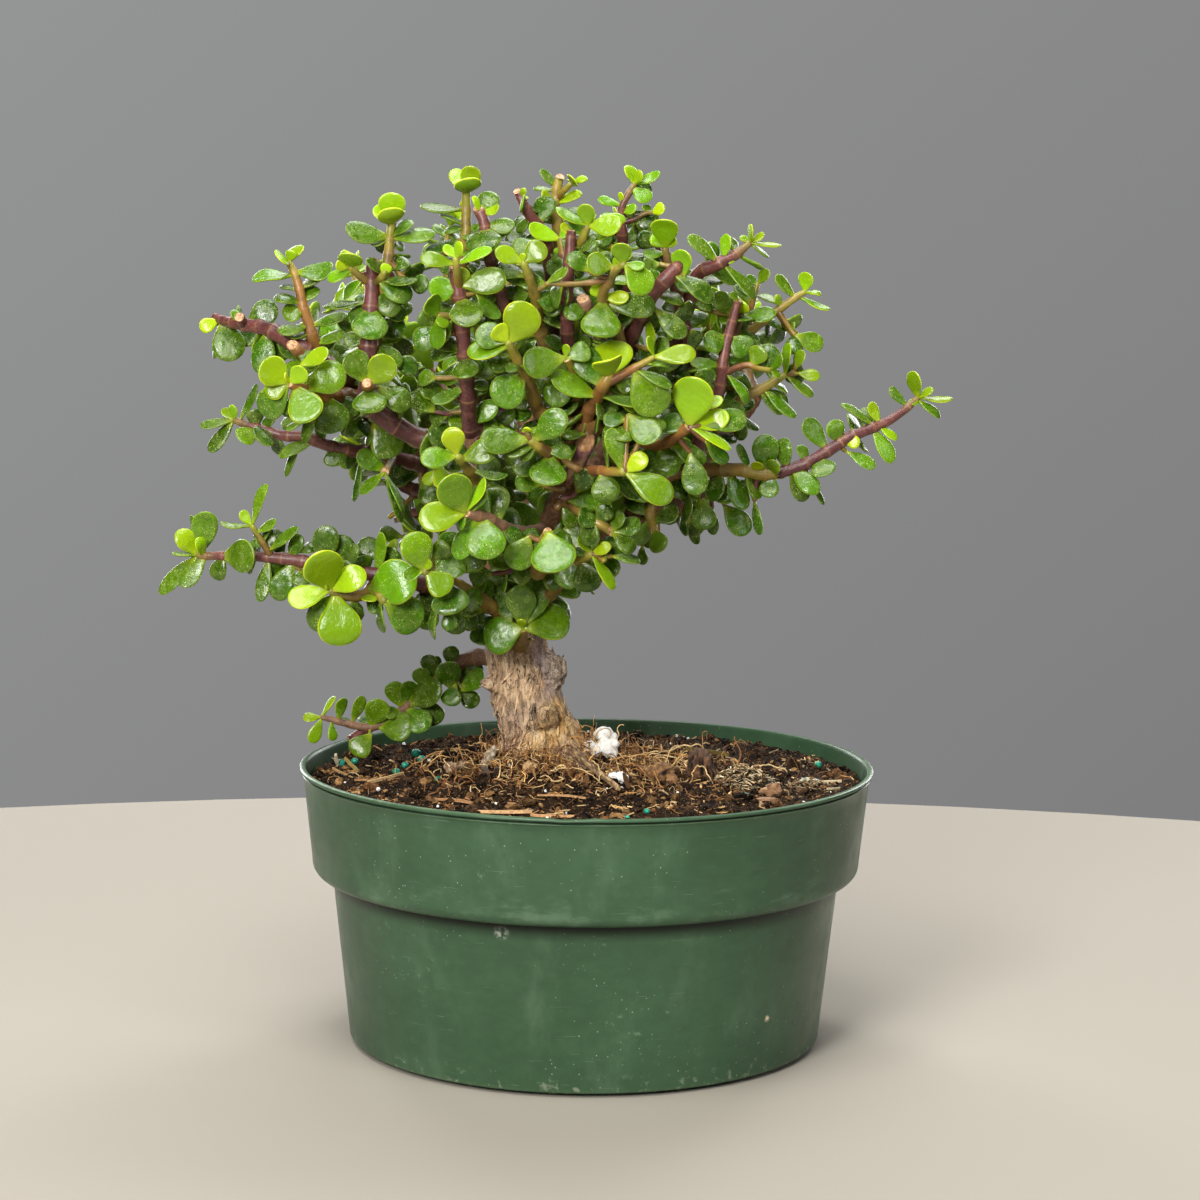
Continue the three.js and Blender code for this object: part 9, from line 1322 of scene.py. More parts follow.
        (-98.6, -26.2, 169, -98, -30.7, 163.4, 0.08, -0.77, 0.64, 6.4, 0.75, 0),
        (-85.6, -27.5, 171.1, -83.7, -27.6, 181.3, -0.05, -1, 0, 9.1, 0.87, 0),
        (-52.2, -21.5, 156.6, -57.1, -25.5, 148.6, -0.07, -0.88, 0.47, 8.4, 0.66, 0),
        (-100.2, -25.6, 175.3, -92.8, -26, 176.5, -0.17, -0.57, 0.8, 6.5, 0.92, 0),
        (-51.5, -22.2, 161.1, -58, -27.6, 155.8, 0.31, -0.83, 0.46, 8.5, 0.9, 0),
        (-109.4, -26.7, 174.6, -106.5, -23.7, 182.5, 0.1, -0.94, 0.32, 7.2, 0.89, 0),
        (-108.8, -25.6, 173.3, -106.8, -22.9, 165.6, 0.29, -0.93, -0.24, 7.8, 0.64, 0),
        (-75.5, -32.1, 159.8, -70.5, -34.6, 155.3, 0.21, -0.74, 0.64, 6.1, 0.84, 0),
        (-76.2, -26.4, 168, -77.5, -30.6, 174.5, 0.33, -0.82, -0.46, 6.6, 0.63, 0),
        (-54.8, -25.1, 166.3, -51.5, -27.1, 176.1, -0.48, -0.88, -0.02, 9.2, 0.58, 0),
        (-105.1, -24.4, 173.4, -106.6, -18, 178.2, -0.61, -0.55, 0.56, 6.3, 0.77, 0),
        (-114.2, -23.3, 171.9, -118, -17.8, 168.1, -1, 0.08, 0, 7.1, 0.85, 0),
        (-114, -23.1, 174, -115.5, -17, 178.9, -0.9, 0.4, 0.18, 6.6, 0.58, 0),
        (-111, -27, 178.8, -109.7, -24, 185, -0.45, -0.08, 0.89, 6, 0.57, 0),
    ]),
    "branch_left_trailing": ([
        ("w", 0, [(-23.6, 0, 130.7, 2.95), (-27.1, 5, 130.9, 2.95), (-34.2, 12, 133.1, 2.95), (-39.7, 17, 133, 2.9), (-44.9, 20, 131.1, 2.6), (-48.5, 20, 127, 2), (-54.2, 20, 123.7, 1.85), (-60, 20, 118.9, 1.8), (-65.4, 20, 114.1, 1.75), (-72.6, 20, 108.5, 1.7), (-79.8, 20, 106.6, 1.5), (-87.4, 20, 108, 1.25), (-95.7, 20, 110.1, 1)]),
        ("p", 0, [(-78, 20, 107, 1.9), (-80.3, 21.5, 104.9, 2.1), (-85.7, 22.5, 101.2, 2.1)]),
    ], [
        (-96.1, 20, 110.1, -102.5, 19, 109.9, 0.06, -0.59, 0.8, 4.4, 0.1, 1),
        (-97.2, 20, 111.6, -91.2, 22, 117.5, -0.6, -0.34, 0.72, 4.4, 0.15, 1),
        (-96.1, 20, 108.3, -99.5, 18, 100.9, 0.31, -0.94, 0.11, 4.8, 0.2, 1),
        (-92.5, 20, 107.6, -91.7, 19, 101.6, 0.69, -0.69, 0.21, 4.3, 0.25, 1),
        (-90, 20, 109.1, -87.4, 20, 117.2, 0.52, -0.84, -0.16, 4.8, 0.38, 1),
        (-84.9, 20, 108.4, -80.9, 20, 118, 0.4, -0.9, -0.17, 5, 0.4, 1),
        (-78.3, 17, 105.3, -73.7, 15, 117.4, 0, -0.99, -0.16, 9, 0.42, 1),
        (-78.1, 16, 104.4, -83.6, 13, 97.6, 0.06, -0.93, 0.36, 8.4, 0.36, 1),
        (-75.3, 17, 105.7, -62.8, 13, 107.6, -0.33, -0.81, 0.49, 10.8, 0.6, 1),
        (-67.1, 19, 114.6, -70.7, 18, 123.5, -0.07, -0.99, -0.14, 7.8, 0.5, 1),
        (-67.5, 19, 113.9, -73.4, 16, 112.1, 0.09, -0.62, 0.78, 6.8, 0.5, 1),
        (-66.4, 18, 114.8, -63.4, 17, 124.1, 0.21, -0.96, -0.17, 6.4, 0.5, 1),
        (-65.2, 16, 115.1, -52.5, 14, 123.5, -0.34, -0.89, 0.3, 10.8, 0.6, 1),
        (-65.6, 17, 114.2, -57.4, 13, 106.9, -0.04, -0.9, 0.45, 9.6, 0.55, 1),
        (-58.5, 20, 116, -53.4, 19, 108.2, 0.17, -0.96, 0.24, 8.4, 0.78, 1),
        (-55.7, 20, 125.1, -58.2, 19, 133.3, -0.24, -0.95, -0.19, 6.6, 0.8, 1),
        (-55, 20, 125.5, -54.3, 21, 132.7, 0.66, -0.75, 0.05, 5.4, 0.85, 1),
        (-48.7, 17, 121.7, -50.7, 13, 131.7, 0.22, -0.92, -0.32, 9.4, 0.7, 1),
        (-49.2, 20, 128.8, -49.6, 20, 136.5, 0.11, -0.99, 0.01, 6.2, 0.8, 1),
        (-47.5, 16, 122.9, -49.5, 13, 115.7, -0.26, -0.86, 0.43, 7.8, 0.7, 1),
        (-57.3, 17, 120.8, -60.8, 15, 129.1, 0.01, -0.97, -0.23, 6.6, 0.6, 1),
        (-45.5, 18, 120.8, -37.5, 16, 128.1, -0.55, -0.73, 0.4, 8.6, 0.62, 1),
        (-45.5, 19, 120.3, -39.6, 17, 115.2, 0.07, -0.9, 0.43, 7.2, 0.9, 1),
        (-45.2, 20, 120.9, -39.5, 19, 131.3, -0.26, -0.96, 0.05, 7.6, 0.95, 1),
        (-87.5, 21, 107.9, -89.2, 28, 108.9, 0.13, -0.11, 0.98, 5.6, 0.4, 1),
        (-77.8, 22, 106.7, -79.9, 30, 109, 0.11, -0.25, 0.96, 7.6, 0.5, 1),
        (-72, 22, 108.6, -71.1, 29, 104.9, -0.01, -0.47, -0.88, 7, 0.6, 1),
        (-65.5, 22, 114.1, -68.2, 30, 117.3, 0.36, -0.23, 0.91, 8, 0.6, 1),
        (-59, 22, 119.3, -57.3, 30, 115.2, 0.1, -0.48, -0.87, 7.4, 0.7, 1),
        (-54, 22, 123.8, -56.6, 29, 127.1, 0.42, -0.26, 0.87, 7.2, 0.8, 1),
        (-47.9, 22, 127.1, -45.7, 30, 121.9, -0.35, -0.44, -0.83, 7.4, 0.85, 1),
    ]),
    "shoot_back_01": ([
        ("o", 0, [(-55.4, 13.2, 200.5, 2.9), (-72.4, 20.8, 213.2, 2.4), (-90.9, 30.9, 239.4, 1.9), (-105.2, 38, 248.7, 1.2)]),
        ("o", 1, [(-99.8, 35.4, 245.9, 1.2), (-100.9, 41.1, 245.2, 1.05), (-102, 46.8, 245.8, 0.85)]),
        ("o", 1, [(-93.2, 32, 241.6, 1.2), (-98.1, 32.6, 240.1, 1.05), (-103, 33.2, 239.8, 0.85)]),
        ("o", 1, [(-86.4, 28.4, 233.5, 1.2), (-89.8, 23.6, 237.9, 1.05), (-93.2, 18.7, 243.4, 0.85)]),
        ("o", 1, [(-81.4, 25.6, 225.9, 1.2), (-79.7, 24.1, 230.9, 1.05), (-78, 22.6, 237.1, 0.85)]),
        ("o", 1, [(-75.8, 22.6, 217.4, 1.2), (-76.4, 29.7, 219.4, 1.05), (-77.1, 36.8, 222.6, 0.85)]),
        ("o", 1, [(-69.5, 19.4, 210.3, 1.2), (-75.7, 20.2, 208.7, 1.05), (-82, 20.9, 208.3, 0.85)]),
    ], [
        (-105.2, 38, 248.7, -112.3, 38.3, 243.7, -0.55, 0.26, 0.8, 7, 0, 0),
        (-105.2, 38, 248.7, -112.2, 36.7, 249.3, -0.01, -0.34, -0.94, 5.7, 0, 0),
        (-102.5, 36.7, 247.2, -111.9, 32.8, 244.4, -0.46, 0.73, 0.51, 8.7, 0.14, 0),
        (-102.5, 36.7, 247.2, -100.4, 47.2, 252.6, -0.48, -0.32, 0.82, 9.8, 0.15, 0),
        (-99.8, 35.4, 245.9, -99.1, 36.5, 259.3, -0.96, 0.29, 0.03, 11.4, 0.31, 0),
        (-99.8, 35.4, 245.9, -99.4, 46, 233.1, -0.76, 0.51, 0.41, 14.1, 0.46, 0),
        (-102, 46.8, 245.8, -108.4, 50.9, 246.5, 0.53, 0.77, 0.35, 6.7, 0.17, 0),
        (-102, 46.8, 245.8, -99.2, 52.9, 244.9, -0.84, 0.43, 0.33, 6, 0, 0),
        (-101.5, 44.3, 245.8, -98.6, 53.9, 252.4, -0.22, 0.59, -0.77, 10.4, 0.35, 0),
        (-101.5, 44.3, 245.8, -101.2, 51.2, 237.5, -0.2, 0.76, 0.62, 9.4, 0.22, 0),
        (-93.2, 32, 241.6, -90.7, 48.1, 240, -0.59, 0.17, 0.79, 13.2, 0.66, 0),
        (-93.2, 32, 241.6, -100, 20.7, 244.2, -0.48, 0.46, 0.75, 11.9, 0.7, 0),
        (-103, 33.2, 239.8, -103.4, 33.9, 231.5, -1, 0.04, 0.04, 6.6, 0.16, 0),
        (-103, 33.2, 239.8, -107.5, 28.9, 241.4, -0.7, 0.71, -0.06, 5.6, 0, 0),
        (-100.6, 32.9, 240.3, -100.8, 25.7, 227.6, -1, 0.01, 0.01, 11.8, 0.26, 0),
        (-100.6, 32.9, 240.3, -105.8, 41.5, 249.8, -0.92, -0.31, -0.22, 11, 0.23, 0),
        (-86.4, 28.4, 233.5, -99.7, 31.2, 224.2, -0.52, 0.26, 0.81, 14, 0.84, 0),
        (-86.4, 28.4, 233.5, -78.2, 28.5, 244.6, -0.77, 0.3, 0.57, 11.7, 0.68, 0),
        (-93.2, 18.7, 243.4, -98.5, 16, 245.1, 0.4, -0.23, 0.89, 5.4, 0.04, 0),
        (-93.2, 18.7, 243.4, -92.3, 14.6, 248.6, -0.99, -0.06, 0.12, 6, 0.12, 0),
        (-92.1, 20.2, 241.8, -97, 7.8, 238.4, -0.24, -0.17, 0.96, 11.3, 0.28, 0),
        (-92.1, 20.2, 241.8, -92.6, 20.4, 252.2, -0.37, -0.93, 0, 9.1, 0.4, 0),
        (-89.5, 24, 238, -102.1, 23, 236.2, -0.08, -0.52, 0.85, 10.2, 0.66, 0),
        (-89.5, 24, 238, -80.9, 20.4, 244.7, -0.66, -0.42, 0.62, 10.4, 0.68, 0),
        (-81.4, 25.6, 225.9, -90.4, 14.5, 224.2, -0.41, 0.19, 0.89, 11.8, 0.76, 0),
        (-78, 22.6, 237.1, -79.8, 20.2, 242.6, 0.93, 0.11, 0.36, 5.6, 0.07, 0),
        (-78, 22.6, 237.1, -72.6, 21.6, 241.5, -0.65, -0.13, 0.75, 6, 0.11, 0),
        (-78.7, 23.2, 234.8, -75.1, 12.5, 239.8, 0.05, 0.44, 0.9, 10.8, 0.28, 0),
        (-78.7, 23.2, 234.8, -77.9, 30, 245.8, 0.3, -0.82, 0.49, 10.3, 0.35, 0),
        (-75.8, 22.6, 217.4, -66.5, 25.3, 223.1, -0.56, 0.28, 0.78, 9.9, 0.82, 0),
        (-75.8, 22.6, 217.4, -87.7, 27.2, 221.2, 0.31, 0.03, 0.95, 11.6, 0.78, 0),
        (-77.1, 36.8, 222.6, -74.8, 44.3, 219.3, -0.22, 0.45, 0.87, 6.8, 0.17, 0),
        (-77.1, 36.8, 222.6, -78, 43.6, 227.1, 0.94, 0.26, -0.21, 7, 0.11, 0),
        (-76.9, 34.4, 221.8, -85.1, 38.1, 211.1, -0.19, 0.87, 0.45, 11.7, 0.4, 0),
        (-76.9, 34.4, 221.8, -70.4, 43.4, 231.2, -0.83, 0.55, 0.05, 11.4, 0.36, 0),
        (-76.4, 28.9, 219.8, -70.3, 34.6, 208.1, -0.01, 0.9, 0.44, 12.6, 0.52, 0),
        (-69.5, 19.4, 210.3, -67.9, 34.1, 208.3, -0.56, 0.17, 0.81, 12.9, 0.82, 0),
        (-69.5, 19.4, 210.3, -78.1, 8.6, 212.1, -0.47, 0.49, 0.73, 11.1, 0.85, 0),
        (-82, 20.9, 208.3, -87.2, 21, 202.9, -0.71, 0.14, 0.69, 6.5, 0.09, 0),
        (-82, 20.9, 208.3, -89.5, 22, 212.3, -0.47, 0, -0.88, 6.8, 0.03, 0),
        (-76.9, 25.1, 222.5, -73.2, 29.8, 228.1, -0.28, -0.13, 0.95, 6.8, 0.67, 0),
        (-97.3, 33.8, 241.9, -104.1, 35.8, 237.1, -0.47, 0.1, 0.88, 7, 0.69, 0),
        (-95.7, 34.3, 244.1, -94.5, 38.7, 250.9, -0.84, 0.05, 0.54, 6.7, 0.78, 0),
        (-96.2, 32.6, 239.7, -95.9, 35, 231.7, -0.81, -0.52, 0.26, 7.2, 0.44, 0),
    ]),
    "shoot_back_02": ([
        ("o", 0, [(-61.5, 14.4, 208.2, 2.9), (-69.2, 28.5, 228.8, 2.4), (-78.6, 36.3, 250.6, 1.9), (-87.2, 48, 271.1, 1.2)]),
        ("o", 1, [(-84.9, 44.8, 265.7, 1.2), (-83.2, 52.8, 267.3, 1.05), (-81.5, 60.8, 270.2, 0.85)]),
        ("o", 1, [(-81.2, 39.5, 256.8, 1.2), (-86.2, 41.5, 257.1, 1.05), (-91.2, 43.6, 258.6, 0.85)]),
        ("o", 1, [(-77.9, 35.7, 249, 1.2), (-80, 32.2, 252.7, 1.05), (-82.1, 28.7, 257.6, 0.85)]),
        ("o", 1, [(-74, 32.7, 240.1, 1.2), (-71.6, 36.6, 243.2, 1.05), (-69.2, 40.6, 247.4, 0.85)]),
        ("o", 1, [(-67, 25.1, 223.1, 1.2), (-73.1, 27.7, 223.7, 1.05), (-79.2, 30.2, 225.5, 0.85)]),
    ], [
        (-87.2, 48, 271.1, -92.6, 50, 274.7, 0.58, 0.12, 0.81, 6.1, 0.08, 0),
        (-87.2, 48, 271.1, -85.4, 51.7, 277.1, -0.89, -0.22, 0.41, 6.1, 0.15, 0),
        (-86.1, 46.4, 268.4, -87.1, 57, 271.4, -0.3, -0.29, 0.91, 9.8, 0.24, 0),
        (-84.9, 44.8, 265.7, -72.8, 45.3, 274.1, -0.54, 0.39, 0.75, 11.7, 0.49, 0),
        (-81.5, 60.8, 270.2, -81.2, 67.6, 268.6, 0.17, 0.21, 0.96, 6.2, 0.04, 0),
        (-82, 58.4, 269.5, -93, 64, 275.1, 0.57, 0.72, 0.41, 10.7, 0.23, 0),
        (-82, 58.4, 269.5, -71, 61.2, 264.9, 0.05, 0.8, 0.6, 10.1, 0.39, 0),
        (-83.4, 52, 267.7, -88, 56.3, 258.3, 0.1, 0.92, 0.38, 9.8, 0.68, 0),
        (-81.2, 39.5, 256.8, -82.8, 48.6, 250.5, -0.29, 0.51, 0.81, 9.9, 0.67, 0),
        (-81.2, 39.5, 256.8, -81.3, 29.4, 260.7, -0.26, 0.35, 0.9, 9.3, 0.6, 0),
        (-91.2, 43.6, 258.6, -97.4, 46.7, 254.8, -0.47, 0.13, 0.88, 6.7, 0.02, 0),
        (-88.9, 42.6, 258.2, -92.2, 54, 261.6, -0.86, -0.36, 0.37, 10.5, 0.23, 0),
        (-77.9, 35.7, 249, -91.9, 31.1, 248.8, -0.12, 0.32, 0.94, 12.5, 0.73, 0),
        (-82.1, 28.7, 257.6, -86.7, 24.6, 259.9, 0.42, 0.03, 0.91, 5.7, 0.15, 0),
        (-82.1, 28.7, 257.6, -81.3, 25.5, 265.3, -0.95, -0.32, -0.04, 6.7, 0.03, 0),
        (-81.2, 30.2, 255.8, -75.8, 21, 259.4, -0.61, -0.05, 0.79, 9.6, 0.36, 0),
        (-81.2, 30.2, 255.8, -90.2, 35, 263.9, 0.04, -0.84, 0.55, 11.5, 0.21, 0),
        (-74, 32.7, 240.1, -68.8, 23.3, 248, -0.32, 0.5, 0.81, 11.1, 0.82, 0),
        (-74, 32.7, 240.1, -78.2, 47.5, 240.9, -0.23, -0.12, 0.97, 13.5, 0.69, 0),
        (-69.2, 40.6, 247.4, -64.7, 46.7, 247.7, -0.06, 0, 1, 6.7, 0.08, 0),
        (-69.2, 40.6, 247.4, -68.3, 42.6, 255.8, 0.73, 0.64, -0.24, 7, 0.02, 0),
        (-70.3, 38.9, 245.9, -81.1, 45.1, 247.6, 0.39, 0.45, 0.8, 11.3, 0.24, 0),
        (-70.3, 38.9, 245.9, -59.9, 36.8, 250.4, -0.14, 0.74, 0.66, 9.9, 0.4, 0),
        (-70.4, 29.8, 231.6, -59.3, 32.2, 235.8, -0.39, 0.25, 0.89, 10.3, 0.63, 0),
        (-67, 25.1, 223.1, -59.4, 30.7, 212.9, -0.05, 0.89, 0.45, 10.8, 0.95, 0),
        (-67, 25.1, 223.1, -71.3, 19.2, 234.8, -0.03, 0.9, 0.44, 11.2, 0.87, 0),
        (-79.2, 30.2, 225.5, -86.7, 30.6, 225.1, 0.01, 0.78, 0.63, 6.4, 0.18, 0),
        (-79.2, 30.2, 225.5, -80.3, 38.2, 227.8, -0.95, -0.19, 0.23, 6.7, 0.02, 0),
        (-76.9, 29.3, 225, -77.2, 28.3, 236.7, -0.83, 0.56, 0.03, 9.4, 0.3, 0),
        (-72.5, 27.4, 224.2, -80.1, 17.7, 216.1, -0.85, 0.32, 0.42, 12.2, 0.68, 0),
        (-72.5, 27.4, 224.2, -69.6, 39.5, 227.9, -0.89, 0.07, 0.45, 10.2, 0.64, 0),
        (-63, 22.1, 218.3, -55.5, 26.9, 221.8, -0.47, 0.04, 0.88, 8.4, 0.8, 0),
        (-77.4, 34.7, 243.5, -82.9, 37.4, 243.6, -0.41, -0.23, 0.88, 5.8, 0.7, 0),
        (-74.3, 34.8, 244.8, -69.5, 37.7, 248.8, -0.06, 0.13, 0.99, 6.3, 0.49, 0),
        (-80.8, 38.3, 252.1, -87.5, 42.8, 252.6, 0.21, 0.03, 0.98, 7.5, 0.83, 0),
        (-78.1, 38.4, 253.2, -72.7, 42.9, 256.9, -0.43, -0.28, 0.86, 6.7, 0.38, 0),
        (-84.2, 42.6, 260.5, -90.3, 45.5, 260.9, -0.09, 0.18, 0.98, 6, 0.72, 0),
        (-81.7, 42.8, 261.4, -75.8, 48.1, 267.8, 0.08, -0.24, 0.97, 8, 0.87, 0),
        (-83.5, 55.4, 268.3, -89.1, 60.6, 270.2, 0.27, 0.1, 0.96, 7.3, 0.51, 0),
        (-82.1, 55.4, 267.5, -77.6, 58.5, 263.9, 0.41, 0.47, 0.78, 6.3, 0.7, 0),
        (-79, 33.1, 252.7, -73.5, 34.8, 260.7, -0.37, -0.38, 0.85, 8.8, 0.65, 0),
        (-71.4, 36.1, 241.9, -64.6, 41, 240.5, 0.14, 0.6, 0.79, 7.7, 0.4, 0),
    ]),
    "shoot_back_03": ([
        ("o", 0, [(-24.6, 49.5, 226.4, 2.9), (-36.1, 53.7, 241.3, 2.4), (-47.9, 53.9, 262.8, 1.9), (-59.5, 60, 277, 1.2)]),
        ("o", 1, [(-55.5, 57.6, 272.4, 1.2), (-53.7, 57.1, 278.9, 1.05), (-52, 56.5, 286.6, 0.85)]),
        ("o", 1, [(-49.2, 54.3, 264.8, 1.2), (-49.5, 61.1, 267.8, 1.05), (-49.8, 68, 272, 0.85)]),
        ("o", 1, [(-40.5, 53.8, 249.1, 1.2), (-41.8, 48.5, 251.8, 1.05), (-43.1, 43.2, 255.8, 0.85)]),
    ], [
        (-52, 56.5, 286.6, -52.3, 53.3, 292.5, 0.44, 0.78, 0.45, 5.4, 0.05, 0),
        (-52, 56.5, 286.6, -48.5, 58.9, 292.8, -0.48, -0.69, 0.54, 6.8, 0, 0),
        (-53.9, 57.1, 278.7, -59.4, 45.3, 282.2, 0.29, 0.14, 0.95, 11.2, 0.6, 0),
        (-53.9, 57.1, 278.7, -48.9, 68.9, 283.6, 0.06, -0.4, 0.91, 10.7, 0.59, 0),
        (-49.2, 54.3, 264.8, -39.2, 50.6, 270.7, -0.45, 0.17, 0.88, 10, 0.88, 0),
        (-49.2, 54.3, 264.8, -60.1, 53.6, 258.4, -0.51, 0.16, 0.84, 10.4, 0.86, 0),
        (-49.8, 68, 272, -51.9, 76, 270.1, 0.17, 0.27, 0.95, 6.8, 0.1, 0),
        (-49.8, 68, 272, -45.9, 72.3, 278.1, -0.68, 0.73, -0.09, 6.9, 0.07, 0),
        (-49.7, 65.7, 270.8, -62, 64.3, 279.1, 0.27, 0.8, 0.53, 11.8, 0.27, 0),
        (-49.7, 65.7, 270.8, -40.6, 75.3, 266, -0.2, 0.59, 0.79, 11.2, 0.36, 0),
        (-49.5, 60.5, 268, -58.1, 67, 260, -0.04, 0.75, 0.66, 10.8, 0.52, 0),
        (-49.5, 60.5, 268, -44.2, 57.8, 277.5, -0.23, 0.9, 0.38, 9.9, 0.63, 0),
        (-44.2, 53.5, 256.4, -43.9, 66.7, 252.7, -0.36, 0.26, 0.9, 12.2, 0.86, 0),
        (-44.2, 53.5, 256.4, -39, 40.8, 253.9, -0.23, -0.28, 0.93, 10.9, 0.88, 0),
        (-40.5, 53.8, 249.1, -52.2, 50.6, 243.8, -0.4, -0.04, 0.91, 10.8, 0.63, 0),
        (-40.5, 53.8, 249.1, -31.8, 55.6, 261.2, -0.78, -0.22, 0.59, 12.7, 0.6, 0),
        (-43.1, 43.2, 255.8, -42, 37.3, 260, -0.88, 0.15, 0.46, 6.6, 0.16, 0),
        (-43.1, 43.2, 255.8, -48.5, 40.9, 259.2, 0.6, -0.5, 0.62, 6.1, 0.14, 0),
        (-42.6, 45.2, 254.5, -42.7, 43.9, 268.5, -0.48, -0.88, -0.09, 11.8, 0.29, 0),
        (-42.6, 45.2, 254.5, -41.6, 44, 243.1, -0.31, -0.95, 0.08, 9.6, 0.23, 0),
        (-35.1, 53.5, 239.8, -35.1, 41.2, 241.3, -0.42, 0.11, 0.9, 10.6, 0.69, 0),
        (-33.2, 52.6, 233.8, -40.9, 55.1, 234.2, -0.48, -0.35, 0.8, 7.6, 0.38, 0),
        (-39.4, 54.4, 243.2, -46.4, 56.5, 244.9, -0.27, -0.14, 0.95, 6, 0.82, 0),
        (-35.9, 54.4, 245.1, -32.5, 56.5, 251.5, -0.13, -0.32, 0.94, 6.2, 0.61, 0),
        (-43.8, 54.5, 251.6, -51.4, 57.3, 250.7, -0.5, -0.52, 0.69, 6.6, 0.62, 0),
        (-45.3, 54.4, 261.6, -41, 57, 268.2, -0.3, -0.03, 0.95, 7.6, 0.6, 0),
        (-53.7, 57, 267.8, -59.3, 60.4, 266, -0.29, -0.08, 0.95, 6, 0.77, 0),
        (-57, 58.5, 272, -64.9, 62.1, 269.9, -0.37, 0.16, 0.91, 7.8, 0.65, 0),
        (-55.1, 58.7, 273.5, -50.1, 63.2, 279.6, -0.27, -0.04, 0.96, 7.1, 0.63, 0),
        (-53.6, 57.2, 282.7, -58, 59.7, 287.3, 0.17, -0.49, 0.85, 5.7, 0.77, 0),
        (-52.1, 57.1, 282.3, -43.6, 59.5, 285.8, 0.1, -0.09, 0.99, 7.6, 0.55, 0),
        (-48.4, 57.6, 266, -41.1, 62, 266.6, -0.24, 0.23, 0.94, 7.3, 0.8, 0),
        (-42.5, 49.6, 251.1, -49.5, 46.9, 251.3, -0.29, -0.7, 0.65, 6.7, 0.57, 0),
    ]),
    "shoot_back_04": ([
        ("o", 0, [(-42.8, 47.3, 211.2, 2.9), (-37.7, 53.7, 231.8, 2.4), (-34.7, 64.8, 257.8, 1.9), (-26.7, 70, 273.6, 1.2)]),
        ("o", 1, [(-34.5, 65, 258.6, 1.2), (-30.5, 70.2, 259.5, 1.05), (-26.6, 75.4, 261.6, 0.85)]),
        ("o", 1, [(-36.7, 57.4, 240.9, 1.2), (-30.9, 59.6, 243.5, 1.05), (-25.2, 61.8, 247.2, 0.85)]),
        ("o", 1, [(-37.9, 53.3, 230.8, 1.2), (-38.6, 61.1, 233.1, 1.05), (-39.3, 68.9, 236.6, 0.85)]),
        ("o", 1, [(-39.6, 50.8, 223.2, 1.2), (-43.7, 51.9, 227.1, 1.05), (-47.8, 53, 232.2, 0.85)]),
    ], [
        (-26.7, 70, 273.6, -21.9, 74.7, 277.7, -0.27, -0.47, 0.84, 6.7, 0, 0),
        (-26.7, 70, 273.6, -25.2, 69.4, 280.6, 0.42, 0.91, -0.01, 5.7, 0.07, 0),
        (-28.3, 69.1, 270.8, -34.4, 75.6, 279.5, 0.72, -0.2, 0.66, 9.9, 0.13, 0),
        (-28.3, 69.1, 270.8, -19.4, 65.1, 273.7, -0.08, 0.46, 0.88, 8.7, 0.23, 0),
        (-29.9, 68.3, 268.1, -35.3, 64.1, 277.8, 0.71, 0.42, 0.57, 10.7, 0.4, 0),
        (-29.9, 68.3, 268.1, -19.6, 70.5, 261.2, 0.51, 0.22, 0.83, 11.2, 0.38, 0),
        (-34.5, 65, 258.6, -45.5, 70.9, 261.5, 0.35, 0.19, 0.92, 10.4, 0.85, 0),
        (-26.6, 75.4, 261.6, -19.9, 79.2, 259.5, -0.03, 0.52, 0.85, 6.5, 0.07, 0),
        (-26.6, 75.4, 261.6, -26.8, 81.6, 264.4, 0.96, -0.08, 0.26, 5.8, 0.03, 0),
        (-28.1, 73.5, 261, -26.9, 85.4, 253.1, 0.53, 0.44, 0.73, 11.5, 0.23, 0),
        (-28.1, 73.5, 261, -25.4, 75.1, 274.5, 0.25, 0.95, -0.16, 11.2, 0.24, 0),
        (-30.9, 69.7, 259.9, -18.6, 64.8, 256.8, 0.43, 0.72, 0.54, 12, 0.62, 0),
        (-30.9, 69.7, 259.9, -39.7, 78.2, 267.3, 0.79, 0.51, 0.35, 12.3, 0.65, 0),
        (-35.9, 61.6, 250.3, -51.2, 58.4, 248.1, -0.19, 0.24, 0.95, 13.1, 0.61, 0),
        (-36.7, 57.4, 240.9, -33.6, 46.6, 247.7, -0.01, 0.53, 0.85, 11.7, 0.79, 0),
        (-25.2, 61.8, 247.2, -19, 64.5, 251.4, -0.63, 0.44, 0.64, 7, 0.12, 0),
        (-25.2, 61.8, 247.2, -25.8, 66.8, 253.2, 0.91, -0.27, 0.33, 7, 0.1, 0),
        (-27.2, 61, 246.1, -28.3, 70.5, 239.7, 0.71, 0.45, 0.54, 9.2, 0.27, 0),
        (-27.2, 61, 246.1, -27.2, 60.3, 258, 0.69, 0.72, 0.04, 9.8, 0.23, 0),
        (-31.5, 59.4, 243.8, -23.1, 51.1, 239.6, 0.64, 0.3, 0.7, 9.8, 0.67, 0),
        (-31.5, 59.4, 243.8, -32.5, 65.5, 257, 0.99, -0.08, 0.11, 11.7, 0.64, 0),
        (-37.9, 53.3, 230.8, -27.6, 59.4, 225.9, 0.25, 0.31, 0.92, 11, 0.9, 0),
        (-39.3, 68.9, 236.6, -41.8, 74, 232.9, 0.07, 0.61, 0.79, 6, 0.11, 0),
        (-39.3, 68.9, 236.6, -42.9, 74.7, 241.5, -0.71, 0.14, -0.69, 6.8, 0.08, 0),
        (-39.1, 66.6, 235.7, -50.3, 69.4, 245.3, 0.47, 0.82, 0.32, 11.8, 0.3, 0),
        (-39.1, 66.6, 235.7, -27.5, 73.9, 233.1, -0.28, 0.68, 0.68, 11.2, 0.25, 0),
        (-38.5, 60.3, 233.4, -43.9, 66.7, 224.4, -0.07, 0.8, 0.6, 10.9, 0.65, 0),
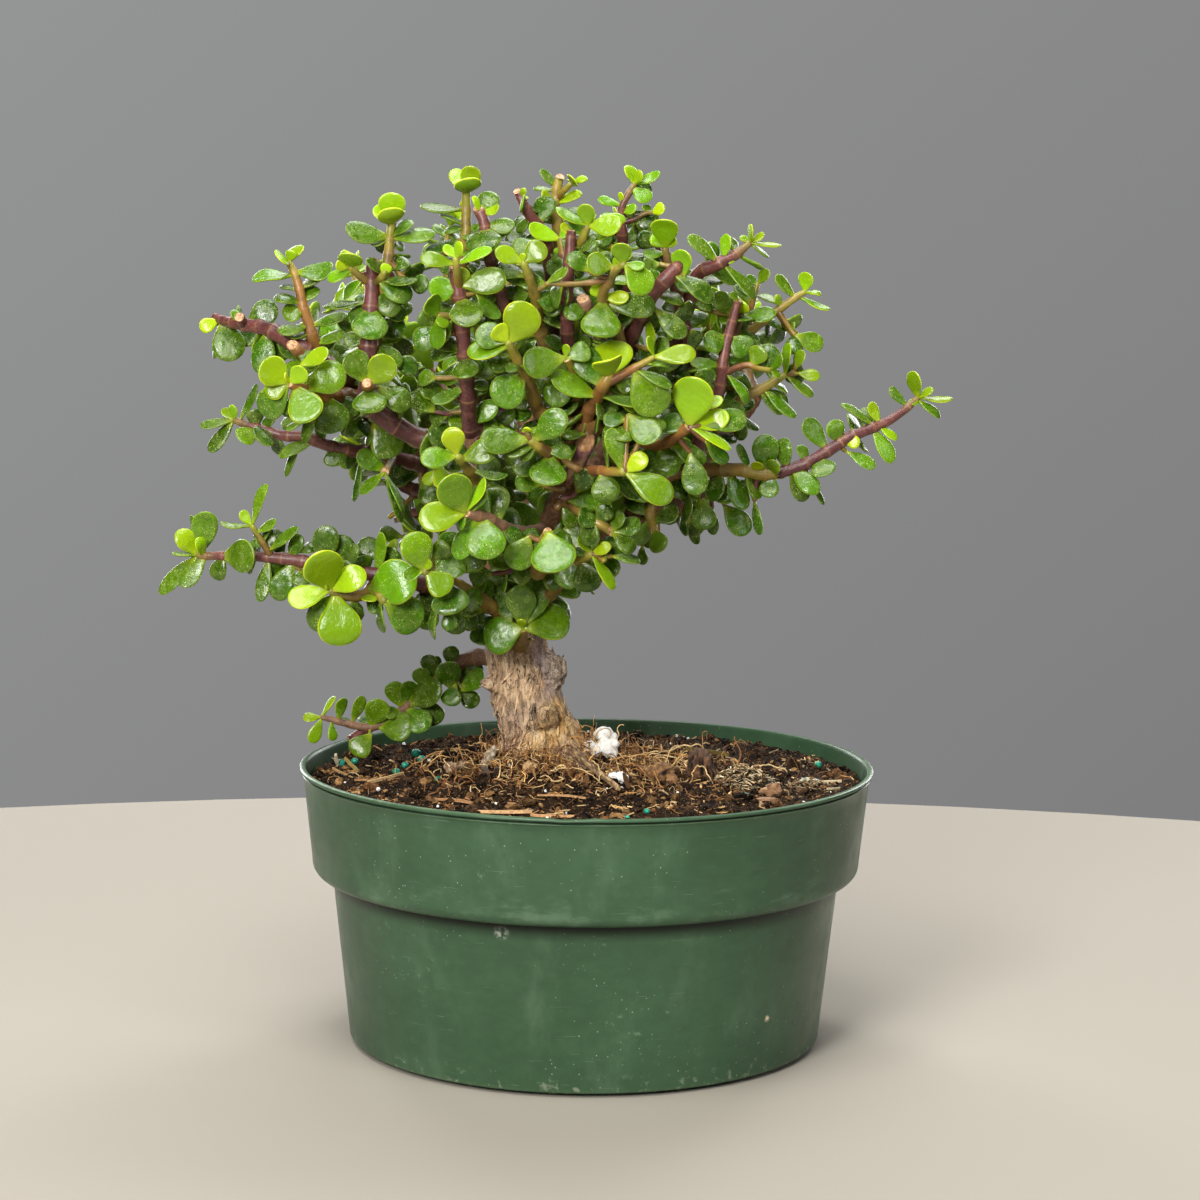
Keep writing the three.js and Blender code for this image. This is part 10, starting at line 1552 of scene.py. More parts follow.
        (-38.5, 60.3, 233.4, -30.9, 61.9, 243, -0.36, 0.92, 0.14, 9.7, 0.58, 0),
        (-39.6, 50.8, 223.2, -42.8, 62.4, 220.5, 0.15, 0.26, 0.95, 10.7, 0.52, 0),
        (-39.6, 50.8, 223.2, -34, 40.5, 228.5, 0.05, 0.48, 0.87, 11.5, 0.58, 0),
        (-47.8, 53, 232.2, -52.3, 49.4, 226.3, -0.78, -0.04, 0.62, 6.9, 0.03, 0),
        (-47.8, 53, 232.2, -45, 57.1, 237.8, -0.74, -0.32, 0.59, 5.9, 0.09, 0),
        (-46.1, 52.6, 230.3, -50, 41.6, 237, -0.56, 0.56, 0.61, 10.6, 0.3, 0),
        (-46.1, 52.6, 230.3, -51.7, 62.2, 226, -0.5, 0.1, 0.86, 10.3, 0.3, 0),
        (-41.1, 52.8, 227.4, -48.3, 55.5, 230.7, -0.14, 0.01, 0.99, 6.8, 0.68, 0),
        (-34.4, 60.2, 244.9, -28.6, 63.3, 244.5, 0.1, 0, 1, 5.9, 0.38, 0),
        (-36.8, 63.8, 254.6, -41.6, 66.4, 257.7, 0.28, 0.02, 0.96, 5.7, 0.35, 0),
        (-33.4, 63.7, 254.2, -23.4, 66.8, 256.8, 0.03, 0.07, 1, 8.5, 0.63, 0),
        (-33.2, 67.2, 263.8, -37.9, 71.8, 271.5, -0.05, -0.2, 0.98, 8.4, 0.69, 0),
        (-43.8, 51.9, 225.8, -50.6, 53.3, 224.2, -0.57, -0.08, 0.81, 6.5, 0.76, 0),
    ]),
    "shoot_back_05": ([
        ("p", 0, [(-7.2, 9.3, 239.1, 2.9), (-2, 27.8, 246.9, 2.4), (2.7, 42.6, 263.4, 1.9), (7.4, 58, 274.1, 1.2)]),
        ("o", 1, [(5.8, 52.6, 270.6, 1.2), (7.4, 51.6, 279, 1.05), (9.1, 50.7, 288.6, 0.85)]),
        ("o", 1, [(3.7, 45.8, 266, 1.2), (8.5, 47.9, 265.9, 1.05), (13.3, 50.1, 266.9, 0.85)]),
        ("o", 1, [(-2.2, 26.9, 246.3, 1.2), (-2.1, 26.4, 251.3, 1.05), (-2.1, 26, 257.6, 0.85)]),
    ], [
        (7.4, 58, 274.1, 12.2, 61.5, 277.3, -0.68, 0.36, 0.63, 5.6, 0.04, 0),
        (7.4, 58, 274.1, 5.3, 63.1, 278.6, 0.92, 0.03, 0.39, 6.1, 0.01, 0),
        (6.6, 55.3, 272.3, 9.4, 66.2, 268.3, 0.11, 0.31, 0.94, 9.6, 0.06, 0),
        (6.6, 55.3, 272.3, 6, 55.2, 282.2, 0.25, 0.97, 0.02, 8.7, 0.06, 0),
        (5.8, 52.6, 270.6, -3.9, 57.6, 279, 0.69, 0.57, 0.45, 11.1, 0.41, 0),
        (9.1, 50.7, 288.6, 7.7, 49.7, 294.3, 0.95, 0.18, 0.26, 5.4, 0.05, 0),
        (9.1, 50.7, 288.6, 13.8, 51.6, 295, -0.73, -0.34, 0.59, 6.8, 0.09, 0),
        (8.6, 50.9, 286.2, 10.9, 38.1, 289.5, 0.08, 0.26, 0.96, 11.1, 0.32, 0),
        (8.6, 50.9, 286.2, 6.5, 60.2, 292, 0.24, -0.47, 0.85, 9.6, 0.36, 0),
        (7.2, 51.7, 278.7, -5.4, 46, 284.4, 0.4, 0.04, 0.92, 12.1, 0.65, 0),
        (7.2, 51.7, 278.7, 19.5, 52.2, 280.4, -0.13, -0.12, 0.98, 11.2, 0.59, 0),
        (3.7, 45.8, 266, 7.9, 37.2, 277.8, 0.12, 0.82, 0.56, 12.4, 0.81, 0),
        (3.7, 45.8, 266, -1.3, 52.7, 251.8, 0.07, 0.91, 0.42, 14.1, 0.8, 0),
        (13.3, 50.1, 266.9, 16.6, 56.3, 263.1, 0.78, -0.04, 0.62, 6.5, 0.01, 0),
        (13.3, 50.1, 266.9, 19.9, 48.8, 269.3, 0.15, 0.98, 0.12, 6.4, 0.1, 0),
        (11, 49.1, 266.7, 10.8, 56, 276, 1, 0.02, 0.01, 10.5, 0.29, 0),
        (11, 49.1, 266.7, 21.9, 46.1, 259.8, 0.56, 0.5, 0.66, 11.2, 0.25, 0),
        (1.8, 39.7, 260.4, 14.4, 38.1, 260.4, 0.06, 0.51, 0.86, 11, 0.7, 0),
        (1.8, 39.7, 260.4, -9.2, 39.8, 264.7, 0.32, 0.51, 0.8, 9.7, 0.69, 0),
        (-0.3, 33.2, 252.2, -0.7, 43.9, 248.2, 0.16, 0.35, 0.92, 9.8, 0.91, 0),
        (-2.2, 26.9, 246.3, -17, 30.3, 247.5, 0.21, 0.66, 0.72, 12.2, 0.75, 0),
        (-2.2, 26.9, 246.3, 13.5, 27.4, 245.3, 0.03, 0.67, 0.74, 13.8, 0.66, 0),
        (-2.1, 26, 257.6, -6.4, 29.3, 263.1, 0.32, -0.68, 0.66, 6.7, 0, 0),
        (-2.1, 26, 257.6, -1, 20.9, 261.8, -0.37, 0.55, 0.75, 5.4, 0.09, 0),
        (-2.1, 26.2, 255.1, -9.5, 18.4, 258.3, 0.24, 0.17, 0.96, 9.9, 0.27, 0),
        (-2.1, 26.2, 255.1, 7.4, 33.2, 258.2, -0.14, -0.24, 0.96, 10.1, 0.25, 0),
        (-6.2, 21.3, 244.5, -11.6, 26, 247.9, 0.47, 0.28, 0.84, 7, 0.52, 0),
        (-2.2, 21.1, 242.4, 4.6, 26, 240.7, -0.34, 0.87, 0.37, 7.2, 0.54, 0),
        (-3.3, 30.6, 249.2, -8.7, 33.7, 251.3, 0.14, 0.23, 0.96, 6.1, 0.4, 0),
        (0.5, 30.4, 248.3, 7.2, 34, 247.3, 0.56, 0.33, 0.76, 6, 0.9, 0),
        (-1.2, 36.7, 256.2, -6.4, 39.6, 257.5, 0.23, 0.31, 0.92, 5.7, 0.38, 0),
        (2.2, 36.7, 255.3, 8.8, 40.7, 254.2, -0.24, 0.36, 0.9, 7, 0.6, 0),
        (1, 42.9, 263.1, -3.9, 46.5, 264, 0.18, 0.58, 0.79, 5.8, 0.57, 0),
        (4, 42.7, 262.2, 11.4, 48.3, 261.7, 0.16, 0.33, 0.93, 7.9, 0.83, 0),
        (3.3, 49.3, 268.1, -3.6, 54.3, 272.8, 0.07, 0.16, 0.98, 7.6, 0.69, 0),
        (5.8, 49.3, 267, 13.5, 53.4, 263.5, 0.45, -0.11, 0.89, 7.9, 0.39, 0),
        (7.2, 51.6, 282.5, 0.5, 53.9, 289.7, 0.2, -0.24, 0.95, 8, 0.9, 0),
        (-3.1, 26.8, 250.8, -8.9, 28.8, 253, -0.05, -0.3, 0.95, 6.1, 0.53, 0),
        (-1.2, 26.7, 250.8, 7.5, 28.3, 253.3, -0.09, -0.47, 0.88, 7.1, 0.66, 0),
    ]),
    "shoot_back_06": ([
        ("o", 0, [(58.6, 10, 227.4, 2.9), (52.6, 21.3, 239.8, 2.4), (44.2, 34.5, 251.1, 1.9), (35.9, 44, 256.4, 1.2)]),
        ("o", 1, [(40.1, 39.4, 254.1, 1.2), (42.1, 44.8, 255.3, 1.05), (44.2, 50.2, 257.6, 0.85)]),
        ("o", 1, [(45.1, 33.3, 250.2, 1.2), (40.2, 37, 247.8, 1.05), (35.4, 40.8, 246.5, 0.85)]),
        ("o", 1, [(48.7, 27.7, 245.7, 1.2), (45.1, 26.4, 248.5, 1.05), (41.5, 25, 252.5, 0.85)]),
        ("o", 1, [(52.8, 21.1, 239.5, 1.2), (54.4, 20.3, 246.5, 1.05), (56, 19.6, 254.7, 0.85)]),
    ], [
        (35.9, 44, 256.4, 34, 49, 261.6, -0.95, -0.29, -0.07, 6.5, 0, 0),
        (38, 41.7, 255.3, 27.5, 40.4, 263.3, 0.05, 0.97, 0.22, 10.6, 0.23, 0),
        (40.1, 39.4, 254.1, 45.4, 44.4, 267.6, -0.86, 0.49, 0.15, 12.2, 0.49, 0),
        (44.2, 50.2, 257.6, 45.7, 56.6, 257.1, 0.17, 0.04, 0.98, 5.5, 0.09, 0),
        (44.2, 50.2, 257.6, 46.5, 52.9, 264.6, 0.08, 0.92, -0.38, 7, 0.07, 0),
        (43.3, 48, 256.9, 36.6, 52.5, 266.2, 0.74, 0.63, 0.23, 10.8, 0.39, 0),
        (43.3, 48, 256.9, 54.8, 49.6, 254.2, 0.05, 0.76, 0.65, 9.9, 0.26, 0),
        (45.1, 33.3, 250.2, 49.2, 46.7, 246.4, -0.47, 0.38, 0.8, 11.6, 0.92, 0),
        (35.4, 40.8, 246.5, 30.3, 42.3, 249.8, -0.03, 0.89, -0.46, 5.4, 0.05, 0),
        (37.3, 39.3, 247.2, 29.4, 31.3, 239.4, -0.76, 0.65, 0.11, 11, 0.31, 0),
        (48.7, 27.7, 245.7, 40.3, 30.6, 235.6, -0.51, 0.62, 0.6, 11.1, 0.71, 0),
        (41.5, 25, 252.5, 34.7, 22.1, 255.9, 0.49, -0.82, 0.29, 7, 0.06, 0),
        (41.5, 25, 252.5, 41, 18.9, 256.5, -0.78, 0.39, 0.49, 6.6, 0.03, 0),
        (43.2, 25.7, 250.8, 43.2, 26.6, 266, -0.82, -0.58, 0.03, 11.9, 0.23, 0),
        (52.8, 21.1, 239.5, 44.6, 9.3, 243.3, -0.34, 0.49, 0.81, 12, 0.68, 0),
        (52.8, 21.1, 239.5, 61.8, 27.8, 235, -0.14, 0.68, 0.72, 10.4, 0.59, 0),
        (56, 19.6, 254.7, 54, 17.6, 261.1, 0.88, 0.31, 0.37, 6.1, 0.18, 0),
        (56, 19.6, 254.7, 59.9, 20, 261.1, -0.72, -0.52, 0.46, 6.3, 0.09, 0),
        (55.5, 19.9, 252.2, 62.5, 9.9, 255.7, -0.08, 0.28, 0.96, 10.6, 0.35, 0),
        (55.5, 19.9, 252.2, 54.3, 26.8, 263.6, 0.3, -0.8, 0.52, 10.9, 0.28, 0),
        (54.2, 20.4, 246.3, 43.2, 15.8, 251.5, 0.41, 0.03, 0.91, 11.6, 0.51, 0),
        (53, 17.9, 234, 45.9, 22.8, 233.3, 0.09, 0.12, 0.99, 6.9, 0.67, 0),
        (56.9, 18.2, 235.6, 63.4, 24, 240.4, 0.24, 0.42, 0.88, 8.6, 0.4, 0),
        (52.4, 24.9, 243.4, 58.8, 28.3, 248.1, -0.02, 0.04, 1, 7.2, 0.62, 0),
        (45.5, 31, 246.5, 38.5, 35.8, 244.7, -0.54, 0.31, 0.79, 8, 0.72, 0),
        (48.3, 31.2, 248.3, 54.9, 36, 252.4, -0.38, 0.55, 0.74, 7.5, 0.37, 0),
        (41.9, 36.1, 250.7, 35.2, 38.2, 243.7, -0.16, 0.36, 0.92, 8, 0.8, 0),
        (44, 36.7, 252.9, 48.7, 41.9, 260.1, -0.36, 0.13, 0.93, 8, 0.89, 0),
        (41.1, 44.6, 255.6, 36.9, 49.9, 260.5, 0.34, 0.35, 0.87, 7.6, 0.5, 0),
        (42.5, 44.5, 254.4, 49.4, 48, 247.3, 0.04, 0.11, 0.99, 8.1, 0.49, 0),
        (41.9, 36.2, 247.5, 42.2, 38.7, 241.3, -0.86, -0.49, 0.14, 5.7, 0.56, 0),
        (41.2, 36.5, 249.3, 38.4, 40.5, 255.1, -0.6, 0.41, 0.68, 7, 0.85, 0),
        (45, 26.8, 247.3, 37.7, 27.2, 244.8, -0.7, -0.1, 0.71, 6.6, 0.56, 0),
        (46.2, 27, 248.8, 47.5, 28.5, 255.4, -0.57, -0.45, 0.69, 5.8, 0.37, 0),
        (52.6, 21, 243.2, 47.5, 22.8, 249.3, -0.02, -0.12, 0.99, 7.3, 0.77, 0),
        (54.5, 21, 242.7, 64, 23.1, 246.1, 0.26, -0.28, 0.92, 8, 0.74, 0),
    ]),
    "shoot_back_07": ([
        ("p", 0, [(-48.1, 12.6, 191.3, 2.9), (-66.9, 32.6, 193.4, 2.4), (-75.9, 50, 209.8, 1.9), (-91, 62, 213, 1.2)]),
        ("o", 1, [(-85.6, 58.1, 212.4, 1.2), (-84.5, 65.8, 213.7, 1.05), (-83.4, 73.5, 216.1, 0.85)]),
        ("o", 1, [(-77.4, 51.7, 210.8, 1.2), (-82.2, 57, 205.7, 1.05), (-86.9, 62.4, 201.9, 0.85)]),
        ("o", 1, [(-73.2, 45.4, 205.6, 1.2), (-78.8, 43.3, 210.9, 1.05), (-84.5, 41.2, 217.4, 0.85)]),
        ("o", 1, [(-70.6, 39.3, 198.8, 1.2), (-68.5, 38.6, 205, 1.05), (-66.3, 37.9, 212.4, 0.85)]),
        ("o", 1, [(-61.7, 26.5, 191.7, 1.2), (-67, 27.9, 186.2, 1.05), (-72.3, 29.2, 181.8, 0.85)]),
    ], [
        (-91, 62, 213, -96.8, 64.7, 210.6, -0.2, 0.36, 0.91, 5.5, 0.04, 0),
        (-91, 62, 213, -93.5, 66.1, 217.3, -0.92, -0.2, -0.35, 5.6, 0, 0),
        (-88.3, 60, 212.6, -97.4, 55.3, 218.6, -0.39, 0.91, 0.13, 9.5, 0.14, 0),
        (-88.3, 60, 212.6, -88.6, 73.1, 212.5, -0.89, -0.01, 0.46, 10.6, 0.25, 0),
        (-85.6, 58.1, 212.4, -83, 61, 227.6, -0.85, 0.52, 0.05, 13.2, 0.4, 0),
        (-83.4, 73.5, 216.1, -78.6, 79.8, 213.5, -0.23, 0.52, 0.82, 6.6, 0.01, 0),
        (-83.4, 73.5, 216.1, -84.3, 79.4, 220.6, 0.92, 0.32, -0.25, 6.6, 0.17, 0),
        (-83.8, 71.1, 215.5, -91.2, 80.5, 212.2, 0.46, 0.6, 0.66, 10.7, 0.33, 0),
        (-83.8, 71.1, 215.5, -74.5, 72.3, 221.9, -0.31, 0.91, 0.28, 9.4, 0.23, 0),
        (-84.6, 65, 214.1, -88.8, 66.8, 224.8, 0.44, 0.9, 0.03, 10.3, 0.67, 0),
        (-77.4, 51.7, 210.8, -65.9, 61.7, 205.7, -0.41, 0.74, 0.54, 14.1, 0.54, 0),
        (-86.9, 62.4, 201.9, -93.2, 61, 198.3, -0.13, 0.98, -0.14, 6.7, 0.16, 0),
        (-86.9, 62.4, 201.9, -88, 68.6, 199.2, -0.98, -0.12, 0.15, 5.6, 0.18, 0),
        (-85.5, 60.8, 203.2, -93.6, 70.9, 207.8, -0.31, 0.18, -0.94, 11.4, 0.3, 0),
        (-85.5, 60.8, 203.2, -85.1, 62.3, 191.6, -0.68, 0.73, 0.08, 10.2, 0.36, 0),
        (-81.7, 56.5, 206.8, -92.4, 50.1, 203.3, -0.47, 0.87, -0.15, 11, 0.51, 0),
        (-81.7, 56.5, 206.8, -71.5, 66.1, 206.2, -0.68, 0.7, -0.2, 12, 0.63, 0),
        (-73.2, 45.4, 205.6, -80.6, 50, 196.2, -0.42, 0.64, 0.65, 11.6, 0.68, 0),
        (-84.5, 41.2, 217.4, -91.9, 42.6, 218.6, 0.09, -0.29, 0.95, 6.7, 0.15, 0),
        (-84.5, 41.2, 217.4, -88.2, 40.2, 224, -0.85, 0.27, -0.45, 6.7, 0.01, 0),
        (-82.8, 41.8, 215.7, -85.6, 51.7, 222.2, -0.66, -0.54, 0.53, 9.8, 0.39, 0),
        (-70.6, 39.3, 198.8, -81.2, 31.2, 199.4, -0.31, 0.47, 0.82, 12, 0.64, 0),
        (-70.6, 39.3, 198.8, -60.6, 49.9, 201.4, -0.51, 0.29, 0.81, 12.7, 0.58, 0),
        (-66.3, 37.9, 212.4, -65.9, 34, 219.1, 0.28, 0.84, 0.47, 6.7, 0.12, 0),
        (-66.3, 37.9, 212.4, -64.2, 42, 217.6, 0, -0.79, 0.61, 5.5, 0.08, 0),
        (-67.1, 38.1, 210, -54.5, 37.1, 213.8, -0.29, -0.04, 0.95, 11.3, 0.3, 0),
        (-67.1, 38.1, 210, -75.9, 40, 218.4, 0.67, -0.12, 0.73, 10.8, 0.35, 0),
        (-68.7, 38.7, 204.9, -74, 25.6, 202.7, 0.17, -0.23, 0.96, 12.1, 0.58, 0),
        (-68.7, 38.7, 204.9, -65.5, 50.1, 207.9, 0.23, -0.31, 0.92, 10.5, 0.56, 0),
        (-66.9, 32.7, 193.5, -59.9, 27.9, 206.7, -0.53, 0.67, 0.52, 12.8, 0.71, 0),
        (-61.7, 26.5, 191.7, -52.8, 39.4, 191, -0.74, 0.53, 0.42, 13.2, 0.71, 0),
        (-70.5, 28.7, 183.5, -60.2, 31, 177.8, -0.51, 0.36, -0.78, 9.5, 0.29, 0),
        (-66.5, 27.7, 187.3, -62.6, 22.4, 178.6, -0.86, 0.17, -0.48, 9.7, 0.66, 0),
        (-66.5, 27.7, 187.3, -73.6, 37.9, 192.9, -0.7, -0.1, -0.7, 10.7, 0.62, 0),
        (-57.2, 22.2, 189.9, -60.3, 25, 183.2, -0.44, 0.73, 0.52, 6.3, 0.9, 0),
        (-56, 22.8, 194.3, -55.1, 28.3, 201.7, -0.86, 0.12, 0.49, 7.3, 0.74, 0),
        (-63.9, 30.2, 191, -65.3, 34, 183.6, -0.86, 0.06, 0.51, 6.8, 0.37, 0),
        (-69.9, 36.3, 194.9, -77.6, 42.1, 192.4, -0.14, 0.23, 0.96, 8.2, 0.62, 0),
        (-66.5, 36.4, 196.7, -59.5, 40.6, 200, -0.38, -0.01, 0.93, 7.2, 0.51, 0),
        (-76.2, 48.8, 207, -81.4, 52.8, 205.2, -0.66, 0.23, 0.71, 6.4, 0.49, 0),
        (-73.4, 48.8, 208.5, -69.1, 53.4, 212.7, -0.22, 0.41, 0.89, 6.3, 0.67, 0),
        (-81.7, 55, 209.6, -84.8, 59.1, 204.2, -0.59, 0.17, 0.79, 6.7, 0.75, 0),
        (-77, 44.4, 207.8, -84.7, 44.3, 206.7, -0.46, -0.52, 0.72, 7.3, 0.83, 0),
        (-75.8, 44.8, 209.2, -73.3, 49.3, 218.2, -0.64, -0.56, 0.54, 8.2, 0.86, 0),
        (-80.4, 43.2, 211.4, -91, 44.2, 210.6, -0.68, -0.29, 0.68, 8.5, 0.52, 0),
        (-79.2, 43.4, 212.6, -76.4, 46.5, 221.8, -0.26, -0.25, 0.93, 8.8, 0.41, 0),
    ]),
    "shoot_back_08": ([
        ("p", 0, [(-40.7, 42.9, 203.2, 2.9), (-44.2, 58.7, 211.9, 2.4), (-54.3, 71.3, 225.2, 1.9), (-60.8, 84, 234.5, 1.2)]),
        ("o", 1, [(-54.1, 71, 224.9, 1.2), (-59, 70.8, 225.5, 1.05), (-63.8, 70.6, 227.3, 0.85)]),
        ("o", 1, [(-48.7, 64.8, 218, 1.2), (-49.5, 62.7, 223.5, 1.05), (-50.3, 60.6, 230.1, 0.85)]),
    ], [
        (-60.8, 84, 234.5, -66, 87.8, 235.4, 0.33, 0.25, 0.91, 5.6, 0.04, 0),
        (-60.8, 84, 234.5, -59.3, 88.1, 239.3, -0.96, 0.03, 0.26, 5.4, 0.11, 0),
        (-59.5, 81.5, 232.7, -66.7, 81.8, 242.3, 0.26, 0.95, 0.16, 9.9, 0.24, 0),
        (-59.5, 81.5, 232.7, -56.6, 91.9, 231.7, -0.47, 0.22, 0.85, 9.6, 0.2, 0),
        (-58.4, 78.9, 231, -49, 81, 242.3, -0.65, 0.64, 0.42, 12.1, 0.34, 0),
        (-58.4, 78.9, 231, -73.2, 81, 227, -0.12, 0.62, 0.78, 12.5, 0.46, 0),
        (-54.1, 71, 224.9, -53.8, 82.2, 218, -0.37, 0.49, 0.79, 11.9, 0.57, 0),
        (-63.8, 70.6, 227.3, -71.6, 67.3, 225.1, -0.37, 0.26, 0.89, 7, 0.06, 0),
        (-63.8, 70.6, 227.3, -69.2, 71.8, 232.4, -0.58, -0.68, -0.45, 5.8, 0, 0),
        (-61.4, 70.7, 226.7, -65.3, 63.7, 235.1, -0.85, 0.53, 0.04, 9.3, 0.29, 0),
        (-61.4, 70.7, 226.7, -70, 80.4, 222.6, -0.68, -0.31, 0.67, 10.9, 0.27, 0),
        (-48.7, 64.8, 218, -58.7, 65, 212.5, -0.43, 0.43, 0.8, 10.3, 0.54, 0),
        (-48.7, 64.8, 218, -37.7, 64.6, 224.3, -0.44, 0.45, 0.78, 10.4, 0.56, 0),
        (-50.3, 60.6, 230.1, -56.5, 57.8, 235, 0.66, -0.21, 0.72, 6.8, 0.04, 0),
        (-50.3, 60.6, 230.1, -49.8, 59.3, 237.2, -0.97, 0.21, 0.11, 6.1, 0.16, 0),
        (-50, 61.4, 227.8, -50.1, 59.2, 213.3, -0.28, -0.95, 0.14, 12, 0.29, 0),
        (-50, 61.4, 227.8, -49.6, 66.6, 239, -0.15, -0.9, 0.42, 10.9, 0.26, 0),
        (-44.5, 59.1, 212.2, -49.5, 48.3, 220.9, -0.27, 0.68, 0.69, 11.8, 0.56, 0),
        (-44.5, 59.1, 212.2, -35, 67.7, 204.1, -0.14, 0.76, 0.64, 13.4, 0.47, 0),
        (-52.8, 68.2, 220.2, -61, 72.7, 216.8, 0, 0.62, 0.79, 8.5, 0.44, 0),
        (-50, 68.3, 222.3, -44.3, 72.9, 229, 0.01, -0.08, 1, 7.9, 0.37, 0),
        (-57.7, 71, 224.4, -63.3, 72.3, 218.5, -0.81, -0.59, 0.02, 6.8, 0.61, 0),
        (-57.5, 71.4, 226.1, -59.4, 75.1, 231.8, -0.51, -0.41, 0.76, 6.3, 0.88, 0),
        (-50.3, 63.2, 222.6, -59.5, 64.2, 225.7, -0.2, -0.48, 0.85, 8.5, 0.38, 0),
        (-48.5, 63.3, 222.9, -40.6, 64.8, 228.7, 0.19, -0.1, 0.98, 8.1, 0.61, 0),
    ]),
    "shoot_back_09": ([
        ("p", 0, [(-26.6, 56.8, 242.5, 2.9), (-23.9, 67.2, 235.3, 2.4), (-22.5, 77.8, 236.3, 1.9), (-17.5, 90, 232, 1.2)]),
        ("o", 1, [(-20, 84.3, 234.3, 1.2), (-14.5, 84.1, 233, 1.05), (-8.9, 83.9, 233, 0.85)]),
        ("o", 1, [(-22.9, 75.8, 236.3, 1.2), (-25.9, 82.2, 229.9, 1.05), (-28.9, 88.5, 224.6, 0.85)]),
        ("o", 1, [(-24.3, 65.2, 236.2, 1.2), (-31.2, 70.5, 235.8, 1.05), (-38.1, 75.8, 236.6, 0.85)]),
    ], [
        (-17.5, 90, 232, -17.4, 94.7, 226.6, 0.46, 0.67, 0.59, 5.8, 0.13, 0),
        (-17.5, 90, 232, -14, 96.6, 234.6, -0.11, 0.42, -0.9, 6.9, 0.04, 0),
        (-18.7, 87.1, 233.1, -26.4, 98.3, 235.1, 0.82, 0.57, -0.06, 11, 0.08, 0),
        (-18.7, 87.1, 233.1, -6.9, 86, 233.7, 0.09, 0.99, 0.05, 9.3, 0.16, 0),
        (-20, 84.3, 234.3, -14.7, 93.5, 244.3, 0.2, 0.66, -0.72, 12.3, 0.47, 0),
        (-20, 84.3, 234.3, -14.2, 85.7, 219.2, 0.34, 0.92, 0.21, 13.6, 0.46, 0),
        (-8.9, 83.9, 233, -3.3, 79.2, 232.6, 0.55, 0.6, 0.58, 6, 0, 0),
        (-8.9, 83.9, 233, -2.1, 85, 236.1, 0.34, -0.82, -0.46, 6.7, 0.1, 0),
        (-11.4, 84, 233.3, -5.7, 84.8, 222, 0.89, -0.07, 0.45, 10.8, 0.22, 0),
        (-11.4, 84, 233.3, -6.1, 79.6, 245.3, 0.92, 0.19, -0.34, 10.9, 0.21, 0),
        (-22.9, 75.8, 236.3, -8.4, 74.7, 231.9, 0.19, 0.89, 0.41, 12.7, 0.88, 0),
        (-22.9, 75.8, 236.3, -33.6, 81, 239.6, 0.49, 0.79, 0.37, 10, 0.84, 0),
        (-28.9, 88.5, 224.6, -27.1, 92.8, 220, -0.8, 0.57, 0.21, 5.4, 0.14, 0),
        (-28.9, 88.5, 224.6, -34.1, 92.5, 223.1, 0.64, 0.73, -0.25, 5.5, 0.12, 0),
        (-28.1, 86.8, 226.2, -33, 81.4, 216.6, -0.37, 0.88, -0.3, 10.9, 0.24, 0),
        (-28.1, 86.8, 226.2, -31, 96.5, 232.9, -0.37, 0.45, -0.81, 10.1, 0.28, 0),
        (-25.6, 81.5, 231.1, -17.4, 80.3, 221, -0.35, 0.85, -0.4, 11.4, 0.53, 0),
        (-24.3, 65.2, 236.2, -25.8, 60.8, 221.4, 0.18, 0.94, -0.3, 12.2, 0.85, 0),
        (-24.3, 65.2, 236.2, -17.5, 69.2, 246.8, 0.11, 0.9, -0.42, 11.1, 0.74, 0),
        (-38.1, 75.8, 236.6, -41.6, 80.1, 231.4, 0.18, 0.81, 0.56, 6.3, 0.03, 0),
        (-38.1, 75.8, 236.6, -37.4, 83.3, 238, -0.94, 0.03, 0.34, 6.1, 0.09, 0),
        (-36.1, 74.3, 236.5, -47.7, 80, 237.2, 0.21, 0.52, -0.83, 11.2, 0.35, 0),
        (-36.1, 74.3, 236.5, -38.5, 81.9, 225.5, -0.72, 0.49, 0.49, 11.1, 0.2, 0),
        (-30.5, 69.9, 236.4, -32.5, 62.2, 228.1, -0.98, 0.16, 0.08, 9.8, 0.59, 0),
        (-30.5, 69.9, 236.4, -26.9, 78.3, 243.5, -0.95, 0.26, 0.18, 10.3, 0.68, 0),
        (-25.9, 84.1, 228.1, -21.3, 88.1, 222.9, -0.37, 0.92, 0.14, 7.6, 0.84, 0),
        (-27.2, 84.3, 229.1, -32.4, 90.3, 235.4, -0.65, 0.62, 0.45, 8.8, 0.5, 0),
    ]),
    "shoot_back_10": ([
        ("o", 0, [(-42, 45.6, 208, 2.9), (-21.9, 58.1, 209.9, 2.4), (0.3, 67.5, 215.4, 1.9), (22.2, 76, 222.6, 1.2)]),
        ("o", 1, [(16.3, 73.7, 220.6, 1.2), (21, 69.9, 220.9, 1.05), (25.7, 66, 222.3, 0.85)]),
        ("o", 1, [(8.4, 70.7, 217.9, 1.2), (12.4, 71.4, 214.5, 1.05), (16.4, 72.1, 212.3, 0.85)]),
        ("o", 1, [(-0.5, 67.2, 215.2, 1.2), (-0.1, 74, 217.1, 1.05), (0.3, 80.7, 220.2, 0.85)]),
        ("o", 1, [(-9.5, 63.6, 212.7, 1.2), (-8.9, 64.5, 216.7, 1.05), (-8.2, 65.3, 222, 0.85)]),
        ("o", 1, [(-17.5, 60.3, 210.8, 1.2), (-11.4, 56.7, 208.8, 1.05), (-5.3, 53.2, 208.1, 0.85)]),
    ], [
        (22.2, 76, 222.6, 27.9, 78.7, 220.9, 0.27, 0.05, 0.96, 5.5, 0.01, 0),
        (22.2, 76, 222.6, 26.9, 76.8, 227.9, 0.45, 0.73, -0.51, 6.3, 0, 0),
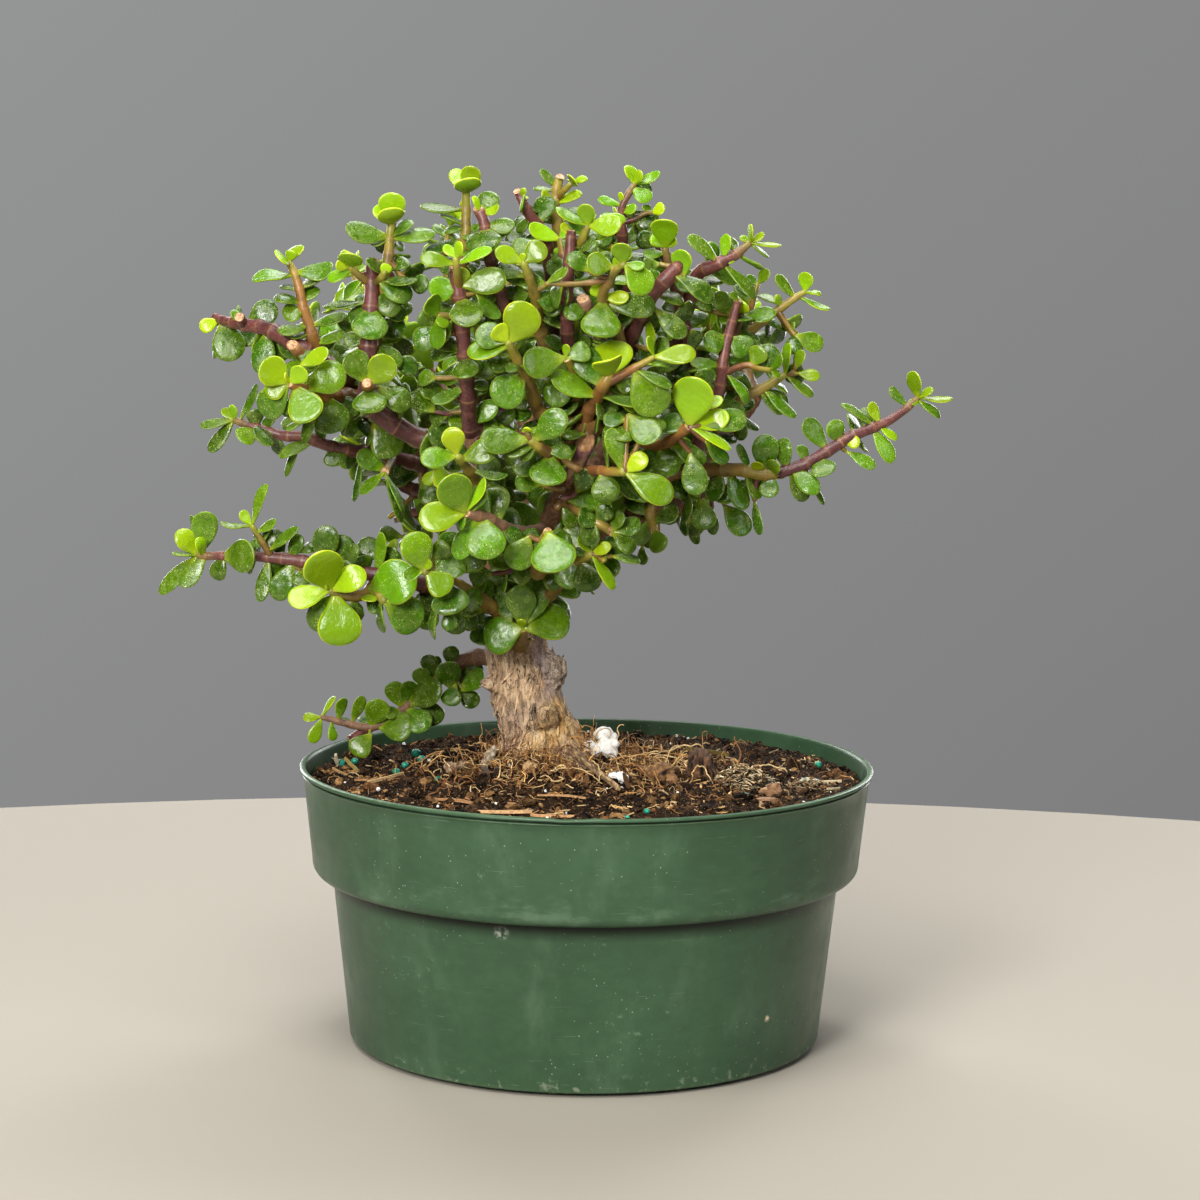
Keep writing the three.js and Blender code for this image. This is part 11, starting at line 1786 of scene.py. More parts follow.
        (19.3, 74.9, 221.6, 23.9, 85.6, 225.9, 0.8, -0.48, 0.35, 9.8, 0.2, 0),
        (19.3, 74.9, 221.6, 30.6, 68.2, 221.7, 0.37, 0.65, 0.66, 11.2, 0.12, 0),
        (16.3, 73.7, 220.6, 23.5, 78.5, 231.4, 0.54, 0.58, -0.61, 12.4, 0.46, 0),
        (16.3, 73.7, 220.6, 21.3, 82.7, 212.9, 0.71, 0.19, 0.68, 10.8, 0.44, 0),
        (25.7, 66, 222.3, 27.3, 59.5, 220.2, 0.68, -0.08, 0.73, 6.3, 0.12, 0),
        (25.7, 66, 222.3, 32, 62.1, 225.8, -0.48, -0.87, -0.11, 6.9, 0.17, 0),
        (23.8, 67.6, 222, 29.9, 68.4, 212.2, 0.72, -0.57, 0.4, 9.3, 0.23, 0),
        (23.8, 67.6, 222, 23.5, 60.5, 231.2, 0.95, -0.27, -0.18, 10, 0.38, 0),
        (8.4, 70.7, 217.9, 10, 58.2, 218.8, 0.83, 0.14, 0.54, 11.3, 0.63, 0),
        (8.4, 70.7, 217.9, 2.5, 82.8, 213.5, 0.65, 0.52, 0.56, 11.2, 0.65, 0),
        (16.4, 72.1, 212.3, 19.3, 73.6, 206.2, 0.84, 0.28, 0.47, 5.5, 0.02, 0),
        (16.4, 72.1, 212.3, 23.8, 75.3, 212.1, 0.13, -0.35, -0.93, 6.4, 0.07, 0),
        (14.4, 71.7, 213.7, 14.7, 83.3, 209.2, 0.98, -0.1, -0.18, 11, 0.31, 0),
        (14.4, 71.7, 213.7, 19.8, 65.9, 224.7, 0.89, 0.39, -0.23, 11.8, 0.26, 0),
        (-0.5, 67.2, 215.2, 2.6, 70.1, 203.5, 0.87, 0.38, 0.33, 10.3, 0.62, 0),
        (-0.5, 67.2, 215.2, -1, 63.4, 227.3, 0.87, 0.46, 0.18, 10.1, 0.52, 0),
        (0.3, 80.7, 220.2, -4.4, 86.2, 220.9, 0.5, 0.34, 0.79, 6.4, 0.01, 0),
        (0.3, 80.7, 220.2, 1.9, 84.9, 225.4, -0.96, 0.26, 0.08, 5.5, 0.07, 0),
        (0.2, 78.4, 219.3, -2.6, 82.1, 231, 0.48, 0.86, -0.16, 10.2, 0.36, 0),
        (0.2, 78.4, 219.3, 7.3, 88.4, 220.5, -0.38, 0.16, 0.91, 10.5, 0.25, 0),
        (-0.1, 73.3, 217.4, -12.4, 78.1, 215.1, 0.18, 0.76, 0.63, 11.2, 0.67, 0),
        (-0.1, 73.3, 217.4, 8.3, 70.1, 224.8, -0.11, 0.86, 0.5, 10.6, 0.54, 0),
        (-9.5, 63.6, 212.7, -14.6, 75.4, 215.4, 0.83, 0.25, 0.5, 11.7, 0.95, 0),
        (-9.5, 63.6, 212.7, -11.7, 51.7, 214, 0.83, -0.09, 0.55, 10.3, 0.92, 0),
        (-8.2, 65.3, 222, -10.5, 69.2, 228.3, 0.63, -0.54, 0.56, 6.8, 0.05, 0),
        (-8.2, 65.3, 222, -4.3, 64.5, 229.7, -0.74, 0.52, 0.43, 7, 0, 0),
        (-8.6, 64.9, 219.5, -13.5, 57.1, 227.3, 0.37, 0.53, 0.76, 10.7, 0.32, 0),
        (-8.6, 64.9, 219.5, -3.5, 76.2, 224.4, -0.11, -0.35, 0.93, 11.1, 0.22, 0),
        (-17.5, 60.3, 210.8, -17.4, 64.1, 199.9, 0.85, 0.49, 0.18, 10.2, 0.63, 0),
        (-5.3, 53.2, 208.1, -1.8, 48.8, 204.9, 0.72, 0.06, 0.69, 5.7, 0, 0),
        (-5.3, 53.2, 208.1, 0.8, 55, 210.1, 0.27, -0.96, 0.06, 5.7, 0.07, 0),
        (-7.4, 54.4, 208.5, -3.2, 54.7, 197.4, 0.8, -0.52, 0.29, 9.5, 0.2, 0),
        (-7.4, 54.4, 208.5, -1.3, 44.6, 212.9, 0.69, 0.1, -0.72, 10.8, 0.31, 0),
        (-12, 57.1, 209.6, -15.2, 42.8, 206.7, 0.94, -0.25, 0.22, 11.9, 0.63, 0),
        (-26.4, 55.6, 209.3, -23.6, 45.7, 202.8, 0.97, 0.13, 0.22, 10.3, 0.5, 0),
        (-26.4, 55.6, 209.3, -27.2, 65.9, 211.8, 0.95, -0.01, 0.32, 9.3, 0.52, 0),
        (-32.6, 52.7, 211.1, -31.1, 56.6, 217, 0.66, 0, 0.75, 6.4, 0.72, 0),
        (-22.9, 58.8, 211.8, -21.4, 62.5, 217.5, 0.71, 0, 0.7, 6.5, 0.48, 0),
        (11.8, 72.8, 220.4, 11, 77.6, 228.6, 0.75, 0.24, 0.62, 8.3, 0.45, 0),
        (12.7, 72.3, 218, 16.9, 74.2, 213.3, 0.91, 0.01, 0.42, 6.2, 0.68, 0),
        (20.8, 70.4, 219.9, 25.9, 68.8, 213.2, 0.38, -0.89, 0.27, 6.7, 0.77, 0),
        (10.4, 71.5, 215, 8.2, 73.8, 209.7, 0.97, -0.23, -0.07, 5.6, 0.53, 0),
    ]),
    "shoot_back_11": ([
        ("p", 0, [(18.1, -10.9, 189.4, 2.9), (26.9, 11.7, 189, 2.4), (36.1, 30.9, 195.5, 1.9), (40.4, 48, 199.4, 1.2)]),
        ("o", 1, [(36.9, 33.1, 196.1, 1.2), (36.6, 37, 192.6, 1.05), (36.5, 40.9, 190.4, 0.85)]),
        ("o", 1, [(33.4, 24.7, 193.2, 1.2), (31, 27, 196.9, 1.05), (28.7, 29.3, 201.8, 0.85)]),
        ("o", 1, [(28.7, 15.6, 189.9, 1.2), (29.2, 16.6, 195.6, 1.05), (29.6, 17.7, 202.4, 0.85)]),
        ("o", 1, [(25.2, 7.6, 188.7, 1.2), (32, 8.7, 186.3, 1.05), (38.8, 9.8, 185, 0.85)]),
    ], [
        (40.4, 48, 199.4, 40.5, 54.3, 198.8, 0.32, 0.08, 0.94, 5.7, 0.02, 0),
        (40.4, 48, 199.4, 44.1, 51.3, 204.9, -0.41, 0.88, -0.26, 6, 0.01, 0),
        (39.7, 44.8, 198.7, 32, 52.4, 206.1, 0.77, 0.62, 0.16, 10.5, 0.07, 0),
        (39.7, 44.8, 198.7, 47.3, 50.5, 196.7, -0.28, 0.63, 0.72, 8.7, 0.05, 0),
        (39, 41.6, 198, 45.1, 42.5, 211.3, -0.07, 1, -0.04, 12.8, 0.36, 0),
        (39, 41.6, 198, 34, 53, 190.3, 0.33, 0.63, 0.7, 11.8, 0.33, 0),
        (36.9, 33.1, 196.1, 47, 31.3, 191.3, 0.36, 0.8, 0.48, 9.9, 0.96, 0),
        (36.5, 40.9, 190.4, 34.4, 45, 184.5, 0.25, 0.83, 0.49, 6.4, 0.08, 0),
        (36.5, 40.9, 190.4, 38.8, 48.2, 190.2, -0.5, 0.15, -0.85, 6.3, 0.14, 0),
        (36.5, 38.9, 191.8, 26.9, 45.3, 193.6, 0.45, 0.78, -0.43, 9.3, 0.26, 0),
        (36.5, 38.9, 191.8, 44.9, 43.2, 186, -0.47, 0.88, -0.03, 9.4, 0.32, 0),
        (33.4, 24.7, 193.2, 31, 30.7, 181.8, 0.33, 0.86, 0.38, 10.5, 0.77, 0),
        (28.7, 29.3, 201.8, 24.7, 35.2, 203.2, -0.38, -0.45, 0.81, 6.2, 0.06, 0),
        (28.7, 29.3, 201.8, 24.9, 26.5, 207.2, 0.03, 0.87, 0.48, 5.7, 0.15, 0),
        (29.8, 28.3, 199.8, 19.6, 30.4, 197.3, -0.17, 0.28, 0.94, 9.3, 0.21, 0),
        (29.8, 28.3, 199.8, 38, 29.5, 208.8, -0.74, 0.19, 0.65, 10.4, 0.21, 0),
        (28.7, 15.6, 189.9, 13.5, 21.7, 192.3, 0.39, 0.76, 0.52, 13.6, 0.73, 0),
        (28.7, 15.6, 189.9, 41.3, 9.4, 180.7, 0.61, 0.71, 0.35, 13.9, 0.9, 0),
        (29.6, 17.7, 202.4, 28.3, 21.5, 209.3, 0.48, -0.72, 0.5, 6.5, 0.15, 0),
        (29.6, 17.7, 202.4, 32.1, 14.8, 209.2, -0.39, 0.78, 0.48, 6.5, 0.02, 0),
        (29.4, 17.3, 199.9, 18.1, 15, 206.3, 0.45, 0.21, 0.87, 11.2, 0.2, 0),
        (29.4, 17.3, 199.9, 40.3, 15.7, 201.2, -0.11, 0.04, 0.99, 9.9, 0.24, 0),
        (25.2, 7.6, 188.7, 29.9, 4.8, 200.2, 0.26, 0.96, 0.12, 11.6, 0.56, 0),
        (38.8, 9.8, 185, 44, 15.3, 186.5, 0.49, -0.63, 0.61, 6.4, 0, 0),
        (38.8, 9.8, 185, 33.8, 6.2, 184.2, 0.53, -0.62, -0.57, 5.4, 0.01, 0),
        (36.4, 9.4, 185.7, 40.8, 18.3, 191, 0.92, -0.34, -0.2, 9.4, 0.27, 0),
        (31.3, 8.6, 187, 38, 4.9, 197.2, 0.83, 0.39, -0.41, 10.9, 0.56, 0),
        (25.2, 12, 190.4, 22.2, 16.6, 195.2, 0.44, 0.01, 0.9, 6.3, 0.72, 0),
        (27.2, 11.6, 186.9, 29.9, 15.2, 181.7, -0.26, 0.41, 0.87, 5.7, 0.83, 0),
        (29.2, 20.7, 192.6, 21.9, 26.4, 196.8, 0.45, 0.14, 0.88, 8, 0.89, 0),
        (31.9, 20.2, 190.2, 38.3, 25.2, 185.6, 0.56, 0.17, 0.81, 8.8, 0.38, 0),
        (33.6, 29.1, 195.7, 28.7, 34.7, 201, 0.7, 0.34, 0.63, 8.3, 0.83, 0),
        (35.6, 29.1, 193.1, 39.6, 34, 187.5, 0.38, 0.1, 0.92, 8.1, 0.69, 0),
        (37.7, 35.9, 193.9, 43.2, 39.7, 191.4, -0.4, 0.74, 0.54, 5.7, 0.83, 0),
        (35.8, 35.9, 194.1, 28.8, 40.1, 195.1, -0.44, 0.53, -0.72, 6.6, 0.59, 0),
        (30.8, 27, 195.6, 24.2, 31, 191.6, -0.53, -0.1, 0.84, 6.9, 0.82, 0),
        (32.3, 27.1, 196.4, 36.8, 31.5, 199.7, -0.46, 0.17, 0.87, 6.2, 0.55, 0),
        (28.2, 17, 194.8, 22.4, 20.9, 200.2, 0.38, 0.16, 0.91, 6.9, 0.87, 0),
        (30, 16.9, 194.7, 37.1, 20.6, 198.2, 0.07, -0.2, 0.98, 7, 0.4, 0),
    ]),
    "shoot_back_12": ([
        ("p", 0, [(-35.4, 32.3, 186.5, 2.9), (-46.8, 38.1, 181.8, 2.4), (-62.8, 49.9, 182.2, 1.9), (-72.1, 58, 178.2, 1.2)]),
        ("o", 1, [(-67.5, 53.9, 180.6, 1.2), (-65.2, 60.8, 180, 1.05), (-63, 67.7, 180.5, 0.85)]),
        ("o", 1, [(-60.3, 47.9, 182.3, 1.2), (-63, 50.9, 176.2, 1.05), (-65.7, 53.9, 171.2, 0.85)]),
        ("o", 1, [(-44.9, 36.9, 182.2, 1.2), (-48.1, 38.4, 187, 1.05), (-51.3, 40, 192.9, 0.85)]),
        ("o", 1, [(-64.1, 52.2, 174, 0.77), (-66.5, 51.8, 172.7, 1), (-69, 51.4, 172.6, 0.8)]),
    ], [
        (-69.8, 55.9, 179.3, -66, 65.8, 175.8, -0.92, 0.39, 0.11, 9.3, 0.1, 0),
        (-63, 67.7, 180.5, -64.3, 74.5, 180.8, 0.83, 0.14, 0.53, 5.5, 0, 0),
        (-63, 67.7, 180.5, -57, 71.3, 181.2, -0.52, 0.77, 0.38, 6, 0.14, 0),
        (-63.7, 65.3, 180.5, -62.6, 71.5, 190.6, 0.35, 0.78, -0.52, 9.3, 0.28, 0),
        (-63.7, 65.3, 180.5, -63.6, 70.5, 167.4, 0.3, 0.89, 0.35, 11.2, 0.23, 0),
        (-65.5, 60.1, 180.6, -54.2, 55.8, 179.2, 0.37, 0.87, 0.31, 9.9, 0.56, 0),
        (-60.3, 47.9, 182.3, -50.2, 57.7, 179.3, -0.62, 0.73, 0.29, 11.3, 0.83, 0),
        (-65.7, 53.9, 171.2, -63.9, 60.9, 167.8, -0.89, 0, -0.45, 6.7, 0.08, 0),
        (-65.7, 53.9, 171.2, -70, 56.2, 167.4, 0.51, 0.86, -0.08, 5.4, 0.05, 0),
        (-64.7, 52.8, 173.2, -60.2, 49.6, 163.2, -0.6, 0.65, -0.47, 9.8, 0.32, 0),
        (-53.2, 42.5, 181.8, -54.3, 37, 172.5, -0.94, 0.33, -0.09, 9.3, 0.59, 0),
        (-53.2, 42.5, 181.8, -51.1, 46, 193.6, -0.87, 0.5, 0.01, 9.9, 0.55, 0),
        (-44.9, 36.9, 182.2, -52, 26, 188.2, -0.82, 0.57, 0.07, 12.7, 0.53, 0),
        (-44.9, 36.9, 182.2, -39.6, 47.9, 179.7, -0.89, 0.45, 0.12, 11.3, 0.61, 0),
        (-51.3, 40, 192.9, -57.3, 41.3, 197.4, 0.62, 0.27, 0.74, 6, 0.06, 0),
        (-51.3, 40, 192.9, -52, 41.9, 200.6, -0.99, -0.15, -0.04, 6.2, 0.17, 0),
        (-50.1, 39.4, 190.8, -50.1, 27, 197.9, -0.38, 0.46, 0.8, 11.2, 0.27, 0),
        (-50.1, 39.4, 190.8, -55, 51.8, 193.7, -0.15, -0.27, 0.95, 10.8, 0.38, 0),
        (-69, 51.4, 172.6, -77.2, 48.9, 174.6, 0.36, -0.75, 0.55, 7.2, 0.83, 0),
        (-39, 34.8, 182.4, -39.3, 36.7, 176.2, -0.74, -0.18, 0.64, 6.1, 0.75, 0),
        (-40.2, 35.8, 186.7, -44.3, 41.4, 192.7, -0.56, -0.08, 0.82, 7.3, 0.58, 0),
        (-64.1, 52.1, 180, -61.7, 55.9, 173.8, -0.51, 0.6, 0.62, 6.6, 0.44, 0),
        (-64.8, 52.5, 182.6, -66.1, 56.9, 187, -0.89, 0.33, 0.31, 5.9, 0.52, 0),
        (-61.4, 50.4, 177.4, -54, 53.1, 174.1, 0.39, -0.16, 0.91, 7.1, 0.56, 0),
        (-63, 50.6, 178.2, -69.6, 55.1, 180.6, -0.68, 0.11, -0.73, 6.7, 0.81, 0),
        (-48.3, 38.4, 185.7, -56.5, 41.5, 186, 0.07, -0.1, 0.99, 8.2, 0.43, 0),
    ]),
    "shoot_back_13": ([
        ("o", 0, [(-23.3, 43.3, 215.6, 2.9), (-22.7, 60.3, 205.1, 2.4), (-31.7, 74.7, 199.9, 1.9), (-32.4, 88, 190.9, 1.2)]),
        ("o", 1, [(-31, 73.1, 200.6, 1.2), (-28.4, 75.5, 196.8, 1.05), (-25.9, 77.9, 194.2, 0.85)]),
        ("o", 1, [(-24.8, 64.5, 203.4, 1.2), (-27.6, 64.9, 196.1, 1.05), (-30.5, 65.2, 190.1, 0.85)]),
    ], [
        (-32.4, 88, 190.9, -29, 91.2, 185.1, -0.37, 0.89, 0.27, 6.3, 0.06, 0),
        (-32.4, 88, 190.9, -35, 93.9, 189.9, 0.9, 0.36, -0.24, 5.9, 0.06, 0),
        (-32.4, 85.3, 192.8, -37.3, 79.1, 198.7, -0.86, 0.32, -0.4, 8.7, 0.14, 0),
        (-32.4, 85.3, 192.8, -23.7, 94.1, 193.2, -0.6, 0.61, -0.52, 9.7, 0.08, 0),
        (-32.5, 82.6, 194.8, -44.2, 90, 199.2, 0.31, 0.8, -0.52, 12.6, 0.4, 0),
        (-32.5, 82.6, 194.8, -20.4, 88.6, 187.6, -0.37, 0.92, 0.15, 13.5, 0.32, 0),
        (-31, 73.1, 200.6, -25.7, 78.5, 210.5, -0.54, 0.83, -0.16, 11, 0.74, 0),
        (-31, 73.1, 200.6, -41.3, 75.3, 187.1, -0.23, 0.92, 0.32, 13.6, 0.72, 0),
        (-25.9, 77.9, 194.2, -24.4, 78.6, 185.8, 0.71, 0.68, 0.18, 6.7, 0.04, 0),
        (-25.9, 77.9, 194.2, -20.5, 82.7, 194.6, 0.17, -0.1, -0.98, 6.2, 0.01, 0),
        (-27.2, 76.7, 195.9, -33.8, 88.2, 195.7, 0.81, 0.46, -0.37, 11.1, 0.3, 0),
        (-27.2, 76.7, 195.9, -17.3, 73.8, 195.7, 0.24, 0.86, -0.45, 9.3, 0.34, 0),
        (-24.8, 64.5, 203.4, -16.8, 70.4, 193.8, -0.54, 0.84, 0.07, 11, 0.67, 0),
        (-24.8, 64.5, 203.4, -36.2, 58.6, 210.8, -0.45, 0.89, 0.01, 11.7, 0.68, 0),
        (-30.5, 65.2, 190.1, -35.5, 68.2, 185.2, 0.17, -0.76, -0.63, 6.4, 0, 0),
        (-30.5, 65.2, 190.1, -29.2, 63, 184.1, -0.88, 0.36, -0.32, 5.4, 0.07, 0),
        (-29.5, 65.1, 192.4, -23.3, 71.7, 185.3, -0.72, -0.07, -0.69, 9.4, 0.35, 0),
        (-29.5, 65.1, 192.4, -37.1, 57.1, 191.8, -0.33, 0.37, -0.87, 9.4, 0.27, 0),
        (-27.4, 64.8, 197.4, -37.7, 69.1, 201.4, -0.4, -0.09, -0.91, 10.2, 0.61, 0),
        (-27.4, 64.8, 197.4, -19.2, 58.7, 189.5, -0.64, 0.12, -0.76, 11.2, 0.53, 0),
        (-22.2, 56.7, 207.1, -30.9, 54.7, 199.8, -0.06, 0.98, -0.19, 10.3, 0.61, 0),
        (-22.2, 56.7, 207.1, -16.9, 55.9, 218.9, 0.08, 1, 0.04, 10.9, 0.75, 0),
        (-30.4, 78.3, 198.2, -23.3, 84.1, 199.2, -0.38, 0.84, -0.39, 7.5, 0.85, 0),
        (-33.2, 78.2, 198.4, -40.1, 82.1, 199.6, 0.57, 0.73, -0.38, 7.2, 0.58, 0),
        (-28.6, 75.1, 198.7, -21.1, 80.1, 202.6, 0.58, 0.79, -0.23, 8.7, 0.67, 0),
    ]),
    "shoot_back_14": ([
        ("o", 0, [(13.7, 47.3, 221.4, 2.9), (8.4, 58.6, 206, 2.4), (8.1, 68.2, 202.3, 1.9), (3.8, 74, 188.7, 1.2)]),
        ("o", 1, [(5.8, 71.8, 194.7, 1.2), (11.7, 69.6, 188.7, 1.05), (17.6, 67.4, 184, 0.85)]),
        ("o", 1, [(8.4, 66.1, 203.7, 1.2), (12.4, 67.7, 197.7, 1.05), (16.5, 69.3, 193, 0.85)]),
        ("o", 1, [(8.5, 58.5, 206.1, 1.2), (2.7, 55.4, 198.8, 1.05), (-3.1, 52.3, 192.6, 0.85)]),
        ("o", 1, [(10.7, 53.2, 212.8, 1.2), (3.6, 54.2, 212.8, 1.05), (-3.4, 55.3, 214.1, 0.85)]),
    ], [
        (3.8, 74, 188.7, 6.5, 78, 181.7, -0.94, 0.25, -0.22, 6.6, 0.04, 0),
        (3.8, 74, 188.7, -2.2, 75.1, 184.9, 0.49, 0.65, -0.58, 6.3, 0, 0),
        (4.8, 72.9, 191.7, -6.5, 77.2, 188.3, 0.37, 0.28, -0.89, 10.3, 0.14, 0),
        (4.8, 72.9, 191.7, 9.5, 71.5, 179.2, -0.72, 0.6, -0.34, 10.8, 0.23, 0),
        (5.8, 71.8, 194.7, 17.1, 84.3, 191.4, -0.52, 0.25, -0.82, 14.1, 0.33, 0),
        (5.8, 71.8, 194.7, -3, 60.1, 188.2, -0.33, 0.63, -0.7, 12.9, 0.36, 0),
        (17.6, 67.4, 184, 19.5, 63.5, 178.9, 0.95, 0.13, 0.27, 5.9, 0, 0),
        (17.6, 67.4, 184, 24.3, 68.1, 182.8, 0.02, -0.9, -0.45, 5.9, 0, 0),
        (15.8, 68, 185.6, 19.5, 74.9, 173.8, 0.83, -0.55, -0.06, 11.5, 0.27, 0),
        (15.8, 68, 185.6, 22.9, 59.3, 187.6, 0.58, 0.3, -0.76, 10.3, 0.21, 0),
        (11.1, 69.8, 189.9, 4, 60.9, 184.2, 0.82, -0.4, -0.4, 10, 0.57, 0),
        (11.1, 69.8, 189.9, 20.6, 75.8, 190.6, 0.5, -0.74, -0.46, 10.2, 0.52, 0),
        (8.4, 66.1, 203.7, 15.7, 68.8, 217.8, -0.12, 0.98, -0.13, 13.1, 0.66, 0),
        (8.4, 66.1, 203.7, 1.3, 63.7, 193.3, -0.12, 0.98, -0.15, 11.2, 0.54, 0),
        (16.5, 69.3, 193, 21.1, 71.6, 186.9, 0.68, -0.7, 0.24, 7, 0.04, 0),
        (16.5, 69.3, 193, 23, 67.3, 191.7, 0.15, 0.83, -0.53, 6.2, 0.03, 0),
        (15.1, 68.7, 194.9, 24.4, 75.9, 200.9, 0.53, 0.02, -0.85, 11.7, 0.32, 0),
        (15.1, 68.7, 194.9, 14.3, 62.6, 186.2, 0.82, 0.43, -0.38, 9.3, 0.32, 0),
        (12, 67.5, 198.8, 6.8, 81.3, 200.9, 0.75, 0.37, -0.55, 12.2, 0.66, 0),
        (12, 67.5, 198.8, 24.2, 60.7, 198.7, 0.37, 0.67, -0.64, 11.5, 0.63, 0),
        (8.5, 58.5, 206.1, 20.8, 57.8, 196.1, -0.26, 0.89, -0.38, 12.8, 0.91, 0),
        (8.5, 58.5, 206.1, -3.8, 57.9, 207.7, -0.1, 0.89, -0.44, 11.2, 0.89, 0),
        (-3.1, 52.3, 192.6, -6, 53.3, 184.9, -0.73, -0.66, 0.19, 6.8, 0.11, 0),
        (-3.1, 52.3, 192.6, -8.2, 47.1, 191.4, -0.36, 0.53, -0.77, 6.4, 0.04, 0),
        (-1.5, 53.2, 194.4, 5.1, 45.9, 187.2, -0.84, -0.36, -0.41, 10.4, 0.25, 0),
        (-1.5, 53.2, 194.4, -11.5, 59, 195.5, -0.46, -0.68, -0.57, 9.6, 0.25, 0),
        (3.3, 55.7, 200.1, 3.9, 61.5, 190.6, -0.79, -0.5, -0.35, 9.8, 0.5, 0),
        (3.3, 55.7, 200.1, -3.9, 46.8, 199.7, -0.36, 0.32, -0.88, 9.8, 0.56, 0),
        (10.7, 53.2, 212.8, 8.6, 44.9, 201.3, -0.35, 0.79, -0.51, 12.3, 0.78, 0),
        (10.7, 53.2, 212.8, 16, 61.4, 220.9, -0.27, 0.76, -0.59, 10.2, 0.66, 0),
        (-3.4, 55.3, 214.1, -9.2, 55.3, 213.3, -0.14, 0.13, 0.98, 5.4, 0.1, 0),
        (-3.4, 55.3, 214.1, -7.8, 57.5, 219.8, -0.81, -0.19, -0.55, 6.1, 0.11, 0),
        (-0.9, 54.9, 213.9, -8.4, 48.4, 219.9, -0.59, 0.8, 0.14, 10.4, 0.39, 0),
        (-0.9, 54.9, 213.9, -7, 65.2, 205.2, -0.89, -0.14, 0.44, 11.8, 0.3, 0),
        (4.3, 54.1, 213.4, 1.1, 48.7, 201.5, -0.97, 0.08, 0.23, 10.5, 0.53, 0),
        (4.3, 54.1, 213.4, 3, 56.6, 225.3, -0.99, 0.03, -0.12, 9.7, 0.66, 0),
        (10.2, 62.4, 205.3, 16.8, 67.2, 206.6, 0.54, 0.84, -0.08, 6.5, 0.88, 0),
        (6.5, 62.3, 205.5, -1.2, 65.8, 207.7, 0.2, 0.98, 0.06, 7.8, 0.73, 0),
        (6.9, 57.5, 202.5, 8.6, 57.5, 196.1, -0.61, -0.64, -0.47, 5.7, 0.53, 0),
        (1.6, 54.6, 196.3, 5.1, 54.8, 190.1, -0.56, -0.83, 0.06, 6.2, 0.59, 0),
    ]),
}


# ---------------------------------------------------------------- small maths
def lin(c):
    return c / 12.92 if c <= 0.04045 else ((c + 0.055) / 1.055) ** 2.4


def rgb(r, g, b, a=1.0):
    return (lin(r / 255.0), lin(g / 255.0), lin(b / 255.0), a)


def rgba(c, n):
    return np.tile(np.array(c, float), (n, 1))


def unit(v):
    v = np.asarray(v, float)
    n = np.linalg.norm(v)
    return v / n if n > 1e-12 else v


def _hash(ix, iy, iz, seed):
    h = (ix * 374761393 + iy * 668265263 + iz * 1440662683 + seed * 974711 + 1013904223) & 0xFFFFFFFF
    h = ((h ^ (h >> 13)) * 1274126177) & 0xFFFFFFFF
    h = ((h ^ (h >> 15)) * 2246822519) & 0xFFFFFFFF
    return ((h ^ (h >> 16)) & 0xFFFFFF) / float(0x7FFFFF) - 1.0


def noise3(p, seed=0):
    """Smooth value noise in about -1 to 1 at the points p (n, 3)."""
    p = np.asarray(p, float)
    i = np.floor(p).astype(np.int64)
    f = p - i
    u = f * f * f * (f * (f * 6 - 15) + 10)
    out = np.zeros(len(p))
    for dx in (0, 1):
        wx = u[:, 0] if dx else 1 - u[:, 0]
        for dy in (0, 1):
            wy = u[:, 1] if dy else 1 - u[:, 1]
            for dz in (0, 1):
                wz = u[:, 2] if dz else 1 - u[:, 2]
                out += wx * wy * wz * _hash(i[:, 0] + dx, i[:, 1] + dy, i[:, 2] + dz, seed)
    return out


def fbm(p, octaves=4, seed=0, gain=0.5):
    out, a, k = np.zeros(len(p)), 1.0, 1.0
    for o in range(octaves):
        out += a * noise3(np.asarray(p) * k + 17.3 * o, seed + o)
        a *= gain
        k *= 2.03
    return out


def crom(p, n):
    """Uniform Catmull-Rom through the rows of p, n samples."""
    p = np.asarray(p, float)
    m = len(p) - 1
    if m == 1:
        t = np.linspace(0, 1, n)[:, None]
        return p[0] * (1 - t) + p[1] * t
    e = np.vstack([2 * p[0] - p[1], p, 2 * p[-1] - p[-2]])
    s = np.linspace(0, m, n)
    k = np.minimum(s.astype(int), m - 1)
    t = (s - k)[:, None]
    a, b, c, d = e[k], e[k + 1], e[k + 2], e[k + 3]
    return 0.5 * (2 * b + (c - a) * t + (2 * a - 5 * b + 4 * c - d) * t * t + (3 * b - 3 * c + d - a) * t ** 3)


def frames(c):
    """Tangents and two normals carried along a centre line."""
    t = np.gradient(c, axis=0)
    t /= np.maximum(np.linalg.norm(t, axis=1), 1e-9)[:, None]
    ref = np.array([0, 0, 1.0]) if abs(t[0][2]) < 0.9 else np.array([1.0, 0, 0])
    n = np.zeros_like(c)
    n[0] = unit(np.cross(ref, t[0]))
    for i in range(1, len(c)):
        n[i] = unit(n[i - 1] - t[i] * np.dot(n[i - 1], t[i]))
    return t, n, np.cross(t, n)


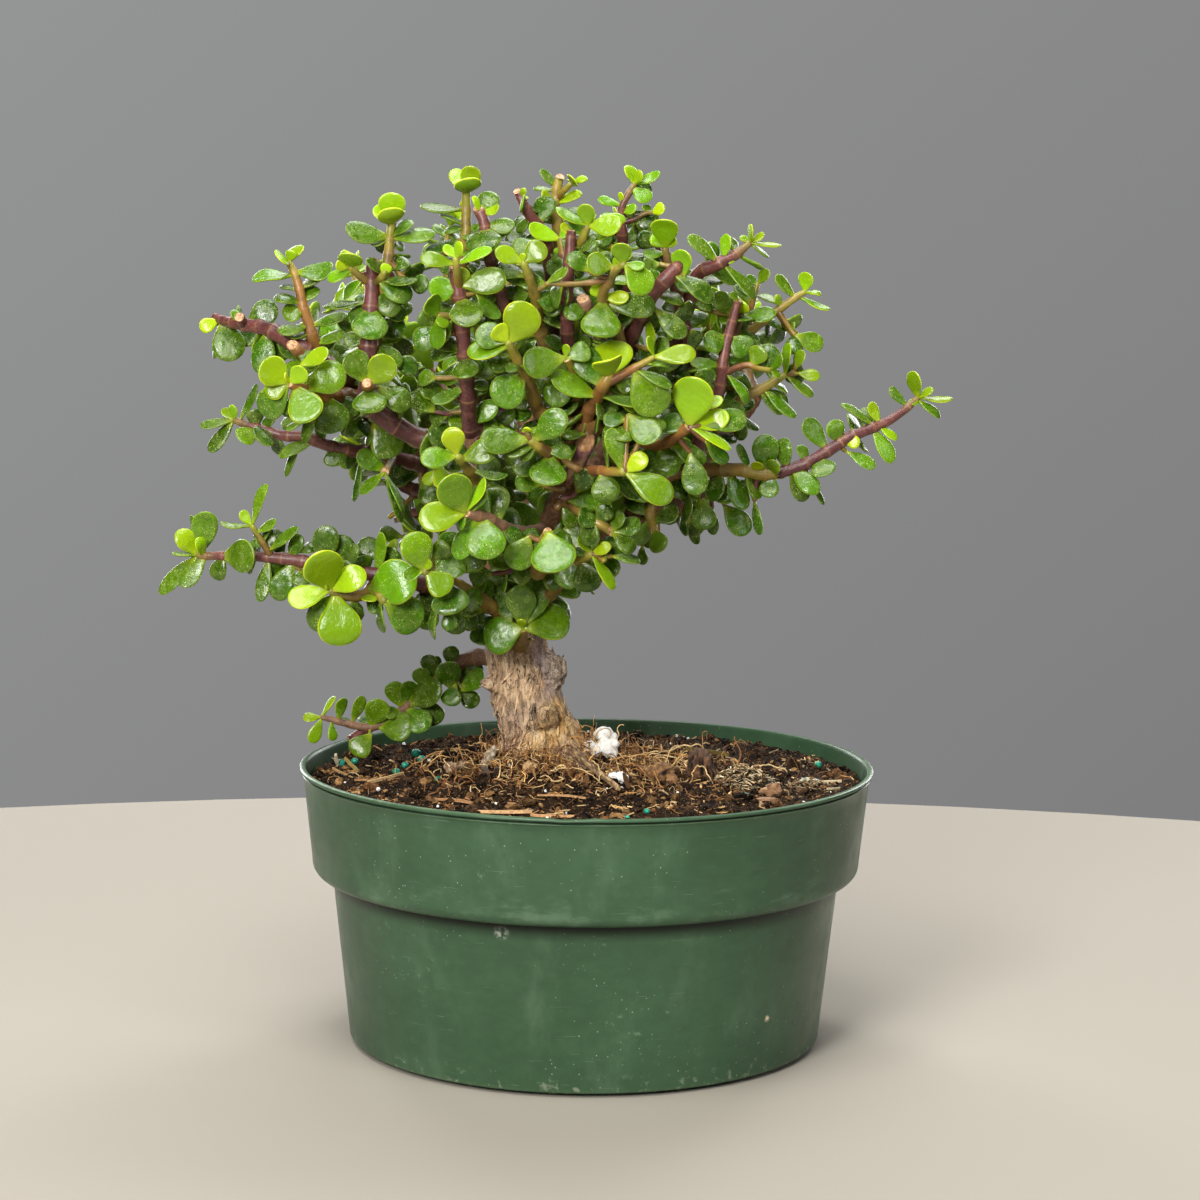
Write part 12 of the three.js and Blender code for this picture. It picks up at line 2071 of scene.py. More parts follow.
# ---------------------------------------------------------------- meshes
class Bag:
    """Vertices, faces and point attributes gathered for one mesh."""

    def __init__(self, *names):
        self.v, self.q, self.t, self.n = [], [], [], 0
        self.names = names
        self.cols = {k: [] for k in names}

    def add(self, v, quads=None, tris=None, **cols):
        v = np.asarray(v, float)
        if quads is not None and len(quads):
            self.q.append(np.asarray(quads, np.int64) + self.n)
        if tris is not None and len(tris):
            self.t.append(np.asarray(tris, np.int64) + self.n)
        self.v.append(v)
        for k in self.names:
            c = np.asarray(cols[k], float)
            if c.ndim == 1:
                c = np.tile(c, (len(v), 1))
            self.cols[k].append(c)
        self.n += len(v)

    def build(self, name, mat, body="root", smooth=True, sharp=None):
        v = np.vstack(self.v)
        q = np.vstack(self.q) if self.q else np.zeros((0, 4), np.int64)
        t = np.vstack(self.t) if self.t else np.zeros((0, 3), np.int64)
        return mesh(name, v, q, t, {k: np.vstack(c) for k, c in self.cols.items()}, mat, body, smooth)


def mesh(name, v, quads, tris, cols, mat, body="root", smooth=True):
    me = bpy.data.meshes.new(name)
    nq, nt = len(quads), len(tris)
    me.vertices.add(len(v))
    me.vertices.foreach_set("co", (np.asarray(v, float) * 0.001).astype(np.float32).ravel())
    loops = np.concatenate([np.asarray(quads, np.int64).ravel(), np.asarray(tris, np.int64).ravel()]).astype(np.int32)
    me.loops.add(len(loops))
    me.loops.foreach_set("vertex_index", loops)
    me.polygons.add(nq + nt)
    starts = np.concatenate([np.arange(nq) * 4, nq * 4 + np.arange(nt) * 3]).astype(np.int32)
    me.polygons.foreach_set("loop_start", starts)
    me.update(calc_edges=True)
    me.polygons.foreach_set("use_smooth", np.full(nq + nt, bool(smooth)))
    for k, c in cols.items():
        a = me.attributes.new(k, "FLOAT_COLOR", "POINT")
        c = np.asarray(c, float)
        if c.shape[1] == 3:
            c = np.hstack([c, np.ones((len(c), 1))])
        a.data.foreach_set("color", c.astype(np.float32).ravel())
    me.update()
    o = bpy.data.objects.new(name, me)
    bpy.context.scene.collection.objects.link(o)
    for m in (mat if isinstance(mat, (list, tuple)) else [mat]):
        me.materials.append(m)
    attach(o, body)
    return o


def stands_for(obj, *nodes):
    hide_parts(*[n for n in nodes if n in NODES])


def ring_quads(rings, sides, closed=True):
    i = np.arange(rings - 1)[:, None]
    j = np.arange(sides)[None, :]
    k = (j + 1) % sides
    return np.stack([i * sides + j, i * sides + k, (i + 1) * sides + k, (i + 1) * sides + j], -1).reshape(-1, 4)


def tube(c, r, sides, wob=None, cap0=True, cap1=True, dome=0.5):
    """A closed tube round the centre line c with the radii r, its ends capped with a low dome.
    Returns vertices, quads, tris and for each vertex its place along the line (0 to 1)."""
    c = np.asarray(c, float)
    r = np.asarray(r, float)
    t, n, b = frames(c)
    a = np.arange(sides) / sides * 2 * math.pi
    rr = r[:, None] * (1 if wob is None else wob)
    v = c[:, None, :] + rr[..., None] * (np.cos(a)[None, :, None] * n[:, None, :] + np.sin(a)[None, :, None] * b[:, None, :])
    m = len(c)
    quads = ring_quads(m, sides)
    v = v.reshape(-1, 3)
    s = np.repeat(np.linspace(0, 1, m), sides)
    p0 = c[0] - t[0] * r[0] * dome
    p1 = c[-1] + t[-1] * r[-1] * dome
    v = np.vstack([v, p0, p1])
    s = np.concatenate([s, [0, 1]])
    j = np.arange(sides)
    k = (j + 1) % sides
    i0, i1 = m * sides, m * sides + 1
    tris = np.vstack([np.stack([np.full(sides, i0), k, j], -1), np.stack([np.full(sides, i1), (m - 1) * sides + j, (m - 1) * sides + k], -1)])
    return v, quads, tris, s


_ico = {}


def ico(level):
    if level not in _ico:
        g = (1 + 5 ** 0.5) / 2
        v = [(-1, g, 0), (1, g, 0), (-1, -g, 0), (1, -g, 0), (0, -1, g), (0, 1, g), (0, -1, -g), (0, 1, -g), (g, 0, -1), (g, 0, 1), (-g, 0, -1), (-g, 0, 1)]
        f = [(0, 11, 5), (0, 5, 1), (0, 1, 7), (0, 7, 10), (0, 10, 11), (1, 5, 9), (5, 11, 4), (11, 10, 2), (10, 7, 6), (7, 1, 8), (3, 9, 4), (3, 4, 2), (3, 2, 6), (3, 6, 8), (3, 8, 9), (4, 9, 5), (2, 4, 11), (6, 2, 10), (8, 6, 7), (9, 8, 1)]
        v = [unit(p) for p in v]
        for _ in range(level):
            mid, nf = {}, []

            def m(a, b):
                key = (min(a, b), max(a, b))
                if key not in mid:
                    mid[key] = len(v)
                    v.append(unit(v[a] + v[b]))
                return mid[key]

            for a, b, c in f:
                x, y, z = m(a, b), m(b, c), m(c, a)
                nf += [(a, x, z), (b, y, x), (c, z, y), (x, y, z)]
            f = nf
        _ico[level] = (np.array(v), np.array(f))
    return _ico[level]


# ---------------------------------------------------------------- materials
class Mat:
    def __init__(self, name):
        self.m = bpy.data.materials.new(name)
        self.m.use_nodes = True
        self.t = self.m.node_tree
        self.t.nodes.clear()
        self.out = self.t.nodes.new("ShaderNodeOutputMaterial")
        self.b = self.t.nodes.new("ShaderNodeBsdfPrincipled")
        self.link(self.b.outputs[0], self.out.inputs[0])
        self.obj = None

    def link(self, a, b):
        self.t.links.new(a, b)
        return b

    def put(self, sock, v):
        if isinstance(v, bpy.types.NodeSocket):
            self.link(v, sock)
        elif isinstance(v, (int, float)) or not hasattr(sock.default_value, "__len__"):
            sock.default_value = v
        else:
            n = len(sock.default_value)
            sock.default_value = tuple(v)[:n] if len(v) >= n else tuple(v) + (1.0,) * (n - len(v))

    def coord(self):
        if self.obj is None:
            self.obj = self.t.nodes.new("ShaderNodeTexCoord").outputs["Object"]
        return self.obj

    def attr(self, name):
        n = self.t.nodes.new("ShaderNodeAttribute")
        n.attribute_name = name
        return n.outputs["Color"]

    def split(self, col):
        n = self.t.nodes.new("ShaderNodeSeparateColor")
        self.link(col, n.inputs[0])
        return n.outputs[0], n.outputs[1], n.outputs[2]

    def noise(self, scale, detail=3.0, rough=0.5, vec=None, dist=0.0, out=0):
        n = self.t.nodes.new("ShaderNodeTexNoise")
        self.link(vec if vec is not None else self.coord(), n.inputs["Vector"])
        n.inputs["Scale"].default_value = scale
        n.inputs["Detail"].default_value = detail
        n.inputs["Roughness"].default_value = rough
        n.inputs["Distortion"].default_value = dist
        return n.outputs[out]

    def voronoi(self, scale, feature="F1", vec=None, rand=1.0, out="Distance"):
        n = self.t.nodes.new("ShaderNodeTexVoronoi")
        n.feature = feature
        self.link(vec if vec is not None else self.coord(), n.inputs["Vector"])
        n.inputs["Scale"].default_value = scale
        n.inputs["Randomness"].default_value = rand
        return n.outputs[out]

    def scaled(self, sx, sy, sz, vec=None, rot=(0, 0, 0)):
        n = self.t.nodes.new("ShaderNodeMapping")
        self.link(vec if vec is not None else self.coord(), n.inputs["Vector"])
        n.inputs["Scale"].default_value = (sx, sy, sz)
        n.inputs["Rotation"].default_value = rot
        return n.outputs[0]

    def math(self, op, a, b=0.0, c=0.0, clamp=False):
        n = self.t.nodes.new("ShaderNodeMath")
        n.operation = op
        n.use_clamp = clamp
        for s, v in zip(n.inputs, (a, b, c)):
            self.put(s, v)
        return n.outputs[0]

    def mul(self, a, b):
        return self.math("MULTIPLY", a, b)

    def add(self, a, b):
        return self.math("ADD", a, b)

    def step(self, v, lo, hi, a=0.0, b=1.0):
        n = self.t.nodes.new("ShaderNodeMapRange")
        n.interpolation_type = "SMOOTHSTEP"
        self.put(n.inputs[0], v)
        n.inputs[1].default_value, n.inputs[2].default_value = lo, hi
        n.inputs[3].default_value, n.inputs[4].default_value = a, b
        return n.outputs[0]

    def ramp(self, v, stops, mode="LINEAR"):
        n = self.t.nodes.new("ShaderNodeValToRGB")
        self.link(v, n.inputs[0])
        cr = n.color_ramp
        cr.interpolation = mode
        cr.elements[0].position, cr.elements[0].color = stops[0][0], stops[0][1]
        cr.elements[1].position, cr.elements[1].color = stops[-1][0], stops[-1][1]
        for p, c in stops[1:-1]:
            e = cr.elements.new(p)
            e.color = c
        return n.outputs[0]

    def mix(self, f, a, b, mode="MIX"):
        n = self.t.nodes.new("ShaderNodeMix")
        n.data_type = "RGBA"
        n.blend_type = mode
        self.put(n.inputs["Factor"], f)
        self.put(n.inputs[6], a)
        self.put(n.inputs[7], b)
        return n.outputs[2]

    def hsv(self, col, h=0.5, s=1.0, v=1.0):
        n = self.t.nodes.new("ShaderNodeHueSaturation")
        self.put(n.inputs["Hue"], h)
        self.put(n.inputs["Saturation"], s)
        self.put(n.inputs["Value"], v)
        self.put(n.inputs["Color"], col)
        return n.outputs[0]

    def bump(self, h, strength, dist, normal=None):
        n = self.t.nodes.new("ShaderNodeBump")
        n.inputs["Strength"].default_value = strength
        n.inputs["Distance"].default_value = dist
        self.link(h, n.inputs["Height"])
        if normal is not None:
            self.link(normal, n.inputs["Normal"])
        return n.outputs[0]

    def near(self, x, y, z, r, soft):
        """1 inside radius r (mm) of a point, falling to 0 over soft."""
        n = self.t.nodes.new("ShaderNodeVectorMath")
        n.operation = "DISTANCE"
        self.link(self.coord(), n.inputs[0])
        n.inputs[1].default_value = (x * 0.001, y * 0.001, z * 0.001)
        return self.step(n.outputs["Value"], (r + soft) * 0.001, r * 0.001)

    def set(self, **k):
        names = {"color": "Base Color", "rough": "Roughness", "spec": "Specular IOR Level", "normal": "Normal", "metal": "Metallic", "sss": "Subsurface Weight", "coat": "Coat Weight", "coatrough": "Coat Roughness", "sheen": "Sheen Weight", "trans": "Transmission Weight"}
        for a, v in k.items():
            self.put(self.b.inputs[names[a]], v)
        return self.m


def leaf_material():
    m = Mat("jade_leaf")
    age, rnd, u = m.split(m.attr("leaf_a"))
    edge, upper, rnd2 = m.split(m.attr("leaf_b"))
    blotch = m.noise(230, 3, 0.55, None, 0.3)
    mott = m.noise(620, 3, 0.6)
    fine = m.noise(2100, 3, 0.6)
    grown = m.step(age, 0.15, 0.6, 0.15, 1.0)
    a = m.add(age, m.mul(m.mul(m.add(blotch, -0.5), 0.42), grown))
    base = m.ramp(a, [(0.0, rgb(150, 180, 15)), (0.14, rgb(122, 160, 12)), (0.30, rgb(97, 138, 11)), (0.50, rgb(74, 113, 11)), (0.72, rgb(54, 88, 11)), (1.0, rgb(36, 64, 10))])
    base = m.hsv(base, m.step(rnd2, 0.0, 1.0, 0.484, 0.510), 1.0, m.step(rnd, 0.0, 1.0, 0.68, 1.16))
    mott2 = m.add(0.5, m.mul(m.add(mott, -0.5), grown))
    base = m.hsv(base, 0.5, 1.0, m.step(mott2, 0.34, 0.66, 0.80, 1.20))
    grain = m.add(0.5, m.mul(m.add(fine, -0.5), grown))
    base = m.hsv(base, 0.5, 1.0, m.step(grain, 0.36, 0.64, 0.86, 1.14))
    # yellower towards the stalk
    basal = m.step(u, 0.34, 0.04)
    base = m.mix(m.mul(basal, 0.5), base, rgb(164, 176, 36))
    # dull bloom in patches on the upper faces of older leaves
    bloom = m.mul(m.mul(m.step(age, 0.22, 0.6), m.step(blotch, 0.42, 0.62)), upper)
    base = m.mix(m.mul(bloom, 0.30), base, rgb(112, 138, 42))
    # under faces and the thick margin are lighter and yellower
    under = m.math("SUBTRACT", 1.0, upper)
    base = m.mix(m.mul(under, 0.38), base, rgb(112, 146, 24))
    # pale specks of lime and dust
    dots = m.voronoi(1150)
    pick = m.noise(300, 3, 0.6)
    specks = m.mul(m.step(dots, 0.30, 0.14), m.step(pick, 0.46, 0.56))
    dots2 = m.voronoi(2300)
    specks = m.math("MAXIMUM", specks, m.mul(m.step(dots2, 0.30, 0.12), m.step(pick, 0.47, 0.57)))
    specks = m.mul(specks, m.step(m.add(age, m.mul(rnd, 0.3)), 0.22, 0.66))
    base = m.mix(m.mul(specks, 0.62), base, rgb(190, 204, 120))
    # a fine pale haze on older leaves: dust, partly a painted sheen
    haze = m.mul(m.mul(m.step(m.noise(3400, 2, 0.5), 0.54, 0.66), m.step(pick, 0.44, 0.60)), m.step(age, 0.25, 0.6))
    base = m.mix(m.mul(haze, 0.36), base, rgb(156, 180, 84))
    # bright yellow rim on young leaves, thin pale rim on old ones
    rimc = m.mix(m.step(age, 0.1, 0.5), rgb(214, 222, 40), rgb(150, 174, 46))
    base = m.mix(m.mul(m.step(edge, 0.45, 0.95), m.step(age, 0.15, 0.7, 0.85, 0.46)), base, rimc)
    rough = m.add(m.step(age, 0.1, 0.9, 0.22, 0.17), m.mul(m.add(fine, -0.5), 0.26))
    rough = m.add(rough, m.mul(specks, 0.35))
    rough = m.add(rough, m.mul(bloom, 0.20))
    rough = m.add(rough, m.mul(under, 0.14))
    n1 = m.bump(m.noise(210, 2, 0.5), 0.36, 0.0012)
    n2 = m.bump(mott, 0.30, 0.0004, n1)
    n3 = m.bump(fine, 0.26, 0.00016, n2)
    m.b.inputs["Subsurface Radius"].default_value = (0.6, 1.0, 0.08)
    m.b.inputs["Subsurface Scale"].default_value = 0.0015
    return m.set(color=base, rough=rough, spec=0.38, normal=n3, sss=0.08)


def stem_material():
    m = Mat("jade_stem")
    tint = m.attr("tint")
    ring, cut, wood = m.split(m.attr("stem_b"))
    n = m.noise(300, 4, 0.6)
    col = m.hsv(tint, 0.5, 1.0, m.step(n, 0.25, 0.75, 0.80, 1.18))
    fine = m.noise(1700, 3, 0.6)
    col = m.mix(m.mul(m.step(fine, 0.54, 0.68), m.add(0.20, m.mul(wood, 0.4))), col, rgb(172, 134, 104))
    blush = m.noise(170, 3, 0.6)
    col = m.mix(m.mul(m.step(blush, 0.52, 0.70), 0.34), col, rgb(150, 100, 74))
    col = m.mix(m.mul(m.step(blush, 0.46, 0.30), 0.5), col, rgb(52, 30, 29))
    col = m.mix(m.mul(ring, 0.55), col, rgb(164, 122, 78))
    face = m.mix(m.step(m.noise(1100, 3, 0.6), 0.42, 0.62), rgb(206, 166, 124), rgb(140, 96, 62))
    col = m.mix(cut, col, face)
    rough = m.add(0.33, m.mul(m.add(fine, -0.5), 0.25))
    rough = m.add(rough, m.mul(m.math("MAXIMUM", cut, wood), 0.28))
    n1 = m.bump(n, 0.30, 0.0006)
    n2 = m.bump(m.noise(1300, 4, 0.6), 0.25, 0.0003, n1)
    m.b.inputs["Subsurface Radius"].default_value = (1.0, 0.6, 0.3)
    m.b.inputs["Subsurface Scale"].default_value = 0.0006
    return m.set(color=col, rough=rough, spec=0.45, normal=n2, sss=0.08)


def bark_material():
    m = Mat("jade_bark")
    tint = m.attr("tint")
    crevice_painted_shade, rough, old = m.split(m.attr("bark"))
    along = m.scaled(1, 1, 0.35, rot=(0.0, -0.3, 0.0))
    long = m.scaled(1, 1, 0.22, rot=(0.0, -0.3, 0.0))
    n1 = m.noise(900, 4, 0.65, along)
    n2 = m.noise(330, 3, 0.6, along, 0.4)
    col = m.hsv(tint, 0.5, 1.0, m.step(n1, 0.30, 0.70, 0.62, 1.34))
    col = m.mix(m.mul(m.step(n2, 0.54, 0.66), m.mul(old, 0.50)), col, rgb(236, 210, 176))
    col = m.mix(m.mul(m.step(n2, 0.44, 0.34), m.mul(old, 0.55)), col, rgb(104, 74, 50))
    # thin dark cracks that run with the grain
    k1 = m.step(m.math("ABSOLUTE", m.add(m.noise(210, 4, 0.6, long, 0.5), -0.5)), 0.020, 0.006)
    k2 = m.step(m.math("ABSOLUTE", m.add(m.noise(480, 3, 0.6, along, 0.4), -0.5)), 0.022, 0.006)
    k1 = m.mul(k1, m.step(m.noise(120, 2, 0.5), 0.40, 0.55))
    k2 = m.mul(k2, m.step(m.noise(150, 2, 0.5), 0.46, 0.58))
    crack = m.mul(m.math("MAXIMUM", k1, m.mul(k2, 0.8)), m.step(old, 0.2, 0.8))
    col = m.mix(m.mul(crack, 0.85), col, rgb(58, 38, 26))
    # grain-fine specks, light and dark
    sp = m.noise(2600, 2, 0.5)
    col = m.mix(m.mul(m.step(sp, 0.60, 0.70), m.mul(old, 0.6)), col, rgb(246, 226, 196))
    col = m.mix(m.mul(m.step(sp, 0.38, 0.28), m.mul(old, 0.7)), col, rgb(86, 60, 42))
    b0 = m.bump(m.math("SUBTRACT", 1.0, crack), 0.8, 0.0006)
    b1 = m.bump(n1, 0.60, 0.0006, b0)
    b2 = m.bump(m.noise(2100, 4, 0.65), 0.55, 0.0003, b1)
    return m.set(color=col, rough=rough, spec=0.28, normal=b2)


def soil_material(name="potting_mix"):
    m = Mat(name)
    tint = m.attr("tint")
    n = m.noise(900, 5, 0.65)
    n2 = m.noise(280, 3, 0.55)
    col = m.hsv(tint, 0.5, 1.0, m.step(n, 0.28, 0.72, 0.34, 1.30))
    col = m.mix(m.mul(m.step(n2, 0.52, 0.64), 0.80), col, rgb(14, 9, 6))
    col = m.mix(m.mul(m.step(m.noise(1500, 2, 0.5), 0.62, 0.69), 0.65), col, rgb(176, 134, 88))
    b1 = m.bump(n, 0.8, 0.0008)
    return m.set(color=col, rough=0.95, spec=0.12, normal=b1)


def fibre_material(name, rough=0.75):
    m = Mat(name)
    tint = m.attr("tint")
    n = m.noise(1300, 4, 0.6)
    col = m.hsv(tint, 0.5, 1.0, m.step(n, 0.3, 0.7, 0.66, 1.25))
    b1 = m.bump(m.noise(2600, 3, 0.6), 0.5, 0.0003)
    return m.set(color=col, rough=rough, spec=0.3, normal=b1)


def perlite_material():
    m = Mat("perlite_white")
    n = m.noise(900, 5, 0.6)
    pits = m.voronoi(1400)
    col = m.mix(m.step(n, 0.36, 0.62), rgb(244, 240, 230), rgb(255, 254, 250))
    col = m.mix(m.mul(m.step(m.noise(420, 3, 0.6), 0.64, 0.72), 0.45), col, rgb(170, 142, 108))
    b1 = m.bump(pits, 0.35, 0.0004)
    b2 = m.bump(n, 0.3, 0.0003, b1)
    m.b.inputs["Subsurface Radius"].default_value = (1.0, 1.0, 1.0)
    m.b.inputs["Subsurface Scale"].default_value = 0.0015
    return m.set(color=col, rough=0.9, spec=0.3, normal=b2, sss=0.5)


def prill_material():
    m = Mat("fertiliser_teal")
    n = m.noise(900, 3, 0.5)
    col = m.mix(m.step(n, 0.3, 0.7), rgb(10, 104, 84), rgb(40, 162, 132))
    return m.set(color=col, rough=0.32, spec=0.5, normal=m.bump(n, 0.2, 0.0003))


def pot_material():
    m = Mat("green_pot_plastic")
    big = m.noise(16, 3, 0.5)
    haze = m.noise(48, 5, 0.62, m.scaled(1, 1, 0.5))
    mott = m.noise(150, 4, 0.6, m.scaled(1, 1, 1.6))
    col = m.mix(m.step(big, 0.3, 0.7), rgb(53, 79, 55), rgb(60, 88, 63))
    col = m.hsv(col, 0.5, 1.0, m.step(mott, 0.3, 0.7, 0.93, 1.07))
    edge, shade, _ = m.split(m.attr("pot_a"))
    # dusty film, fingermarks and fine scratches
    z = m.t.nodes.new("ShaderNodeSeparateXYZ")
    m.link(m.coord(), z.inputs[0])
    height = z.outputs[2]
    dust = m.mul(m.step(haze, 0.50, 0.78), 0.26)
    band = m.mul(m.step(height, 0.058, 0.062), m.step(height, 0.076, 0.063))
    dust = m.add(dust, m.mul(band, m.mul(m.step(m.noise(60, 4, 0.6, m.scaled(1, 1, 2.5)), 0.50, 0.70), 0.34)))
    col = m.mix(dust, col, rgb(112, 138, 112))
    scr = []
    for k, (rot, off) in enumerate([((0.10, 0.45, 0.0), 0.0), ((0.0, 1.15, 0.3), 3.0), ((0.0, -0.90, -0.2), 7.0), ((0.35, -0.25, 0.0), 11.0)]):
        v = m.scaled(90, 90, 2300, rot=rot)
        scr.append(m.mul(m.step(m.noise(1.0, 1, 0.4, v), 0.74, 0.78), m.step(m.noise(26 + 5 * k, 3, 0.6, m.scaled(1, 1, 1.0, rot=(off, 0, 0))), 0.52, 0.62)))
    lines = m.math("MAXIMUM", m.math("MAXIMUM", scr[0], scr[1]), m.math("MAXIMUM", scr[2], scr[3]))
    col = m.mix(m.mul(lines, 0.20), col, rgb(150, 170, 142))
    specks = m.mul(m.step(m.voronoi(420), 0.11, 0.05), m.step(m.noise(40, 3, 0.6), 0.46, 0.58))
    col = m.mix(m.mul(specks, 0.65), col, rgb(184, 196, 174))
    patches = m.mul(m.step(m.noise(330, 5, 0.7), 0.60, 0.68), m.step(m.noise(30, 3, 0.6), 0.54, 0.64))
    col = m.mix(m.mul(patches, 0.35), col, rgb(140, 164, 138))
    # chalk and dried splashes near the foot, a smudge and a chip
    low = m.step(height, 0.010, 0.0)
    chalk = m.mul(low, m.step(m.noise(260, 4, 0.65), 0.56, 0.68))
    col = m.mix(m.mul(chalk, 0.5), col, rgb(170, 178, 154))
    smudge = m.mul(m.near(-27.2, -85.5, 56.6, 0.8, 2.6), m.step(m.noise(700, 3, 0.6), 0.40, 0.58))
    col = m.mix(m.mul(smudge, 0.8), col, rgb(206, 212, 198))
    chip = m.mul(m.near(61.6, -58.4, 21.3, 0.8, 1.0), m.step(m.noise(900, 3, 0.6), 0.36, 0.5))
    col = m.mix(chip, col, rgb(222, 206, 176))
    # painted shade under the band and in the groove under the lip
    col = m.mix(m.mul(shade, 0.92), col, rgb(12, 17, 10))
    # lighter lip top (wear, partly a painted highlight), a painted highlight on the ledge below the lip groove, and a
    # paler foot edge
    col = m.mix(m.mul(edge, m.step(m.noise(240, 4, 0.6), 0.40, 0.75, 0.2, 0.7)), col, rgb(128, 146, 112))
    rough = m.add(m.step(m.noise(55, 4, 0.6), 0.3, 0.7, 0.28, 0.40), m.add(m.mul(lines, 0.25), m.mul(dust, 0.6)))
    n1 = m.bump(m.noise(28, 2, 0.5), 0.10, 0.002)
    n2 = m.bump(m.noise(1500, 2, 0.5), 0.05, 0.0002, n1)
    n3 = m.bump(lines, 0.15, 0.0002, n2)
    return m.set(color=col, rough=rough, spec=0.28, normal=n3)


LEAF = leaf_material()
STEM = stem_material()
BARK = bark_material()
SOIL = soil_material()
FIBRE = fibre_material("root_fibre")
WOODY = fibre_material("litter_bark", 0.85)
MOSS = fibre_material("dry_moss", 0.9)
PERLITE = perlite_material()
PRILL = prill_material()
POT = pot_material()

# ---------------------------------------------------------------- pot
POT_R = 101.5
CENTRE = np.array([0.0, 0.0])


def pot():
    def arc(cx, cz, r, a0, a1, n):
        a = np.radians(np.linspace(a0, a1, n))
        return [(cx + r * math.cos(x), cz + r * math.sin(x)) for x in a]

    def line(p, q, n):
        return [(p[0] + (q[0] - p[0]) * k / n, p[1] + (q[1] - p[1]) * k / n) for k in range(n)]

    prof = [(0.0, 0.25), (40.0, 0.25), (58.0, 0.25), (74.0, 0.1)]
    prof += [(79.6, 0.0), (80.2, 0.15), (80.5, 0.6), (80.5, 1.35), (81.4, 1.5), (82.8, 1.45)]
    prof += arc(83.0, 2.2, 0.72, -80, -5, 5)
    prof += line((83.8, 3.2), (89.65, 57.6), 14)
    prof += [(89.7, 58.4), (89.85, 59.2), (90.3, 59.85), (91.2, 60.1), (92.6, 60.1)]
    prof += arc(92.9, 64.1, 4.0, -78, -8, 8)
    prof += line((97.0, 65.6), (100.05, 94.3), 9)
    prof += [(100.10, 94.5), (100.30, 94.85), (100.62, 95.2), (100.74, 95.42), (100.66, 95.62), (100.3, 95.75), (99.95, 95.9), (99.9, 96.15), (100.2, 96.35), (100.9, 96.42)]
    prof += arc(100.72, 97.12, 0.74, -62, 80, 8)
    prof += [(100.3, 98.0), (99.75, 97.88), (99.4, 97.5), (99.2, 96.7)]
    inner = line((99.1, 95.6), (95.6, 68.0), 8) + [(95.2, 65.0), (93.6, 62.6), (90.4, 61.5), (88.6, 60.6), (88.2, 58.6)]
    inner += line((88.1, 57.4), (82.2, 5.0), 10) + [(81.6, 3.2), (79.8, 2.2), (76.0, 1.9), (60.0, 1.9), (40.0, 1.9), (0.0, 1.9)]
    prof = prof + inner
    prof = np.array(prof)
    m, n = len(prof), 168
    a = np.arange(n) / n * 2 * math.pi
    R, Z = prof[1:-1, 0], prof[1:-1, 1]
    rr = np.repeat(R[:, None], n, 1)
    zz = np.repeat(Z[:, None], n, 1)
    aa = np.repeat(a[None, :], len(R), 0)
    up = np.clip((zz - 20) / 78, 0, 1)
    rr = rr + up * (0.20 * np.cos(2 * aa + 0.6) + 0.12 * np.cos(3 * aa - 1.1)) * (rr > 70) - 0.15 * up * (rr > 70)
    zz = zz + 0.28 * np.clip((zz - 94) / 4, 0, 1) * np.cos(2 * aa - 0.8) - 0.28 * np.clip((zz - 94) / 4, 0, 1)
    # small kink that a knock left in the front of the lip
    front = (aa - math.radians(270 - 0.9) + math.pi) % (2 * math.pi) - math.pi
    kink = np.exp(-(front / math.radians(1.3)) ** 2) * np.clip((zz - 93.5) / 3, 0, 1)
    rr = rr - 0.75 * kink
    zz = zz - 0.42 * kink + 0.35 * np.exp(-((front - math.radians(2.4)) / math.radians(1.6)) ** 2) * np.clip((zz - 94.5) / 3, 0, 1) * 0.6
    dip = (aa - math.radians(270 - 3.9) + math.pi) % (2 * math.pi) - math.pi
    zz = zz - 0.42 * np.exp(-(dip / math.radians(1.4)) ** 2) * np.clip((zz - 95) / 1.5, 0, 1)
    v = np.stack([rr * np.cos(aa), rr * np.sin(aa), zz], -1).reshape(-1, 3)
    quads = ring_quads(len(R), n)
    v = np.vstack([v, [0, 0, prof[0][1]], [0, 0, prof[-1][1]]])
    j = np.arange(n)
    k = (j + 1) % n
    i0, i1 = len(R) * n, len(R) * n + 1
    tris = np.vstack([np.stack([np.full(n, i0), k, j], -1), np.stack([np.full(n, i1), (len(R) - 1) * n + j, (len(R) - 1) * n + k], -1)])
    # lip top lighter: wear, partly a painted highlight; the foot edge is paler
    edge = 0.55 * np.clip((v[:, 2] - 97.2) / 0.5, 0, 1) * np.clip((np.hypot(v[:, 0], v[:, 1]) - 99.5) / 0.5, 0, 1)
    low = np.clip((2.4 - v[:, 2]) / 0.8, 0, 1) * np.clip((np.hypot(v[:, 0], v[:, 1]) - 83.2) / 0.5, 0, 1)
    rad = np.hypot(v[:, 0], v[:, 1])
    # painted shade: a dark line under the band and in the groove under the lip bead
    band_underside_painted_shade = np.clip((rad - 89.0) / 0.3, 0, 1) * np.clip((94.4 - rad) / 0.8, 0, 1) * np.clip((v[:, 2] - 56.4) / 2.0, 0, 1) ** 0.6 * np.clip((60.9 - v[:, 2]) / 0.5, 0, 1)
    lip_groove_painted_shade = np.clip((rad - 99.6) / 0.15, 0, 1) * np.clip((96.45 - v[:, 2]) / 0.15, 0, 1) * np.clip((v[:, 2] - 95.55) / 0.15, 0, 1)
    # painted highlight on the ledge below the lip groove
    ledge_painted_highlight = np.exp(-((v[:, 2] - 95.42) / 0.28) ** 2) * np.clip((rad - 100.3) / 0.3, 0, 1)
    o = mesh("pot_shell", v, quads, tris, {"pot_a": np.stack([np.maximum(np.maximum(edge, 0.6 * low), ledge_painted_highlight), np.maximum(band_underside_painted_shade, 0.9 * lip_groove_painted_shade), edge * 0], -1)}, POT)
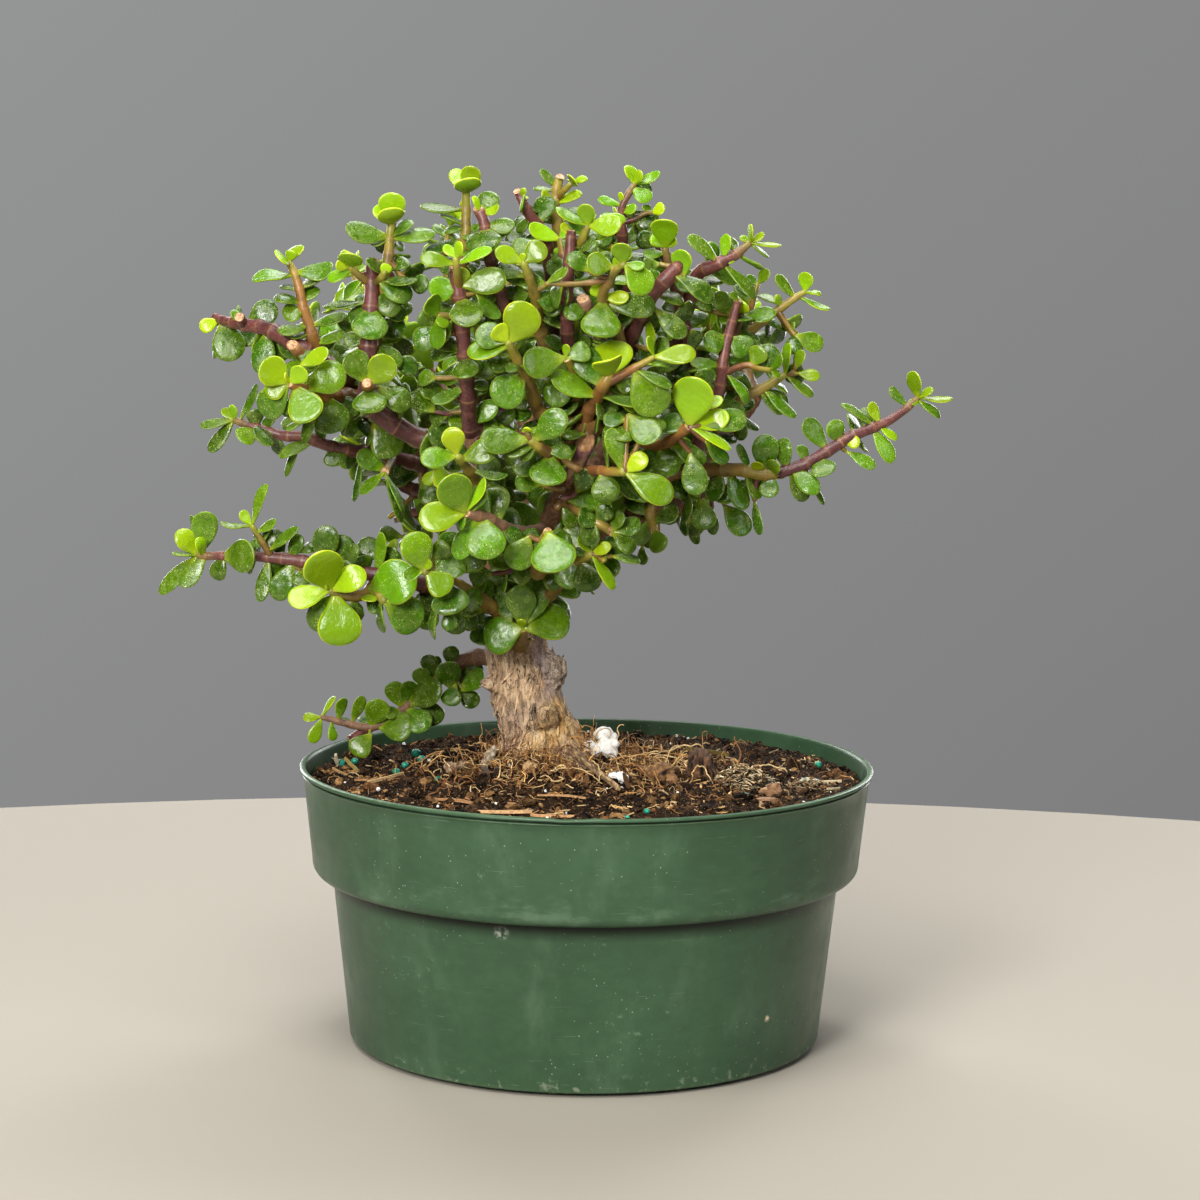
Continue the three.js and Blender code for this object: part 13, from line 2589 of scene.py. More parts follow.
    # drain holes cut through the floor, slightly tapered
    bag = Bag()
    for i in range(8):
        t = (i + 0.5) / 8 * 2 * math.pi
        c = [(66 * math.cos(t), 66 * math.sin(t), z) for z in (-4.0, 0.0, 2.0, 6.0)]
        vv, qq, tt, _ = tube(c, [5.7, 5.6, 5.5, 5.5], 28, dome=0.0)
        bag.add(vv, qq, tt)
    cutter = bag.build("pot_cutter", [])
    cutter.parent = None
    mod = o.modifiers.new("holes", "BOOLEAN")
    mod.operation = "DIFFERENCE"
    mod.solver = "EXACT"
    mod.object = cutter
    bpy.context.view_layer.update()
    dg = bpy.context.evaluated_depsgraph_get()
    cut = bpy.data.meshes.new_from_object(o.evaluated_get(dg))
    o.modifiers.clear()
    if len(cut.vertices) > 1000:
        o.data = cut
        cut.materials.clear()
        cut.materials.append(POT)
    bpy.data.objects.remove(cutter)
    o.name = "pot_shell"
    stands_for(o, "pot")
    return o


# ---------------------------------------------------------------- soil
TX, TY = -19.0, 0.0


def soil_z(x, y):
    x, y = np.asarray(x, float), np.asarray(y, float)
    sx = np.where(x > TX, 44.0, 36.0)
    sy = np.where(y < TY, 40.0, 34.0)
    q = ((x - TX) / sx) ** 2 + ((y - TY) / sy) ** 2
    r = np.hypot(x, y)
    wave = 0.9 * np.sin(x * 0.11 + 1.3) * np.cos(y * 0.13 - 0.4) + 0.5 * np.sin(x * 0.23 - y * 0.19)
    return 92.6 + 11.5 * np.exp(-q) + wave * np.minimum(1, (98 - r) / 20)


def soil_top(x, y):
    """The crumbled surface: the smooth soil height with clods and grains on it."""
    x, y = np.atleast_1d(np.asarray(x, float)), np.atleast_1d(np.asarray(y, float))
    p = np.stack([x, y, np.zeros_like(x)], -1)
    r = np.hypot(x, y)
    fade = np.clip((98.5 - r) / 3, 0.25, 1)
    return soil_z(x, y) + fade * (1.3 * fbm(p / 8.5, 3, 5) + 1.15 * np.abs(fbm(p / 2.9, 3, 11)) - 0.7 + 0.42 * noise3(p / 1.1, 23))


SOIL_COLS = np.array([rgb(62, 44, 29), rgb(42, 29, 20), rgb(88, 63, 40), rgb(146, 110, 70), rgb(20, 14, 10), rgb(102, 69, 42)])


def soil():
    n = 300
    radii = np.concatenate([np.linspace(0, 96.2, 92)[1:], [97.2, 98.1]])
    a = np.arange(n) / n * 2 * math.pi
    X = radii[:, None] * np.cos(a)[None, :]
    Y = radii[:, None] * np.sin(a)[None, :]
    Z = soil_top(X.ravel(), Y.ravel()).reshape(X.shape)
    Z[-1] = soil_z(X[-1], Y[-1]) - 1.0
    v = np.stack([X, Y, Z], -1).reshape(-1, 3)
    # side and underside inside the pot
    ring = lambda r, z: np.stack([r * np.cos(a), r * np.sin(a), np.full(n, z)], -1)
    side = np.vstack([ring(95.2, 68.6), ring(93.2, 65.0), ring(87.9, 61.4), ring(87.6, 58.8), ring(81.4, 4.8), ring(79.0, 2.4)])
    v = np.vstack([v, side, [0, 0, float(soil_top(0, 0)[0])], [0, 0, 2.4]])
    m = len(radii) + 6
    quads = ring_quads(m, n)
    j = np.arange(n)
    k = (j + 1) % n
    i0, i1 = m * n, m * n + 1
    tris = np.vstack([np.stack([np.full(n, i0), j, k], -1), np.stack([np.full(n, i1), (m - 1) * n + k, (m - 1) * n + j], -1)])
    c = noise3(v / 7.0, 3) * 0.5 + 0.5
    c2 = noise3(v / 1.9, 9) * 0.5 + 0.5
    tint = SOIL_COLS[4][None] * (1 - c[:, None]) + SOIL_COLS[0][None] * c[:, None]
    tint = tint * (0.30 + 0.95 * c2[:, None])
    tint[:, 3] = 1
    o = mesh("soil_bed", v, quads, tris, {"tint": tint}, SOIL)
    stands_for(o, "soil")

    rng = np.random.RandomState(41)
    bag = Bag("tint")
    count = 0
    while count < 4100:
        r = 97.0 * math.sqrt(rng.rand())
        t = rng.rand() * 2 * math.pi
        x, y = r * math.cos(t), r * math.sin(t)
        if math.hypot(x + 15, y) < 12:
            continue
        if y > 25 and rng.rand() < 0.35:
            continue
        size = min(2.9, 0.26 + rng.gamma(1.2, 0.36))
        if r + size > 98.0:
            continue
        level = 1 if size > 1.4 else 0
        u, f = ico(level)
        sc = np.array([size * rng.uniform(0.8, 1.6), size * rng.uniform(0.7, 1.1), size * rng.uniform(0.5, 0.95)])
        q = u * sc * (1 + 0.42 * noise3(u * 1.9 + count * 3.1, 7))[:, None]
        an, ti = rng.rand() * 6.28, rng.uniform(-0.6, 0.6)
        ca, sa, ct, st = math.cos(an), math.sin(an), math.cos(ti), math.sin(ti)
        rot = np.array([[ca, -sa, 0], [sa, ca, 0], [0, 0, 1]]) @ np.array([[ct, 0, st], [0, 1, 0], [-st, 0, ct]])
        z = float(soil_top(x, y)[0]) + size * rng.uniform(0.05, 0.6)
        q = q @ rot.T + [x, y, z]
        k = rng.rand()
        c = SOIL_COLS[0] if k < 0.26 else SOIL_COLS[1] if k < 0.46 else SOIL_COLS[2] if k < 0.62 else SOIL_COLS[3] if k < 0.75 else SOIL_COLS[4] if k < 0.90 else SOIL_COLS[5]
        c = c * rng.uniform(0.30, 1.55)
        bag.add(q, tris=f, tint=(c[0], c[1], c[2], 1))
        count += 1
    for i in range(330):
        x, y = rng.normal(24, 15), rng.normal(17, 6)
        g = math.exp(-((x - 24) / 20) ** 2 - ((y - 17) / 9) ** 2)
        size = rng.uniform(0.4, 1.7)
        u, f = ico(0 if size < 1.1 else 1)
        q = u * [size * rng.uniform(0.9, 1.5), size, size * rng.uniform(0.6, 1.0)] * (1 + 0.42 * noise3(u * 1.9 + i * 2.7, 8))[:, None]
        q = q + [x, y, float(soil_top(x, y)[0]) + rng.uniform(0.1, 1.0) * 3.4 * g]
        c = SOIL_COLS[rng.choice([0, 1, 2, 4, 5])] * rng.uniform(0.3, 1.5)
        bag.add(q, tris=f, tint=(c[0], c[1], c[2], 1))
    o = bag.build("soil_crumbs", SOIL, smooth=False)

    # bark bits and flat flakes in the mix
    bag = Bag("tint")
    woods = [rgb(164, 122, 78), rgb(112, 79, 50), rgb(208, 166, 112), rgb(78, 53, 35), rgb(150, 128, 98), rgb(226, 192, 138)]
    for i in range(760):
        r = 95.5 * math.sqrt(rng.rand())
        t = rng.rand() * 2 * math.pi
        x, y = r * math.cos(t), r * math.sin(t)
        if math.hypot(x + 15, y) < 15:
            continue
        L, w, h = rng.gamma(1.7, 1.1) + 0.9, rng.uniform(0.2, 0.95), rng.uniform(0.15, 0.5)
        L = min(L, 11)
        if r + L * 0.5 > 97.5:
            continue
        flake(bag, x, y, float(soil_top(x, y)[0]) + rng.uniform(0.2, 1.1), L, w, h, rng.rand() * 6.28, rng.uniform(-0.5, 0.5), np.array(woods[rng.randint(6)]) * rng.uniform(0.65, 1.2), rng)
    for x, y, L, w, h, an, ti, c, up in [
            (-26.5, -76.4, 18, 1.3, 1.0, 0.05, 0.0, (206, 162, 116), 1.3), (-10.5, -77.2, 15, 1.1, 0.9, 0.0, 0.02, (196, 150, 104), 1.3), (-52, -71, 7.5, 1.0, 0.8, 0.04, 0.0, (198, 150, 104), 1.2),
            (-69.7, -21.5, 24, 1.1, 1.0, 1.10, 0.02, (214, 178, 126), 1.6), (30, 32, 10, 1.2, 0.8, 0.7, 0.2, (120, 84, 56), 1.0),
            (61.5, -46, 8, 4.2, 0.8, 0.5, 0.05, (150, 116, 86), 0.9), (-44, -58, 14, 1.4, 0.8, 2.7, 0.0, (160, 118, 78), 1.0),
            (12, -78, 16, 1.2, 0.7, 0.1, 0.0, (138, 100, 70), 0.9), (-90, 14, 7, 1.6, 1.2, 1.45, 0.9, (206, 192, 164), 2.2),
            (-86, -6, 13, 1.1, 0.8, -0.9, 0.12, (170, 134, 88), 1.6), (-84, 10, 9, 1.4, 0.9, -0.75, 0.5, (148, 132, 74), 2.0),
            (-72, -24, 17, 1.2, 0.6, 0.25, 0.05, (160, 120, 82), 1.2), (-34.5, -33, 7.2, 3.0, 0.7, 1.3, 1.05, (116, 100, 90), 2.6),
            (-31.0, -31, 5.2, 2.2, 0.6, 1.8, 0.8, (96, 82, 78), 2.0), (-8, -54, 17, 1.0, 0.6, 2.9, 0.0, (176, 136, 92), 1.0),
            (44, 36, 17, 1.6, 1.3, 0.25, 0.16, (104, 86, 40), 3.0), (14, -34, 9, 1.6, 0.7, 1.2, 0.9, (128, 96, 70), 2.0),
            (0, -40, 6, 1.8, 0.7, 1.6, 1.0, (150, 110, 76), 1.6), (84, -10, 12, 1.3, 0.8, 0.15, 0.0, (196, 176, 140), 1.0), (86, -24, 8, 1.0, 0.7, 0.9, 0.1, (206, 188, 150), 1.2)]:
        flake(bag, x, y, float(soil_z(x, y)) + up, L, w, h, an, ti, np.array(rgb(*c)), rng)
    o = bag.build("bark_bits", WOODY, smooth=False)


def flake(bag, x, y, z, L, w, h, an, ti, col, rng):
    """A thin, slightly bent chip with torn ends."""
    n = 4 if L > 3 else 3
    xs = np.linspace(-0.5, 0.5, n) * L
    bend = rng.uniform(-0.08, 0.12) * L
    rows = []
    for i, s in enumerate(xs):
        ww = w * (0.55 if i in (0, n - 1) else 1.0) * rng.uniform(0.75, 1.15)
        k = (s / L * 2) ** 2
        off = rng.uniform(-0.12, 0.12) * w
        for dy, dz in ((-0.5, -0.5), (0.5, -0.5), (0.42, 0.5), (-0.42, 0.5)):
            rows.append((s, dy * ww * 2 * 0.5 + off, dz * h + bend * (0.25 - k * 0.25) + rng.uniform(-0.05, 0.05)))
    p = np.array(rows)
    ca, sa, ct, st = math.cos(an), math.sin(an), math.cos(ti), math.sin(ti)
    rot = np.array([[ca, -sa, 0], [sa, ca, 0], [0, 0, 1]]) @ np.array([[ct, 0, st], [0, 1, 0], [-st, 0, ct]])
    p = p @ rot.T + [x, y, z]
    quads = ring_quads(n, 4)
    quads = np.vstack([quads, [[3, 2, 1, 0]], [[(n - 1) * 4, (n - 1) * 4 + 1, (n - 1) * 4 + 2, (n - 1) * 4 + 3]]])
    bag.add(p, quads, tint=(col[0], col[1], col[2], 1))


def curl(bag, x, y, an, L, r, rng, col, wiggle=0.5, lift=0.0, sides=5, step=1.1, arch=0.0, z0=None, taper=0.5):
    """A thin root or fibre that wanders over the soil and dips into it."""
    n = max(5, int(L / step))
    pts = []
    d, k = an, rng.uniform(-0.1, 0.1)
    px, py = x, y
    for i in range(n):
        t = i / (n - 1)
        if math.hypot(px, py) > 96.8:
            break
        z = float(soil_top(px, py)[0]) if z0 is None else z0
        pts.append((px, py, z + lift * math.sin(math.pi * t) + arch * 4 * t * (1 - t) + r * 0.8 + rng.uniform(-0.25, 0.35)))
        k = 0.82 * k + rng.normal(0, wiggle * 0.30)
        d += k
        px += math.cos(d) * L / n
        py += math.sin(d) * L / n
    if len(pts) < 4:
        return
    pts = np.array(pts)
    pts[0, 2] -= r * 1.5 + 0.5
    pts[-1, 2] -= r * 1.5 + 0.6
    m = len(pts)
    rr = r * (1 - taper * np.linspace(0, 1, m)) * rng.uniform(0.85, 1.15, m)
    v, q, t, s = tube(crom(pts, m), rr, sides)
    bag.add(v, q, t, tint=(col[0], col[1], col[2], 1))


ROOT_COLS = [rgb(222, 176, 112), rgb(196, 144, 84), rgb(158, 108, 62), rgb(236, 202, 146), rgb(108, 72, 44), rgb(142, 100, 64)]


def kept_clear(x, y):
    """True in front of and on the things that lie bare on the mix: perlite, twig, knot and wood chunk."""
    a, b = np.array([-5.0, -15.0]), np.array([11.6, -44.6])
    p = np.array([x, y])
    t = np.clip(np.dot(p - a, b - a) / np.dot(b - a, b - a), 0, 1)
    if np.linalg.norm(p - a - t * (b - a)) < 3.0:
        return True
    return math.hypot(x - 26, (y + 25) / 1.3) < 5.2 or math.hypot(x - 40.5, (y + 14) / 1.7) < 6.8 or math.hypot((x - 5.6) / 1.25, (y + 9) / 1.3) < 5.0 or math.hypot(x - 12, y + 30) < 4.0


def tangle(bag, x, y, L, r, rng, col, heap, sides=4, kink=0.55, start=None, heading=None, pitch=0.0):
    """A wiry root that loops through the air within a heap of the given height over the soil."""
    step = 1.12
    n = max(5, int(L / step))
    p = np.array([x, y, float(soil_z(x, y)) + (rng.uniform(-0.3, 0.7) * heap if start is None else start)])
    th = rng.rand() * 6.28 if heading is None else heading
    ph = rng.normal(0, 0.30) + pitch
    wth, wph = rng.normal(0, 0.14), rng.normal(0, 0.08)
    pts = [p.copy()]
    for i in range(n):
        wth = 0.74 * wth + rng.normal(0, 0.22 * kink * 2)
        wph = 0.70 * wph + rng.normal(0, 0.12 * kink * 2)
        th += wth
        ph = ph * 0.88 + wph
        g = float(soil_z(p[0], p[1]))
        if p[2] > g + heap:
            ph -= 0.30
        if p[2] < g - 0.6:
            ph += 0.35
        p = p + step * np.array([math.cos(th) * math.cos(ph), math.sin(th) * math.cos(ph), math.sin(ph)])
        if math.hypot(p[0], p[1]) > 96.6:
            break
        pts.append(p.copy())
    if len(pts) < 5:
        return
    pts = np.array(pts)
    m = len(pts)
    rr = r * (1 - 0.55 * np.linspace(0, 1, m)) * rng.uniform(0.85, 1.2, m)
    v, q, t, s = tube(pts, rr, sides)
    # roots darker the lower they lie in the heap: painted shade
    g = np.clip((v[:, 2] - soil_z(v[:, 0], v[:, 1]) + 0.9) / 2.0, 0.42, 1.0)[:, None]
    c = np.array([col[0], col[1], col[2], 1.0])[None] * g
    c[:, 3] = 1
    bag.add(v, q, t, tint=c)


def roots():
    rng = np.random.RandomState(77)
    bag = Bag("tint")
    # coarse roots that leave the foot of the trunk and dive into the mix
    for i in range(26):
        t = rng.rand() * 2 * math.pi
        x, y = -14 + 13 * math.cos(t), 0 + 12 * math.sin(t)
        c = np.array(ROOT_COLS[rng.randint(6)]) * rng.uniform(0.75, 1.1)
        curl(bag, x, y, t + rng.uniform(-0.5, 0.5), rng.uniform(8, 24), rng.uniform(0.22, 0.46), rng, c, 0.9, rng.uniform(0.4, 1.8), 5, 1.2)
    # fibrous mat on the surface everywhere, thinner towards the wall
    for i in range(300):
        k = rng.rand()
        x, y = (rng.normal(0, 34), rng.normal(-10, 26)) if k < 0.7 else (rng.uniform(-90, 90), rng.uniform(-90, 90))
        if math.hypot(x, y) > 93 or math.hypot(x + 15, y) < 11:
            continue
        c = np.array(ROOT_COLS[rng.randint(6)]) * rng.uniform(0.6, 1.1)
        curl(bag, x, y, rng.rand() * 6.28, rng.uniform(4, 18), rng.uniform(0.12, 0.28), rng, c, 1.2, rng.uniform(0.2, 1.6), 4, 1.0)
    # the raised tangle: round the right foot of the trunk, the right, and in front to the left
    for cx, cy, sx, sy, heap, cnt in [(0, -7, 5.0, 3.0, 8.0, 150), (-3, -4, 3.5, 3.0, 9.5, 70), (13, 5, 8, 5, 6.4, 110), (27, 5, 9, 6, 5.6, 90), (40, 4, 9, 7, 4.6, 50), (18, -9, 9, 4, 4.6, 90), (16, 15, 12, 5, 6.4, 110), (36, 17, 10, 6, 5.6, 70), (-16, -23, 12, 5, 3.6, 90), (2, -10, 9, 6, 5.2, 90), (16, -3, 13, 9, 4.4, 150), (34, 2, 13, 10, 3.8, 100), (-10, -19, 13, 5, 4.2, 230), (-32, -15, 8, 6, 4.6, 160), (-22, -28, 13, 6, 3.2, 170), (6, -22, 10, 6, 3.4, 110), (-14, -14, 10, 3, 5.4, 120),
                                      (14, -24, 14, 8, 2.6, 100), (-16, 14, 18, 8, 3.0, 50), (44, -20, 10, 8, 2.6, 40), (-60, -8, 14, 14, 2.0, 40), (66, 4, 14, 14, 2.2, 40), (-20, -48, 26, 9, 1.6, 60), (30, 26, 18, 10, 3.0, 50)]:
        for i in range(cnt):
            x, y = rng.normal(cx, sx), rng.normal(cy, sy)
            if math.hypot(x, y) > 93 or math.hypot(x + 14, y) < 12.0 or (kept_clear(x, y) and rng.rand() < 0.88):
                continue
            c = np.array(ROOT_COLS[rng.randint(6)]) * (rng.uniform(0.34, 1.30) if cx > 8 else rng.uniform(0.42, 1.55))
            thin = rng.rand() < 0.86
            tangle(bag, x, y, rng.uniform(3, 12) if thin else rng.uniform(6, 16), rng.uniform(0.09, 0.21) if thin else rng.uniform(0.24, 0.40), rng, c, heap * rng.uniform(0.5, 1.05), 3 if thin else 4, rng.uniform(0.6, 1.6))
    # roots that show clearly, each by its place
    for pts, r in [([(20, 4, 4.0), (27, 6, 6.4), (34, 8, 8.2), (39.5, 9, 8.6), (43, 9, 6.6), (44.5, 9, 3.0), (45, 9, 0.0)], 0.42),
                   ([(50, 12, 0.4), (54, 12.5, 2.2), (60, 13, 2.6), (66, 12, 2.2), (72, 10, 0.4)], 0.48),
                   ([(-7, -8, 5.0), (-3.5, -11, 7.0), (0, -12, 5.8), (1.5, -10, 3.4), (-1, -8, 2.6)], 0.40),
                   ([(1, -8, 5.2), (5, -7, 8.6), (7.5, -5, 10.0), (9, -3, 7.0)], 0.26), ([(-4, -6, 7.0), (-1.6, -7, 9.4), (1.6, -6, 9.0), (3, -5, 5.5)], 0.34),
                   ([(39.5, -19.5, 6.8), (37.6, -21, 4.6), (36.6, -22.5, 1.4), (36.0, -23.4, -0.6)], 0.34), ([(39.5, -19.5, 6.8), (42.0, -21, 4.4), (43.6, -22.4, 1.2), (44.8, -23.2, -0.6)], 0.34),
                   ([(14, -20, 3.0), (18, -24, 4.2), (22, -29, 3.0), (27, -32, 0.2)], 0.36), ([(-12, -31, 2.6), (-4, -33, 4.4), (2, -35, 2.8), (6, -38, 0.2)], 0.34), ([(-6, -40, 0.2), (-3, -36, 2.0), (1, -31, 2.8), (4, -29, 1.0)], 0.26),
                   ([(2, -22, 4.0), (4, -28, 5.2), (5, -34, 3.2), (4, -39, 0.2)], 0.32), ([(-58, 22, 1.0), (-50, 21, 2.4), (-42, 18.5, 2.6), (-36, 17, 1.0)], 0.34), ([(-64, -2, 0.8), (-54, 0, 2.4), (-44, -2, 2.6), (-38, -6, 0.6)], 0.34),
                   ([(22, 2, 3.0), (30, -2, 5.2), (38, -6, 4.6), (46, -12, 2.2), (50, -14, 0.2)], 0.36), ([(14, 8, 3.2), (24, 10, 5.4), (36, 10, 4.4), (46, 14, 2.0)], 0.36), ([(8, -14, 3.0), (16, -14, 4.8), (24, -12, 4.6), (31, -14, 1.4)], 0.34)]:
        p = np.array(pts, float)
        p[:, 2] += soil_z(p[:, 0], p[:, 1])
        n = 26
        c3 = crom(p, n)
        wob = np.stack([noise3(c3 / 2.2 + 7 * k, 3) for k in range(3)], -1)
        c3 = c3 + 0.75 * wob + rng.normal(0, 0.08, (n, 3))
        v, q, t, s = tube(c3, 0.72 * r * rng.uniform(0.8, 1.25, n) * (1 - 0.3 * np.linspace(0, 1, n)), 6)
        c = np.array(ROOT_COLS[rng.choice([0, 1, 3])])
        c = c[None] * (0.75 + 0.35 * noise3(v / 3.0, 5)[:, None])
        c[:, 3] = 1
        bag.add(v, q, t, tint=c)
    o = bag.build("root_mat", FIBRE)


def blob(name, parts, mat, seed, rough, lvl=3, smooth=True, pits=0.0, grain=None):
    """One lump made of overlapping roughened balls, fused with a voxel remesh."""
    bag = Bag()
    for x, y, z, rx, ry, rz, turn in parts:
        u, f = ico(lvl)
        c, s = math.cos(turn), math.sin(turn)
        q = u * [rx, ry, rz]
        q = np.stack([q[:, 0] * c - q[:, 1] * s, q[:, 0] * s + q[:, 1] * c, q[:, 2]], -1) + [x, y, z]
        bag.add(q, tris=f)
    o = bag.build(name, mat)
    mod = o.modifiers.new("r", "REMESH")
    mod.mode = "VOXEL"
    mod.voxel_size = 0.00042
    bpy.context.view_layer.update()
    dg = bpy.context.evaluated_depsgraph_get()
    me = bpy.data.meshes.new_from_object(o.evaluated_get(dg))
    o.modifiers.clear()
    o.data = me
    co = np.zeros(len(me.vertices) * 3, np.float32)
    no = np.zeros(len(me.vertices) * 3, np.float32)
    me.vertices.foreach_get("co", co)
    me.vertices.foreach_get("normal", no)
    co, no = co.reshape(-1, 3).astype(float) * 1000, no.reshape(-1, 3).astype(float)
    d = rough * fbm(co / 1.7, 3, seed) - pits * np.clip(noise3(co / 0.9, seed + 3), 0, 1)
    if grain is not None:
        d = d + 0.85 * (0.5 - np.abs(noise3(co * grain, seed + 5))) * 1.4
    co = co + no * d[:, None]
    me.vertices.foreach_set("co", (co * 0.001).astype(np.float32).ravel())
    me.polygons.foreach_set("use_smooth", np.full(len(me.polygons), smooth))
    me.update()
    if not me.materials:
        me.materials.append(mat)
    return o, co


def tint_attr(o, cols):
    me = o.data
    a = me.attributes.new("tint", "FLOAT_COLOR", "POINT")
    a.data.foreach_set("color", np.asarray(cols, np.float32).ravel())


def litter():
    z = lambda x, y, l: float(soil_z(x, y)) + l
    o, _ = blob("perlite_lump_large", [(1.2, -6.0, 104.7, 2.4, 1.9, 2.4, 0.2), (-0.2, -6.2, 105.8, 1.3, 1.2, 1.2, 0.0), (2.6, -6.2, 102.9, 1.9, 1.6, 1.5, 0.0), (4.2, -5.6, 104.0, 2.0, 1.8, 1.8, 0.0), (7.7, -5.6, 104.5, 3.5, 2.5, 3.1, 0.5), (9.6, -5.4, 105.9, 2.1, 1.8, 1.9, 0.0), (9.8, -5.8, 102.6, 1.5, 1.4, 1.9, 0.0), (5.6, -4.4, 101.2, 3.0, 2.0, 2.0, 0.0),
                                       (6.2, -2.8, 105.4, 2.4, 2.2, 2.4, 0.0), (6.1, 0.0, 108.4, 3.4, 2.5, 2.6, 0.1), (9.7, 0.2, 107.5, 1.5, 1.5, 1.6, 0.0), (4.0, 0.2, 107.8, 1.9, 1.7, 1.7, 0.0), (7.6, 0.0, 109.6, 1.4, 1.4, 1.2, 0.0)], PERLITE, 3, 0.30, pits=0.22)
    stands_for(o, "perlite_large")
    o, _ = blob("perlite_lump_small", [(9.4, -28.2, z(11, -28, 0.9), 2.0, 1.7, 1.7, 0.3), (12.0, -27.6, z(13, -28, 1.2), 1.8, 1.5, 1.7, 0.0), (13.6, -28.4, z(12, -29, 0.9), 1.3, 1.2, 1.3, 0.0), (10.8, -29.2, z(12, -29, 0.4), 1.6, 1.2, 1.2, 0.0)], PERLITE, 8, 0.25, pits=0.2)
    stands_for(o, "perlite_small")
    # knotty wood chunk and bark chip
    zc = z(40.5, -10, 0)
    o, co = blob("wood_chunk_knot", [(37.5, -9.4, zc + 3.4, 1.4, 5.4, 6.0, 0.18), (39.6, -9.8, zc + 4.8, 1.4, 6.4, 6.3, 0.2), (41.6, -10.2, zc + 4.3, 1.4, 6.6, 6.4, 0.16), (43.3, -9.6, zc + 2.8, 1.4, 5.6, 5.2, 0.1), (40.0, -5.8, zc + 7.0, 3.6, 3.0, 3.2, 0.2), (38.6, -15.2, zc + 1.8, 1.4, 2.0, 4.2, 0.3), (42.6, -15.8, zc + 1.4, 1.3, 2.0, 3.8, 0.0), (36.0, -8.0, zc + 1.4, 1.3, 3.4, 2.8, 0.2)], WOODY, 15, 0.45, grain=np.array([0.95, 0.6, 0.10]))
    g = np.clip(noise3(co * [1.3, 0.9, 0.14], 5) * 0.9 + 0.42, 0, 1)[:, None]
    c = np.array(rgb(30, 20, 14))[None] * (1 - g) + np.array(rgb(112, 80, 56))[None] * g
    top = np.clip((co[:, 2] - zc - 8.6) / 1.6, 0, 1)[:, None] * 0.7
    c = c * (1 - top) + np.array(rgb(104, 78, 64))[None] * top
    c[:, 3] = 1
    tint_attr(o, c)
    stands_for(o, "wood_chunk")
    o, co = blob("wood_knot_front", [(26, -23.4, z(26, -22, 2.6), 4.3, 3.6, 3.8, 0.4), (21.6, -21.6, z(22, -21, 1.6), 2.4, 1.6, 1.7, 0.5), (18.8, -19.6, z(19, -20, 1.8), 1.7, 1.1, 1.2, 0.6), (29.4, -25.2, z(28, -25, 1.2), 2.2, 1.8, 2.0, 0.0)], WOODY, 21, 0.35, grain=np.array([0.35, 0.35, 0.8]))
    g = noise3(co * 0.8, 9) * 0.5 + 0.5
    c = np.array(rgb(74, 50, 32))[None] * (1 - g[:, None]) + np.array(rgb(168, 126, 84))[None] * g[:, None]
    # a dark hole painted on the knot: painted shade, the mesh is not cut
    hole = np.exp(-(np.linalg.norm((co - [27.2, -26.8, z(26, -22, 3.4)]) * [1, 0.5, 1.25], axis=1) / 1.35) ** 4)[:, None]
    c = c * (1 - hole) + np.array(rgb(14, 10, 8))[None] * hole
    c[:, 3] = 1
    tint_attr(o, c)
    out = np.array([(-4.1, -0.6), (-3.4, 1.1), (-1.2, 1.7), (-0.6, 2.9), (1.6, 3.6), (3.6, 3.0), (4.2, 0.9), (3.4, -1.4), (0.6, -1.9), (-2.6, -1.6)])
    k = 5
    ring = np.vstack([out[a] + (out[(a + 1) % 10] - out[a]) * b / k for a in range(10) for b in range(k)])
    layers = []
    for dep, sc in ((-0.75, 0.0), (-0.75, 0.55), (-0.62, 0.93), (-0.2, 1.0), (0.35, 0.97), (0.62, 0.90), (0.72, 0.5), (0.72, 0.0)):
        q = ring * max(sc, 0.02)
        layers.append(np.stack([q[:, 0], np.full(len(q), dep), q[:, 1]], -1))
    v = np.vstack(layers)
    v = v * (1 + 0.05 * noise3(v * 1.3, 4))[:, None] + np.stack([0 * v[:, 0], 0.28 * noise3(v * [0.9, 0.2, 0.5], 8), 0 * v[:, 0]], -1)
    rz, rx = -0.25, 0.35
    v = v @ np.array([[1, 0, 0], [0, math.cos(rx), math.sin(rx)], [0, -math.sin(rx), math.cos(rx)]])
    v = v @ np.array([[math.cos(rz), math.sin(rz), 0], [-math.sin(rz), math.cos(rz), 0], [0, 0, 1]]) + [63.4, -36.6, z(63, -36, 1.6)]
    m = len(layers)
    v = np.vstack([v, v[:50].mean(0), v[-50:].mean(0)])
    g = np.clip(noise3(v * 0.7, 19) * 0.8 + 0.5, 0, 1)
    c = np.array(rgb(112, 78, 54))[None] * (1 - g[:, None]) + np.array(rgb(186, 144, 106))[None] * g[:, None]
    c[:, 3] = 1
    jj = np.arange(50)
    kk = (jj + 1) % 50
    tr = np.vstack([np.stack([np.full(50, m * 50), kk, jj], -1), np.stack([np.full(50, m * 50 + 1), (m - 1) * 50 + jj, (m - 1) * 50 + kk], -1)])
    o = mesh("bark_chip_right", v, ring_quads(m, 50), tr, {"tint": c}, WOODY)
    stands_for(o, "bark_chip")
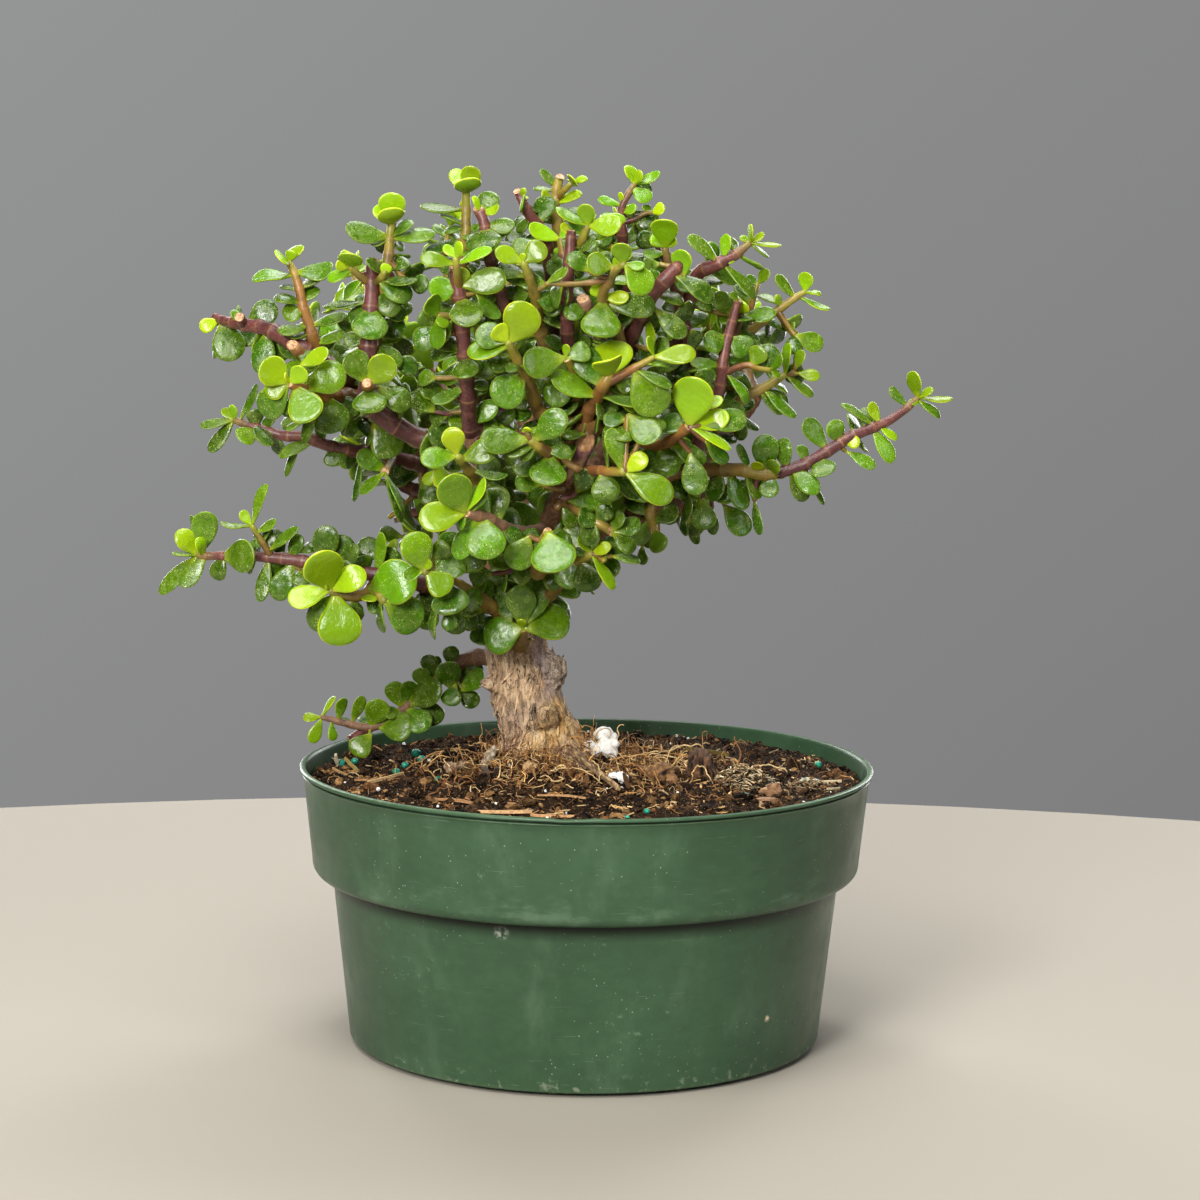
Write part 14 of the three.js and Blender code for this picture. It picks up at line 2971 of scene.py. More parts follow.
    # lumps of matted root and grit
    for nm, parts, lo, hi, sd in [("root_clod_left", [(-33.6, -20.0, z(-34, -20, 1.8), 2.4, 2.2, 2.8, 0.0), (-32.4, -19.4, z(-33, -19, 4.0), 1.5, 1.4, 1.6, 0.0), (-35.0, -21.4, z(-35, -21, 0.4), 2.0, 1.9, 1.9, 0.3)], (128, 108, 84), (196, 182, 160), 41),
                                  ("root_clod_middle", [(-19.2, -28.4, z(-19, -28, 0.9), 2.6, 2.2, 2.2, 0.0), (-20.4, -27.2, z(-20, -28, 0.3), 2.0, 1.8, 1.6, 0.0)], (150, 112, 74), (214, 180, 132), 43),
                                  ("grit_left", [(-43.5, -16.5, z(-43, -16, 0.9), 3.0, 2.0, 1.6, 0.4), (-47.5, -14.5, z(-47, -14, 1.0), 2.2, 1.8, 1.7, 0.0)], (120, 96, 74), (190, 166, 138), 47),
                                  ("grit_right", [(76.5, -12.0, z(76, -12, 0.8), 2.2, 1.8, 1.5, 0.4), (79.8, -14.5, z(79, -14, 0.7), 2.2, 1.6, 1.3, 0.0), (73.6, -13.0, z(73, -13, 0.6), 1.5, 1.4, 1.3, 0.0)], (120, 122, 100), (200, 198, 186), 49)]:
        o, co = blob(nm, parts, WOODY, sd, 0.55, pits=0.5)
        g = np.clip(noise3(co * 0.9, sd) * 0.8 + 0.5, 0, 1)
        c = np.array(rgb(*lo))[None] * (1 - g[:, None]) + np.array(rgb(*hi))[None] * g[:, None]
        c[:, 3] = 1
        tint_attr(o, c)
    # grey twig with a split end, drawn as a tube that tapers there
    rng = np.random.RandomState(5)
    pts = np.array([(-6.8, -11, z(-6.8, -11, 3.2)), (-2, -20, z(-2, -20, 3.5)), (3.5, -30, z(3.5, -30, 3.1)), (9.5, -41, z(9.5, -41, 2.4)), (11.6, -44.6, z(11.6, -44.6, 2.0))])
    c = crom(pts, 34)
    rr = np.interp(np.linspace(0, 1, 34), [0, .1, .5, .9, 1], [0.9, 1.25, 1.2, 1.0, 0.35])
    a = np.arange(12) / 12 * 2 * math.pi
    wob = 1 + 0.16 * noise3(np.stack([np.repeat(np.cos(a)[None], 34, 0).ravel() * 2.2, np.repeat(np.sin(a)[None], 34, 0).ravel() * 2.2, np.repeat(np.linspace(0, 5, 34)[:, None], 12, 1).ravel()], -1), 4).reshape(34, 12)
    v, q, t, s = tube(c, rr, 12, wob)
    g = np.clip(noise3(v * [2.2, 0.5, 2.2], 2) * 0.9 + 0.45, 0, 1)
    col = np.array(rgb(92, 70, 50))[None] * (1 - g[:, None]) + np.array(rgb(200, 166, 122))[None] * g[:, None]
    col[:, 3] = 1
    o = mesh("twig_on_soil", v, q, t, {"tint": col}, WOODY)
    stands_for(o, "twig_grey")
    # dry moss and straw clump on the right, and a flat patch of straw litter beside it
    bag, litter = Bag("tint"), Bag("tint")
    u, f = ico(3)
    # dark cores under the straws: painted shade inside the clump and under the litter
    core = u * [9.5, 6.2, 2.6] * (1 + 0.22 * noise3(u * 2.3, 6))[:, None] + [56, -13, z(56, -13, 0.2)]
    bag.add(core, tris=f, tint=rgb(30, 24, 13))
    core = u * [7.0, 4.0, 1.0] * (1 + 0.22 * noise3(u * 2.3, 8))[:, None] + [78, -16, z(78, -16, -0.2)]
    litter.add(core, tris=f, tint=rgb(40, 34, 22))
    cols = [rgb(206, 172, 124), rgb(236, 210, 164), rgb(128, 98, 60), rgb(250, 234, 198), rgb(64, 52, 30), rgb(176, 142, 98)]
    for i in range(860):
        t, r = rng.rand() * 6.28, math.sqrt(rng.rand())
        if i < 640:
            x, y = 56 + 12.0 * r * math.cos(t), -13 + 8.6 * r * math.sin(t)
            top = 6.2
        else:
            x, y = 79 + 10.0 * r * math.cos(t), -17 + 7.0 * r * math.sin(t)
            top = 2.0
        if math.hypot(x, y) > 93:
            continue
        zz = z(x, y, 0.1) + top * (1 - r * r) * rng.uniform(0.62, 1.12)
        L, an, el = rng.uniform(1.2, 3.6), rng.rand() * 6.28, rng.uniform(-0.3, 1.0)
        d = np.array([math.cos(an) * math.cos(el), math.sin(an) * math.cos(el), math.sin(el)])
        deep = np.clip((zz - z(x, y, 0)) / (top * (1 - r * r) + 0.6), 0, 1)
        side = unit(np.cross(d, [0, 0, 1])) * rng.uniform(-0.25, 0.25) * L
        p = np.array([x, y, zz])
        c3 = crom(np.array([p - d * L * 0.5, p + side * 0.5, p + d * L * 0.5 - [0, 0, 0.3]]), 5)
        v, q, tt, s = tube(c3, np.array([0.10, 0.20, 0.22, 0.17, 0.05]) * rng.uniform(0.8, 1.4), 4)
        # straws darker the lower they lie in the clump: painted shade
        cc = np.array(cols[rng.randint(6)]) * rng.uniform(0.45, 1.1) * (0.25 + 0.75 * deep ** 2)
        (bag if i < 640 else litter).add(v, q, tt, tint=(cc[0], cc[1], cc[2], 1))
    o = bag.build("moss_straw_clump", MOSS)
    stands_for(o, "moss_clump")
    o = litter.build("straw_litter", MOSS)
    # slow-release prills
    bag = Bag()
    u, f = ico(2)
    for i, (x, y) in enumerate([(-88.5, 16), (-62.8, 38), (-64.8, 6.6), (-67.3, -4.7), (-57.9, -47.4), (-51.7, -18.6), (-59.1, 10.2), (54.2, -46), (14, -72.5), (20.4, -74.2), (84.0, 22.0), (-30, 62), (44, 58), (-84, 21)]):
        r = 1.5 + 0.25 * math.sin(i * 2.1) - (0.4 if i > 6 else 0.0)
        zz = float(soil_top(x, y)[0]) + 0.8
        bag.add(u * r * (1 + 0.05 * noise3(u * 2 + i, 3))[:, None] * [1, 1, 0.93] + [x, y, zz], tris=f)
    o = bag.build("fertiliser_prills", PRILL)
    # perlite grains scattered in the mix
    bag = Bag()
    u, f = ico(1)
    rng = np.random.RandomState(9)
    for i in range(85):
        r, t = 95 * math.sqrt(rng.rand()), rng.rand() * 6.28
        x, y = r * math.cos(t), r * math.sin(t)
        if math.hypot(x + 15, y) < 14:
            continue
        s = rng.uniform(0.25, 0.8)
        bag.add(u * s * (1 + 0.25 * noise3(u * 2 + i, 3))[:, None] + [x, y, float(soil_top(x, y)[0]) + s * 0.4], tris=f)
    o = bag.build("perlite_grains", PERLITE, smooth=False)


# ---------------------------------------------------------------- trunk
def trunk():
    bag = Bag()
    lines = []
    for name, pts in TRUNK.items():
        p = np.array(pts, float)
        n = max(6, int(np.linalg.norm(np.diff(p[:, :3], axis=0), axis=1).sum() / 2.2))
        c = crom(p[:, :3], n)
        r = crom(np.hstack([p[:, 3:4], p[:, 3:4], p[:, 3:4]]), n)[:, 0]
        v, q, t, _ = tube(c, r, 20, dome=0.0 if name == "front" else 0.6)
        if name == "front":            # the sawn end faces forward and up
            tt = unit(c[-1] - c[-3])
            pl = unit([0.05, -0.93, 0.36])
            for i in list(range(len(v) - 22, len(v) - 2)) + [len(v) - 1]:
                v[i] += tt * (-np.dot(v[i] - c[-1], pl) / np.dot(tt, pl))
        bag.add(v, q, t)
        tt, nn, bb = frames(c)
        s = np.concatenate([[0], np.cumsum(np.linalg.norm(np.diff(c, axis=0), axis=1))])
        lines.append((name, c, r, tt, nn, bb, s))
    o = bag.build("trunk_wood", BARK)
    mod = o.modifiers.new("r", "REMESH")
    mod.mode = "VOXEL"
    mod.voxel_size = 0.00096
    sm = o.modifiers.new("s", "SMOOTH")
    sm.factor = 0.5
    sm.iterations = 5
    bpy.context.view_layer.update()
    dg = bpy.context.evaluated_depsgraph_get()
    me = bpy.data.meshes.new_from_object(o.evaluated_get(dg))
    o.modifiers.clear()
    o.data = me
    nv = len(me.vertices)
    co = np.zeros(nv * 3, np.float32)
    no = np.zeros(nv * 3, np.float32)
    me.vertices.foreach_get("co", co)
    me.vertices.foreach_get("normal", no)
    co, no = co.reshape(-1, 3).astype(float) * 1000, no.reshape(-1, 3).astype(float)
    C = np.vstack([l[1] for l in lines])
    R = np.concatenate([l[2] for l in lines])
    N = np.vstack([l[4] for l in lines])
    B = np.vstack([l[5] for l in lines])
    S = np.concatenate([l[6] for l in lines])
    I = np.concatenate([np.full(len(l[1]), i) for i, l in enumerate(lines)])
    names = [l[0] for l in lines]
    best = np.zeros(nv, int)
    for a in range(0, nv, 8000):
        d = np.linalg.norm(co[a:a + 8000, None, :] - C[None], axis=2) - R[None]
        best[a:a + 8000] = d.argmin(1)
    rel = co - C[best]
    cx, cy, cs = (rel * N[best]).sum(1), (rel * B[best]).sum(1), S[best] + (rel * np.cross(N[best], B[best])).sum(1)
    limb = I[best]
    cs = cs + limb * 37.0
    rad = R[best]
    x, y, z = co[:, 0], co[:, 1], co[:, 2]
    foot = np.isin(limb, [names.index(k) for k in ("main", "knobr", "spurl", "stubf", "root1", "root2", "root3", "root4")])
    old = np.where(foot, np.clip((172 - z) / 18, 0, 1), np.clip((150 - z) / 20, 0, 1) * 0.6)
    # grain coordinates lean with the trunk for the old bark
    wx = x - 0.32 * (z - 110) + 1.6 * noise3(co / 9.0, 61)
    wy = y + 1.6 * noise3(co / 9.0 + 4, 62)
    wz = z + 1.5 * noise3(co / 7.0 + 8, 63)
    G = lambda a, b: np.stack([wx / a, wy / a, wz / b], -1)
    fib = 1 - 2 * np.abs(noise3(G(1.9, 11.0), 31))               # stringy raised fibres
    fib2 = 1 - 2 * np.abs(noise3(G(1.25, 6.5), 32))
    crink = 1 - 2 * np.abs(noise3(np.stack([wx / 1.7, wy / 1.7, wz / 2.3], -1), 33))
    plate = fbm(G(4.6, 9.0), 3, 47)
    lump = noise3(co / 10.0, 3) + 0.5 * noise3(co / 5.0, 4)
    left = np.clip((-14.0 - 0.35 * (118 - z) * 0 - (x - 0.0 * z)) / 7.0 + 0.15, 0, 1)      # left half carries the strongest strings
    low = np.clip((136 - z) / 10, 0, 1)
    smooth = np.clip(noise3(G(6.5, 16.0), 71) * 1.9 - 0.15, 0, 1) * (1 - left * low * 0.7)  # bare smooth patches
    stringy = np.clip(0.35 + 0.75 * left * low + 0.3 * low, 0, 1.1)
    upper = np.clip((z - 132) / 8, 0, 1)
    d_old = 0.55 * lump + 0.42 * plate + (1 - smooth) * (stringy * (0.62 * fib + 0.30 * fib2) * (1 - 0.6 * upper) + (0.14 + 0.26 * upper) * crink)
    wr = 0.10 * np.sin(cs * 2.2 + 1.4 * noise3(co / 5.0, 2)) + 0.16 * fbm(np.stack([cx / 1.8, cy / 1.8, cs / 3.0], -1), 2, 12)
    d = old * d_old + (1 - old) * (wr + 0.25 * noise3(co / 6.0, 6))

    def dist(p, e=(1, 1, 1)):
        return np.linalg.norm((co - np.array(p)) / np.array(e), axis=1)

    # hole, concentric knot scar, small cavities, seam under the knob, grain of the knob itself
    hole = np.exp(-(dist((-18.3, -12.6, 118.6), (0.55, 2, 1.4)) / 1.0) ** 2)
    kd = dist((-13.4, -13.0, 115.6), (1.0, 2.0, 0.85)) + 0.9 * noise3(co / 3.0, 23)
    knot = np.exp(-(kd / 3.7) ** 4)
    rings = np.sin(kd * 3.0 + 2.6 * noise3(co / 1.4, 21))
    pit = np.exp(-(dist((-12.2, -11.0, 128.6), (1.4, 2, 1.0)) / 0.9) ** 2) + np.exp(-(dist((-14.4, -12.0, 125.2), (1.7, 2, 0.6)) / 0.9) ** 2)
    knob = np.exp(-(dist((-10.8, -4.4, 131.8), (4.4, 6.0, 6.6)) / 1.0) ** 4)
    kr = np.sin(dist((-8.0, -12.0, 139.5)) * 3.0 + 2.4 * noise3(co / 1.8, 25))
    d = d * (1 - 0.5 * knot) * (1 - 0.4 * knob) + 0.20 * rings * knot + 0.14 * np.exp(-((kd - 3.9) / 0.9) ** 2) - 2.0 * hole - 1.0 * pit + knob * (0.30 * kr + 0.55 * crink + 0.95 * noise3(co / 2.2, 26))
    tip = limb == names.index("front")
    fl = lines[names.index("front")]
    endd = np.dot(co - fl[1][-1], unit([0.05, -0.93, 0.36]))
    cutm = tip & (endd > -0.42) & (np.linalg.norm(co - fl[1][-1], axis=1) < 5.5)
    stub = np.where(tip, np.clip((cs - 37.0 * names.index("front") - (fl[6][-1] - 17.0)) / 2.5, 0, 1), 0.0)
    d = np.where(cutm, 0.16 * noise3(co / 0.9, 9) - 0.1 * np.cos(np.linalg.norm(co - fl[1][-1], axis=1) * 4.2), d)
    scar = np.exp(-((cs - 37.0 * names.index("front") - (fl[6][-1] - 15.2)) / 0.45) ** 2) * tip
    d = np.where(tip & ~cutm, d * (1 - 0.65 * stub) + 0.30 * scar, d)
    co2 = co + no * d[:, None]
    me.vertices.foreach_set("co", (co2 * 0.001).astype(np.float32).ravel())
    me.polygons.foreach_set("use_smooth", np.full(len(me.polygons), True))

    # colour of the bark, by place
    def lerp(a, b, f):
        return a * (1 - f[:, None]) + b * f[:, None]

    P = lambda *c: np.array(rgb(*c))[None]
    n1 = noise3(co / 3.1, 91) * 0.5 + 0.5
    n2 = noise3(co / 1.2, 92) * 0.5 + 0.5
    tan = lerp(P(176, 136, 100), P(236, 204, 166), np.clip(0.15 + 0.85 * (0.6 * n1 + 0.4 * n2), 0, 1))
    col = lerp(tan, P(196, 174, 174), np.clip(smooth * 1.1, 0, 1) * 0.9)
    # the top of the trunk browner and darker: painted shade from the crown
    col = lerp(col, P(158, 112, 78), np.clip((z - 137) / 9, 0, 1) * 0.55)
    yel = np.exp(-(dist((-10.5, -12.0, 113.0), (9.0, 14, 9.5))) ** 2.6)
    yel = np.maximum(yel, 0.7 * np.exp(-(dist((-17.5, -12.0, 108.0), (6.0, 12, 6.5))) ** 2.4)) * (y < 3)
    col = lerp(col, lerp(P(222, 168, 92), P(250, 222, 166), n1), np.clip(yel * 1.1, 0, 1))
    # bark crevices between the fibres darkened: painted shade
    crevice_painted_shade = np.clip(0.55 - 0.9 * (stringy * (0.6 * fib + 0.3 * fib2) * (1 - 0.6 * upper) + 0.4 * crink * upper) * (1 - smooth), 0, 1) ** 1.6
    col = lerp(col, P(76, 52, 36), np.clip(crevice_painted_shade * (0.95 - 0.45 * yel), 0, 1) * old)
    col = lerp(col, P(204, 186, 164), np.clip(knob * 0.8, 0, 1))
    col = lerp(col, P(112, 92, 76), np.clip(knob * (0.5 - 0.6 * kr) * 0.8, 0, 1))
    col = lerp(col, P(168, 136, 100), knot * 0.5)
    col = lerp(col, P(64, 46, 34), knot * np.clip(0.15 - 0.9 * rings, 0, 1))
    col = lerp(col, P(196, 132, 70), np.exp(-(dist((-15.2, -11.0, 127.6)) / 1.8) ** 2) * 0.8)
    # holes and cavities painted near black: painted shade
    col = lerp(col, P(26, 19, 15), np.clip(hole * 1.6 + pit * 1.3, 0, 1))
    brown = lerp(P(96, 66, 50), P(156, 116, 84), 0.5 * n1 + 0.5 * n2)
    col = lerp(brown, col, np.clip(old, 0, 1))
    plum = lerp(P(134, 90, 94), P(204, 164, 132), np.clip(1.6 * noise3(np.stack([cx / 2.4, cy / 2.4, cs / 6.0], -1), 17) + 0.25, 0, 1))
    col = lerp(col, plum, stub)
    col = lerp(col, P(196, 150, 104), scar * 0.9)
    rc = np.linalg.norm(co - fl[1][-1], axis=1)
    face = lerp(P(200, 150, 104), P(120, 74, 42), np.clip(np.exp(-((rc - 1.3) / 0.35) ** 2) + 0.4 * (n2 > 0.62), 0, 1) * 0.8)
    col = np.where(cutm[:, None], face, col)
    col = col * 0.86
    col[:, 3] = 1
    me.attributes.new("tint", "FLOAT_COLOR", "POINT").data.foreach_set("color", col.astype(np.float32).ravel())
    rough = np.clip(0.9 - 0.35 * stub, 0, 1)
    me.attributes.new("bark", "FLOAT_COLOR", "POINT").data.foreach_set("color", np.stack([crevice_painted_shade, rough, old, np.ones(nv)], -1).astype(np.float32).ravel())
    me.update()
    if not me.materials:
        me.materials.append(BARK)
    stands_for(o, "trunk")

    # loose strings and flakes of bark that stand off the trunk
    rng = np.random.RandomState(12)
    bag = Bag("tint", "bark")
    pick = np.nonzero((old > 0.8) & (z > 104) & (z < 150) & (fib > 0.55) & foot & (knot < 0.2) & (smooth < 0.3))[0]
    rng.shuffle(pick)
    used = []
    for i in pick[:2600]:
        p = co2[i]
        if used and np.min(np.linalg.norm(np.array(used) - p, axis=1)) < 2.6:
            continue
        used.append(p)
        ax = unit(np.array([0.30, 0, 1.0]) + 0.25 * rng.normal(size=3))
        ax = unit(ax - no[i] * np.dot(ax, no[i]))
        sd = unit(np.cross(ax, no[i]))
        L, w, th = rng.uniform(2.0, 6.5), rng.uniform(0.35, 1.0), rng.uniform(0.16, 0.3)
        curlk = rng.uniform(0.3, 1.3) if rng.rand() < 0.35 else rng.uniform(0.0, 0.3)
        sgn = rng.choice([-1, 1])
        side = rng.normal(0, 0.35)
        rows = []
        for s in np.linspace(-0.5, 0.5, 6):
            lift = 0.05 + curlk * max(0.0, sgn * s + 0.05) ** 1.7 * 2.2
            ww = w * (1 - 1.5 * s * s)
            for e, hh in ((-0.5, 0), (0.5, 0), (0.4, th), (-0.4, th)):
                rows.append(p + ax * s * L + sd * (e * ww + side * s * 2) + no[i] * (lift + hh - 0.16))
        quads = ring_quads(6, 4)
        quads = np.vstack([quads, [[3, 2, 1, 0]], [[20, 21, 22, 23]]])
        c = col[i] * rng.uniform(0.85, 1.35)
        bag.add(np.array(rows), quads, tint=(c[0], c[1], c[2], 1), bark=(0.1, 0.9, 1, 1))
        if len(used) > 210:
            break
    o = bag.build("trunk_bark_flakes", BARK, smooth=False)
    stands_for(o, "trunk")


# ---------------------------------------------------------------- shoots
KIND = {
    "o": (np.array(rgb(118, 86, 42)), np.array(rgb(142, 128, 42))),
    "b": (np.array(rgb(104, 62, 38)), np.array(rgb(150, 106, 44))),
    "p": (np.array(rgb(78, 38, 42)), np.array(rgb(106, 58, 54))),
    "w": (np.array(rgb(104, 76, 58)), np.array(rgb(128, 94, 70))),
}


def stem_samples(pts, step=1.0):
    p = np.array(pts, float)
    n = max(4, int(np.linalg.norm(np.diff(p[:, :3], axis=0), axis=1).sum() / step) + 1)
    c = crom(p[:, :3], n)
    r = np.interp(np.linspace(0, len(p) - 1, n), np.arange(len(p)), p[:, 3])
    return c, r


def build_stem(bag, kind, rank, pts, bases, rng):
    c, r = stem_samples(pts, 0.8)
    s = np.concatenate([[0], np.cumsum(np.linalg.norm(np.diff(c, axis=0), axis=1))])
    L = s[-1]
    # nodes: where leaves join, and at the spacing of the bare stretches between
    nodes = []
    if len(bases):
        for b in bases:
            d = np.linalg.norm(c - b, axis=1)
            k = int(d.argmin())
            if d[k] < r[k] + 3.0:
                nodes.append(s[k])
    nodes = sorted(nodes)
    merged = []
    for x in nodes:
        if not merged or x - merged[-1] > 5.0:
            merged.append(x)
    marks = [0.0] + merged + [L]
    for a, b in zip(marks[:-1], marks[1:]):
        gap = b - a
        if gap > 15.0:
            k = int(round(gap / rng.uniform(9.0, 13.0)))
            merged += [a + gap * (i + rng.uniform(-0.12, 0.12)) / k for i in range(1, k)]
    merged = sorted(x for x in merged if 0.6 < x < L - 0.3)
    coarse = rank > 0
    grid = list(np.arange(0, L, 1.7 if coarse else 1.35)) + [L]
    for x in merged:
        grid = [g for g in grid if abs(g - x) > 0.55 or g in (0, L)]
        grid += [x - 0.5, x, x + 0.5] if not coarse else [x]
    grid = np.array(sorted(g for g in grid if 0 <= g <= L))
    grid = grid[np.concatenate([[True], np.diff(grid) > 0.12])]
    cc = np.stack([np.interp(grid, s, c[:, k]) for k in range(3)], -1)
    rr = np.interp(grid, s, r)
    ring = np.zeros(len(grid))
    amp = 0.13 if rank == 0 else 0.10
    for x in merged:
        rr = rr * (1 + amp * np.exp(-((grid - x) / 1.5) ** 2))
        ring = np.maximum(ring, rng.uniform(0.45, 1.0) * np.exp(-((grid - x) / 0.30) ** 2))
    big = rr.max() > 1.5
    sides = 12 if big else 8 if rr.max() > 0.9 else 6
    a = np.arange(sides) / sides * 2 * math.pi
    wob = 1 + 0.05 * noise3(np.stack([np.repeat(np.cos(a)[None] * 1.4, len(grid), 0).ravel(), np.repeat(np.sin(a)[None] * 1.4, len(grid), 0).ravel(), np.repeat(grid[:, None] * 0.5, sides, 1).ravel() + cc[0][0]], -1), 3).reshape(len(grid), sides)
    end_leaf = len(bases) and np.min(np.linalg.norm(np.asarray(bases) - cc[-1], axis=1)) < 3.2
    cut = rr[-1] > (1.5 if end_leaf and kind != "p" else 1.25 if end_leaf else 1.15)
    if cut:                          # a sawn or snapped end: a crisp edge and a flat, dished face
        end = unit(cc[-1] - cc[-2])
        cc = np.vstack([cc, cc[-1] + end * 0.10, cc[-1] + end * 0.13])
        rr = np.concatenate([rr, [rr[-1] * 0.96, rr[-1] * 0.84]])
        wob = np.vstack([wob, wob[-1:], wob[-1:]])
        ring = np.concatenate([ring, [0, 0]])
        grid = np.concatenate([grid, [L + 0.10, L + 0.13]])
    v, q, t, u = tube(cc, rr, sides, wob, dome=-0.10 if cut else 0.7)
    m = len(grid)
    if cut:
        v[m * sides] = cc[0] - (cc[1] - cc[0]) * 0.3
        lean = np.array([0.05, -1.05, 0.45]) if rank == 0 else rng.normal(0, 0.3, 3)
        face_n = unit(end + lean)
        if np.dot(end, face_n) < 0.62:
            face_n = unit(end + 0.5 * lean)
        if np.dot(end, face_n) > 0.5:
            low = float(rr[-2])
            for i in list(range((m - 3) * sides, m * sides)) + [m * sides + 1]:
                dv = v[i] - cc[-1]
                v[i] += end * np.clip(-(np.dot(dv, face_n) - np.dot(dv, end) * np.dot(end, face_n)) / np.dot(end, face_n), -low, low)
    k0, k1 = KIND[kind]
    w = np.clip(u * 1.05 - 0.05, 0, 1)[:, None]
    tint = k0[None] * (1 - w) + k1[None] * w
    if kind != "w" and not cut and rank == 0:
        g = np.clip((np.interp(u, np.linspace(0, 1, m), grid) - (L - 8)) / 8, 0, 1)[:, None] * (0.8 if kind != "p" else 0.45)
        tint = tint * (1 - g) + np.array(rgb(142, 150, 46))[None] * g
    patch = noise3(v / 3.2 + 5, 4)[:, None]
    side = noise3(v / 6.0 + 9, 2)[:, None]
    tint = tint * (1 + 0.16 * patch)
    # older, purplish brown colour in streaks
    dark = np.clip(side * 1.3 - 0.1, 0, 1) * {"o": 0.55, "b": 0.55, "p": 0.3, "w": 0.3}[kind]
    tint = tint * (1 - dark) + np.array(rgb(66, 34, 33))[None] * dark
    tint[:, 3] = 1
    rg = np.concatenate([np.repeat(ring, sides), [0, 0]])
    ct = np.zeros(len(v))
    if cut:
        ct[-1] = 1.0
        ct[(m - 1) * sides:m * sides] = 1.0
        ct[(m - 2) * sides:(m - 1) * sides] = 0.4
    wd = np.full(len(v), 1.0 if kind == "w" else 0.25 if rr.max() > 2.2 else 0.0)
    bag.add(v, q, t, tint=tint, stem_b=np.stack([rg, ct, wd, np.ones(len(v))], -1))


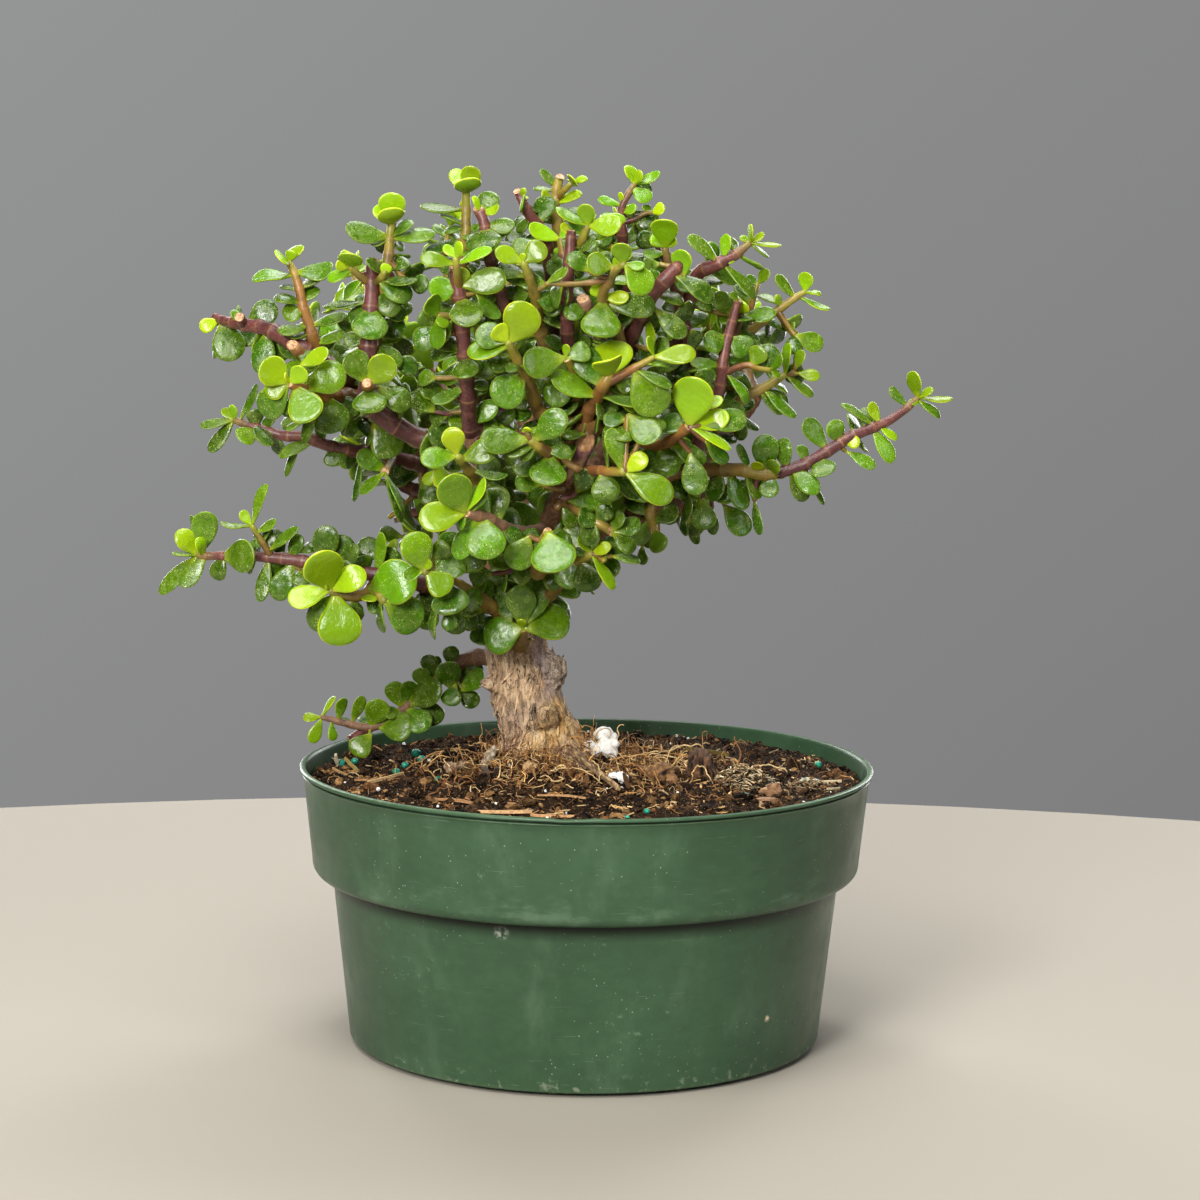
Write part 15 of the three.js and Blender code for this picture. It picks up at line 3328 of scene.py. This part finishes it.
# half width over length and the stations along a leaf
def build_leaf(bag, B, T, nrm, W, age, seen, axis, ax_r, rng):
    B, T = np.array(B, float), np.array(T, float)
    L0 = np.linalg.norm(T - B)
    dBS = np.linalg.norm(B - axis)
    P0 = axis + (B - axis) * (min(1.0, 0.35 * ax_r / dBS) if dBS > 1e-6 else 0.0) if dBS < 4.5 else B - unit(T - B) * 0.6
    L = np.linalg.norm(T - P0)
    d = (T - P0) / L
    n = unit(np.asarray(nrm) - np.dot(nrm, d) * d)
    e = np.cross(d, n)
    young = 1 - age
    um = rng.uniform(0.60, 0.68)
    um = float(np.clip((L - L0 + um * L0) / L, 0.5, 0.82))
    W = W * rng.uniform(0.99, 1.03)
    neck = rng.uniform(0.13, 0.17)
    neck_w = max(neck * W, 1.15 if W > 6 else 0.7)
    pw = rng.uniform(1.15, 1.5)
    NS, NT, SD = (9, 7, 18) if (seen and W > 7.5) else (7, 5, 14) if seen else (5, 3, 8)
    s1 = np.linspace(0, 1, NS + 1)[:-1]
    s2 = np.linspace(0, 1, NT + 1)[:-1]
    u = np.concatenate([um * s1, um + (1 - um) * np.sin(s2 * math.pi / 2)])
    b0 = neck_w / W
    f1 = b0 + (1 - b0) * np.sin(s1 * math.pi / 2) ** pw
    x2 = np.sin(s2 * math.pi / 2)
    tp = rng.uniform(1.9, 2.3)
    f2 = (1 - x2 ** tp) ** (1 / 2.05)
    f = np.concatenate([f1, f2]) * W / 2
    th = np.clip(0.145 * W, 0.9, 2.1) / 2 * rng.uniform(0.9, 1.15)
    g0 = min(1.0, max(neck_w / 2 * 0.85, 0.5) / th)
    h = np.concatenate([g0 + (1 - g0) * np.sin(s1 * math.pi / 2), (1 - x2 ** 3.0) ** 0.42]) * th
    a = np.arange(SD) / SD * 2 * math.pi
    ca, sa = np.cos(a), np.sin(a)
    cx = np.sign(ca) * np.abs(ca) ** 0.80
    flat = np.sign(sa) * np.abs(sa) ** 0.80
    # round stalk, flat blade
    k = np.clip((u / um - 0.12) / 0.4, 0, 1)[:, None]
    X = (ca[None] * (1 - k) + cx[None] * k) * f[:, None]
    Yy = (sa[None] * (1 - k) + flat[None] * k) * h[:, None]
    Yy = np.where(Yy < 0, Yy * (1.15 + 0.35 * age), Yy)          # fuller under face
    # shape of the blade: length bend, cupping, twist, a little wave
    bend = rng.normal(-0.02 + 0.05 * age, 0.055) * L
    cup = rng.normal(0.20 * young - 0.05, 0.06)
    tw = rng.normal(0, 0.10)
    ph, fr = rng.rand() * 6.28, rng.uniform(2.0, 4.0)
    wave = 0.024 * W * age
    vn = X / (W / 2)
    uu = u[:, None]
    Hc = bend * 4 * uu * (1 - uu) * np.clip(uu * 1.4, 0, 1) + cup * W * 0.42 * vn ** 2 * np.clip(uu * 1.6, 0, 1) + wave * np.sin(fr * 3 * uu + ph + 1.3 * vn)
    # faint trough along the middle of the upper face near the stalk
    Hc = Hc - (Yy > 0) * 0.09 * th * 2 * np.exp(-(vn / 0.16) ** 2) * np.clip(1.2 - uu * 1.2, 0, 1)
    ang = tw * (uu - 0.3)
    Xr = X * np.cos(ang) - (Yy + Hc) * np.sin(ang)
    Yr = X * np.sin(ang) + (Yy + Hc) * np.cos(ang)
    v = P0[None, None] + (uu * L)[..., None] * d + Xr[..., None] * e + Yr[..., None] * n
    m = len(u)
    v = v.reshape(-1, 3)
    tip = P0 + d * L + n * float(np.interp(1.0, [0, 1], [0, 0]))
    v = np.vstack([v, P0 - d * 0.2, tip])
    quads = ring_quads(m, SD)
    j = np.arange(SD)
    kk = (j + 1) % SD
    i0, i1 = m * SD, m * SD + 1
    tris = np.vstack([np.stack([np.full(SD, i0), kk, j], -1), np.stack([np.full(SD, i1), (m - 1) * SD + j, (m - 1) * SD + kk], -1)])
    fe = np.abs(cx) ** 9
    blade = np.clip((u / um - 0.25) / 0.3, 0, 1)
    edge = fe[None] * blade[:, None]
    near_tip = np.clip((x2 - 0.80) / 0.2, 0, 1)
    edge[NS:] = np.maximum(edge[NS:], near_tip[:, None] ** 2)
    upv = np.repeat(np.clip(0.5 + 1.5 * sa, 0, 1)[None], m, 0)
    r1, r2 = rng.rand(), rng.rand()
    A = np.stack([np.full(m * SD + 2, age), np.full(m * SD + 2, r1), np.concatenate([np.repeat(u, SD), [0, 1]]), np.ones(m * SD + 2)], -1)
    Bc = np.stack([np.concatenate([edge.ravel(), [0, 1]]), np.concatenate([upv.ravel(), [0.5, 0.5]]), np.full(m * SD + 2, r2), np.ones(m * SD + 2)], -1)
    bag.add(v, quads, tris, leaf_a=A, leaf_b=Bc)


def shoots():
    for i, (name, data) in enumerate(SHOOTS.items()):
        rng = np.random.RandomState(1000 + i)
        stems, leaves = data
        bases = np.array([l[:3] for l in leaves]) if leaves else np.zeros((0, 3))
        sb = Bag("tint", "stem_b")
        SC, SR = [], []
        for kind, rank, pts in stems:
            c, r = stem_samples(pts, 0.6)
            SC.append(c)
            SR.append(r)
            build_stem(sb, kind, rank, pts, bases, rng)
        SC, SR = np.vstack(SC), np.concatenate(SR)
        lb = Bag("leaf_a", "leaf_b")
        for l in leaves:
            b = np.array(l[:3])
            dd = np.linalg.norm(SC - b, axis=1)
            k = int(dd.argmin())
            if dd[k] > 4.5:      # a short stalk where the leaf stands off its stem
                p = np.array([SC[k], (SC[k] + b) / 2 - [0, 0, 0.4], b + unit(np.array(l[3:6]) - b) * 0.8])
                v, q, t, u = tube(crom(p, 7), np.full(7, 0.62), 7)
                sb.add(v, q, t, tint=rgb(140, 140, 56), stem_b=(0, 0, 0, 1))
            build_leaf(lb, l[:3], l[3:6], l[6:9], l[9], l[10], l[11], SC[k], SR[k], rng)
        o = sb.build(name + "_stems", STEM)
        stands_for(o, name)
        if leaves:
            o = lb.build(name + "_leaves", LEAF)
            stands_for(o, name)


# ---------------------------------------------------------------- stage
def stage():
    me = bpy.data.meshes.new("floor")
    n = 96
    vs = [(0.95 * math.cos(i / n * 2 * math.pi), -0.50 + 0.95 * math.sin(i / n * 2 * math.pi), 0.0) for i in range(n)]
    me.from_pydata(vs, [], [list(range(n))])
    o = bpy.data.objects.new("floor", me)
    bpy.context.scene.collection.objects.link(o)
    m = Mat("floor_pale")
    me.materials.append(m.set(color=rgb(158, 152, 142), rough=0.85, spec=0.1))
    me = bpy.data.meshes.new("backdrop")
    me.from_pydata([(-1.7, 2.3, -0.7), (1.7, 2.3, -0.7), (1.7, 2.3, 2.2), (-1.7, 2.3, 2.2)], [], [(0, 1, 2, 3)])
    o = bpy.data.objects.new("backdrop", me)
    bpy.context.scene.collection.objects.link(o)
    m = Mat("backdrop_grey")
    xyz = m.t.nodes.new("ShaderNodeSeparateXYZ")
    m.link(m.coord(), xyz.inputs[0])
    # the backdrop glows with a painted gradient of light, brighter towards the top and the left
    g = m.add(m.mul(xyz.outputs[0], -0.11), m.mul(xyz.outputs[2], 0.13))
    glow = m.ramp(m.add(g, 0.42), [(0.30, rgb(124, 124, 125)), (0.46, rgb(137, 137, 138)), (0.62, rgb(150, 151, 151))])
    m.b.inputs["Emission Color"].default_value = (1, 1, 1, 1)
    m.link(glow, m.b.inputs["Emission Color"])
    m.b.inputs["Emission Strength"].default_value = 1.03
    me.materials.append(m.set(color=rgb(30, 30, 30), rough=1.0, spec=0.0))
    w = bpy.data.worlds.new("studio")
    bpy.context.scene.world = w
    w.use_nodes = True
    w.node_tree.nodes["Background"].inputs[0].default_value = rgb(60, 60, 60)
    w.node_tree.nodes["Background"].inputs[1].default_value = 1.0

    def area(name, loc, target, sx, sy, power, col=(1, 1, 1)):
        d = bpy.data.lights.new(name, "AREA")
        d.shape = "RECTANGLE"
        d.size, d.size_y, d.energy, d.color = sx, sy, power, col
        l = bpy.data.objects.new(name, d)
        bpy.context.scene.collection.objects.link(l)
        l.location = loc
        l.rotation_mode = "QUATERNION"
        l.rotation_quaternion = (Vector(target) - Vector(loc)).to_track_quat("-Z", "Y")

    area("key_top", (-0.15, -0.50, 1.30), (0, 0, 0.18), 0.60, 0.60, 15, (1.0, 0.985, 0.945))
    area("back_top", (0.10, 0.55, 1.25), (0, 0, 0.20), 0.80, 0.50, 11, (1.0, 1.0, 1.0))
    area("left_box", (-0.52, -1.25, 0.74), (0, 0, 0.14), 0.40, 0.50, 23, (1.0, 0.985, 0.945))
    area("right_box", (1.00, -1.00, 0.70), (0, 0, 0.18), 0.40, 0.60, 4, (1.0, 1.0, 1.0))
    area("rim_left", (-0.62, 1.20, 0.55), (0, 0, 0.15), 0.35, 1.1, 9, (1.0, 1.0, 1.0))
    area("rim_right", (0.66, 1.20, 0.55), (0, 0, 0.15), 0.35, 1.1, 9, (1.0, 1.0, 1.0))

    cam = bpy.data.cameras.new("camera")
    cam.lens, cam.sensor_width, cam.sensor_fit = 90.0, 36.0, "AUTO"
    cam.clip_start, cam.clip_end = 0.05, 20.0
    co = bpy.data.objects.new("camera", cam)
    bpy.context.scene.collection.objects.link(co)
    p, r = 0.123, 0.010
    fwd = Vector((0, math.cos(p), -math.sin(p)))
    right, up = Vector((1, 0, 0)), Vector((0, math.sin(p), math.cos(p)))
    r2 = math.cos(r) * right + math.sin(r) * up
    u2 = -math.sin(r) * right + math.cos(r) * up
    mtx = Matrix((r2, u2, -fwd)).transposed().to_4x4()
    mtx.translation = Vector((0.00424, -1.050, 0.286))
    co.matrix_world = mtx
    bpy.context.scene.camera = co
    bpy.context.scene.view_settings.view_transform = "Standard"
    bpy.context.scene.view_settings.look = "None"


stage()
pot()
soil()
roots()
litter()
trunk()
shoots()

bpy.context.view_layer.update()
